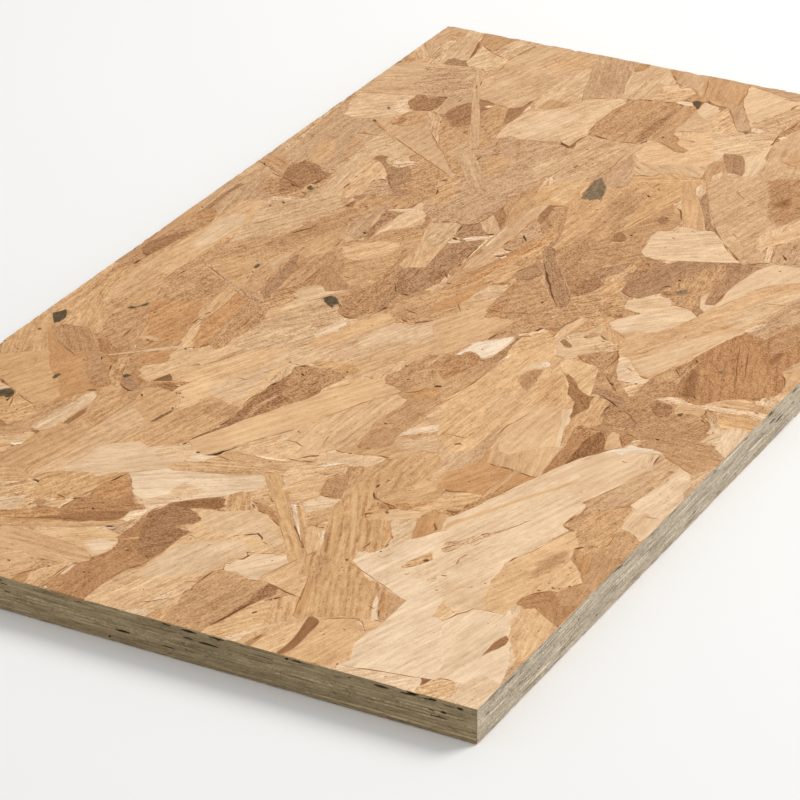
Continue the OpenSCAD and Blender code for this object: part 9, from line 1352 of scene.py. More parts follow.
    ("E", 5, (89.5,136.7, 109,140.2, 123,143, 133.2,144.3, 144.3,144, 151.8,141.8, 150.4,135.2, 144.1,132.3, 137.2,133.6, 129.8,132.7, 118.2,131.3, 109.3,130.7, 94.6,126.9, 90.2,129, 88.5,131.8, 89.3,134.8), {"rim": 0.1, "speck": 1.1}),
    ("D", 4, (94.4,127.4, 109.3,130.7, 118.2,131.3, 128.1,133, 137.2,133.6, 143.5,128.7, 137.5,120.9, 131,115.4, 121.4,113.2, 122.8,117.9, 116.2,117.4, 101.2,114.1, 97.2,116.9, 92.6,120.4, 91.1,124.1), {"rim": 0.2, "id": 372.0, "speck": 1.05}),
    ("F", 4, (132.9,138.9, 144.4,137.6, 146.9,131.3, 142.7,125.7, 140.8,131.1, 132.8,133), {"rim": 0.0, "id": 372.0, "d": 2.6, "speck": 1.11}),
    ("O", -8, (144.8,133.9, 152.6,132.5, 153.1,126.9, 146.2,125.1, 142.4,120.4, 141.2,115.2, 143.6,113.4, 147,111.4, 142.2,105.6, 132.1,101.3, 131.3,98.7, 131.5,96.8, 130.3,95.4, 127,92.7, 120.3,92.4, 113.1,90.9, 110.8,92.8, 107.6,95.6, 107.5,98.3, 108.3,100.3, 122,109.1, 128.6,114, 137.5,120.9, 143.7,126.9), {"rim": 0.0, "id": 280.0, "speck": 1.55}),
    ("Z", -8, (147.1,134, 152.5,131.8, 154.1,127.5, 149.5,126.2, 144.8,129.4), {"rim": 0.0, "id": 280.0, "d": 2.6, "speck": 1.25}),
    ("B", -51, (143.6,121, 150.5,119.7, 151.1,115.5, 153.6,113.7, 153.5,107.8, 149.7,107.7, 146.4,111, 142.4,112.7, 140.6,116.2), {"speck": 2.0}),
    ("J", -7, (156.8,116.7, 161.8,116.2, 161.1,111.3, 157.6,103, 150.4,92.7, 143.5,82.1, 137.1,85.6, 135.3,87.1, 133.3,89.1, 132.5,90.3, 134,91.6, 131.9,93.1, 129.8,94.9, 130.6,96.4, 130.7,98, 138.1,104.6, 146.8,108.7, 152.3,107.2, 154.1,112.7), {"rim": 0.0, "id": 282.0, "speck": 2.01}),
    ("I", -29, (101.2,114.1, 116.2,117.4, 121.8,115.4, 122.9,110.3, 108.3,100.3, 102.4,106.6, 101.1,109.3, 100.5,111.4), {"speck": 2.38}),
    ("L", -44, (129.5,100.5, 131.6,97.7, 133.5,95, 133.5,93.8, 133.3,93.1, 135.4,86, 118.9,79.6, 114.5,85.2, 113.1,88.1, 113,89.7, 112.9,91.4, 113.6,94.5, 116,97.5, 116.1,101.8, 118.9,102.6, 123.6,101.7), {"speck": 2.23}),
    ("R", -29, (114.9,170.8, 126.5,166.4, 124.4,155.4, 117.3,148.1, 118.1,143.5, 109.2,142.9, 107.4,144.7, 105.3,147, 106.4,147.2, 106.4,148.3, 97.5,147.7, 85.4,153.6, 83.1,159, 90.6,162, 96.6,165.7, 100.4,166.1, 108.8,169.1), {"rim": 0.2, "speck": 2.26}),
    ("K", -39, (192.8,160.2, 195.4,160.2, 194.3,157.6, 192,158), {"d": 1.2}),
    ("M", -38, (214.2,162.4, 216.2,161.8, 214.9,159.4, 211.7,159, 211.7,160.7), {"d": 1.2}),
    ("G", -18, (311.6,184.8, 329.4,188.9, 339.7,190.2, 342.8,187.8, 342,174.9, 331.8,173.6, 323,173.1, 327,179.3, 322.5,181.1, 307.6,178.6), {"speck": 0.61}),
    ("E", 7, (294.3,176.8, 313.8,180.5, 322.2,178.2, 321.9,171.8, 309.5,167.9, 296.4,165.7, 284.6,164.8, 277.8,167.9, 274.9,168.5, 276,169.7, 278,171.1, 284.3,173.1, 288.6,174.7), {"speck": 2.18}),
    ("E", 10, (285.4,166.6, 304,171.8, 313.8,173.6, 320.8,173.9, 331.2,174.7, 338.1,175.6, 343.5,175.7, 341.6,165, 327.1,161.6, 311.4,157.4, 297.7,152.9, 295.6,160.5, 294.2,163.2, 288.2,164.7), {"rim": 0.1, "id": 381.0, "speck": 0.8}),
    ("J", 10, (323.7,182.4, 332.7,182.4, 338.4,178.5, 336.9,174.3, 329.2,175, 329.2,180.5), {"rim": 0.0, "id": 381.0, "d": 2.6, "speck": 1.25}),
    ("I", -50, (275.9,168.2, 284.6,161.4, 288.8,160.8, 288.2,157.7, 288.8,156, 288.7,153.5, 290,147.4, 287.8,141.6, 273.6,135.5, 251.4,125.7, 246.9,128, 244.2,136.5, 237,147.2, 240.5,151.3, 247.5,157.4, 250.7,162.2, 260.7,166.3, 265.1,167.1), {"rim": 0.1, "speck": 1.93}),
    ("G", -55, (282.7,171.9, 288.7,163.6, 289.4,153.8, 290.4,148.3, 283.9,154.3, 277.2,169), {"speck": 1.98}),
    ("E", -6, (268.5,142.1, 277.2,142, 284.5,141.2, 276.3,136.9, 270.4,138.4)),
    ("O", -38, (286.5,164.5, 295.1,165, 299.1,162.4, 297.5,156.8, 299.9,152, 289.7,148, 288.7,153.5, 287.3,159.5), {"rim": 0.2, "speck": 1.44}),
    ("G", -17, (318.3,129.9, 334.3,129.9, 342.7,127.4, 342.8,116.7, 343.2,102.1, 342.9,85.2, 330.3,82.4, 319.8,82.5, 312.9,89, 303.9,93.1, 293.8,92.7, 280.3,92.5, 269.5,90.3, 261.3,90, 254.4,90.5, 248.3,92.6, 246.2,94.2, 245.9,95.2, 245.4,96.8, 245.7,97.7, 245.6,104.3, 246.9,111.5, 249.8,118.9, 261.5,125.8, 262.3,127.8, 263.2,129.7, 266.3,131.1, 272.3,131.4, 285.3,132.9, 296.2,131.9, 306.7,131.9, 313.9,131.6), {"rim": 0.2, "id": 386.0, "speck": 0.98}),
    ("F", -17, (311.7,108.4, 327,106, 336.7,97.5, 337.3,85.8, 321.2,83.2, 311.6,91.7, 304.8,98.2), {"rim": 0.0, "id": 386.0, "d": 2.6, "speck": 0.87}),
    ("E", -17, (318.3,129.9, 335.7,130.6, 344.2,128.2, 342.8,113.3, 325.7,112.1, 313.2,115.8, 304.1,119.9, 303.9,127.1), {"rim": 0.0, "id": 386.0, "d": 2.6, "speck": 0.61}),
    ("E", -17, (254.1,120.5, 272.8,123.7, 288,120.9, 295.6,112.8, 277.6,107.6, 261.5,109.2, 250.1,111.8), {"rim": 0.0, "id": 386.0, "d": 2.6, "speck": 0.52}),
    ("E", -2, (258.4,89.2, 270.9,91, 285.1,93, 295.4,92.9, 305.8,92.8, 315.8,88.5, 322.7,81.9, 310.1,77.7, 294,72.4, 282.3,68.6, 275.4,65.8, 268.2,66.8, 261.5,70, 256.3,73.8, 251,77.7, 251,84.1), {"rim": 0.2, "id": 387.0, "speck": 1.03}),
    ("L", -2, (253.3,86, 265.5,85, 268.9,82.9, 269.9,80.5, 269.7,79, 269.5,77.2, 272.4,68.3, 262.2,67.1, 254.3,72.8, 250.2,79.2), {"rim": 0.0, "id": 387.0, "d": 2.6, "speck": 0.81}),
    ("I", 11, (315.9,79.9, 342.1,86.8, 342.9,81.9, 325,79.1, 311.2,75.6)),
    ("I", 20, (276.3,65.6, 292.6,71.7, 311.7,77.9, 325.3,81.9, 342.4,86.3, 344.9,70.9, 343.4,60.2, 330.5,58, 318.1,55.3, 307.4,52.8, 295.8,48.9, 287.3,45.7, 284.7,46.9, 283.9,48.6, 284.3,49.6, 284.2,51.9, 282.8,53, 281,54, 280.4,54.7, 281.5,57.1), {"rim": 0.2, "id": 389.0, "speck": 1.15}),
    ("I", 20, (277,66, 297.2,72.7, 316.7,78.3, 313.3,71.4, 300.1,63.6, 286.1,58.1, 281.1,59.5), {"rim": 0.0, "id": 389.0, "d": 2.6, "speck": 0.94}),
    ("I", -16, (184,91.4, 185.6,85.2, 195.4,84.6, 206.1,85.7, 208.8,81.9, 208.2,75.2, 209.6,66.3, 211,57.4, 213.1,55.5, 215.2,53.5, 214.7,52.6, 214.4,50.8, 209.8,44.1, 210.4,40, 220.1,39.7, 215.6,29.9, 202.9,30, 191.6,30.6, 177.9,33.2, 161.6,35, 146.8,34.3, 142.9,39.3, 137.9,46, 128.6,53.8, 131.3,55.3, 130.6,61.6, 131.1,64.8, 151.6,69.3, 167.2,78.1, 173.6,80.9), {"rim": 0.0, "id": 302.0, "speck": 1.47}),
    ("E", -16, (175.4,50.1, 193.4,45.4, 204.8,38.5, 205.2,28.6, 192.4,29.1, 178.7,31.7, 165.1,34.2, 158.4,38.3), {"rim": 0.0, "id": 302.0, "d": 2.6, "speck": 1.28}),
    ("J", -16, (169.9,78.9, 180.4,76.8, 185.5,69.9, 180.2,62, 164.6,59.1, 151.1,61.5, 156,69.7), {"rim": 0.0, "id": 302.0, "d": 2.6, "speck": 1.28}),
    ("N", -16, (206,73.4, 208.8,71, 194.7,64.4, 180.5,58.4, 181.9,61.7), {"rim": 0.0, "id": 302.0, "d": 2.6, "speck": 1.17}),
    ("L", 14, (189.9,79.8, 201.3,82.5, 208,83.5, 202.8,79.5, 192.7,77.5), {"rim": 0.1}),
    ("G", -13, (169.3,32, 182.4,33.5, 197.3,34.7, 219,41.7, 231.1,40.1, 230.4,32.1, 230.9,24.8, 232.3,15.9, 234.4,8.8, 206.5,4.8, 196.4,9.2, 186.5,10.6, 177.8,12.5, 170.3,18.1, 162.8,23.7), {"rim": 0.0, "id": 321.0, "speck": 1.12}),
    ("G", -13, (159.8,29.7, 178,30.1, 193.7,26.6, 210.1,22.2, 226.9,14, 208.1,13.7, 192.8,16.2, 178.4,20.3, 165.8,24), {"rim": 0.0, "id": 321.0, "d": 2.6, "speck": 1.62}),
    ("G", -7, (174,101.6, 186.6,101.8, 193.5,97.8, 186.2,90.1, 181.5,90.1, 176.4,93.9, 166.9,93.9), {"speck": 1.29}),
    ("I", 36, (176.6,96.5, 181.8,94.1, 183.6,90.6, 173.4,81.4, 159.7,71.6, 135.9,55.4, 133.2,56.6, 131.1,58, 131.5,61.5, 131.6,63.8, 147.1,75.1, 161.6,86), {"rim": 0.2, "speck": 1.13}),
    ("J", -7, (232.7,110, 240.4,108.1, 246.4,106, 245.3,100.1, 243,96.4, 232.8,93.7, 222,89.4, 213.2,87.5, 204,86.5, 197.6,89.6, 204.2,95.6, 200.2,98.2, 201.6,100.3, 207.2,100.6, 211.4,102.4, 216.2,103.7, 222.1,105.1), {"rim": 0.0, "id": 364.0, "speck": 1.51}),
    ("R", -28, (249.9,120.3, 250.4,114.6, 247.5,107.2, 241,108.4, 233,109.5, 237.4,113.8, 238.6,116, 240.2,119.7, 244.9,120.1), {"rim": 0.2}),
    ("C", -18, (204.3,86, 216.3,87.8, 227.4,88.3, 236,87.6, 246.5,86.4, 252.3,78.3, 261.5,70, 270.8,64.9, 276.3,65.6, 282.2,57.5, 288.9,42.6, 281.7,40.4, 272.1,42.9, 263.7,43.3, 253.7,43.5, 243.3,41.6, 231.1,40.1, 225.2,42.2, 218.8,42.2, 212.1,42.7, 215.4,48.8, 221.2,53, 214.8,53, 211,57.4, 210.3,63.5, 208.9,69.2, 207.6,74.9, 206.9,80.9, 205,82.8, 203,84.5, 203.6,84.9), {"rim": 0.3, "id": 394.0, "speck": 0.97}),
    ("B", -18, (223,84.1, 244.4,77.6, 258.9,65.4, 262.1,56, 244.5,55, 230.2,57.5, 216.1,60, 212.1,70.8), {"rim": 0.0, "id": 394.0, "d": 2.6, "speck": 0.55}),
    ("C", -18, (234.9,61.1, 249.7,57.6, 265.5,52.5, 280,48.6, 282.5,42.1, 268.2,44.2, 253.2,44.5, 240.6,43.5, 230.3,44.8, 223.3,49), {"rim": 0.0, "id": 394.0, "d": 2.6, "speck": 0.8}),
    ("R", 9, (220.2,89.8, 233.9,94.9, 244.5,98.4, 247.6,95.5, 250.8,92.5, 256.4,91.5, 264.5,90.4, 254.9,89.4, 245.4,88.5, 235.4,87.2, 227.7,87.8), {"rim": 0.2, "speck": 1.08}),
    ("G", 28, (190.9,96.4, 213,106.8, 232.7,116.5, 252.7,126.4, 273.6,135.5, 287.5,142.1, 294.9,144.6, 289.2,138.9, 275.3,132.3, 261.4,126, 248.2,118.8, 228.7,108.2, 209.3,98.3, 188.8,88.2, 183.7,88.8), {"rim": 0.3, "speck": 0.8}),
    ("L", -12, (318.9,156.6, 332.3,161.9, 341.6,165, 343,148, 342.8,139.7, 335.7,142.9, 330.3,144.8, 323.2,144.6, 318.2,147.4, 320.8,152.8, 324.2,156.6), {"rim": 0.2, "speck": 0.95}),
    ("Z", 15, (302.9,154.9, 314.7,157.8, 327.1,161.6, 332.3,161.9, 320.6,156.8, 311.1,154.5, 303,152.9), {"speck": 2.0}),
    ("G", -12, (316.6,147.2, 324.7,145.3, 332,145, 338.2,143.4, 342.8,139.7, 342,132.5, 336.2,126.2, 328.6,127, 322.2,129.2, 317.8,130.9, 310.6,131.2, 311.4,136.4, 313.7,142.3), {"id": 399.0, "speck": 1.59}),
    ("C", -12, (327.4,143.3, 336.7,142.7, 341.3,139, 338.6,132.1, 330.1,134.6, 324.6,138.5), {"rim": 0.0, "id": 399.0, "d": 2.6, "speck": 0.85}),
    ("C", -22, (295.8,153.2, 306.1,153.9, 314.4,154.9, 324.9,157, 319.7,151.5, 315.4,145.9, 313.6,140.9, 311.4,136.4, 311,132.1, 305,131.7, 297.6,132.6, 290.5,132.9, 286.1,134.7, 289.4,138.4, 292.2,143.2, 290,147.4), {"rim": 0.3, "speck": 1.24}),
    ("W", -50, (321.4,141.2, 323.8,140.1, 323,137, 319.8,138)),
    ("W", -50, (241,112.3, 243.8,110.5, 243.6,107.2, 240.1,109.2)),
    ("M", -30, (187.4,28.2, 189.9,27.9, 191.6,26.8, 189.4,25, 186.2,25.4, 185.5,26.9), {"d": 1.2}),
    ("E", -8, (287.6,45.2, 296,48.6, 306.3,51.6, 320,55, 328,56.2, 333.2,52.8, 341.6,53.4, 341.8,49.6, 341.4,40.2, 335.2,35.4, 326.3,29.2, 317.8,25.9, 315,27.8, 313.9,29, 314.8,29.7, 315.1,31.1, 315.1,34.4, 309.7,35, 302.9,35.1, 296.2,35.1, 292.1,36.4, 289.9,37.7, 289.3,39, 289.2,40.2, 289.5,41.6), {"rim": 0.2, "speck": 0.66}),
    ("N", -20, (328.6,58.4, 341.7,60.1, 343.3,53.6, 338.1,51.8, 332.3,53, 327.6,55.3), {"speck": 1.6}),
    ("G", 2, (291.9,36.9, 303.7,36.7, 313.5,37.5, 323.4,38.3, 317.2,33.7, 306.9,30.5, 296.5,26.2, 293.4,30.6), {"id": 406.0, "speck": 0.95}),
    ("C", 2, (321.7,38.1, 340.9,41.3, 332.3,34.3, 324.9,28.6, 317.8,29.1, 316.4,33.6), {"rim": 0.0, "id": 406.0, "d": 2.6, "speck": 0.73}),
    ("I", 2, (287.9,44.7, 300.3,43.5, 315.2,44.2, 329,44.2, 336.2,43.7, 322.7,41.2, 307.7,40.6, 294.8,40.9), {"rim": 0.0, "id": 406.0, "d": 2.6, "speck": 2.01}),
    ("L", 13, (340.4,40.4, 344.8,30.1, 334.2,29, 325.2,28.1, 331.3,32.9), {"speck": 0.46}),
    ("G", 12, (324.9,28.6, 336.5,29.4, 344.6,30.6, 343.9,21.8, 342.1,15.1, 328.8,11, 317,7.5, 308.1,5.3, 314.1,13.2, 319.9,18.5, 321,22.9), {"speck": 0.53}),
    ("D", -43, (305.3,30.4, 312.3,26.6, 320.5,23.9, 320.4,17.4, 315.4,10.6, 306.8,11.1, 301.9,14, 296.7,19.2, 295.8,25.9, 296.7,29.2, 299,30.5, 300.2,31.1), {"rim": 0.1, "id": 409.0, "speck": 1.57}),
    ("C", -43, (315.1,34.4, 320.5,27.2, 323.4,18.2, 317.1,22.3, 308.2,29.8), {"rim": 0.0, "id": 409.0, "d": 2.6, "speck": 1.04}),
    ("L", -8, (302.5,12.9, 310.8,13, 316.1,10.9, 310.2,4.4, 304,3.4, 301.9,7.5)),
    ("J", 14, (307.2,3.6, 321.7,8.3, 340.4,15, 345.7,14.8, 345,2.8, 343.6,-11.3, 328.5,-14.9, 316.5,-17.7, 307.3,-19.3, 303.3,-17.9, 305.2,-12, 308.8,-5.9, 309.4,-0.5), {"rim": 0.2, "id": 411.0, "speck": 0.68}),
    ("L", 14, (312.6,-0.3, 330.1,5.1, 342.8,7, 343.3,-0.5, 325.1,-4.9, 308.5,-8.6), {"rim": 0.0, "id": 411.0, "d": 2.6, "speck": 0.8}),
    ("E", -44, (268.4,-19.9, 274,-29.3, 275.9,-37.8, 277.2,-46.6, 285.6,-53.5, 274.8,-57.6, 268.1,-53.7, 265.5,-42.5, 259,-33, 257.7,-31, 255.5,-27.9, 254.2,-25.7, 255.4,-25.9, 255.1,-21.5, 259.7,-19.5, 262.6,-19.4), {"speck": 1.18}),
    ("C", -36, (255.4,-25.9, 260.9,-32.1, 263.6,-35, 264.9,-37.2, 264.9,-38.7, 264.8,-39.7, 266.8,-48.1, 271.5,-53.2, 271.1,-53.8, 271.4,-55.2, 271.2,-56.7, 259.3,-58.2, 249.5,-57.7, 244.4,-53.8, 245,-47.4, 242.9,-40.3, 235.9,-37.3, 242.8,-32.3), {"rim": 0.1, "speck": 1.01}),
    ("G", -22, (281.2,-38.6, 291.7,-37, 298.9,-38.2, 306.3,-43.1, 313.8,-48, 323.7,-51.2, 331.8,-54, 328.9,-57.1, 326,-59, 322.6,-61.6, 319.8,-64.5, 315.6,-64.9, 306.1,-65.1, 299.5,-58.6, 292.9,-55.2, 285,-52.4, 283.8,-46.8, 284.3,-41.6), {"rim": 0.1, "speck": 1.43}),
    ("G", 10, (261.6,-59.7, 274,-59.1, 286.3,-61.2, 299.5,-67.9, 294.8,-73.1, 291.6,-77.8, 289.7,-83, 280.1,-81.5, 275,-81, 269.3,-80.9, 259,-76.2, 248.8,-71.5, 233.6,-72.1, 242.7,-65.6, 256.2,-61.5), {"rim": 0.0, "id": 340.0, "speck": 0.81}),
    ("N", -5, (271.7,-57.7, 283.7,-56.1, 294.2,-57.8, 304.8,-59.4, 311.5,-62.8, 311.8,-64.5, 308.1,-65.6, 304.6,-66.9, 299.5,-67.9, 289.6,-62.9, 281.1,-60.4, 271.4,-60.3), {"rim": 0.2, "speck": 2.0}),
    ("I", -39, (342,-11.4, 343.2,-20.5, 343,-33.3, 341.4,-49.9, 341.1,-52.4, 338.8,-54.9, 333.4,-55.2, 329,-55.2, 330.6,-41.9, 333.5,-31.1, 336.3,-20.3), {"speck": 0.72}),
    ("C", -21, (316.6,-18, 331.5,-14.2, 340.9,-12.5, 338.4,-19.4, 334.1,-30.8, 331.3,-41.6, 330.4,-54.6, 325,-56.9, 319.7,-49.8, 314.3,-45.9, 306.3,-43.1, 299.7,-39.7, 293,-39.5, 290.4,-37.6, 281.2,-38.6, 292.5,-32.2, 303.8,-25.3), {"rim": 0.3, "speck": 0.48}),
    ("I", 12, (304.1,-13.1, 304.9,-17.8, 314.5,-18.6, 302.3,-25.7, 292.3,-31.7, 282.3,-37.7, 275.4,-39.9, 275.9,-34.7, 279.9,-29.8, 290.7,-22.3), {"rim": 0.2, "id": 418.0, "speck": 0.85}),
    ("I", 12, (303.1,-14.2, 302,-18.5, 292.3,-25.4, 277,-33.6, 279.9,-29.8, 290.7,-22.3), {"rim": 0.0, "id": 418.0, "d": 2.6, "speck": 1.08}),
    ("D", -9, (282.8,-13.3, 295.6,-12.6, 303.7,-13.9, 293.4,-21.1, 280,-30, 274.1,-31.1, 271.9,-29.5, 269.9,-27.4, 269.9,-26.1, 270.7,-24.5, 269.6,-23.5, 267.2,-21.6, 267,-20.1, 268.1,-19.4), {"rim": 0.1, "speck": 1.29}),
    ("D", -32, (219.4,4.1, 238.2,4.3, 244.7,-2, 255.1,-6.6, 264.2,-15, 268.6,-20.5, 244.3,-32.2, 232.4,-39.5, 222,-37.5, 220.2,-35.3, 218.6,-32.9, 216.3,-30.1, 218.2,-30, 215.5,-18.9, 212.4,-15.6, 210.2,-11.8, 209.9,-10.6, 210.4,-8.9, 209.8,-1.7), {"rim": 0.0, "id": 420.0, "speck": 0.7}),
    ("L", 53, (240.6,2.9, 248.6,-0.2, 247.3,-7.1, 240.9,-13.2, 238.1,-20.1, 232.4,-19.7, 232,-14.3, 235.2,-8.4), {"speck": 0.74}),
    ("J", -21, (252.2,-1, 253.9,-5.9, 247.3,-10.2, 241.9,-9, 245.2,-3.1), {"speck": 1.32}),
    ("E", -32, (258.4,-0.6, 270,-0.9, 280,-1.3, 291.8,-0.3, 284.7,-7.4, 282,-11.8, 284.7,-13.7, 276.5,-16.8, 267.1,-20.5, 265.4,-18.3, 263.2,-15.7, 262.2,-13.3, 262.9,-12.4, 258.3,-5.1), {"id": 420.0, "rim": 0.0, "speck": 0.87}),
    ("B", -9, (291.5,0.2, 300.2,1, 306,1.1, 304.2,-3.5, 302.4,-9.7, 294,-12.6, 285.3,-13.4, 281.4,-12.1, 283.8,-7.2), {"rim": 0.2, "speck": 0.39}),
    ("L", -8, (231.5,40.9, 243,42.1, 253.7,43.5, 263.7,43.3, 272.1,42.9, 287.5,40.6, 291.6,37.4, 292.8,30.2, 293.7,29.2, 295.8,27.5, 297.2,26.2, 295.4,25.1, 294.6,16.9, 294.8,10, 284.8,8.5, 270.8,7, 257,6.9, 243.4,6.8, 234.5,6.9, 231.9,8.9, 231.9,15.1, 231.1,22.9, 230.5,27.1, 231,32.4), {"rim": 0.3, "id": 424.0, "speck": 1.51}),
    ("R", -8, (248,16.6, 268.1,15.3, 282.1,13.7, 293.9,10.2, 273.9,7.3, 257.7,7.2, 243.4,6.8, 235.2,7.2, 233.5,12.1), {"rim": 0.0, "id": 424.0, "d": 2.6, "speck": 1.73}),
    ("L", -8, (237.3,40.6, 256,42.1, 274.8,40.9, 286.5,37.6, 274.8,34.5, 254.7,35.1, 236.8,35.2), {"rim": 0.0, "id": 424.0, "d": 2.6, "speck": 1.85}),
    ("L", -1, (241.2,6.4, 256.4,6.6, 273.9,7.3, 293.3,9.6, 298,3.8, 292.7,-0.5, 280.6,-1, 271.3,-0.3, 260.5,-1.5, 250.7,-1.1, 243.4,0.5), {"rim": 0.2, "speck": 1.21}),
    ("A", -50, (297.8,17.2, 300.6,13.3, 302,8.9, 297.3,4.1, 296.5,8.9, 295.8,13.7)),
    ("K", -21, (302.8,8, 305.6,6.1, 305.8,2.3, 300,1.5, 295.4,1.4, 298.2,4.9), {"d": 1.2}),
    ("M", -39, (276,-35.9, 279.1,-38.3, 275.1,-41, 272.3,-39.4), {"d": 1.2}),
    ("W", -30, (276.1,-57.9, 280.6,-59.4, 279.9,-62.8, 274.7,-61.3)),
    ("!", 0.8, (-340,-10, -333,-13, -327,-20, -322,-25)),
    ("!", 1, (-153.5,162, -152,163)),
    ("!", 1.2, (-147,178, -145,178.5)),
    ("!", 0.7, (-139,147, -134,156, -130,163)),
    ("!", 0.8, (-142,141, -140,142)),
    ("!", 1.2, (-137,133, -133,135.5)),
    ("!", 1, (-143,189, -140,189)),
    ("!", 1.2, (-107.5,127, -107.5,120)),
    ("!", 1.2, (-79,164, -77.5,165)),
    ("!", 2, (-44,-109, -41,-107)),
    ("!", 0.9, (-50,-114, -44,-109, -36,-102, -32,-100)),
    ("!", 1.5, (-38,-186, -37.5,-183)),
    ("!", 1.4, (94,150, 96,156, 99,161, 101,168, 104,175, 107,178)),
    ("!", 1.2, (110,182, 113,186)),
    ("!", 1.2, (63,152, 66,154)),
    ("!", 1, (70,147, 73,150)),
    ("!", 1.3, (45,184, 47,186)),
    ("!", 1.3, (138,185, 140,185.5)),
    ("!", 1.5, (289,179.8, 291,180.3)),
    ("!", 2, (274,190, 278,189.5, 281,188)),
    ("!", 1.2, (-338,-117.9, -337.6,-122.2, -336.9,-126.3, -335.1,-133.3, -334.5,-138, -333,-147.1, -331.8,-153.9, -329.9,-161.2), {"dark": 1.0}),
    ("!", 1, (-329.1,-160.8, -326.9,-165.1, -326.7,-170.8), {"dark": 1.0}),
    ("!", 1.8, (-337.6,-117.7, -337.8,-119.3), {"dark": 2.0}),
    ("!", 1.5, (-282.8,-137.9, -284,-142.1, -280.7,-143.8, -276.1,-144.9, -272.2,-146.9, -268.6,-149, -267.1,-152.8, -267,-156.8, -267.2,-161.9), {"dark": 1.0}),
    ("!", 1.1, (-256.8,-77.5, -259.9,-83.5, -262.4,-88.6, -264.6,-94, -268.1,-101.1, -271.8,-109.4, -274.8,-115.2, -275.9,-118.8), {"dark": 1.0}),
    ("!", 1.1, (-305.5,-96.4, -303,-100.1, -301.3,-104.3, -299.7,-108.4, -303.2,-112, -308.1,-115.7), {"dark": 1.0}),
    ("!", 1, (-287.3,-104.6, -288.6,-107.9, -289.3,-110.3), {"dark": 1.0}),
    ("!", 1, (-297.6,-113.4, -297.5,-116.4, -297.4,-119.4), {"dark": 1.0}),
    ("!", 1, (-287.9,-111.1, -295.3,-115.7), {"dark": 2.0}),
    ("!", 1.3, (-311.1,-106.2, -310.3,-106.8), {"dark": 2.0}),
    ("!", 1, (-256.1,-106.4, -253.8,-108.8), {"dark": 1.0}),
    ("!", 0.8, (-254.4,-119.5, -251.1,-121.8), {"dark": 1.0}),
    ("!", 1, (-261.9,-125.6, -260.8,-127.6), {"dark": 1.0}),
    ("!", 0.9, (-252.3,-138.9, -250.9,-139.7), {"dark": 1.0}),
    ("!", 0.9, (-246.2,-142.9, -245.8,-143.7), {"dark": 1.0}),
    ("!", 1.2, (-276.9,-160.4, -276.5,-161.2), {"dark": 1.0}),
    ("!", 1, (-249.1,-121.8, -248.2,-125.4), {"dark": 1.0}),
    ("!", 1.2, (-307,-114.1, -307.9,-116.1), {"dark": 1.0}),
    ("!", 0.9, (-275.7,-103.8, -269.6,-102), {"dark": 1.0}),
    ("!", 1.5, (-279,-31, -278.1,-34.7, -273.8,-34.9, -269.8,-36.7), {"dark": 2.0}),
    ("!", 1.5, (-278.3,-34.3, -275.9,-35), {"dark": 3.0}),
    ("!", 0.8, (-285.5,-28.5, -284,-31.4, -279.1,-32.7), {"dark": 1.0}),
    ("!", 1.2, (-306.7,-27, -299.4,-27.4, -294.9,-28.3, -290.3,-29.3), {"dark": 2.0}),
    ("!", 1, (-318.5,-25.8, -312.6,-27.5, -304.6,-27.3), {"dark": 1.0}),
    ("!", 1, (-310.9,-21.1, -306.9,-22.9, -305,-25.5, -306.5,-27.4), {"dark": 1.0}),
    ("!", 1.3, (-312.6,-33.3, -310.4,-33.5, -308.3,-33.8), {"dark": 1.0}),
    ("!", 1.2, (-313.2,-28.3, -311.2,-28.2), {"dark": 2.0}),
    ("!", 1.2, (-292,-55.2, -292.5,-58.2, -292.2,-60.6, -293.9,-65.3, -295.1,-70.7, -296.9,-74.9), {"dark": 2.0}),
    ("!", 1.6, (-294.6,-56.2, -293.2,-57), {"dark": 3.0}),
    ("!", 1.5, (-303.9,-63.3, -303.9,-65.4), {"dark": 3.0}),
    ("!", 1.2, (-302.3,-64.5, -299.1,-67.8), {"dark": 3.0}),
    ("!", 1.3, (-336.2,-50.8, -329.4,-53.5, -320.3,-55.8, -311.9,-57.6, -304.5,-58.4), {"dark": 3.0}),
    ("!", 1.6, (-318.6,-63.7, -315.7,-63.5, -314.4,-64.3), {"dark": 3.0}),
    ("!", 1.2, (-311.5,-67.8, -310.2,-68.5), {"dark": 1.0}),
    ("!", 1, (-287.4,-50.4, -282.6,-51.8, -275.3,-53.9, -269.7,-55.9, -263.1,-57.4), {"dark": 1.0}),
    ("!", 0.8, (-263.1,-57.4, -261.1,-59.4, -256.4,-60.4), {"dark": 1.0}),
    ("!", 1.2, (-273.7,-47.1, -272.1,-47.2), {"dark": 1.0}),
    ("!", 0.8, (-270.8,-36.8, -267.6,-42.9, -265.4,-50.2), {"dark": 1.0}),
    ("!", 0.8, (-311.6,-80.8, -295.7,-75.2, -284.4,-71.8, -269,-66), {"dark": 1.0}),
    ("!", 0.9, (-309.1,-93.3, -305.5,-96.4, -302.4,-102.3), {"dark": 1.0}),
    ("!", 1.6, (-256.4,-76.3, -257.4,-78.4), {"dark": 1.0}),
    ("!", 0.9, (-319.9,-100.5, -317.8,-100.8), {"dark": 1.0}),
    ("!", 1.2, (-339.1,-74.8, -335.1,-76.1, -331.3,-76.9), {"dark": 2.0}),
    ("!", 2, (-282.4,38.2, -278.9,36, -278.2,33.1), {"dark": 4.0}),
    ("!", 1.4, (-282.8,36.8, -282.3,33.8, -280,32.5), {"dark": 3.0}),
    ("!", 0.8, (-284.1,40.4, -282.4,38.2), {"dark": 1.0}),
    ("!", 2, (-269.4,53.8, -269.4,51.6), {"dark": 4.0}),
    ("!", 1.5, (-267.1,67.1, -264.5,65.4, -262,62.5), {"dark": 3.0}),
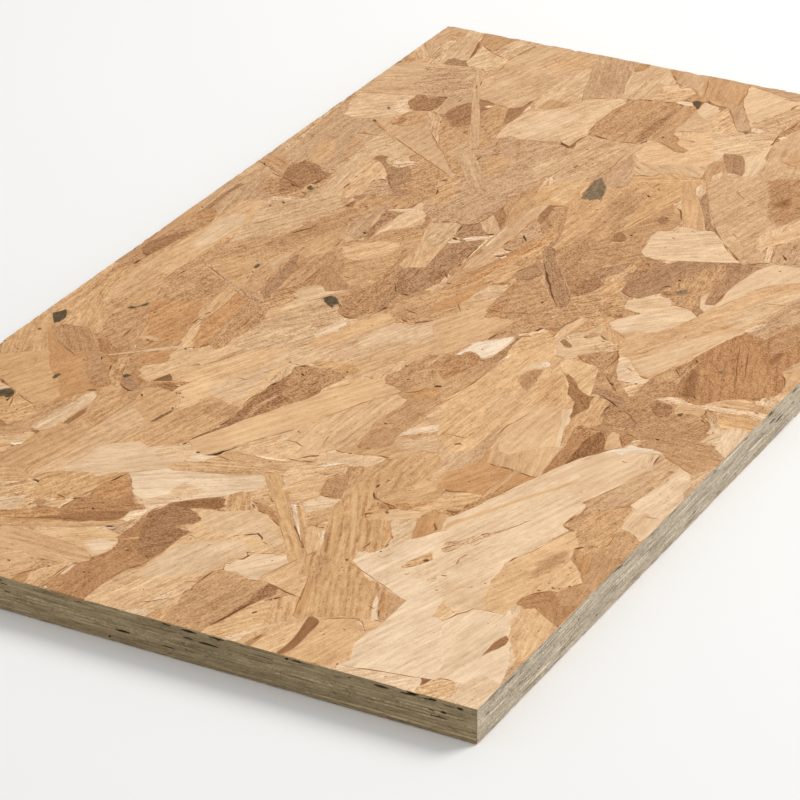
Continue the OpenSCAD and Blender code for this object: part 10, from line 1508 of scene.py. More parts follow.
    ("!", 1.2, (-276.6,66.5, -272,66.1, -267.2,65.3), {"dark": 3.0}),
    ("!", 1.2, (-265.4,76.6, -266.4,72.1, -268,68.8), {"dark": 2.0}),
    ("!", 1.4, (-281.2,81.5, -277.8,81.4), {"dark": 2.0}),
    ("!", 1, (-275,82.2, -272.9,82.5), {"dark": 1.0}),
    ("!", 1.1, (-280,77.2, -279.5,74.1), {"dark": 2.0}),
    ("!", 1, (-272.3,92, -270.4,90.4), {"dark": 2.0}),
    ("!", 1.4, (-258.9,91.8, -259.6,89), {"dark": 3.0}),
    ("!", 0.9, (-290.9,90.8, -290,88), {"dark": 2.0}),
    ("!", 1, (-292.3,29.6, -290.1,25.5), {"dark": 1.0}),
    ("!", 1, (-308.9,28.2, -305.8,26.4, -299.7,22.7), {"dark": 1.0}),
    ("!", 1.2, (-296.6,24.7, -296.7,22.9), {"dark": 2.0}),
    ("!", 1.3, (-296.7,18, -294.5,15.6), {"dark": 4.0}),
    ("!", 1.5, (-321.8,25.3, -321.5,22.8), {"dark": 3.0}),
    ("!", 1.3, (-308.9,28.2, -309,26.5), {"dark": 2.0}),
    ("!", 0.9, (-335.9,11.3, -327.7,11.2, -319.1,10.2, -311.2,8.8, -307.3,5.3, -302.9,3.8, -297.9,3.2, -291.8,1.5, -287.2,0.6), {"dark": 1.0}),
    ("!", 1.2, (-306.3,5.4, -303.3,3.6), {"dark": 1.0}),
    ("!", 0.8, (-342.5,35.6, -337.1,34.9, -332.2,34.3, -325.5,34.3, -318,33.8), {"dark": 2.0}),
    ("!", 1.1, (-321,49.4, -320.4,46.4, -319.2,44), {"dark": 2.0}),
    ("!", 1.4, (-324.4,42.1, -324.6,40.4), {"dark": 3.0}),
    ("!", 1, (-326.6,46.2, -327.7,44.4), {"dark": 1.0}),
    ("!", 1.7, (-329.3,61.4, -327.9,59.6), {"dark": 3.0}),
    ("!", 0.9, (-341.2,50.6, -335.9,49.3, -331.4,45.7, -326.6,42.3), {"dark": 2.0}),
    ("!", 0.6, (-296.5,87, -292.6,78.3, -286.1,65.8, -279.4,47.9), {"dark": 2.0}),
    ("!", 2, (-259.1,-21.8, -257.5,-24.6, -255.3,-26, -254.8,-29, -255.6,-31.6, -257.6,-33.8, -259.9,-33.6), {"dark": 3.0}),
    ("!", 0.9, (-262.1,-19.2, -258.9,-22.2), {"dark": 1.0}),
    ("!", 0.8, (-259.6,-34, -260.8,-37.9), {"dark": 1.0}),
    ("!", 1.5, (-279.6,-30.8, -278.1,-34.7, -273.8,-34.9, -271.5,-32.4, -270,-36.3), {"dark": 2.0}),
    ("!", 1.2, (-274.9,-12.9, -272.6,-14.2), {"dark": 1.0}),
    ("!", 0.8, (-274.5,-3.5, -271.5,-3.2), {"dark": 1.0}),
    ("!", 0.7, (-269.9,-0.1, -270.6,-3.8), {"dark": 1.0}),
    ("!", 2, (-198.8,39.7, -198.8,36.3), {"dark": 4.0}),
    ("!", 1.7, (-200.5,35.3, -198.9,31.1, -195.8,28.5, -191.4,26.6), {"dark": 4.0}),
    ("!", 0.9, (-197.4,28.1, -198.2,23.1, -199.3,18.6), {"dark": 2.0}),
    ("!", 1.4, (-185.3,-1.7, -183.9,-6.5, -184.1,-10.5, -181,-18.7), {"dark": 2.0}),
    ("!", 1.4, (-182,-8.1, -178,-11.4, -174.4,-16), {"dark": 2.0}),
    ("!", 1.8, (-200.5,-9.5, -200.9,-10.8), {"dark": 2.0}),
    ("!", 0.9, (-203.4,-0.7, -200.4,-2.2, -200.1,-5.9), {"dark": 1.0}),
    ("!", 0.6, (-221.9,42.4, -218.6,36, -212.9,19.8, -207.3,3.7), {"dark": 1.0}),
    ("!", 0.9, (-242.4,24, -241.3,21.9), {"dark": 1.0}),
    ("!", 1.4, (-230.8,-10.9, -234.1,-15, -232.6,-15.8), {"dark": 2.0}),
    ("!", 1.2, (-234.7,-15.9, -236.3,-21.2, -236.3,-23.4), {"dark": 2.0}),
    ("!", 0.8, (-238.3,-25.7, -244.4,-34.7), {"dark": 2.0}),
    ("!", 1.6, (-238.3,-38.1, -245.4,-45, -251.5,-49.6, -257.1,-54.9), {"dark": 2.0}),
    ("!", 1.4, (-254.5,-51.9, -256.1,-54.9), {"dark": 2.0}),
    ("!", 1.3, (-224.4,-31.7, -222.3,-31.5), {"dark": 1.0}),
    ("!", 1, (-236.9,-44.9, -234.8,-46.9), {"dark": 1.0}),
    ("!", 1.6, (-235.2,-48.2, -235.2,-50.3), {"dark": 2.0}),
    ("!", 0.7, (-220.2,-24.9, -217.2,-29.7, -213.8,-33.1), {"dark": 1.0}),
    ("!", 0.6, (-216.6,-10.7, -227.1,-22.3), {"dark": 1.0}),
    ("!", 0.8, (-232.8,5.5, -243.5,-1.2), {"dark": 1.0}),
    ("!", 1.5, (-240.7,10.1, -239.2,9.4), {"dark": 3.0}),
    ("!", 0.7, (-208.8,-17.1, -201.5,-20.5, -194.7,-24.9), {"dark": 1.0}),
    ("!", 1, (-166,-19, -166.9,-23.9, -166,-26.7), {"dark": 2.0}),
    ("!", 2, (-166,-26.7, -165.5,-28.7), {"dark": 3.0}),
    ("!", 1, (-165.5,-28.7, -163.5,-34.8, -162.2,-39.5), {"dark": 1.0}),
    ("!", 1.6, (-162.2,-40.1, -161.5,-45.2, -160.8,-47.6), {"dark": 2.0}),
    ("!", 0.9, (-168.2,-12.4, -156.6,-10.3, -153.2,-10), {"dark": 1.0}),
    ("!", 1.6, (-177.7,-11.8, -176.4,-14.4, -173.7,-16.2), {"dark": 2.0}),
    ("!", 1.5, (-183.7,-10.2, -182.6,-13.5, -181.7,-17.4), {"dark": 1.0}),
    ("!", 1.4, (-208.8,-35.2, -208.6,-38.9, -207.7,-42.7, -208.1,-46.2), {"dark": 2.0}),
    ("!", 1.8, (-190.8,-54.9, -188.2,-55.7, -186.2,-56.2), {"dark": 3.0}),
    ("!", 1.5, (-182.1,-56.6, -180.1,-58.3), {"dark": 2.0}),
    ("!", 1.2, (-192.9,-56.1, -198.5,-58.2, -200.2,-61.3, -200.2,-63.4), {"dark": 3.0}),
    ("!", 2.2, (-203,-63.3, -202.9,-64.4), {"dark": 3.0}),
    ("!", 1.3, (-200.6,-64.7, -201.8,-68.6, -202.4,-71.7, -203.9,-75.1), {"dark": 2.0}),
    ("!", 2.2, (-217.2,-64.3, -214.2,-63.7, -212.9,-65.1, -211.6,-67.6), {"dark": 2.0}),
    ("!", 1, (-211.5,-62.7, -209.3,-64.7), {"dark": 2.0}),
    ("!", 0.8, (-202.8,-58.4, -210.2,-60.9), {"dark": 1.0}),
    ("!", 1.8, (-207.6,-70.2, -210.5,-72.9), {"dark": 2.0}),
    ("!", 0.8, (-203.5,-76, -200.6,-82.4, -200.6,-87.8), {"dark": 1.0}),
    ("!", 1.2, (-226.1,-84.1, -231.2,-86.5), {"dark": 1.0}),
    ("!", 2, (-234.1,-87, -238.2,-87.2), {"dark": 2.0}),
    ("!", 2, (-242.1,-87.7, -242.7,-86.5), {"dark": 3.0}),
    ("!", 1.2, (-245.8,-88.7, -248,-88.4), {"dark": 1.0}),
    ("!", 1.1, (-245.6,-78.1, -241.4,-78.9, -235.7,-78.9), {"dark": 2.0}),
    ("!", 1.4, (-206.2,-95.6, -210.8,-99.1, -214.1,-100.9, -215.6,-100.1), {"dark": 2.0}),
    ("!", 0.7, (-224.9,-94.6, -219.8,-98.2, -214.5,-101.1, -209.5,-105.8), {"dark": 1.0}),
    ("!", 2.4, (-194.1,-92.8, -193.3,-95.5, -194.3,-97.7, -195.1,-100.3, -193.4,-101.5, -189.8,-102.2), {"dark": 2.0}),
    ("!", 1.5, (-189.8,-102.2, -182.3,-101.9), {"dark": 2.0}),
    ("!", 2, (-196.8,-100.1, -196,-100.7), {"dark": 2.0}),
    ("!", 1.1, (-177.2,-86.4, -176.1,-90.6, -173.7,-97.4), {"dark": 2.0}),
    ("!", 3.4, (-241.5,-107.8, -239.6,-110.4, -238.6,-111.4), {"dark": 3.0}),
    ("!", 1, (-251.1,-103.2, -248.6,-106, -244.5,-108.9), {"dark": 1.0}),
    ("!", 0.8, (-248.5,-103.3, -245.4,-105.3), {"dark": 1.0}),
    ("!", 0.8, (-228.1,-110.5, -223.5,-113.3, -219.7,-116.5), {"dark": 1.0}),
    ("!", 2, (-255.6,-75.8, -257.2,-77.8), {"dark": 2.0}),
    ("!", 0.9, (-258,-79.2, -259.7,-83.9), {"dark": 1.0}),
    ("!", 1.2, (-236.9,-44.9, -235.6,-48.4, -230.8,-49.4, -228.7,-50.4), {"dark": 1.0}),
    ("!", 1.5, (-237.7,-49.6, -235.8,-51.2, -234.9,-53.9), {"dark": 1.0}),
    ("!", 1.2, (-146.6,-62.9, -147,-64.2), {"dark": 1.0}),
    ("!", 0.7, (-147.5,-59, -147,-63.1), {"dark": 1.0}),
    ("!", 1.2, (-134.6,-48.1, -132.3,-49.1), {"dark": 2.0}),
    ("!", 2, (-135.8,-68.1, -133.1,-69.9, -133.1,-72.1), {"dark": 2.0}),
    ("!", 0.8, (-126.7,-58.8, -126.7,-64.3, -126.1,-67.9), {"dark": 1.0}),
    ("!", 0.9, (-170.4,-37, -169.5,-37.6), {"dark": 1.0}),
    ("!", 1, (-185.5,-70.4, -184.6,-72.1), {"dark": 1.0}),
    ("!", 0.7, (-126.5,-61.5, -127,-67.2, -125.6,-72), {"dark": 1.0}),
    ("!", 0.9, (-124.3,-70.2, -118.1,-70.8), {"dark": 1.0}),
    ("!", 1.2, (-142.9,-89.8, -144.2,-93.8, -144.7,-98.3, -145.1,-105), {"dark": 1.0}),
    ("!", 1.4, (-144.9,-107.6, -145.8,-112.4, -146.7,-117.1, -145.2,-119, -143.2,-119.6), {"dark": 2.0}),
    ("!", 1, (-143.2,-119.6, -136.3,-119.8, -130.5,-122.3), {"dark": 1.0}),
    ("!", 1, (-205.9,-124.9, -200.4,-127.2, -193,-131.3, -187.4,-133.6, -183.4,-136.3), {"dark": 1.0}),
    ("!", 1.2, (-208.9,-121.2, -205.1,-122.4, -204.6,-125.3), {"dark": 1.0}),
    ("!", 0.7, (-220.1,-121.9, -213.8,-123.8, -208.4,-126.2), {"dark": 1.0}),
    ("!", 1.2, (-238.9,-123.6, -232.4,-122.2, -227.9,-122.9, -224.6,-125.3), {"dark": 1.0}),
    ("!", 1.5, (-224.5,-143.4, -221.4,-144.3, -218.7,-145.5, -216.8,-146.1), {"dark": 2.0}),
    ("!", 0.7, (-216.8,-146.1, -210.2,-148.9, -201.6,-151.3), {"dark": 1.0}),
    ("!", 1.4, (-246.2,-142.9, -245.8,-143.7), {"dark": 1.0}),
    ("!", 1.3, (-252.1,-139.3, -251.3,-139.9), {"dark": 1.0}),
    ("!", 0.9, (-149.2,-143.3, -149,-144.8), {"dark": 1.0}),
    ("!", 1, (-159.3,-148.3, -155.8,-150.7, -154,-152), {"dark": 1.0}),
    ("!", 0.9, (-159.7,-153.7, -152.3,-155.3, -144.4,-157.8), {"dark": 1.0}),
    ("!", 1.5, (-182,-150.2, -177.3,-151, -172.6,-151.8, -167.9,-152.5), {"dark": 1.0}),
    ("!", 1, (-167.9,-152.5, -159.7,-153.7), {"dark": 1.0}),
    ("!", 1.2, (-162.3,-159.2, -160.1,-159.1), {"dark": 1.0}),
    ("!", 1, (-161.4,-162.9, -165.5,-163.3), {"dark": 1.0}),
    ("!", 1.6, (-199.4,-164.6, -197.1,-167, -195.4,-169.2), {"dark": 3.0}),
    ("!", 1, (-195.4,-169.2, -192.6,-172.5, -194.1,-175.8), {"dark": 2.0}),
    ("!", 1.4, (-215.9,-170.7, -215.4,-172.5), {"dark": 1.0}),
    ("!", 1.2, (-221.6,-172.6, -222,-173.8), {"dark": 1.0}),
    ("!", 2, (-233,-168.2, -231.8,-168.6), {"dark": 1.0}),
    ("!", 2, (-239.9,-166.6, -241.1,-168.2), {"dark": 2.0}),
    ("!", 1.4, (-248.2,-164.2, -243.5,-167.4, -238.4,-172.4), {"dark": 2.0}),
    ("!", 1.4, (-234.6,-171, -236.2,-173.8), {"dark": 1.0}),
    ("!", 2, (-235.7,-174.6, -233.9,-176.2), {"dark": 1.0}),
    ("!", 2, (-232,-177.8, -230.2,-179.4), {"dark": 2.0}),
    ("!", 1, (-228.1,-181.4, -225.7,-182.2), {"dark": 1.0}),
    ("!", 0.8, (-228.4,-153.6, -226.8,-154.8), {"dark": 1.0}),
    ("!", 0.8, (-176.1,-175.8, -184,-177, -192.2,-177.4), {"dark": 1.0}),
    ("!", 0.9, (-198.6,-185.1, -199.4,-187.5), {"dark": 1.0}),
    ("!", 1.3, (-118.9,-127.2, -124.3,-125.6, -128.7,-123.5), {"dark": 3.0}),
    ("!", 1.4, (-55.6,-108.5, -59.3,-115.3, -63.8,-122.9), {"dark": 3.0}),
    ("!", 0.9, (-63.8,-122.9, -68.2,-130.5, -72.3,-134.1, -76.3,-139.8), {"dark": 2.0}),
    ("!", 1.4, (-72.6,-117.4, -66.9,-116.8, -62.4,-117.3), {"dark": 3.0}),
    ("!", 1.2, (-63.7,-118.5, -62.2,-118.9), {"dark": 3.0}),
    ("!", 2.2, (-40.6,-106.7, -42.2,-108.3), {"dark": 4.0}),
    ("!", 0.9, (-43.1,-109, -49.2,-113.7), {"dark": 2.0}),
    ("!", 1.4, (-38.1,-111.6, -36.3,-116.2), {"dark": 2.0}),
    ("!", 1.3, (-36.8,-117.6, -35.9,-119.4), {"dark": 3.0}),
    ("!", 1, (-60.2,-132.1, -60,-134.7, -60.8,-136.7), {"dark": 2.0}),
    ("!", 1.8, (-84.2,-151.7, -85,-153.6, -83.8,-154.7), {"dark": 3.0}),
    ("!", 0.9, (-85.5,-146.9, -84.2,-151.7), {"dark": 1.0}),
    ("!", 2.6, (-58,-150.1, -55.2,-152, -53.6,-152.9), {"dark": 3.0}),
    ("!", 1.3, (-50.7,-161.8, -48.6,-162.4, -46.4,-160.9), {"dark": 2.0}),
    ("!", 1.1, (-56.2,-162.7, -59.6,-167.5), {"dark": 2.0}),
    ("!", 1, (-54.4,-168.3, -57.6,-171.4), {"dark": 1.0}),
    ("!", 0.9, (-69.1,-174, -64.2,-174.4), {"dark": 1.0}),
    ("!", 1.3, (-38.7,-165.4, -39.3,-168.9, -37.9,-171.6), {"dark": 2.0}),
    ("!", 0.9, (-45,-160.2, -45.3,-164.2), {"dark": 1.0}),
    ("!", 1.3, (-42.8,-149.5, -42.1,-150.8), {"dark": 1.0}),
    ("!", 1.6, (-34.8,-148.5, -37.6,-152.5), {"dark": 3.0}),
    ("!", 0.8, (-36.6,-142.8, -35.3,-147.6), {"dark": 3.0}),
    ("!", 1.5, (-78,-177, -78.5,-180.4, -78.1,-182.4), {"dark": 1.0}),
    ("!", 0.7, (-80.9,-171.4, -80.5,-176.6), {"dark": 2.0}),
    ("!", 1.4, (-97.7,-161.2, -101.2,-167.7, -104.9,-174.7, -109.5,-182.1, -109.6,-185.2), {"dark": 1.0}),
    ("!", 1.4, (-110.7,-162.6, -104.3,-161.7, -98.2,-161.4), {"dark": 2.0}),
    ("!", 0.7, (-100.4,-156.1, -97.5,-160.6), {"dark": 1.0}),
    ("!", 0.9, (-112.5,-147, -113,-149.4, -111.7,-150.9), {"dark": 1.0}),
    ("!", 1.2, (-111.2,-171.3, -111.9,-173.2, -110.6,-174.7), {"dark": 1.0}),
    ("!", 0.9, (-111.2,-166, -109.8,-166.4), {"dark": 1.0}),
    ("!", 1, (-158.8,-163.7, -154.9,-167, -151.4,-170.6), {"dark": 1.0}),
    ("!", 0.7, (-154.5,-151.1, -147.9,-153.2, -140.9,-156, -131.9,-158.5), {"dark": 1.0}),
    ("!", 1, (-156.7,-180.3, -156.7,-184.4, -154.5,-187.5), {"dark": 1.0}),
    ("!", 0.8, (-173.8,-182.3, -177.8,-186.8, -174.8,-188.5), {"dark": 1.0}),
    ("!", 0.8, (-171.9,-161.3, -167,-162.5, -162.7,-162.5), {"dark": 1.0}),
    ("!", 1, (-85.3,-136.1, -88,-142.2, -87.6,-145.2), {"dark": 2.0}),
    ("!", 0.8, (-88.8,-133.9, -93.7,-137.9, -99,-141), {"dark": 2.0}),
    ("!", 1, (-89.5,-119.1, -90.4,-121.8), {"dark": 2.0}),
    ("!", 2.2, (-143,119.4, -141.9,119.6), {"dark": 4.0}),
    ("!", 1.1, (-145.4,123.9, -138.8,125.7), {"dark": 3.0}),
    ("!", 0.8, (-151.7,121.6, -146.8,121.8), {"dark": 2.0}),
    ("!", 2, (-193.1,151.7, -196.9,149.7), {"dark": 3.0}),
    ("!", 0.9, (-189.2,151.3, -199.1,147, -204.5,145.8), {"dark": 1.0}),
    ("!", 1, (-186.9,151.6, -190.1,145.9, -192.7,139.4, -193.8,135.7), {"dark": 2.0}),
    ("!", 0.7, (-177.9,167.4, -180.4,162.7, -183.8,157.4), {"dark": 1.0}),
    ("!", 1.6, (-170.1,121.6, -167.1,119.4, -166.2,116.4), {"dark": 3.0}),
    ("!", 0.9, (-175.2,124.2, -170.1,121.6), {"dark": 1.0}),
    ("!", 1, (-163.2,118.9, -160.2,116.7), {"dark": 2.0}),
    ("!", 1.6, (-219.3,122.8, -216.9,120.3, -215.9,117.4), {"dark": 2.0}),
    ("!", 0.9, (-230.2,119, -224.5,118.2), {"dark": 1.0}),
    ("!", 1.4, (-235.1,122.8, -233.9,120.6), {"dark": 2.0}),
    ("!", 0.8, (-245.8,121.3, -240.7,121.3, -236.1,119.2), {"dark": 2.0}),
    ("!", 1.8, (-259.4,94.9, -258.4,92.1, -259.2,89.3), {"dark": 3.0}),
    ("!", 0.8, (-265.2,99.6, -259.8,94.6), {"dark": 1.0}),
    ("!", 1.6, (-244.6,60.2, -240.1,59.1, -235.6,58, -232,56.4), {"dark": 3.0}),
    ("!", 1.3, (-152.8,112, -156.1,108.7, -158.2,105.6, -159.5,101.2, -157.9,99.3), {"dark": 3.0}),
    ("!", 1.4, (-159.3,96, -161.8,92.7), {"dark": 3.0}),
    ("!", 0.7, (-192.9,77.7, -188.2,76.6), {"dark": 1.0}),
    ("!", 0.7, (-202.5,80.3, -195.8,78.7), {"dark": 1.0}),
    ("!", 0.9, (-183.9,103.8, -184.4,102.4), {"dark": 1.0}),
    ("!", 1.3, (-201.8,141.7, -202.4,140.6), {"dark": 3.0}),
    ("!", 1.1, (-205.1,141.2, -204.2,140.6), {"dark": 1.0}),
    ("!", 2, (-198.6,39.3, -198.3,36.6), {"dark": 4.0}),
    ("!", 1.7, (-200.1,35.5, -198.1,30.5, -194.1,28.4, -189.2,25.7, -182.1,23.2), {"dark": 4.0}),
    ("!", 1, (-182.1,23.2, -175.7,19.7, -170.1,15.7), {"dark": 2.0}),
    ("!", 0.8, (-170.1,15.7, -161.8,10.9, -153.9,7.1, -148.9,4.3), {"dark": 1.0}),
    ("!", 1.3, (-191.8,48.5, -183.1,46.4, -176.4,43.7), {"dark": 2.0}),
    ("!", 1.4, (-104.3,95.9, -100.9,96.7, -97.8,94.5, -94.5,91.7), {"dark": 2.0}),
    ("!", 1.6, (-105.4,103, -108.1,100.7), {"dark": 2.0}),
    ("!", 0.9, (-112.5,110.5, -108.7,106.9, -106.1,104.3), {"dark": 1.0}),
    ("!", 1.8, (-195.8,49.5, -191.8,48.5), {"dark": 3.0}),
    ("!", 1.8, (-149.6,79.8, -150.3,77.6), {"dark": 3.0}),
    ("!", 1.2, (-152.6,76.2, -154,74.1), {"dark": 1.0}),
    ("!", 0.8, (-116.8,85.8, -114,81.6, -106.7,78.4, -98.3,74.5), {"dark": 1.0}),
    ("!", 0.9, (-122.5,63, -122,57.4, -122.3,54.3), {"dark": 1.0}),
    ("!", 0.8, (-111.2,53.3, -110.6,49.6), {"dark": 1.0}),
    ("!", 1.8, (-94.6,47.9, -95.9,45.4), {"dark": 1.0}),
    ("!", 1.6, (-97.1,41.7, -95.5,38.6, -94.1,37.1), {"dark": 3.0}),
    ("!", 1.6, (-103.4,35.8, -105.6,32.8), {"dark": 4.0}),
    ("!", 1.3, (-169.8,8.5, -168.3,4.3, -168,0.5, -170.7,-3.2, -171.1,-5.7), {"dark": 1.0}),
    ("!", 1, (-157,6.4, -159.3,3.9), {"dark": 1.0}),
    ("!", 1, (-106.9,123.1, -106.9,119.4), {"dark": 2.0}),
    ("!", 1.8, (-165.9,73.8, -164.8,72.7), {"dark": 3.0}),
    ("!", 1.5, (-147.4,45.1, -139.6,44, -129.4,43.1), {"dark": 2.0}),
    ("!", 2.2, (-121,43.5, -116.8,40.1), {"dark": 4.0}),
    ("!", 1.4, (-171.9,44.1, -166.3,42.4, -159.7,41.2), {"dark": 3.0}),
    ("!", 1.2, (-155.2,33.6, -149.7,31.1, -143.1,27.6), {"dark": 2.0}),
    ("!", 1, (-80,71.2, -80,68.8), {"dark": 1.0}),
    ("!", 1.2, (-164.8,85.5, -164.3,84.7), {"dark": 1.0}),
    ("!", 1.2, (-113.2,26, -111.8,25.7), {"dark": 3.0}),
    ("!", 1, (-122.8,28, -118.3,28.8), {"dark": 2.0}),
    ("!", 1.2, (-110.4,39.8, -106.7,39.7), {"dark": 2.0}),
    ("!", 1.5, (-35.9,51.5, -37.7,47.5, -37.6,43.4, -34.9,40.8), {"dark": 2.0}),
    ("!", 1.6, (-25,36.9, -20.5,34.6, -17.2,33.4), {"dark": 3.0}),
    ("!", 1.4, (-25.8,57.8, -27.4,55.7), {"dark": 4.0}),
    ("!", 1.4, (-15.5,24.9, -16.1,19.8, -17.3,15.6), {"dark": 2.0}),
    ("!", 2.2, (-25.9,22.1, -27.3,18.4, -28.4,15.5), {"dark": 2.0}),
    ("!", 1.6, (-28.4,14.3, -25,10.2, -20.6,6.8, -17.9,4.1), {"dark": 3.0}),
    ("!", 1.2, (-61,29.6, -59.6,29.3), {"dark": 1.0}),
    ("!", 1, (-79.2,45.1, -77.8,43.5), {"dark": 1.0}),
    ("!", 1.2, (-79.4,21, -78.7,19.6), {"dark": 1.0}),
    ("!", 1, (-74.3,13.5, -72.1,11.8), {"dark": 1.0}),
    ("!", 2, (-96.9,40.1, -94.8,37.3), {"dark": 3.0}),
    ("!", 1.2, (-93.3,25.9, -90.9,24.9), {"dark": 2.0}),
    ("!", 2, (-91.5,16.5, -90.8,15.2), {"dark": 4.0}),
    ("!", 1.6, (-103.4,35.8, -105.6,32.8), {"dark": 4.0}),
    ("!", 1.8, (-113.4,26.5, -109.7,24, -105.7,23.4), {"dark": 3.0}),
    ("!", 0.9, (-128.2,22, -121.2,20.3, -112.8,18.2), {"dark": 2.0}),
    ("!", 0.9, (-111.4,13.2, -104.7,9.6, -99.5,6.8), {"dark": 1.0}),
    ("!", 0.8, (-148,4.8, -142.1,2.6, -127.2,-3.1, -113.1,-9.4, -105.9,-13.9, -99.1,-17.5), {"dark": 1.0}),
    ("!", 0.9, (-118.7,8.5, -116.7,6.8), {"dark": 1.0}),
    ("!", 0.9, (-110.8,-9.2, -108.7,-10.9), {"dark": 1.0}),
    ("!", 2, (-131.9,-27.2, -130.3,-29.1), {"dark": 3.0}),
    ("!", 1.6, (-85.4,-15.7, -83.2,-15.1), {"dark": 3.0}),
    ("!", 1.3, (-70.6,-5.9, -73,-8.4), {"dark": 2.0}),
    ("!", 1.8, (-72.3,-21.7, -70.9,-22.1), {"dark": 3.0}),
    ("!", 1.2, (-73.1,-0.9, -70.2,-1.6), {"dark": 1.0}),
    ("!", 1.2, (-99.6,-18.9, -96.4,-22.8, -93.6,-25.9, -89.6,-27.7, -86.1,-29.7), {"dark": 2.0}),
    ("!", 2.6, (-85.6,-29.5, -83.7,-31.9, -82.8,-34.8), {"dark": 4.0}),
    ("!", 1, (-107.8,-40.3, -100.4,-41.9, -93.9,-44.1, -85.9,-45.4), {"dark": 1.0}),
    ("!", 0.8, (-76.1,-28.9, -67.9,-30.2, -59.7,-31.5), {"dark": 1.0}),
    ("!", 0.8, (-140.9,-39.4, -135.9,-44.4, -132.6,-48.1), {"dark": 1.0}),
    ("!", 1, (-116.2,-42.6, -117.8,-44.1), {"dark": 1.0}),
    ("!", 0.8, (-59.2,56, -58,53.8), {"dark": 1.0}),
    ("!", 1.2, (3.5,3.8, -1.3,0.1, -5.8,-4.1), {"dark": 2.0}),
    ("!", 1.4, (-0.7,-3.7, -0.5,-5.4), {"dark": 2.0}),
    ("!", 1.5, (3.9,-12.5, 4.7,-17.9, 5.5,-22.1), {"dark": 2.0}),
    ("!", 1.3, (4,-22.9, 7.4,-28.2, 9.9,-35.6, 12.9,-42.7), {"dark": 2.0}),
    ("!", 2, (22.8,-34.9, 26.1,-36.1), {"dark": 4.0}),
    ("!", 1.5, (12.4,-41.8, 15.2,-44.5), {"dark": 3.0}),
    ("!", 1.8, (-7.8,-45.8, -3.8,-48.3, -0.4,-50), {"dark": 3.0}),
    ("!", 1, (-13.1,-40.4, -7.8,-45.8), {"dark": 2.0}),
    ("!", 1.1, (-15.7,-42.9, -13.4,-47.5, -13.2,-49.1), {"dark": 2.0}),
    ("!", 1.6, (-27.5,-30, -22.8,-30.5, -17.8,-31.3), {"dark": 2.0}),
    ("!", 0.9, (-30.2,-26.2, -28,-30.3), {"dark": 1.0}),
    ("!", 1.8, (-38,-32.1, -37.3,-33.4), {"dark": 1.0}),
    ("!", 1.2, (-93.8,-41.8, -87,-43.2, -77.3,-45.4, -68.3,-46.3, -59.1,-47.1), {"dark": 1.0}),
    ("!", 0.9, (-71.8,-32.3, -67.5,-33.4, -60.3,-35.3, -55.5,-37.3), {"dark": 2.0}),
    ("!", 1.5, (-48.2,-47.7, -47.5,-49), {"dark": 1.0}),
    ("!", 1.1, (-122.1,-81.1, -113.4,-82.1, -105.1,-82.2, -96.8,-84.5, -88,-85.5, -84.5,-87.6), {"dark": 1.0}),
    ("!", 1.2, (4,-55.9, 10.5,-58.4, 18.1,-60.4), {"dark": 2.0}),
    ("!", 1, (-10.7,-57.6, -2.7,-58.1), {"dark": 1.0}),
    ("!", 0.7, (-27.7,-51.9, -22.3,-54.9, -15.3,-58.7), {"dark": 1.0}),
    ("!", 0.8, (-28.9,-49.7, -27.7,-51.9), {"dark": 1.0}),
    ("!", 1, (-54.9,-72, -56.6,-73.4), {"dark": 2.0}),
    ("!", 1.2, (12.6,-68.8, 13.5,-73), {"dark": 2.0}),
    ("!", 1.6, (-1.9,-72, 0.3,-73.8), {"dark": 3.0}),
    ("!", 1.3, (5.1,-78.2, 1.2,-83, 0.8,-87.2), {"dark": 2.0}),
    ("!", 1, (-2,-81.7, -0.6,-84.4), {"dark": 1.0}),
    ("!", 1, (-31.1,-98.8, -24.5,-99.5), {"dark": 1.0}),
    ("!", 1.2, (14.8,-79.2, 12,-84, 9.3,-88.7, 5.1,-93), {"dark": 1.0}),
    ("!", 1.4, (16.6,-77.7, 15,-79.7), {"dark": 1.0}),
    ("!", 1.6, (28.8,-73.5, 28.1,-78.5, 28.5,-80.5), {"dark": 2.0}),
    ("!", 1.3, (-3.4,-91.4, -2.5,-93.2), {"dark": 1.0}),
    ("!", 1.2, (-7.5,-93.4, -12.9,-97.7, -19.1,-97.9, -29.9,-98.7), {"dark": 2.0}),
    ("!", 1, (-9.8,-103.5, -4.5,-106.6, 1.9,-109.1, 6.9,-111.3), {"dark": 1.0}),
    ("!", 1.1, (-21.3,-105.7, -24.4,-109.4, -24,-112.6), {"dark": 1.0}),
    ("!", 1.4, (-26.7,-114.4, -28.8,-118.8, -28.4,-121.9), {"dark": 1.0}),
    ("!", 0.9, (-27.7,-122.1, -20.5,-125.3, -10.7,-128.5), {"dark": 1.0}),
    ("!", 1.2, (-11.2,-127.6, -16.3,-132.2, -20.6,-135.8), {"dark": 2.0}),
    ("!", 1.6, (1.8,-133.2, -1.8,-136, -0.1,-136.8), {"dark": 3.0}),
    ("!", 1.2, (-2.9,-131.5, -1,-132.8), {"dark": 1.0}),
    ("!", 1.1, (52.7,-96.5, 53,-101, 52.6,-108), {"dark": 1.0}),
    ("!", 1.6, (68.7,-82.1, 72.3,-85, 71.1,-87.9), {"dark": 3.0}),
    ("!", 2, (80.2,-87.1, 83.1,-87.5), {"dark": 4.0}),
    ("!", 1, (80.4,-87.6, 70.6,-92.2), {"dark": 2.0}),
    ("!", 1, (62.7,-84.9, 63.5,-91.5), {"dark": 2.0}),
    ("!", 1, (59.4,-83.6, 58.8,-85), {"dark": 1.0}),
    ("!", 0.9, (55.3,-65.3, 52.4,-70.2, 51.1,-75.4), {"dark": 2.0}),
    ("!", 1.2, (63.2,-111.7, 63.8,-115.4, 71.7,-115.2, 80.7,-114.5), {"dark": 2.0}),
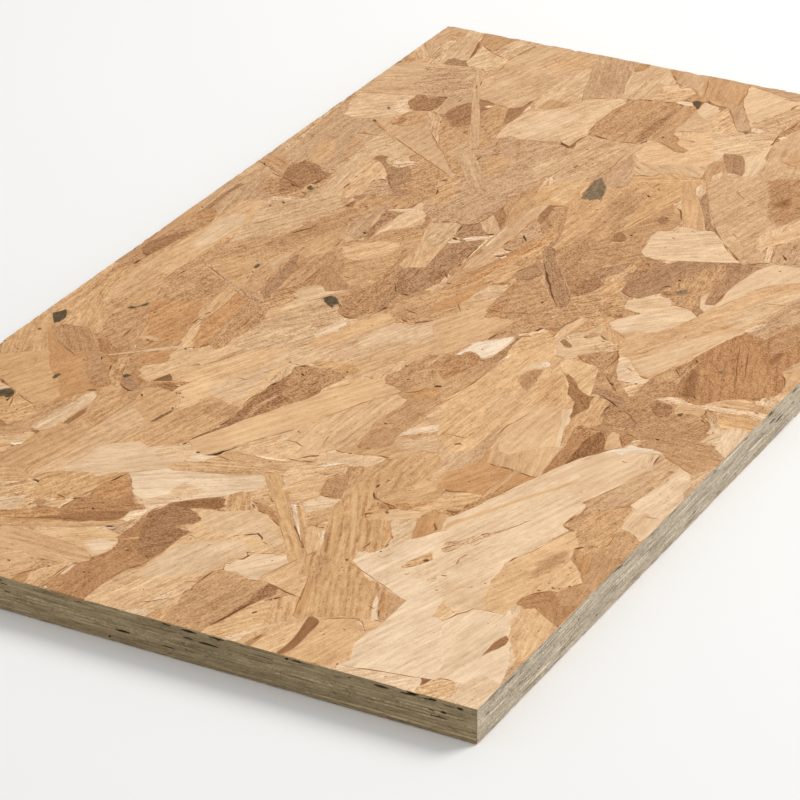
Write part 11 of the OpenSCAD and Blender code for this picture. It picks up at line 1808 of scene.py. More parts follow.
    ("!", 2, (110.3,-98.7, 111.6,-99.9), {"dark": 2.0}),
    ("!", 1.5, (114.5,-110.8, 117.4,-116.4), {"dark": 2.0}),
    ("!", 1.2, (119,-116.9, 122.6,-121.1), {"dark": 2.0}),
    ("!", 1.5, (110.9,-114.7, 113.3,-115.3), {"dark": 2.0}),
    ("!", 1.3, (75.1,-134.7, 77.1,-141.2, 79,-148.8, 80.8,-150.8), {"dark": 1.0}),
    ("!", 1.5, (115.5,-128.8, 116.4,-130.7), {"dark": 1.0}),
    ("!", 1, (58.4,-148.3, 67.6,-151, 77.6,-155), {"dark": 1.0}),
    ("!", 0.8, (29.7,-123.1, 34.6,-127.6), {"dark": 1.0}),
    ("!", 1, (20.5,-117.8, 24.6,-118.2), {"dark": 1.0}),
    ("!", 1.3, (6.2,-177.9, 1.3,-182.8, -7.1,-185.4), {"dark": 2.0}),
    ("!", 1.3, (24.4,-167.2, 28.8,-170.7), {"dark": 2.0}),
    ("!", 0.8, (6.9,-179.2, 14.9,-185), {"dark": 1.0}),
    ("!", 0.8, (26.6,-146.9, 5.4,-154.7, -15.1,-162.9), {"dark": 2.0}),
    ("!", 0.8, (23.3,-152.8, -7.9,-165.1), {"dark": 2.0}),
    ("!", 1.8, (-34,180.8, -30.7,179.7, -25.8,178.4), {"dark": 3.0}),
    ("!", 2.2, (-21.6,179.8, -18.5,179.2), {"dark": 3.0}),
    ("!", 1, (-43,153.9, -36.6,154.7, -29.9,155.2), {"dark": 1.0}),
    ("!", 1.8, (-32.5,152.3, -30,151.3, -26.9,149.5), {"dark": 3.0}),
    ("!", 1.1, (-15.4,146, -20,138.8, -24.9,129.6, -30.3,121.4), {"dark": 1.0}),
    ("!", 0.9, (-34.1,113, -36.8,107.7), {"dark": 1.0}),
    ("!", 1.4, (38.2,124.7, 41.4,122.8, 44.5,120.9), {"dark": 2.0}),
    ("!", 1.1, (34.4,149, 36,148.7), {"dark": 1.0}),
    ("!", 1.4, (1.5,132.4, 2,131.5), {"dark": 1.0}),
    ("!", 1.2, (7.9,141.9, 10.8,141.8), {"dark": 1.0}),
    ("!", 1.6, (-13.4,118, -11.9,117.7), {"dark": 3.0}),
    ("!", 1.2, (-22.2,116.4, -17.3,117.5), {"dark": 2.0}),
    ("!", 1.2, (-62.5,144.2, -57.2,144.4, -53.7,142.9), {"dark": 2.0}),
    ("!", 1, (-61,143.9, -58.2,141.3), {"dark": 2.0}),
    ("!", 1.2, (-72.4,160.8, -70.4,159.6), {"dark": 2.0}),
    ("!", 1.2, (-71.3,153.4, -71.8,151.9), {"dark": 1.0}),
    ("!", 1.8, (-82.4,113.5, -77.5,114.1, -74.5,114.7, -73.8,112.1, -73.9,109.7), {"dark": 3.0}),
    ("!", 1.2, (-69.6,114.1, -65.1,113.2, -63.2,111.9), {"dark": 2.0}),
    ("!", 1.8, (-79.3,138, -76.8,138.3), {"dark": 2.0}),
    ("!", 1, (-113,137.4, -103.3,138.7, -96.5,138.1), {"dark": 2.0}),
    ("!", 1.6, (-106.6,126.3, -106.1,122.9), {"dark": 2.0}),
    ("!", 1.2, (-73.8,89.2, -66.4,90.1, -61.9,89.1), {"dark": 2.0}),
    ("!", 1, (-54.7,90.4, -56,85.4), {"dark": 1.0}),
    ("!", 1.4, (-35.7,95, -34.1,94.7), {"dark": 3.0}),
    ("!", 1.2, (-44.2,77.9, -42,76.2), {"dark": 2.0}),
    ("!", 1.2, (-28.4,83.5, -30,78.9), {"dark": 1.0}),
    ("!", 1, (-23.1,89, -24.5,83.9), {"dark": 2.0}),
    ("!", 0.9, (-39.6,126.2, -33.6,122.5, -29.6,120), {"dark": 1.0}),
    ("!", 0.8, (-42.8,132.3, -44.5,125.1), {"dark": 1.0}),
    ("!", 1.6, (36.6,125.1, 43.5,121.5, 50.4,118, 55.7,114.8), {"dark": 3.0}),
    ("!", 1.4, (101.7,127.7, 107.5,128.4, 112,128.4), {"dark": 2.0}),
    ("!", 1.4, (96.2,159.2, 93.3,153, 93.6,148), {"dark": 3.0}),
    ("!", 1.4, (99.2,147.4, 107,144.2), {"dark": 4.0}),
    ("!", 1.6, (89,146.6, 85.3,142), {"dark": 2.0}),
    ("!", 1.8, (72.3,149.7, 70.8,146.9), {"dark": 3.0}),
    ("!", 1.8, (83.6,116.2, 83.7,113.1), {"dark": 3.0}),
    ("!", 1.8, (84.9,108.1, 85.4,107.1), {"dark": 2.0}),
    ("!", 1.8, (86.7,105.9, 88.3,104.3), {"dark": 3.0}),
    ("!", 1.2, (110.9,114.4, 114.7,111.4, 116,109), {"dark": 2.0}),
    ("!", 1.2, (93.4,91.5, 98.2,90.9), {"dark": 2.0}),
    ("!", 1.4, (95.9,85.3, 99.4,82.8, 105.5,82.4), {"dark": 2.0}),
    ("!", 1.6, (114.9,78.7, 120.9,78.8, 127.1,81.5), {"dark": 3.0}),
    ("!", 1, (110.7,84, 115.6,80.3), {"dark": 2.0}),
    ("!", 2.2, (55.7,88, 59.3,89.4), {"dark": 4.0}),
    ("!", 1, (72,90.2, 62,87.1), {"dark": 2.0}),
    ("!", 1.6, (45.5,88.4, 47,86.8), {"dark": 3.0}),
    ("!", 1, (38.1,91.7, 39.3,88, 38.6,85.2), {"dark": 1.0}),
    ("!", 1.2, (33.4,95.2, 37.9,94.7, 42,95.1), {"dark": 2.0}),
    ("!", 1.6, (27.5,76.5, 28.3,76.3), {"dark": 1.0}),
    ("!", 1.8, (62.9,74, 64.8,73.2), {"dark": 2.0}),
    ("!", 1.4, (51.9,70.4, 52.9,69.8), {"dark": 1.0}),
    ("!", 1.4, (52.7,64.7, 54.1,64.8), {"dark": 2.0}),
    ("!", 1.4, (43.3,59.5, 47.8,59, 50.8,58.8), {"dark": 2.0}),
    ("!", 0.9, (69.6,76.5, 71,72.3, 75.9,71.3), {"dark": 1.0}),
    ("!", 1.4, (89.7,60.1, 89.7,55.8, 92.6,53.1), {"dark": 2.0}),
    ("!", 1, (90.6,71.2, 96.4,71.2, 102.1,71.8), {"dark": 1.0}),
    ("!", 1.4, (20.4,39.1, 28.1,40.3, 32.9,40.5), {"dark": 2.0}),
    ("!", 2, (-0.2,35.6, -0.1,32.7, 0.1,29.8), {"dark": 4.0}),
    ("!", 1.2, (9.9,43.6, 2.2,40, -0.2,36.8), {"dark": 3.0}),
    ("!", 0.9, (-35.2,75.9, -26.4,71.9, -18.1,67.6, -10.9,62.7), {"dark": 1.0}),
    ("!", 0.7, (-15.2,72.3, -11.6,65.3), {"dark": 1.0}),
    ("!", 1.2, (-28.6,84, -31.5,79.2), {"dark": 1.0}),
    ("!", 1.4, (-20.7,35.1, -16.2,34), {"dark": 3.0}),
    ("!", 0.8, (-11.6,87.8, -2,87.8, 10.1,88.6), {"dark": 2.0}),
    ("!", 0.9, (18.2,94.5, 27.2,93.5), {"dark": 1.0}),
    ("!", 0.8, (4.5,72.6, 4.1,68.1), {"dark": 2.0}),
    ("!", 1.4, (23.1,20.8, 21.9,17.8), {"dark": 2.0}),
    ("!", 1, (32.5,31.8, 28.8,25.6), {"dark": 2.0}),
    ("!", 2.4, (73.7,44.8, 73,42, 72.3,39.2), {"dark": 4.0}),
    ("!", 2, (62.8,13.6, 65.6,10.8, 68.2,8.6), {"dark": 4.0}),
    ("!", 1.6, (74.2,13.5, 73.2,9.9, 74.1,6.8), {"dark": 3.0}),
    ("!", 1.4, (76.7,15.4, 80.5,14.9, 86.5,14.4), {"dark": 2.0}),
    ("!", 1, (86.5,14.4, 96.4,14.6, 109.8,15.4, 119.3,15.4), {"dark": 1.0}),
    ("!", 1.8, (94.9,12, 90.9,8.7, 86.6,6), {"dark": 4.0}),
    ("!", 1.4, (85.3,8.3, 86.1,6.9), {"dark": 3.0}),
    ("!", 1, (89.1,12.1, 90.4,9.7), {"dark": 3.0}),
    ("!", 1.6, (68.2,-2.3, 69.7,-3.9), {"dark": 3.0}),
    ("!", 1.2, (91.4,46.9, 92,42.9, 96.3,40.2, 105.7,39, 112.1,38), {"dark": 2.0}),
    ("!", 1.6, (85.2,30.8, 86.2,27.6, 89.3,25.6), {"dark": 3.0}),
    ("!", 1, (78.1,44.7, 91.4,46.9), {"dark": 3.0}),
    ("!", 1.2, (51.5,24.5, 62.1,25.9, 71.9,26.2), {"dark": 3.0}),
    ("!", 1.6, (43.5,23.9, 47.3,24.7), {"dark": 2.0}),
    ("!", 2, (21.6,18.2, 23.2,17.9), {"dark": 3.0}),
    ("!", 1, (33.3,27.5, 27.8,22.1), {"dark": 2.0}),
    ("!", 1.4, (134.2,18, 135.6,12.5, 139.2,7), {"dark": 2.0}),
    ("!", 1.6, (130.1,11.6, 131.8,11.2), {"dark": 2.0}),
    ("!", 1.4, (111.4,5.2, 112.4,3.3), {"dark": 2.0}),
    ("!", 1.8, (141.8,-8.2, 141.6,-10.8), {"dark": 2.0}),
    ("!", 1.4, (70.6,-12.4, 58.1,-20.5, 44.7,-29, 32.8,-37.4, 24.2,-44), {"dark": 3.0}),
    ("!", 1.2, (49.3,-6, 54,-7.1, 58.7,-8.3), {"dark": 2.0}),
    ("!", 1, (42.6,-11.8, 46.1,-15.9, 49.9,-19.3), {"dark": 2.0}),
    ("!", 1.2, (44,-17, 44.4,-18), {"dark": 2.0}),
    ("!", 1.2, (34.6,-4.1, 36.5,-7.8), {"dark": 2.0}),
    ("!", 1, (1.9,4.2, 9.9,-3.4, 15.6,-9.3), {"dark": 1.0}),
    ("!", 1.2, (50.7,-40.7, 53.6,-41), {"dark": 3.0}),
    ("!", 0.8, (122.8,37.4, 115.2,37.8), {"dark": 2.0}),
    ("!", 1, (184,6.3, 196.9,8.2, 212,9.3, 222.9,9.5), {"dark": 1.0}),
    ("!", 1.4, (189.2,-6.7, 194.2,-10.5, 195.4,-17.3), {"dark": 2.0}),
    ("!", 1, (204.3,-3.1, 201.6,-6.9), {"dark": 1.0}),
    ("!", 0.8, (196,-17, 202.3,-20.2), {"dark": 1.0}),
    ("!", 2, (205.8,-41.9, 205.9,-43.7), {"dark": 2.0}),
    ("!", 0.9, (204.5,-36.4, 205.8,-41.9), {"dark": 1.0}),
    ("!", 2, (180.8,-27.3, 182.1,-28.5), {"dark": 2.0}),
    ("!", 2.2, (169.2,-26.7, 172.7,-26.2), {"dark": 3.0}),
    ("!", 1.2, (175.2,-42.7, 176.9,-43.1), {"dark": 2.0}),
    ("!", 0.8, (159.3,-39.3, 167.8,-41.3, 174.6,-43), {"dark": 1.0}),
    ("!", 1.6, (164.2,-46, 161.9,-50.1, 155.3,-54.4, 148.2,-57.7), {"dark": 2.0}),
    ("!", 1.8, (148.7,-47.3, 149.4,-48.7), {"dark": 3.0}),
    ("!", 0.9, (120.7,-32.4, 131.8,-34.3, 144.9,-37, 158.1,-39.8), {"dark": 1.0}),
    ("!", 2, (118.8,-39.9, 122.1,-40.7), {"dark": 3.0}),
    ("!", 1.2, (109.2,-33.8, 110.9,-38.4, 113.3,-40.2), {"dark": 3.0}),
    ("!", 1, (109,-51.2, 113.9,-52.4), {"dark": 2.0}),
    ("!", 1.2, (99.5,-57.5, 97.8,-62.4, 98,-68.2), {"dark": 1.0}),
    ("!", 1.2, (82.4,-56.9, 91.6,-57.1), {"dark": 1.0}),
    ("!", 1.6, (92.4,-62.7, 90.3,-66.6), {"dark": 2.0}),
    ("!", 1.8, (155.4,-71.7, 147.3,-78.4, 136.9,-86.1), {"dark": 2.0}),
    ("!", 1.4, (136.9,-86.1, 130.3,-92.6, 122,-101, 115.7,-107.9), {"dark": 1.0}),
    ("!", 1.8, (131.9,-90.1, 128.3,-94.1), {"dark": 1.0}),
    ("!", 1.2, (114.6,-108.4, 117.8,-114.5, 123.2,-119.6), {"dark": 2.0}),
    ("!", 1.4, (141,-114.7, 145.5,-115.1, 149.2,-118.1), {"dark": 1.0}),
    ("!", 1.6, (136.9,-121.7, 131.9,-125.7, 129,-128.1), {"dark": 3.0}),
    ("!", 1.6, (147.4,-122.9, 145.2,-126.8), {"dark": 1.0}),
    ("!", 1.2, (136.2,-112.2, 140.4,-112.1), {"dark": 1.0}),
    ("!", 0.9, (123.7,-120.6, 131.2,-119, 138.6,-116.9), {"dark": 1.0}),
    ("!", 0.9, (200.1,-66.4, 194.1,-72.1, 189.3,-77.3), {"dark": 1.0}),
    ("!", 2.2, (195.9,-95.9, 195.7,-98.4), {"dark": 3.0}),
    ("!", 1.2, (161.1,-94, 160.5,-95.5), {"dark": 1.0}),
    ("!", 1, (147.7,-87.6, 143.4,-93.1), {"dark": 1.0}),
    ("!", 1.4, (247.5,-72, 245,-79.2, 243.8,-85.8), {"dark": 1.0}),
    ("!", 1.4, (128,-60.6, 127,-64), {"dark": 1.0}),
    ("!", 1, (139.7,-66.4, 140.3,-70.3), {"dark": 1.0}),
    ("!", 0.9, (114.6,-62.2, 115.6,-64.1), {"dark": 1.0}),
    ("!", 1.4, (219.9,3.1, 221,2.4), {"dark": 1.0}),
    ("!", 0.8, (192.5,177.2, 192.2,173), {"dark": 1.0}),
    ("!", 1, (190.3,157.4, 186.8,151.5, 182.6,143.9), {"dark": 1.0}),
    ("!", 1, (182.6,143.9, 174.5,131.6, 166.4,119.4, 159.3,107.2, 150.4,92.7, 144.5,83.2), {"dark": 1.0}),
    ("!", 1.2, (170.2,158.6, 175,158.7, 175.6,154.4, 175.7,147.9), {"dark": 1.0}),
    ("!", 1.2, (159.9,172.5, 162.1,169.8, 163.2,169.2, 161.9,167.1, 164.2,165.7), {"dark": 1.0}),
    ("!", 1.4, (122.1,147.7, 122.5,144), {"dark": 2.0}),
    ("!", 1, (205.9,183.4, 207.6,181.7), {"dark": 1.0}),
    ("!", 1.2, (101.5,128.2, 108.9,128.6, 113.5,128.6), {"dark": 2.0}),
    ("!", 1.6, (117.5,129.6, 122.1,129.6), {"dark": 1.0}),
    ("!", 1.2, (124.5,131, 127,129.2, 131.6,129.2), {"dark": 1.0}),
    ("!", 2, (122.8,117.9, 123.4,113.7, 124.1,110.9), {"dark": 3.0}),
    ("!", 1.6, (127.4,113.4, 126.7,111.7), {"dark": 3.0}),
    ("!", 1, (117.1,118.5, 122,118), {"dark": 2.0}),
    ("!", 1.2, (148,133.8, 152,132.1), {"dark": 3.0}),
    ("!", 1.1, (155.5,116, 160,116.5, 161.7,114.9, 161.1,111.3), {"dark": 2.0}),
    ("!", 1.8, (143.2,115.7, 144.3,115), {"dark": 3.0}),
    ("!", 1.4, (148,109.4, 148.8,107.9), {"dark": 2.0}),
    ("!", 1.8, (135.1,86.5, 137.9,84.1, 140,81.5), {"dark": 3.0}),
    ("!", 1.1, (143.8,81.6, 147.9,78.1), {"dark": 2.0}),
    ("!", 1.8, (220.1,142.7, 220.8,139.8), {"dark": 4.0}),
    ("!", 1.2, (198.2,126.2, 191.6,120.1, 181.6,111.5, 173.7,105.3), {"dark": 1.0}),
    ("!", 1.6, (208.7,124.7, 210.5,124.4), {"dark": 3.0}),
    ("!", 1.6, (250.5,160.6, 251,159.5), {"dark": 1.0}),
    ("!", 1, (226.2,188.1, 230.1,178.9, 233.5,167.3, 236.1,162.1), {"dark": 1.0}),
    ("!", 1.6, (239.4,145.9, 242.2,142, 244.9,136.8), {"dark": 3.0}),
    ("!", 0.8, (257.5,157, 257.1,152.7, 257.1,149.4), {"dark": 1.0}),
    ("!", 1, (178,118.6, 177.8,115.9), {"dark": 1.0}),
    ("!", 0.9, (202.1,152, 203.8,150.3), {"dark": 1.0}),
    ("!", 1.2, (132.2,98.2, 134,94.7), {"dark": 2.0}),
    ("!", 0.8, (165.3,137, 166.2,132.2), {"dark": 1.0}),
    ("!", 1.2, (305.2,155.5, 313.3,157, 321.4,158.6), {"dark": 2.0}),
    ("!", 1.2, (315.7,145.4, 313.1,140, 312.7,135.7), {"dark": 1.0}),
    ("!", 1.4, (308.1,132.7, 313.9,131.6, 319.7,130.6), {"dark": 1.0}),
    ("!", 1.8, (321.1,131.3, 323.2,129), {"dark": 2.0}),
    ("!", 1.8, (291.8,130.3, 295.7,129.6, 303.7,131), {"dark": 1.0}),
    ("!", 2.2, (289.2,138.9, 291.8,138.9), {"dark": 1.0}),
    ("!", 1.4, (249,120.5, 247.8,114.6, 246.9,108.2), {"dark": 1.0}),
    ("!", 1.2, (246.3,107.9, 246.8,103.6, 245.4,98.3), {"dark": 1.0}),
    ("!", 1.8, (251.5,92.9, 257,91.8, 262.9,90.2), {"dark": 2.0}),
    ("!", 1, (266.9,128.6, 275.5,131.8), {"dark": 2.0}),
    ("!", 1.2, (260.5,127.8, 268.8,131.6), {"dark": 1.0}),
    ("!", 1.2, (277,66, 280.8,63.3, 282.2,57.5, 285.5,52.6), {"dark": 1.0}),
    ("!", 1.4, (232.4,40.7, 232.9,36.5, 231.5,31.4, 231.1,26.1), {"dark": 2.0}),
    ("!", 1.2, (233.4,41.9, 242.7,42.6, 255,44.2), {"dark": 2.0}),
    ("!", 0.9, (209.6,69.5, 210.9,63.8, 211.8,55.9), {"dark": 1.0}),
    ("!", 2.6, (216.1,50.5, 213.1,47, 212.5,43.6, 212.9,41.2), {"dark": 3.0}),
    ("!", 2, (210.7,43.9, 209.9,41), {"dark": 4.0}),
    ("!", 1, (208.8,81.9, 208.7,77.4, 209.5,72.7), {"dark": 1.0}),
    ("!", 1.6, (169.4,79.9, 175.1,81, 178.9,79.8), {"dark": 3.0}),
    ("!", 1.2, (179.1,79.3, 183,74.9, 186.5,71), {"dark": 2.0}),
    ("!", 1.6, (193.1,56.6, 194.3,56), {"dark": 2.0}),
    ("!", 1.2, (182.7,90.8, 184.3,87.8), {"dark": 2.0}),
    ("!", 1, (191.4,80, 201.5,82), {"dark": 2.0}),
    ("!", 1.8, (200.7,105.5, 206.4,103.9), {"dark": 3.0}),
    ("!", 1.2, (213.1,100.3, 215.7,98.4), {"dark": 3.0}),
    ("!", 1.6, (209,95.6, 212.4,95.4), {"dark": 3.0}),
    ("!", 1.2, (287.8,74.6, 288.3,73.5), {"dark": 1.0}),
    ("!", 1.2, (238.2,128.6, 246.3,129), {"dark": 2.0}),
    ("!", 0.9, (228.8,107.9, 222.6,104), {"dark": 1.0}),
    ("!", 1, (212.5,32.8, 212.9,30.5), {"dark": 2.0}),
    ("!", 1, (309,107, 310.6,107.2), {"dark": 1.0}),
    ("!", 0.8, (332.9,171.4, 331.1,167.8), {"dark": 1.0}),
    ("!", 1, (235.1,111.9, 238,109.5), {"dark": 2.0}),
    ("!", 0.8, (309.1,123.8, 308,119.2), {"dark": 1.0}),
    ("!", 1.4, (328.9,57.9, 332.6,55.7), {"dark": 1.0}),
    ("!", 1.6, (340.2,56.1, 342,54.3), {"dark": 1.0}),
    ("!", 1, (326.2,42.9, 333.6,41.8, 339.5,40.6), {"dark": 1.0}),
    ("!", 1.2, (334.9,35.9, 326.3,29.2), {"dark": 2.0}),
    ("!", 1.4, (320.2,24.4, 318.3,21.6), {"dark": 1.0}),
    ("!", 1, (323.2,18.7, 317.9,12.4, 312.1,7.2), {"dark": 1.0}),
    ("!", 1.2, (306.9,30.5, 309.8,26.7), {"dark": 1.0}),
    ("!", 0.9, (310.5,3.8, 321.9,7.8, 337.9,13.2), {"dark": 1.0}),
    ("!", 1.4, (307.7,-0.6, 303.9,-6.2, 302.6,-10), {"dark": 1.0}),
    ("!", 1, (298.5,-11.8, 296.4,-14.1), {"dark": 1.0}),
    ("!", 1.2, (305.2,-18.3, 311.9,-18.5, 327.1,-15.5, 340.3,-11.5), {"dark": 1.0}),
    ("!", 1.2, (303.6,-15.3, 291.3,-23.4, 281.2,-29.2), {"dark": 1.0}),
    ("!", 1, (292.5,0, 301.8,1.1), {"dark": 2.0}),
    ("!", 1.6, (275.9,-31.5, 275.1,-36.3, 274.1,-40.5), {"dark": 1.0}),
    ("!", 1.4, (272.8,-22.3, 276.2,-22.6), {"dark": 1.0}),
    ("!", 1.2, (283.8,-40.5, 286.5,-44.3, 287.7,-48.2), {"dark": 1.0}),
    ("!", 1, (286.7,-36.7, 293.3,-36.9), {"dark": 1.0}),
    ("!", 1.2, (301,-45.4, 295.6,-50.9), {"dark": 1.0}),
    ("!", 1.8, (313.8,-48, 323.7,-48.1, 327.8,-49.4), {"dark": 1.0}),
    ("!", 1.6, (262.6,-58.6, 273.3,-57.6, 282.4,-56.7), {"dark": 2.0}),
    ("!", 1.4, (282.4,-56.7, 292.9,-58.3, 303.5,-60), {"dark": 2.0}),
    ("!", 0.8, (330.1,-34.5, 330.2,-39.5, 331.9,-47.7), {"dark": 1.0}),
    ("!", 1.4, (230.4,22.6, 232.5,15.4, 232.6,9.2), {"dark": 2.0}),
    ("!", 1.6, (232.6,9.2, 235.2,7.2, 241.6,7.2), {"dark": 3.0}),
    ("!", 2.2, (249.1,1.9, 246.8,0.2), {"dark": 3.0}),
    ("!", 1, (252.5,-1.5, 252.3,-6, 245.3,-9.3), {"dark": 1.0}),
    ("!", 0.8, (241.6,0.9, 238.6,-5.6, 234.2,-12.6), {"dark": 1.0}),
    ("!", 1.6, (250.7,-10.5, 249.9,-15.3, 250.4,-19.4), {"dark": 1.0}),
    ("!", 0.9, (209,6, 221.6,5.8, 233.1,5), {"dark": 1.0}),
    ("!", 0.8, (339.2,-12.6, 338.4,-19.4, 336.2,-26.7), {"dark": 1.0}),
    ("!", 0.9, (261.6,40.9, 280.1,40.3), {"dark": 2.0}),
    ("!", 1.6, (259.5,-5.8, 260.7,-6.5), {"dark": 1.0}),
    ("!", 0.8, (259.2,-2.2, 262.2,-9.6, 266.8,-16.9), {"dark": 1.0}),
    ("!", 1.4, (232.2,-14.8, 235.8,-18.7), {"dark": 1.0}),
]


# Tone and depth of a crevice, deeper ones darker: the dark tones are painted shade in the split, partly real grime.
CREVICE_SHADE_DEPTHS = ((lin(168, 116, 66), -0.26), (lin(144, 93, 46), -0.33), (lin(112, 70, 33), -0.40), (lin(82, 54, 28), -0.52))


def crevice(width, line, rng, dark=0.0):
    """A split between strands: a ragged dark sliver, thin at both ends; the dark is painted shade in the split, partly
    real grime.
    """
    d = np.diff(line, axis=0)
    run = np.concatenate([[0.0], np.cumsum(np.hypot(d[:, 0], d[:, 1]))])
    n = max(4, int(run[-1] / 4.6) + 2)
    t = np.linspace(0, 1, n)
    p = np.stack([np.interp(t * run[-1], run, line[:, k]) for k in (0, 1)], -1)
    g = np.gradient(p, axis=0)
    nrm = np.stack([-g[:, 1], g[:, 0]], -1) / np.maximum(np.hypot(g[:, 0], g[:, 1]), 1e-9)[:, None]
    half = 0.50 * width * np.maximum(np.sin(math.pi * t), 0.0) ** 0.5 + 0.05
    p = p + nrm * (rng.normal(0, 0.16, n) * width)[:, None]
    up = p + nrm * (half * rng.uniform(0.45, 1.35, n))[:, None]
    dn = p - nrm * (half * rng.uniform(0.45, 1.35, n))[:, None]
    # Deeper splits take darker tones: painted shade in the split.
    tone, z = CREVICE_SHADE_DEPTHS[int(dark) - 1 if dark else 2 if run[-1] < 6.0 else 1]
    return Strand(
        np.concatenate([up, dn[::-1]]), math.atan2(line[-1, 1] - line[0, 1], line[-1, 0] - line[0, 0]), spread(tone, rng, 0.06),
        z, delta=0.45 * width, rim=0.0, fig=(0.1, 0.5, 1.0), shift=rng.uniform(-400, 400, 2))


def upper_face(rng):
    res = filler(rng, (X0, Y0), (X1, Y1), 330, -0.55, -0.28, *MIX, pitch=3.2, run=22.0)
    n = len(UPPER)
    for i, row in enumerate(UPPER):
        code, deg, pts = row[:3]
        opt = row[3] if len(row) > 3 else {}
        pts = np.array(pts, float).reshape(-1, 2)
        if code == "!":
            res.append(crevice(deg, pts, rng, opt.get("dark", 0.0)))
            continue
        ang = math.radians(deg)
        small = np.ptp(pts, axis=0).max() < 16
        pts = roughen(pts, ang, rng, fray=opt.get("fray", 0.45 if small else 0.7), wave=0.12 if small else 0.3, pitch=3.1, run=17.0)
        z = 0.6 * opt.get("z", -0.45 + 0.42 * (i + rng.random()) / n)
        # Pieces of one strand carry the same number, and the figure runs on from piece to piece.
        place = rng.uniform(-400, 400, 2)
        if "id" in opt:
            place = np.array([opt["id"] * 91.7 % 400.0, opt["id"] * 57.3 % 400.0])
        res.append(Strand(
            pts, ang, spread(TONES[code], rng, 0.01), z, delta=opt.get("d", rng.uniform(0.30, 0.62)),
            rim=min(1.0, 1.5 * opt.get("rim", rng.choice([0.1, 0.3, 0.5], p=[0.4, 0.35, 0.25]))),
            fig=(opt.get("band", 0.25), opt.get("speck", 0.9), opt.get("pitch", 1.0)),
            tilt=rng.normal(0, 0.0004, 2), shift=place))
    return res


def lower_face(rng):
    return filler(rng, (X0, Y0), (X1, Y1), 520, -0.45, 0.0, *MIX, pitch=9.0, run=70.0)


# ------------------------------------------------------------- sawn edges

# The long edges are lighter and the short ones darker: partly the strands cut along or across, partly painted light and
# shade, with the long edges lit and the short ones in shade.
SAWN_LONG_LIT = lin(199, 185, 163)
SAWN_SHORT_SHADED = lin(169, 150, 116)
# Dark tone of the gaps that the saw opened: painted shade in them.
VOID_SHADE = lin(58, 47, 34)


def lens(s, z, length, height, rng, n=5):
    """Cut section of a strand: a long low lens."""
    t = np.linspace(0, 1, n + 1)
    env = np.sin(math.pi * np.clip(t, 0.04, 0.96)) ** 0.45
    up = 0.5 * height * env * rng.uniform(0.75, 1.15, n + 1)
    dn = -0.5 * height * env * rng.uniform(0.75, 1.15, n + 1)
    drift = np.cumsum(rng.normal(0, 0.05 * height, n + 1))
    x = s + length * (t - 0.5)
    return np.concatenate([np.stack([x, z + dn + drift], -1), np.stack([x, z + up + drift], -1)[::-1]])


def kept(p, s0, s1):
    """A section that stays clear of the outline of its edge."""
    return np.stack([np.clip(p[:, 0], s0 + 0.4, s1 - 0.4), np.clip(p[:, 1], Z0 + 0.9, Z1 - 0.9)], -1)


def sawn_edge(rng, s0, s1, base, core):
    """Sections of the strands that the saw cut through, layer by layer.

    core is the share of the thickness in which the strands are cut across.
    """
    res = []
    layers = 11
    zs = np.linspace(Z0 + 0.7, Z1 - 0.7, layers)
    mid = 0.5 * (Z0 + Z1)
    order = rng.permutation(layers)
    for j in order:
        z = zs[j]
        in_core = abs(z - mid) < core * 0.5 * (Z1 - Z0)
        s = s0 - rng.uniform(0, 30)
        while s < s1:
            ln = rng.uniform(12, 36) if in_core else rng.uniform(35, 130)
            ht = rng.uniform(0.9, 1.75)
            k = rng.normal(0, 0.08 if in_core else 0.13)
            if not in_core:
                k -= 0.05
            # The ends of the board are darker towards the upper arris and a little lighter lower down: painted shade.
            if core < 0.5:
                k += 0.07 - 0.36 * max(0.0, (z - mid) / (Z1 - mid)) ** 2
            tone = base * np.exp(k * np.array([1.0, 1.06, 1.2]))
            deep = -rng.choice([0.02, 0.08, 0.16, 0.28], p=[0.35, 0.35, 0.2, 0.1])
            if rng.random() < 0.8:
                res.append(Strand(
                    kept(lens(s + 0.5 * ln, z + rng.normal(0, 0.12), ln, ht, rng, 3 if in_core else 4), s0, s1), 0.0, tone, deep,
                    delta=0.12, rim=rng.uniform(0.0, 0.35 if in_core else 0.9), fig=(1.0 if in_core else 0.15, rng.uniform(0.4, 1.0), 1.0),
                    shift=rng.uniform(-400, 400, 2)))
            s += ln * rng.uniform(0.75, 1.1)
    # Gaps between strands that the saw opened, sunk and painted dark as the shade in them.
    count = int((s1 - s0) / 9)
    for _ in range(count):
        z = rng.choice([rng.uniform(Z1 - 2.6, Z1 - 1.1), rng.uniform(Z0 + 1.2, Z1 - 1.2)], p=[0.45, 0.55])
        ln, ht = rng.uniform(1.5, 11.0), rng.uniform(0.5, 1.4)
        tone = spread(VOID_SHADE, rng, 0.25)
        res.append(Strand(
            kept(lens(rng.uniform(s0 + 6, s1 - 6), z, ln, ht, rng, 4), s0, s1), 0.0, tone, -rng.uniform(0.7, 1.8),
            delta=0.2, rim=0.2, fig=(0.5, 0.8, 1.0), shift=rng.uniform(-400, 400, 2)))
    return res


# ------------------------------------------------------------ panel mesh

class Soup:
    """Collected triangles with their corner data."""

    def __init__(self):
        self.P, self.F, self.tone, self.fig, self.rim, self.grain, self.bake, self.mat = ([] for _ in range(8))
        self.n = 0

    def add(self, P, F, tone, fig, rim, grain, bake, mat):
        self.P.append(P)
        self.F.append(F + self.n)
        self.n += len(P)
        self.tone.append(tone)
        self.fig.append(fig)
        self.rim.append(rim)
        self.grain.append(grain)
        self.bake.append(bake)
        self.mat.append(np.full(len(F), mat, int))


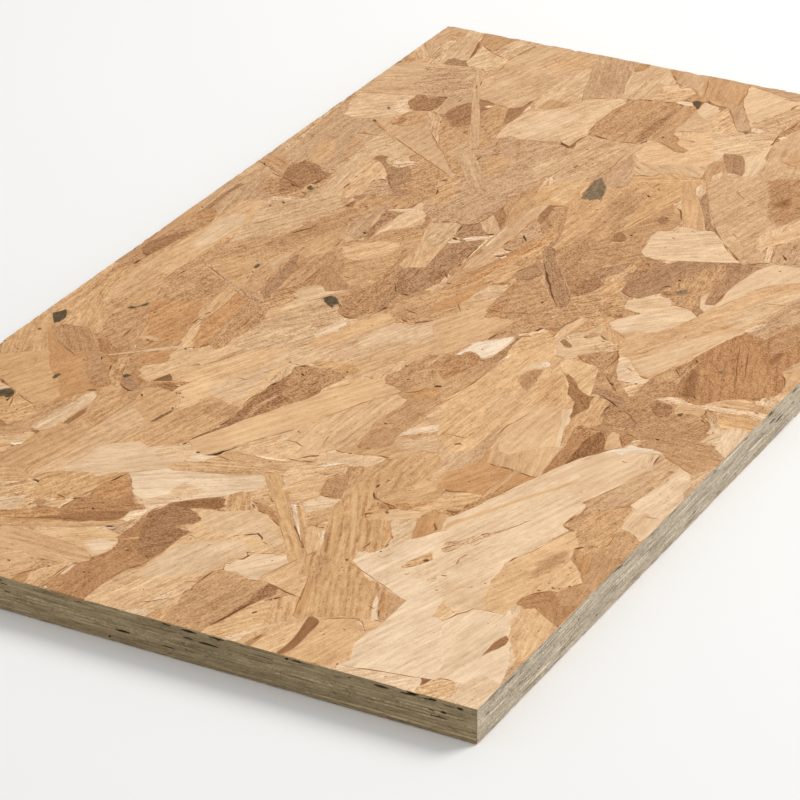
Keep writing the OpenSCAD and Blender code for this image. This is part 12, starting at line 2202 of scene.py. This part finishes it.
def corner_data(V, F, fid, strands, T):
    tone = T[F]
    fig = np.empty((len(F), 3, 3))
    uv = np.empty((len(F), 3, 2))
    fig[:] = (0.2, 0.6, 1.0)
    uv[:] = V[F]
    for i in np.unique(fid):
        if i < 0:
            continue
        s = strands[i]
        t = fid == i
        fig[t] = s.fig
        c, n = math.cos(s.grain), math.sin(s.grain)
        p = V[F[t]]
        uv[t, :, 0] = p[..., 0] * c + p[..., 1] * n + s.shift[0]
        uv[t, :, 1] = -p[..., 0] * n + p[..., 1] * c + s.shift[1]
    return tone, fig, uv


def side_points(a, b, step):
    n = max(1, int(round((b - a) / step)))
    return np.linspace(a, b, n + 1)


def rectangle(step):
    xs, ys = side_points(X0, X1, step), side_points(Y0, Y1, step)
    return np.concatenate([
        np.stack([xs[:-1], np.full(len(xs) - 1, Y0)], -1),
        np.stack([np.full(len(ys) - 1, X1), ys[:-1]], -1),
        np.stack([xs[::-1][:-1], np.full(len(xs) - 1, Y1)], -1),
        np.stack([np.full(len(ys) - 1, X0), ys[::-1][:-1]], -1)])


def chipping(V, H, rng):
    """The saw lifts a little wood along the arris."""
    for axis, at in ((0, X0), (0, X1), (1, Y0), (1, Y1)):
        k = np.nonzero(np.abs(V[:, axis] - at) < 1e-3)[0]
        s = V[k, 1 - axis]
        drop = 0.05 + 0.10 * rng.random(len(k))
        for _ in range(int(np.ptp(s) / 9)):
            c, w, d = rng.uniform(s.min(), s.max()), rng.uniform(1.2, 5.0), rng.uniform(0.25, 0.80)
            drop = np.maximum(drop, d * np.clip(1.2 - np.abs(s - c) / w, 0, 1))
        H[k] = np.minimum(H[k], -drop * (Z1 - Z0) / 18.0)
    return H


def build_panel():
    rng = np.random.default_rng(40217)
    soup = Soup()
    border = rectangle(3.0)
    skins = {}
    for name, strands in (("upper", upper_face(rng)), ("lower", lower_face(rng))):
        V, F, fid, H, T = arrange(strands, (X0, Y0), (X1, Y1), border, TONES["P"])
        H = chipping(V, H, rng)
        tone, fig, uv = corner_data(V, F, fid, strands, T)
        rim = rims(V, F, fid, strands)
        at = np.stack([(V[:, 0] - X0) / (X1 - X0), (V[:, 1] - Y0) / (Y1 - Y0)], -1)
        if name == "upper":
            P = np.column_stack([V, Z1 + H])
            bake = at * (0.998, 0.595) + (0.001, 0.002)
            soup.add(P, F, tone, fig, rim, uv, bake[F], 0)
        else:
            P = np.column_stack([V, Z0 - H])
            bake = at * (0.998, 0.255) + (0.001, 0.602)
            soup.add(P, F[:, ::-1], tone[:, ::-1], fig[:, ::-1], rim[:, ::-1], uv[:, ::-1], bake[F[:, ::-1]], 0)
        skins[name] = P

    # Each sawn edge reaches from the upper arris to the lower one, on the same points.
    corner_z = {}
    row = 0.865
    for axis, at, out in ((1, Y0, -1), (1, Y1, 1), (0, X0, -1), (0, X1, 1)):
        s_axis = 1 - axis
        lines = []
        for name in ("lower", "upper"):
            P = skins[name]
            q = P[np.abs(P[:, axis] - at) < 1e-3]
            q = q[np.argsort(q[:, s_axis])]
            lines.append(np.stack([q[:, s_axis], q[:, 2]], -1))
        low, up = lines
        s0, s1 = low[0, 0], low[-1, 0]
        zs = np.array([3.0, 6.0, 9.0, 12.0, 15.0]) / 18.0 * (Z1 - Z0) + Z0
        right = np.stack([np.full(5, s1), zs], -1)
        left = np.stack([np.full(5, s0), zs[::-1]], -1)
        ring = np.concatenate([low, right, up[::-1], left])
        long_side = axis == 1
        strands = sawn_edge(rng, s0, s1, SAWN_LONG_LIT if long_side else SAWN_SHORT_SHADED, 0.94 if long_side else 0.25)
        base = (SAWN_LONG_LIT if long_side else SAWN_SHORT_SHADED) * 0.8
        V, F, fid, H, T = arrange(strands, (s0, Z0), (s1, Z1), ring, base, step=0.12, floor=-0.1)
        # The outline of the edge face keeps its place; only the inside is cut back.
        on = np.zeros(len(V), bool)
        keys = {(round(float(a), 3), round(float(b), 3)) for a, b in ring}
        for k, (a, b) in enumerate(V):
            on[k] = (round(float(a), 3), round(float(b), 3)) in keys
        near = rim_distance_grid(V, ring)
        H = H * np.clip(near / 0.35, 0, 1)
        H[on] = 0.0
        tone, fig, uv = corner_data(V, F, fid, strands, T)
        rim = rims(V, F, fid, strands)
        P = np.empty((len(V), 3))
        P[:, s_axis] = V[:, 0]
        P[:, axis] = at + out * H
        P[:, 2] = V[:, 1]
        bake = np.empty((len(V), 2))
        bake[:, 0] = 0.001 + 0.998 * (V[:, 0] - s0) / (s1 - s0)
        bake[:, 1] = row + 0.028 * (V[:, 1] - Z0) / (Z1 - Z0)
        row += 0.033
        flip = (axis == 1 and out == 1) or (axis == 0 and out == -1)
        if flip:
            soup.add(P, F[:, ::-1], tone[:, ::-1], fig[:, ::-1], rim[:, ::-1], uv[:, ::-1], bake[F[:, ::-1]], 1)
        else:
            soup.add(P, F, tone, fig, rim, uv, bake[F], 1)
    return soup


def rim_distance_grid(V, ring):
    res = np.empty(len(V))
    for k in range(0, len(V), 1500):
        res[k:k + 1500] = rim_distance(V[k:k + 1500], ring)
    return res


def weld(P, F, tol=0.002):
    """Joins points that lie together; the triangles that close up are dropped by the caller."""
    cell = np.round(P / tol).astype(np.int64)
    order = np.lexsort(cell.T)
    sc = cell[order]
    new = np.ones(len(P), bool)
    new[1:] = (sc[1:] != sc[:-1]).any(1)
    group = np.empty(len(P), int)
    group[order] = np.cumsum(new) - 1
    first = order[new]
    return P[first], group[F]


def panel_object():
    soup = build_panel()
    P = np.concatenate(soup.P)
    F = np.concatenate(soup.F)
    tone, fig, rim, grain, bake, mat = (np.concatenate(a) for a in (soup.tone, soup.fig, soup.rim, soup.grain, soup.bake, soup.mat))
    P, F = weld(P, F)
    good = (F[:, 0] != F[:, 1]) & (F[:, 1] != F[:, 2]) & (F[:, 2] != F[:, 0])
    F, tone, fig, rim, grain, bake, mat = (a[good] for a in (F, tone, fig, rim, grain, bake, mat))
    used, F = np.unique(F, return_inverse=True)
    P, F = P[used], F.reshape(-1, 3)
    mesh = bpy.data.meshes.new("osb_strand_panel")
    mesh.from_pydata((P * 0.001).tolist(), [], F.tolist())
    n = len(F) * 3
    for name, data in (("grain", grain * 0.001), ("OFBake", bake)):
        layer = mesh.uv_layers.new(name=name)
        layer.data.foreach_set("uv", data.reshape(-1).astype(np.float32))
    for name, data in (("tone", tone), ("fig", fig)):
        layer = mesh.attributes.new(name, "FLOAT_COLOR", "CORNER")
        rgba = np.ones((n, 4), np.float32)
        rgba[:, :3] = data.reshape(n, 3)
        layer.data.foreach_set("color", rgba.reshape(-1))
    layer = mesh.attributes.new("rim", "FLOAT", "CORNER")
    layer.data.foreach_set("value", rim.reshape(-1).astype(np.float32))
    mesh.materials.append(strand_material())
    mesh.materials.append(sawn_material())
    mesh.polygons.foreach_set("material_index", mat.astype(np.int32))
    mesh.update()
    obj = bpy.data.objects.new("osb_strand_panel", mesh)
    bpy.context.scene.collection.objects.link(obj)
    return obj


# -------------------------------------------------------------- materials

class Nodes:
    """Short hand for building a node tree."""

    def __init__(self, mat):
        mat.use_nodes = True
        self.t = mat.node_tree
        self.t.nodes.clear()

    def node(self, kind, **props):
        n = self.t.nodes.new(kind)
        for k, v in props.items():
            setattr(n, k, v)
        return n

    def put(self, socket, value):
        if hasattr(value, "is_output"):
            self.t.links.new(value, socket)
        else:
            socket.default_value = value

    def math(self, op, a, b=0.0, c=None, clamp=False):
        n = self.node("ShaderNodeMath", operation=op, use_clamp=clamp)
        self.put(n.inputs[0], a)
        self.put(n.inputs[1], b)
        if c is not None:
            self.put(n.inputs[2], c)
        return n.outputs[0]

    def scaled(self, vec, s):
        n = self.node("ShaderNodeVectorMath", operation="MULTIPLY")
        self.put(n.inputs[0], vec)
        n.inputs[1].default_value = s
        return n.outputs[0]

    def noise(self, vec, s, detail=2.0, rough=0.5, lac=2.0, dist=0.0):
        n = self.node("ShaderNodeTexNoise", noise_dimensions="3D")
        self.put(n.inputs["Vector"], self.scaled(vec, s))
        n.inputs["Scale"].default_value = 1.0
        n.inputs["Detail"].default_value = detail
        n.inputs["Roughness"].default_value = rough
        n.inputs["Lacunarity"].default_value = lac
        n.inputs["Distortion"].default_value = dist
        return n.outputs["Fac"]

    def ramp(self, v, lo, hi, to_lo=0.0, to_hi=1.0, smooth=True):
        n = self.node("ShaderNodeMapRange", interpolation_type="SMOOTHSTEP" if smooth else "LINEAR")
        self.put(n.inputs["Value"], v)
        n.inputs["From Min"].default_value = lo
        n.inputs["From Max"].default_value = hi
        n.inputs["To Min"].default_value = to_lo
        n.inputs["To Max"].default_value = to_hi
        return n.outputs["Result"]

    def mix(self, f, a, b, kind="MIX"):
        n = self.node("ShaderNodeMix", data_type="RGBA", blend_type=kind, clamp_factor=True, clamp_result=False)
        self.put(n.inputs["Factor"], f)
        self.put(n.inputs[6], a)
        self.put(n.inputs[7], b)
        return n.outputs[2]


def col(c):
    return (float(c[0]), float(c[1]), float(c[2]), 1.0)


def strand_material():
    mat = bpy.data.materials.new("strand_faces")
    k = Nodes(mat)
    uv = k.node("ShaderNodeUVMap", uv_map="grain").outputs["UV"]
    mm = k.scaled(uv, (1000.0, 1000.0, 0.0))
    tone = k.node("ShaderNodeAttribute", attribute_name="tone").outputs["Color"]
    fig = k.node("ShaderNodeSeparateColor")
    k.put(fig.inputs[0], k.node("ShaderNodeAttribute", attribute_name="fig").outputs["Color"])
    band, speck, pitch = fig.outputs[0], fig.outputs[1], fig.outputs[2]
    rim = k.node("ShaderNodeAttribute", attribute_name="rim").outputs["Fac"]

    fibre = k.noise(mm, (0.14, 1.25, 0.0), 2.0, 0.6)
    streak = k.noise(mm, (0.030, 0.30, 0.0), 3.0, 0.6)
    pepper = k.noise(mm, (0.75, 1.15, 0.0), 2.0, 0.7)
    mottle = k.noise(mm, (0.20, 0.36, 0.0), 3.0, 0.6)
    blotch = k.noise(mm, (0.030, 0.055, 0.0), 2.0, 0.5)
    lines = k.noise(mm, (0.045, 0.62, 0.0), 2.0, 0.6)
    fleck = k.ramp(k.noise(mm, (0.24, 0.80, 0.0), 2.0, 0.55), 0.61, 0.73)
    check = k.ramp(k.noise(mm, (0.050, 0.90, 0.0), 2.0, 0.5), 0.66, 0.74)
    spot = k.ramp(k.noise(mm, (0.42, 0.62, 0.0), 1.0, 0.5), 0.69, 0.77)

    # Growth bands: late wood lines that wander along the strand.
    sep = k.node("ShaderNodeSeparateXYZ")
    k.put(sep.inputs[0], mm)
    wander = k.noise(mm, (0.014, 0.045, 0.0), 3.0, 0.55)
    phase = k.math("MULTIPLY_ADD", wander, 14.0, k.math("MULTIPLY", sep.outputs[1], k.math("MULTIPLY", pitch, 1.3)))
    wave = k.math("SINE", phase)
    late = k.math("MULTIPLY", k.math("POWER", k.math("MULTIPLY_ADD", wave, 0.5, 0.5), 2.0), k.ramp(mottle, 0.3, 0.6, 0.25, 1.0))

    t = k.math("MULTIPLY_ADD", k.math("SUBTRACT", fibre, 0.5), 0.34, 0.42)
    t = k.math("MULTIPLY_ADD", k.math("SUBTRACT", streak, 0.5), 0.60, t)
    t = k.math("MULTIPLY_ADD", k.math("SUBTRACT", blotch, 0.5), 0.50, t)
    parts = k.node("ShaderNodeSeparateColor")
    k.put(parts.inputs[0], tone)
    grain = k.math("MULTIPLY", k.math("SUBTRACT", mottle, 0.5), 0.80)
    grain = k.math("MULTIPLY_ADD", k.math("SUBTRACT", pepper, 0.5), k.ramp(parts.outputs[0], 0.42, 0.72, 1.85, 1.0), grain)
    grain = k.math("MULTIPLY_ADD", k.math("SUBTRACT", lines, 0.5), k.ramp(parts.outputs[0], 0.42, 0.72, 0.25, 1.0), grain)
    grain = k.math("MULTIPLY_ADD", fleck, 0.22, grain)
    grain = k.math("MULTIPLY_ADD", spot, 0.70, grain)
    t = k.math("MULTIPLY_ADD", grain, speck, t)
    t = k.math("MULTIPLY_ADD", check, 0.30, t)
    t = k.math("MULTIPLY_ADD", k.math("MULTIPLY", late, band), 0.30, t, clamp=True)
    shade = k.mix(t, (1.36, 1.42, 1.42, 1.0), (0.56, 0.42, 0.30, 1.0))
    colour = k.mix(1.0, tone, shade, "MULTIPLY")

    # Painted shade along each strand's outline, partly real grime in the joint, broken up by noise.
    broken = k.ramp(k.noise(mm, (0.09, 0.11, 0.0), 2.0, 0.6), 0.36, 0.60)
    dark = k.math("MULTIPLY", k.math("POWER", rim, 1.3), broken, clamp=True)
    colour = k.mix(dark, colour, col(lin(128, 86, 52)))

    rough = k.math("MULTIPLY_ADD", fibre, 0.16, k.math("MULTIPLY_ADD", pepper, 0.12, 0.50))
    height = k.math("MULTIPLY_ADD", fibre, 0.6, k.math("MULTIPLY_ADD", pepper, 0.5, k.math("MULTIPLY", fleck, -0.4)))
    bump = k.node("ShaderNodeBump")
    bump.inputs["Strength"].default_value = 0.22
    bump.inputs["Distance"].default_value = 0.00025
    k.put(bump.inputs["Height"], height)

    bsdf = k.node("ShaderNodeBsdfPrincipled")
    bsdf.inputs["Specular IOR Level"].default_value = 0.10
    k.put(bsdf.inputs["Base Color"], colour)
    k.put(bsdf.inputs["Roughness"], rough)
    k.put(bsdf.inputs["Normal"], bump.outputs["Normal"])
    out = k.node("ShaderNodeOutputMaterial")
    k.put(out.inputs["Surface"], bsdf.outputs["BSDF"])
    return mat


def sawn_material():
    mat = bpy.data.materials.new("sawn_edges")
    k = Nodes(mat)
    uv = k.node("ShaderNodeUVMap", uv_map="grain").outputs["UV"]
    mm = k.scaled(uv, (1000.0, 1000.0, 0.0))
    tone = k.node("ShaderNodeAttribute", attribute_name="tone").outputs["Color"]
    fig = k.node("ShaderNodeSeparateColor")
    k.put(fig.inputs[0], k.node("ShaderNodeAttribute", attribute_name="fig").outputs["Color"])
    ends = fig.outputs[0]
    rim = k.node("ShaderNodeAttribute", attribute_name="rim").outputs["Fac"]

    streak = k.noise(mm, (0.055, 0.75, 0.0), 3.0, 0.65)
    grit = k.noise(mm, (0.55, 0.75, 0.0), 3.0, 0.7)
    blotch = k.noise(mm, (0.05, 0.2, 0.0), 2.0, 0.5)
    # Dark pores, sunk a little by the bump below and painted dark as the shade in them.
    hole = k.ramp(k.noise(mm, (0.20, 0.62, 0.0), 2.0, 0.6), 0.59, 0.69)
    fleck = k.ramp(k.noise(k.scaled(mm, (1.0, 1.0, 0.0)), (0.40, 0.80, 0.0), 1.0, 0.5), 0.64, 0.76)

    # Dark pits, painted dark as the shade in them.
    pit = k.ramp(k.noise(mm, (0.42, 0.52, 0.0), 2.0, 0.6), 0.60, 0.69)
    t = k.math("MULTIPLY_ADD", k.math("SUBTRACT", streak, 0.5), k.math("MULTIPLY_ADD", ends, -1.1, 1.6), 0.5)
    t = k.math("MULTIPLY_ADD", k.math("SUBTRACT", blotch, 0.5), 1.4, t)
    t = k.math("MULTIPLY_ADD", k.math("MULTIPLY", k.math("SUBTRACT", grit, 0.5), k.math("ADD", ends, 0.5)), 1.3, t, clamp=True)
    shade = k.mix(t, (1.34, 1.34, 1.36, 1.0), (0.52, 0.49, 0.43, 1.0))
    colour = k.mix(1.0, tone, shade, "MULTIPLY")
    colour = k.mix(k.math("MULTIPLY", fleck, 0.35), colour, col(lin(214, 200, 170)))
    colour = k.mix(k.math("MULTIPLY", hole, k.math("MULTIPLY_ADD", ends, -0.45, 0.50), clamp=True), colour, col(lin(70, 58, 42)))
    colour = k.mix(k.math("MULTIPLY", pit, k.math("MULTIPLY", ends, 0.62), clamp=True), colour, col(lin(92, 80, 62)))
    # Painted shade along the outlines of the cut sections and of the saw's gaps.
    colour = k.mix(k.math("MULTIPLY", rim, 0.55, clamp=True), colour, col(lin(66, 55, 40)))

    rough = k.math("MULTIPLY_ADD", grit, 0.2, 0.62)
    height = k.math("MULTIPLY_ADD", streak, 0.6, k.math("MULTIPLY_ADD", grit, 0.6, k.math("MULTIPLY", hole, -0.8)))
    bump = k.node("ShaderNodeBump")
    bump.inputs["Strength"].default_value = 0.5
    bump.inputs["Distance"].default_value = 0.0004
    k.put(bump.inputs["Height"], height)
    bsdf = k.node("ShaderNodeBsdfPrincipled")
    bsdf.inputs["Specular IOR Level"].default_value = 0.2
    k.put(bsdf.inputs["Base Color"], colour)
    k.put(bsdf.inputs["Roughness"], rough)
    k.put(bsdf.inputs["Normal"], bump.outputs["Normal"])
    out = k.node("ShaderNodeOutputMaterial")
    k.put(out.inputs["Surface"], bsdf.outputs["BSDF"])
    return mat


def floor_material():
    mat = bpy.data.materials.new("studio_floor")
    k = Nodes(mat)
    pos = k.node("ShaderNodeTexCoord").outputs["Object"]
    soft = k.noise(pos, (3.0, 3.0, 0.0), 2.0, 0.5)
    colour = k.mix(soft, col((0.93, 0.93, 0.925)), col((0.95, 0.95, 0.945)))
    bsdf = k.node("ShaderNodeBsdfPrincipled")
    bsdf.inputs["Roughness"].default_value = 0.9
    bsdf.inputs["Specular IOR Level"].default_value = 0.1
    k.put(bsdf.inputs["Base Color"], colour)
    out = k.node("ShaderNodeOutputMaterial")
    k.put(out.inputs["Surface"], bsdf.outputs["BSDF"])
    return mat


# ------------------------------------------------------------------ scene

panel = panel_object()
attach(panel, "root")
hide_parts("osb_panel")

floor_mesh = bpy.data.meshes.new("studio_floor")
R = 6.0
floor_mesh.from_pydata([(-R, -R, 0), (R, -R, 0), (R, R, 0), (-R, R, 0)], [], [(0, 1, 2, 3)])
floor_mesh.materials.append(floor_material())
floor = bpy.data.objects.new("studio_floor", floor_mesh)
floor.location.z = Z0 * 0.001 - 0.0002
bpy.context.scene.collection.objects.link(floor)

scene = bpy.context.scene
scene.view_settings.view_transform = "Standard"
world = bpy.data.worlds.new("studio")
scene.world = world
world.use_nodes = True
world.node_tree.nodes["Background"].inputs["Color"].default_value = (1.0, 0.995, 0.985, 1.0)
world.node_tree.nodes["Background"].inputs["Strength"].default_value = 0.60


def soft_box(name, toward, distance, size, power, colour=(1.0, 1.0, 1.0)):
    light = bpy.data.lights.new(name, "AREA")
    light.shape = "DISK"
    light.size = size
    light.energy = power
    light.color = colour
    obj = bpy.data.objects.new(name, light)
    d = Vector(toward).normalized()
    obj.location = d * distance
    obj.rotation_euler = d.to_track_quat("Z", "Y").to_euler()
    scene.collection.objects.link(obj)
    return obj


soft_box("key", (0.62, -0.52, 0.72), 3.2, 1.6, 68.0, (1.0, 0.985, 0.96))

# Camera of the photograph: a long lens, looking down on the near corner.
eye = Vector((-1.561131, -0.833495, 0.883876))
right = Vector((0.481313, -0.876465, -0.012108))
down = Vector((-0.409497, -0.212621, -0.887189))
ahead = Vector((0.775016, 0.431973, -0.461247))
cam = bpy.data.cameras.new("camera")
cam.sensor_width = 36.0
cam.lens = 170.519
cam.clip_start = 0.05
cam.clip_end = 50.0
camera = bpy.data.objects.new("camera", cam)
camera.matrix_world = Matrix((
    (right.x, -down.x, -ahead.x, eye.x),
    (right.y, -down.y, -ahead.y, eye.y),
    (right.z, -down.z, -ahead.z, eye.z),
    (0.0, 0.0, 0.0, 1.0)))
scene.collection.objects.link(camera)
scene.camera = camera
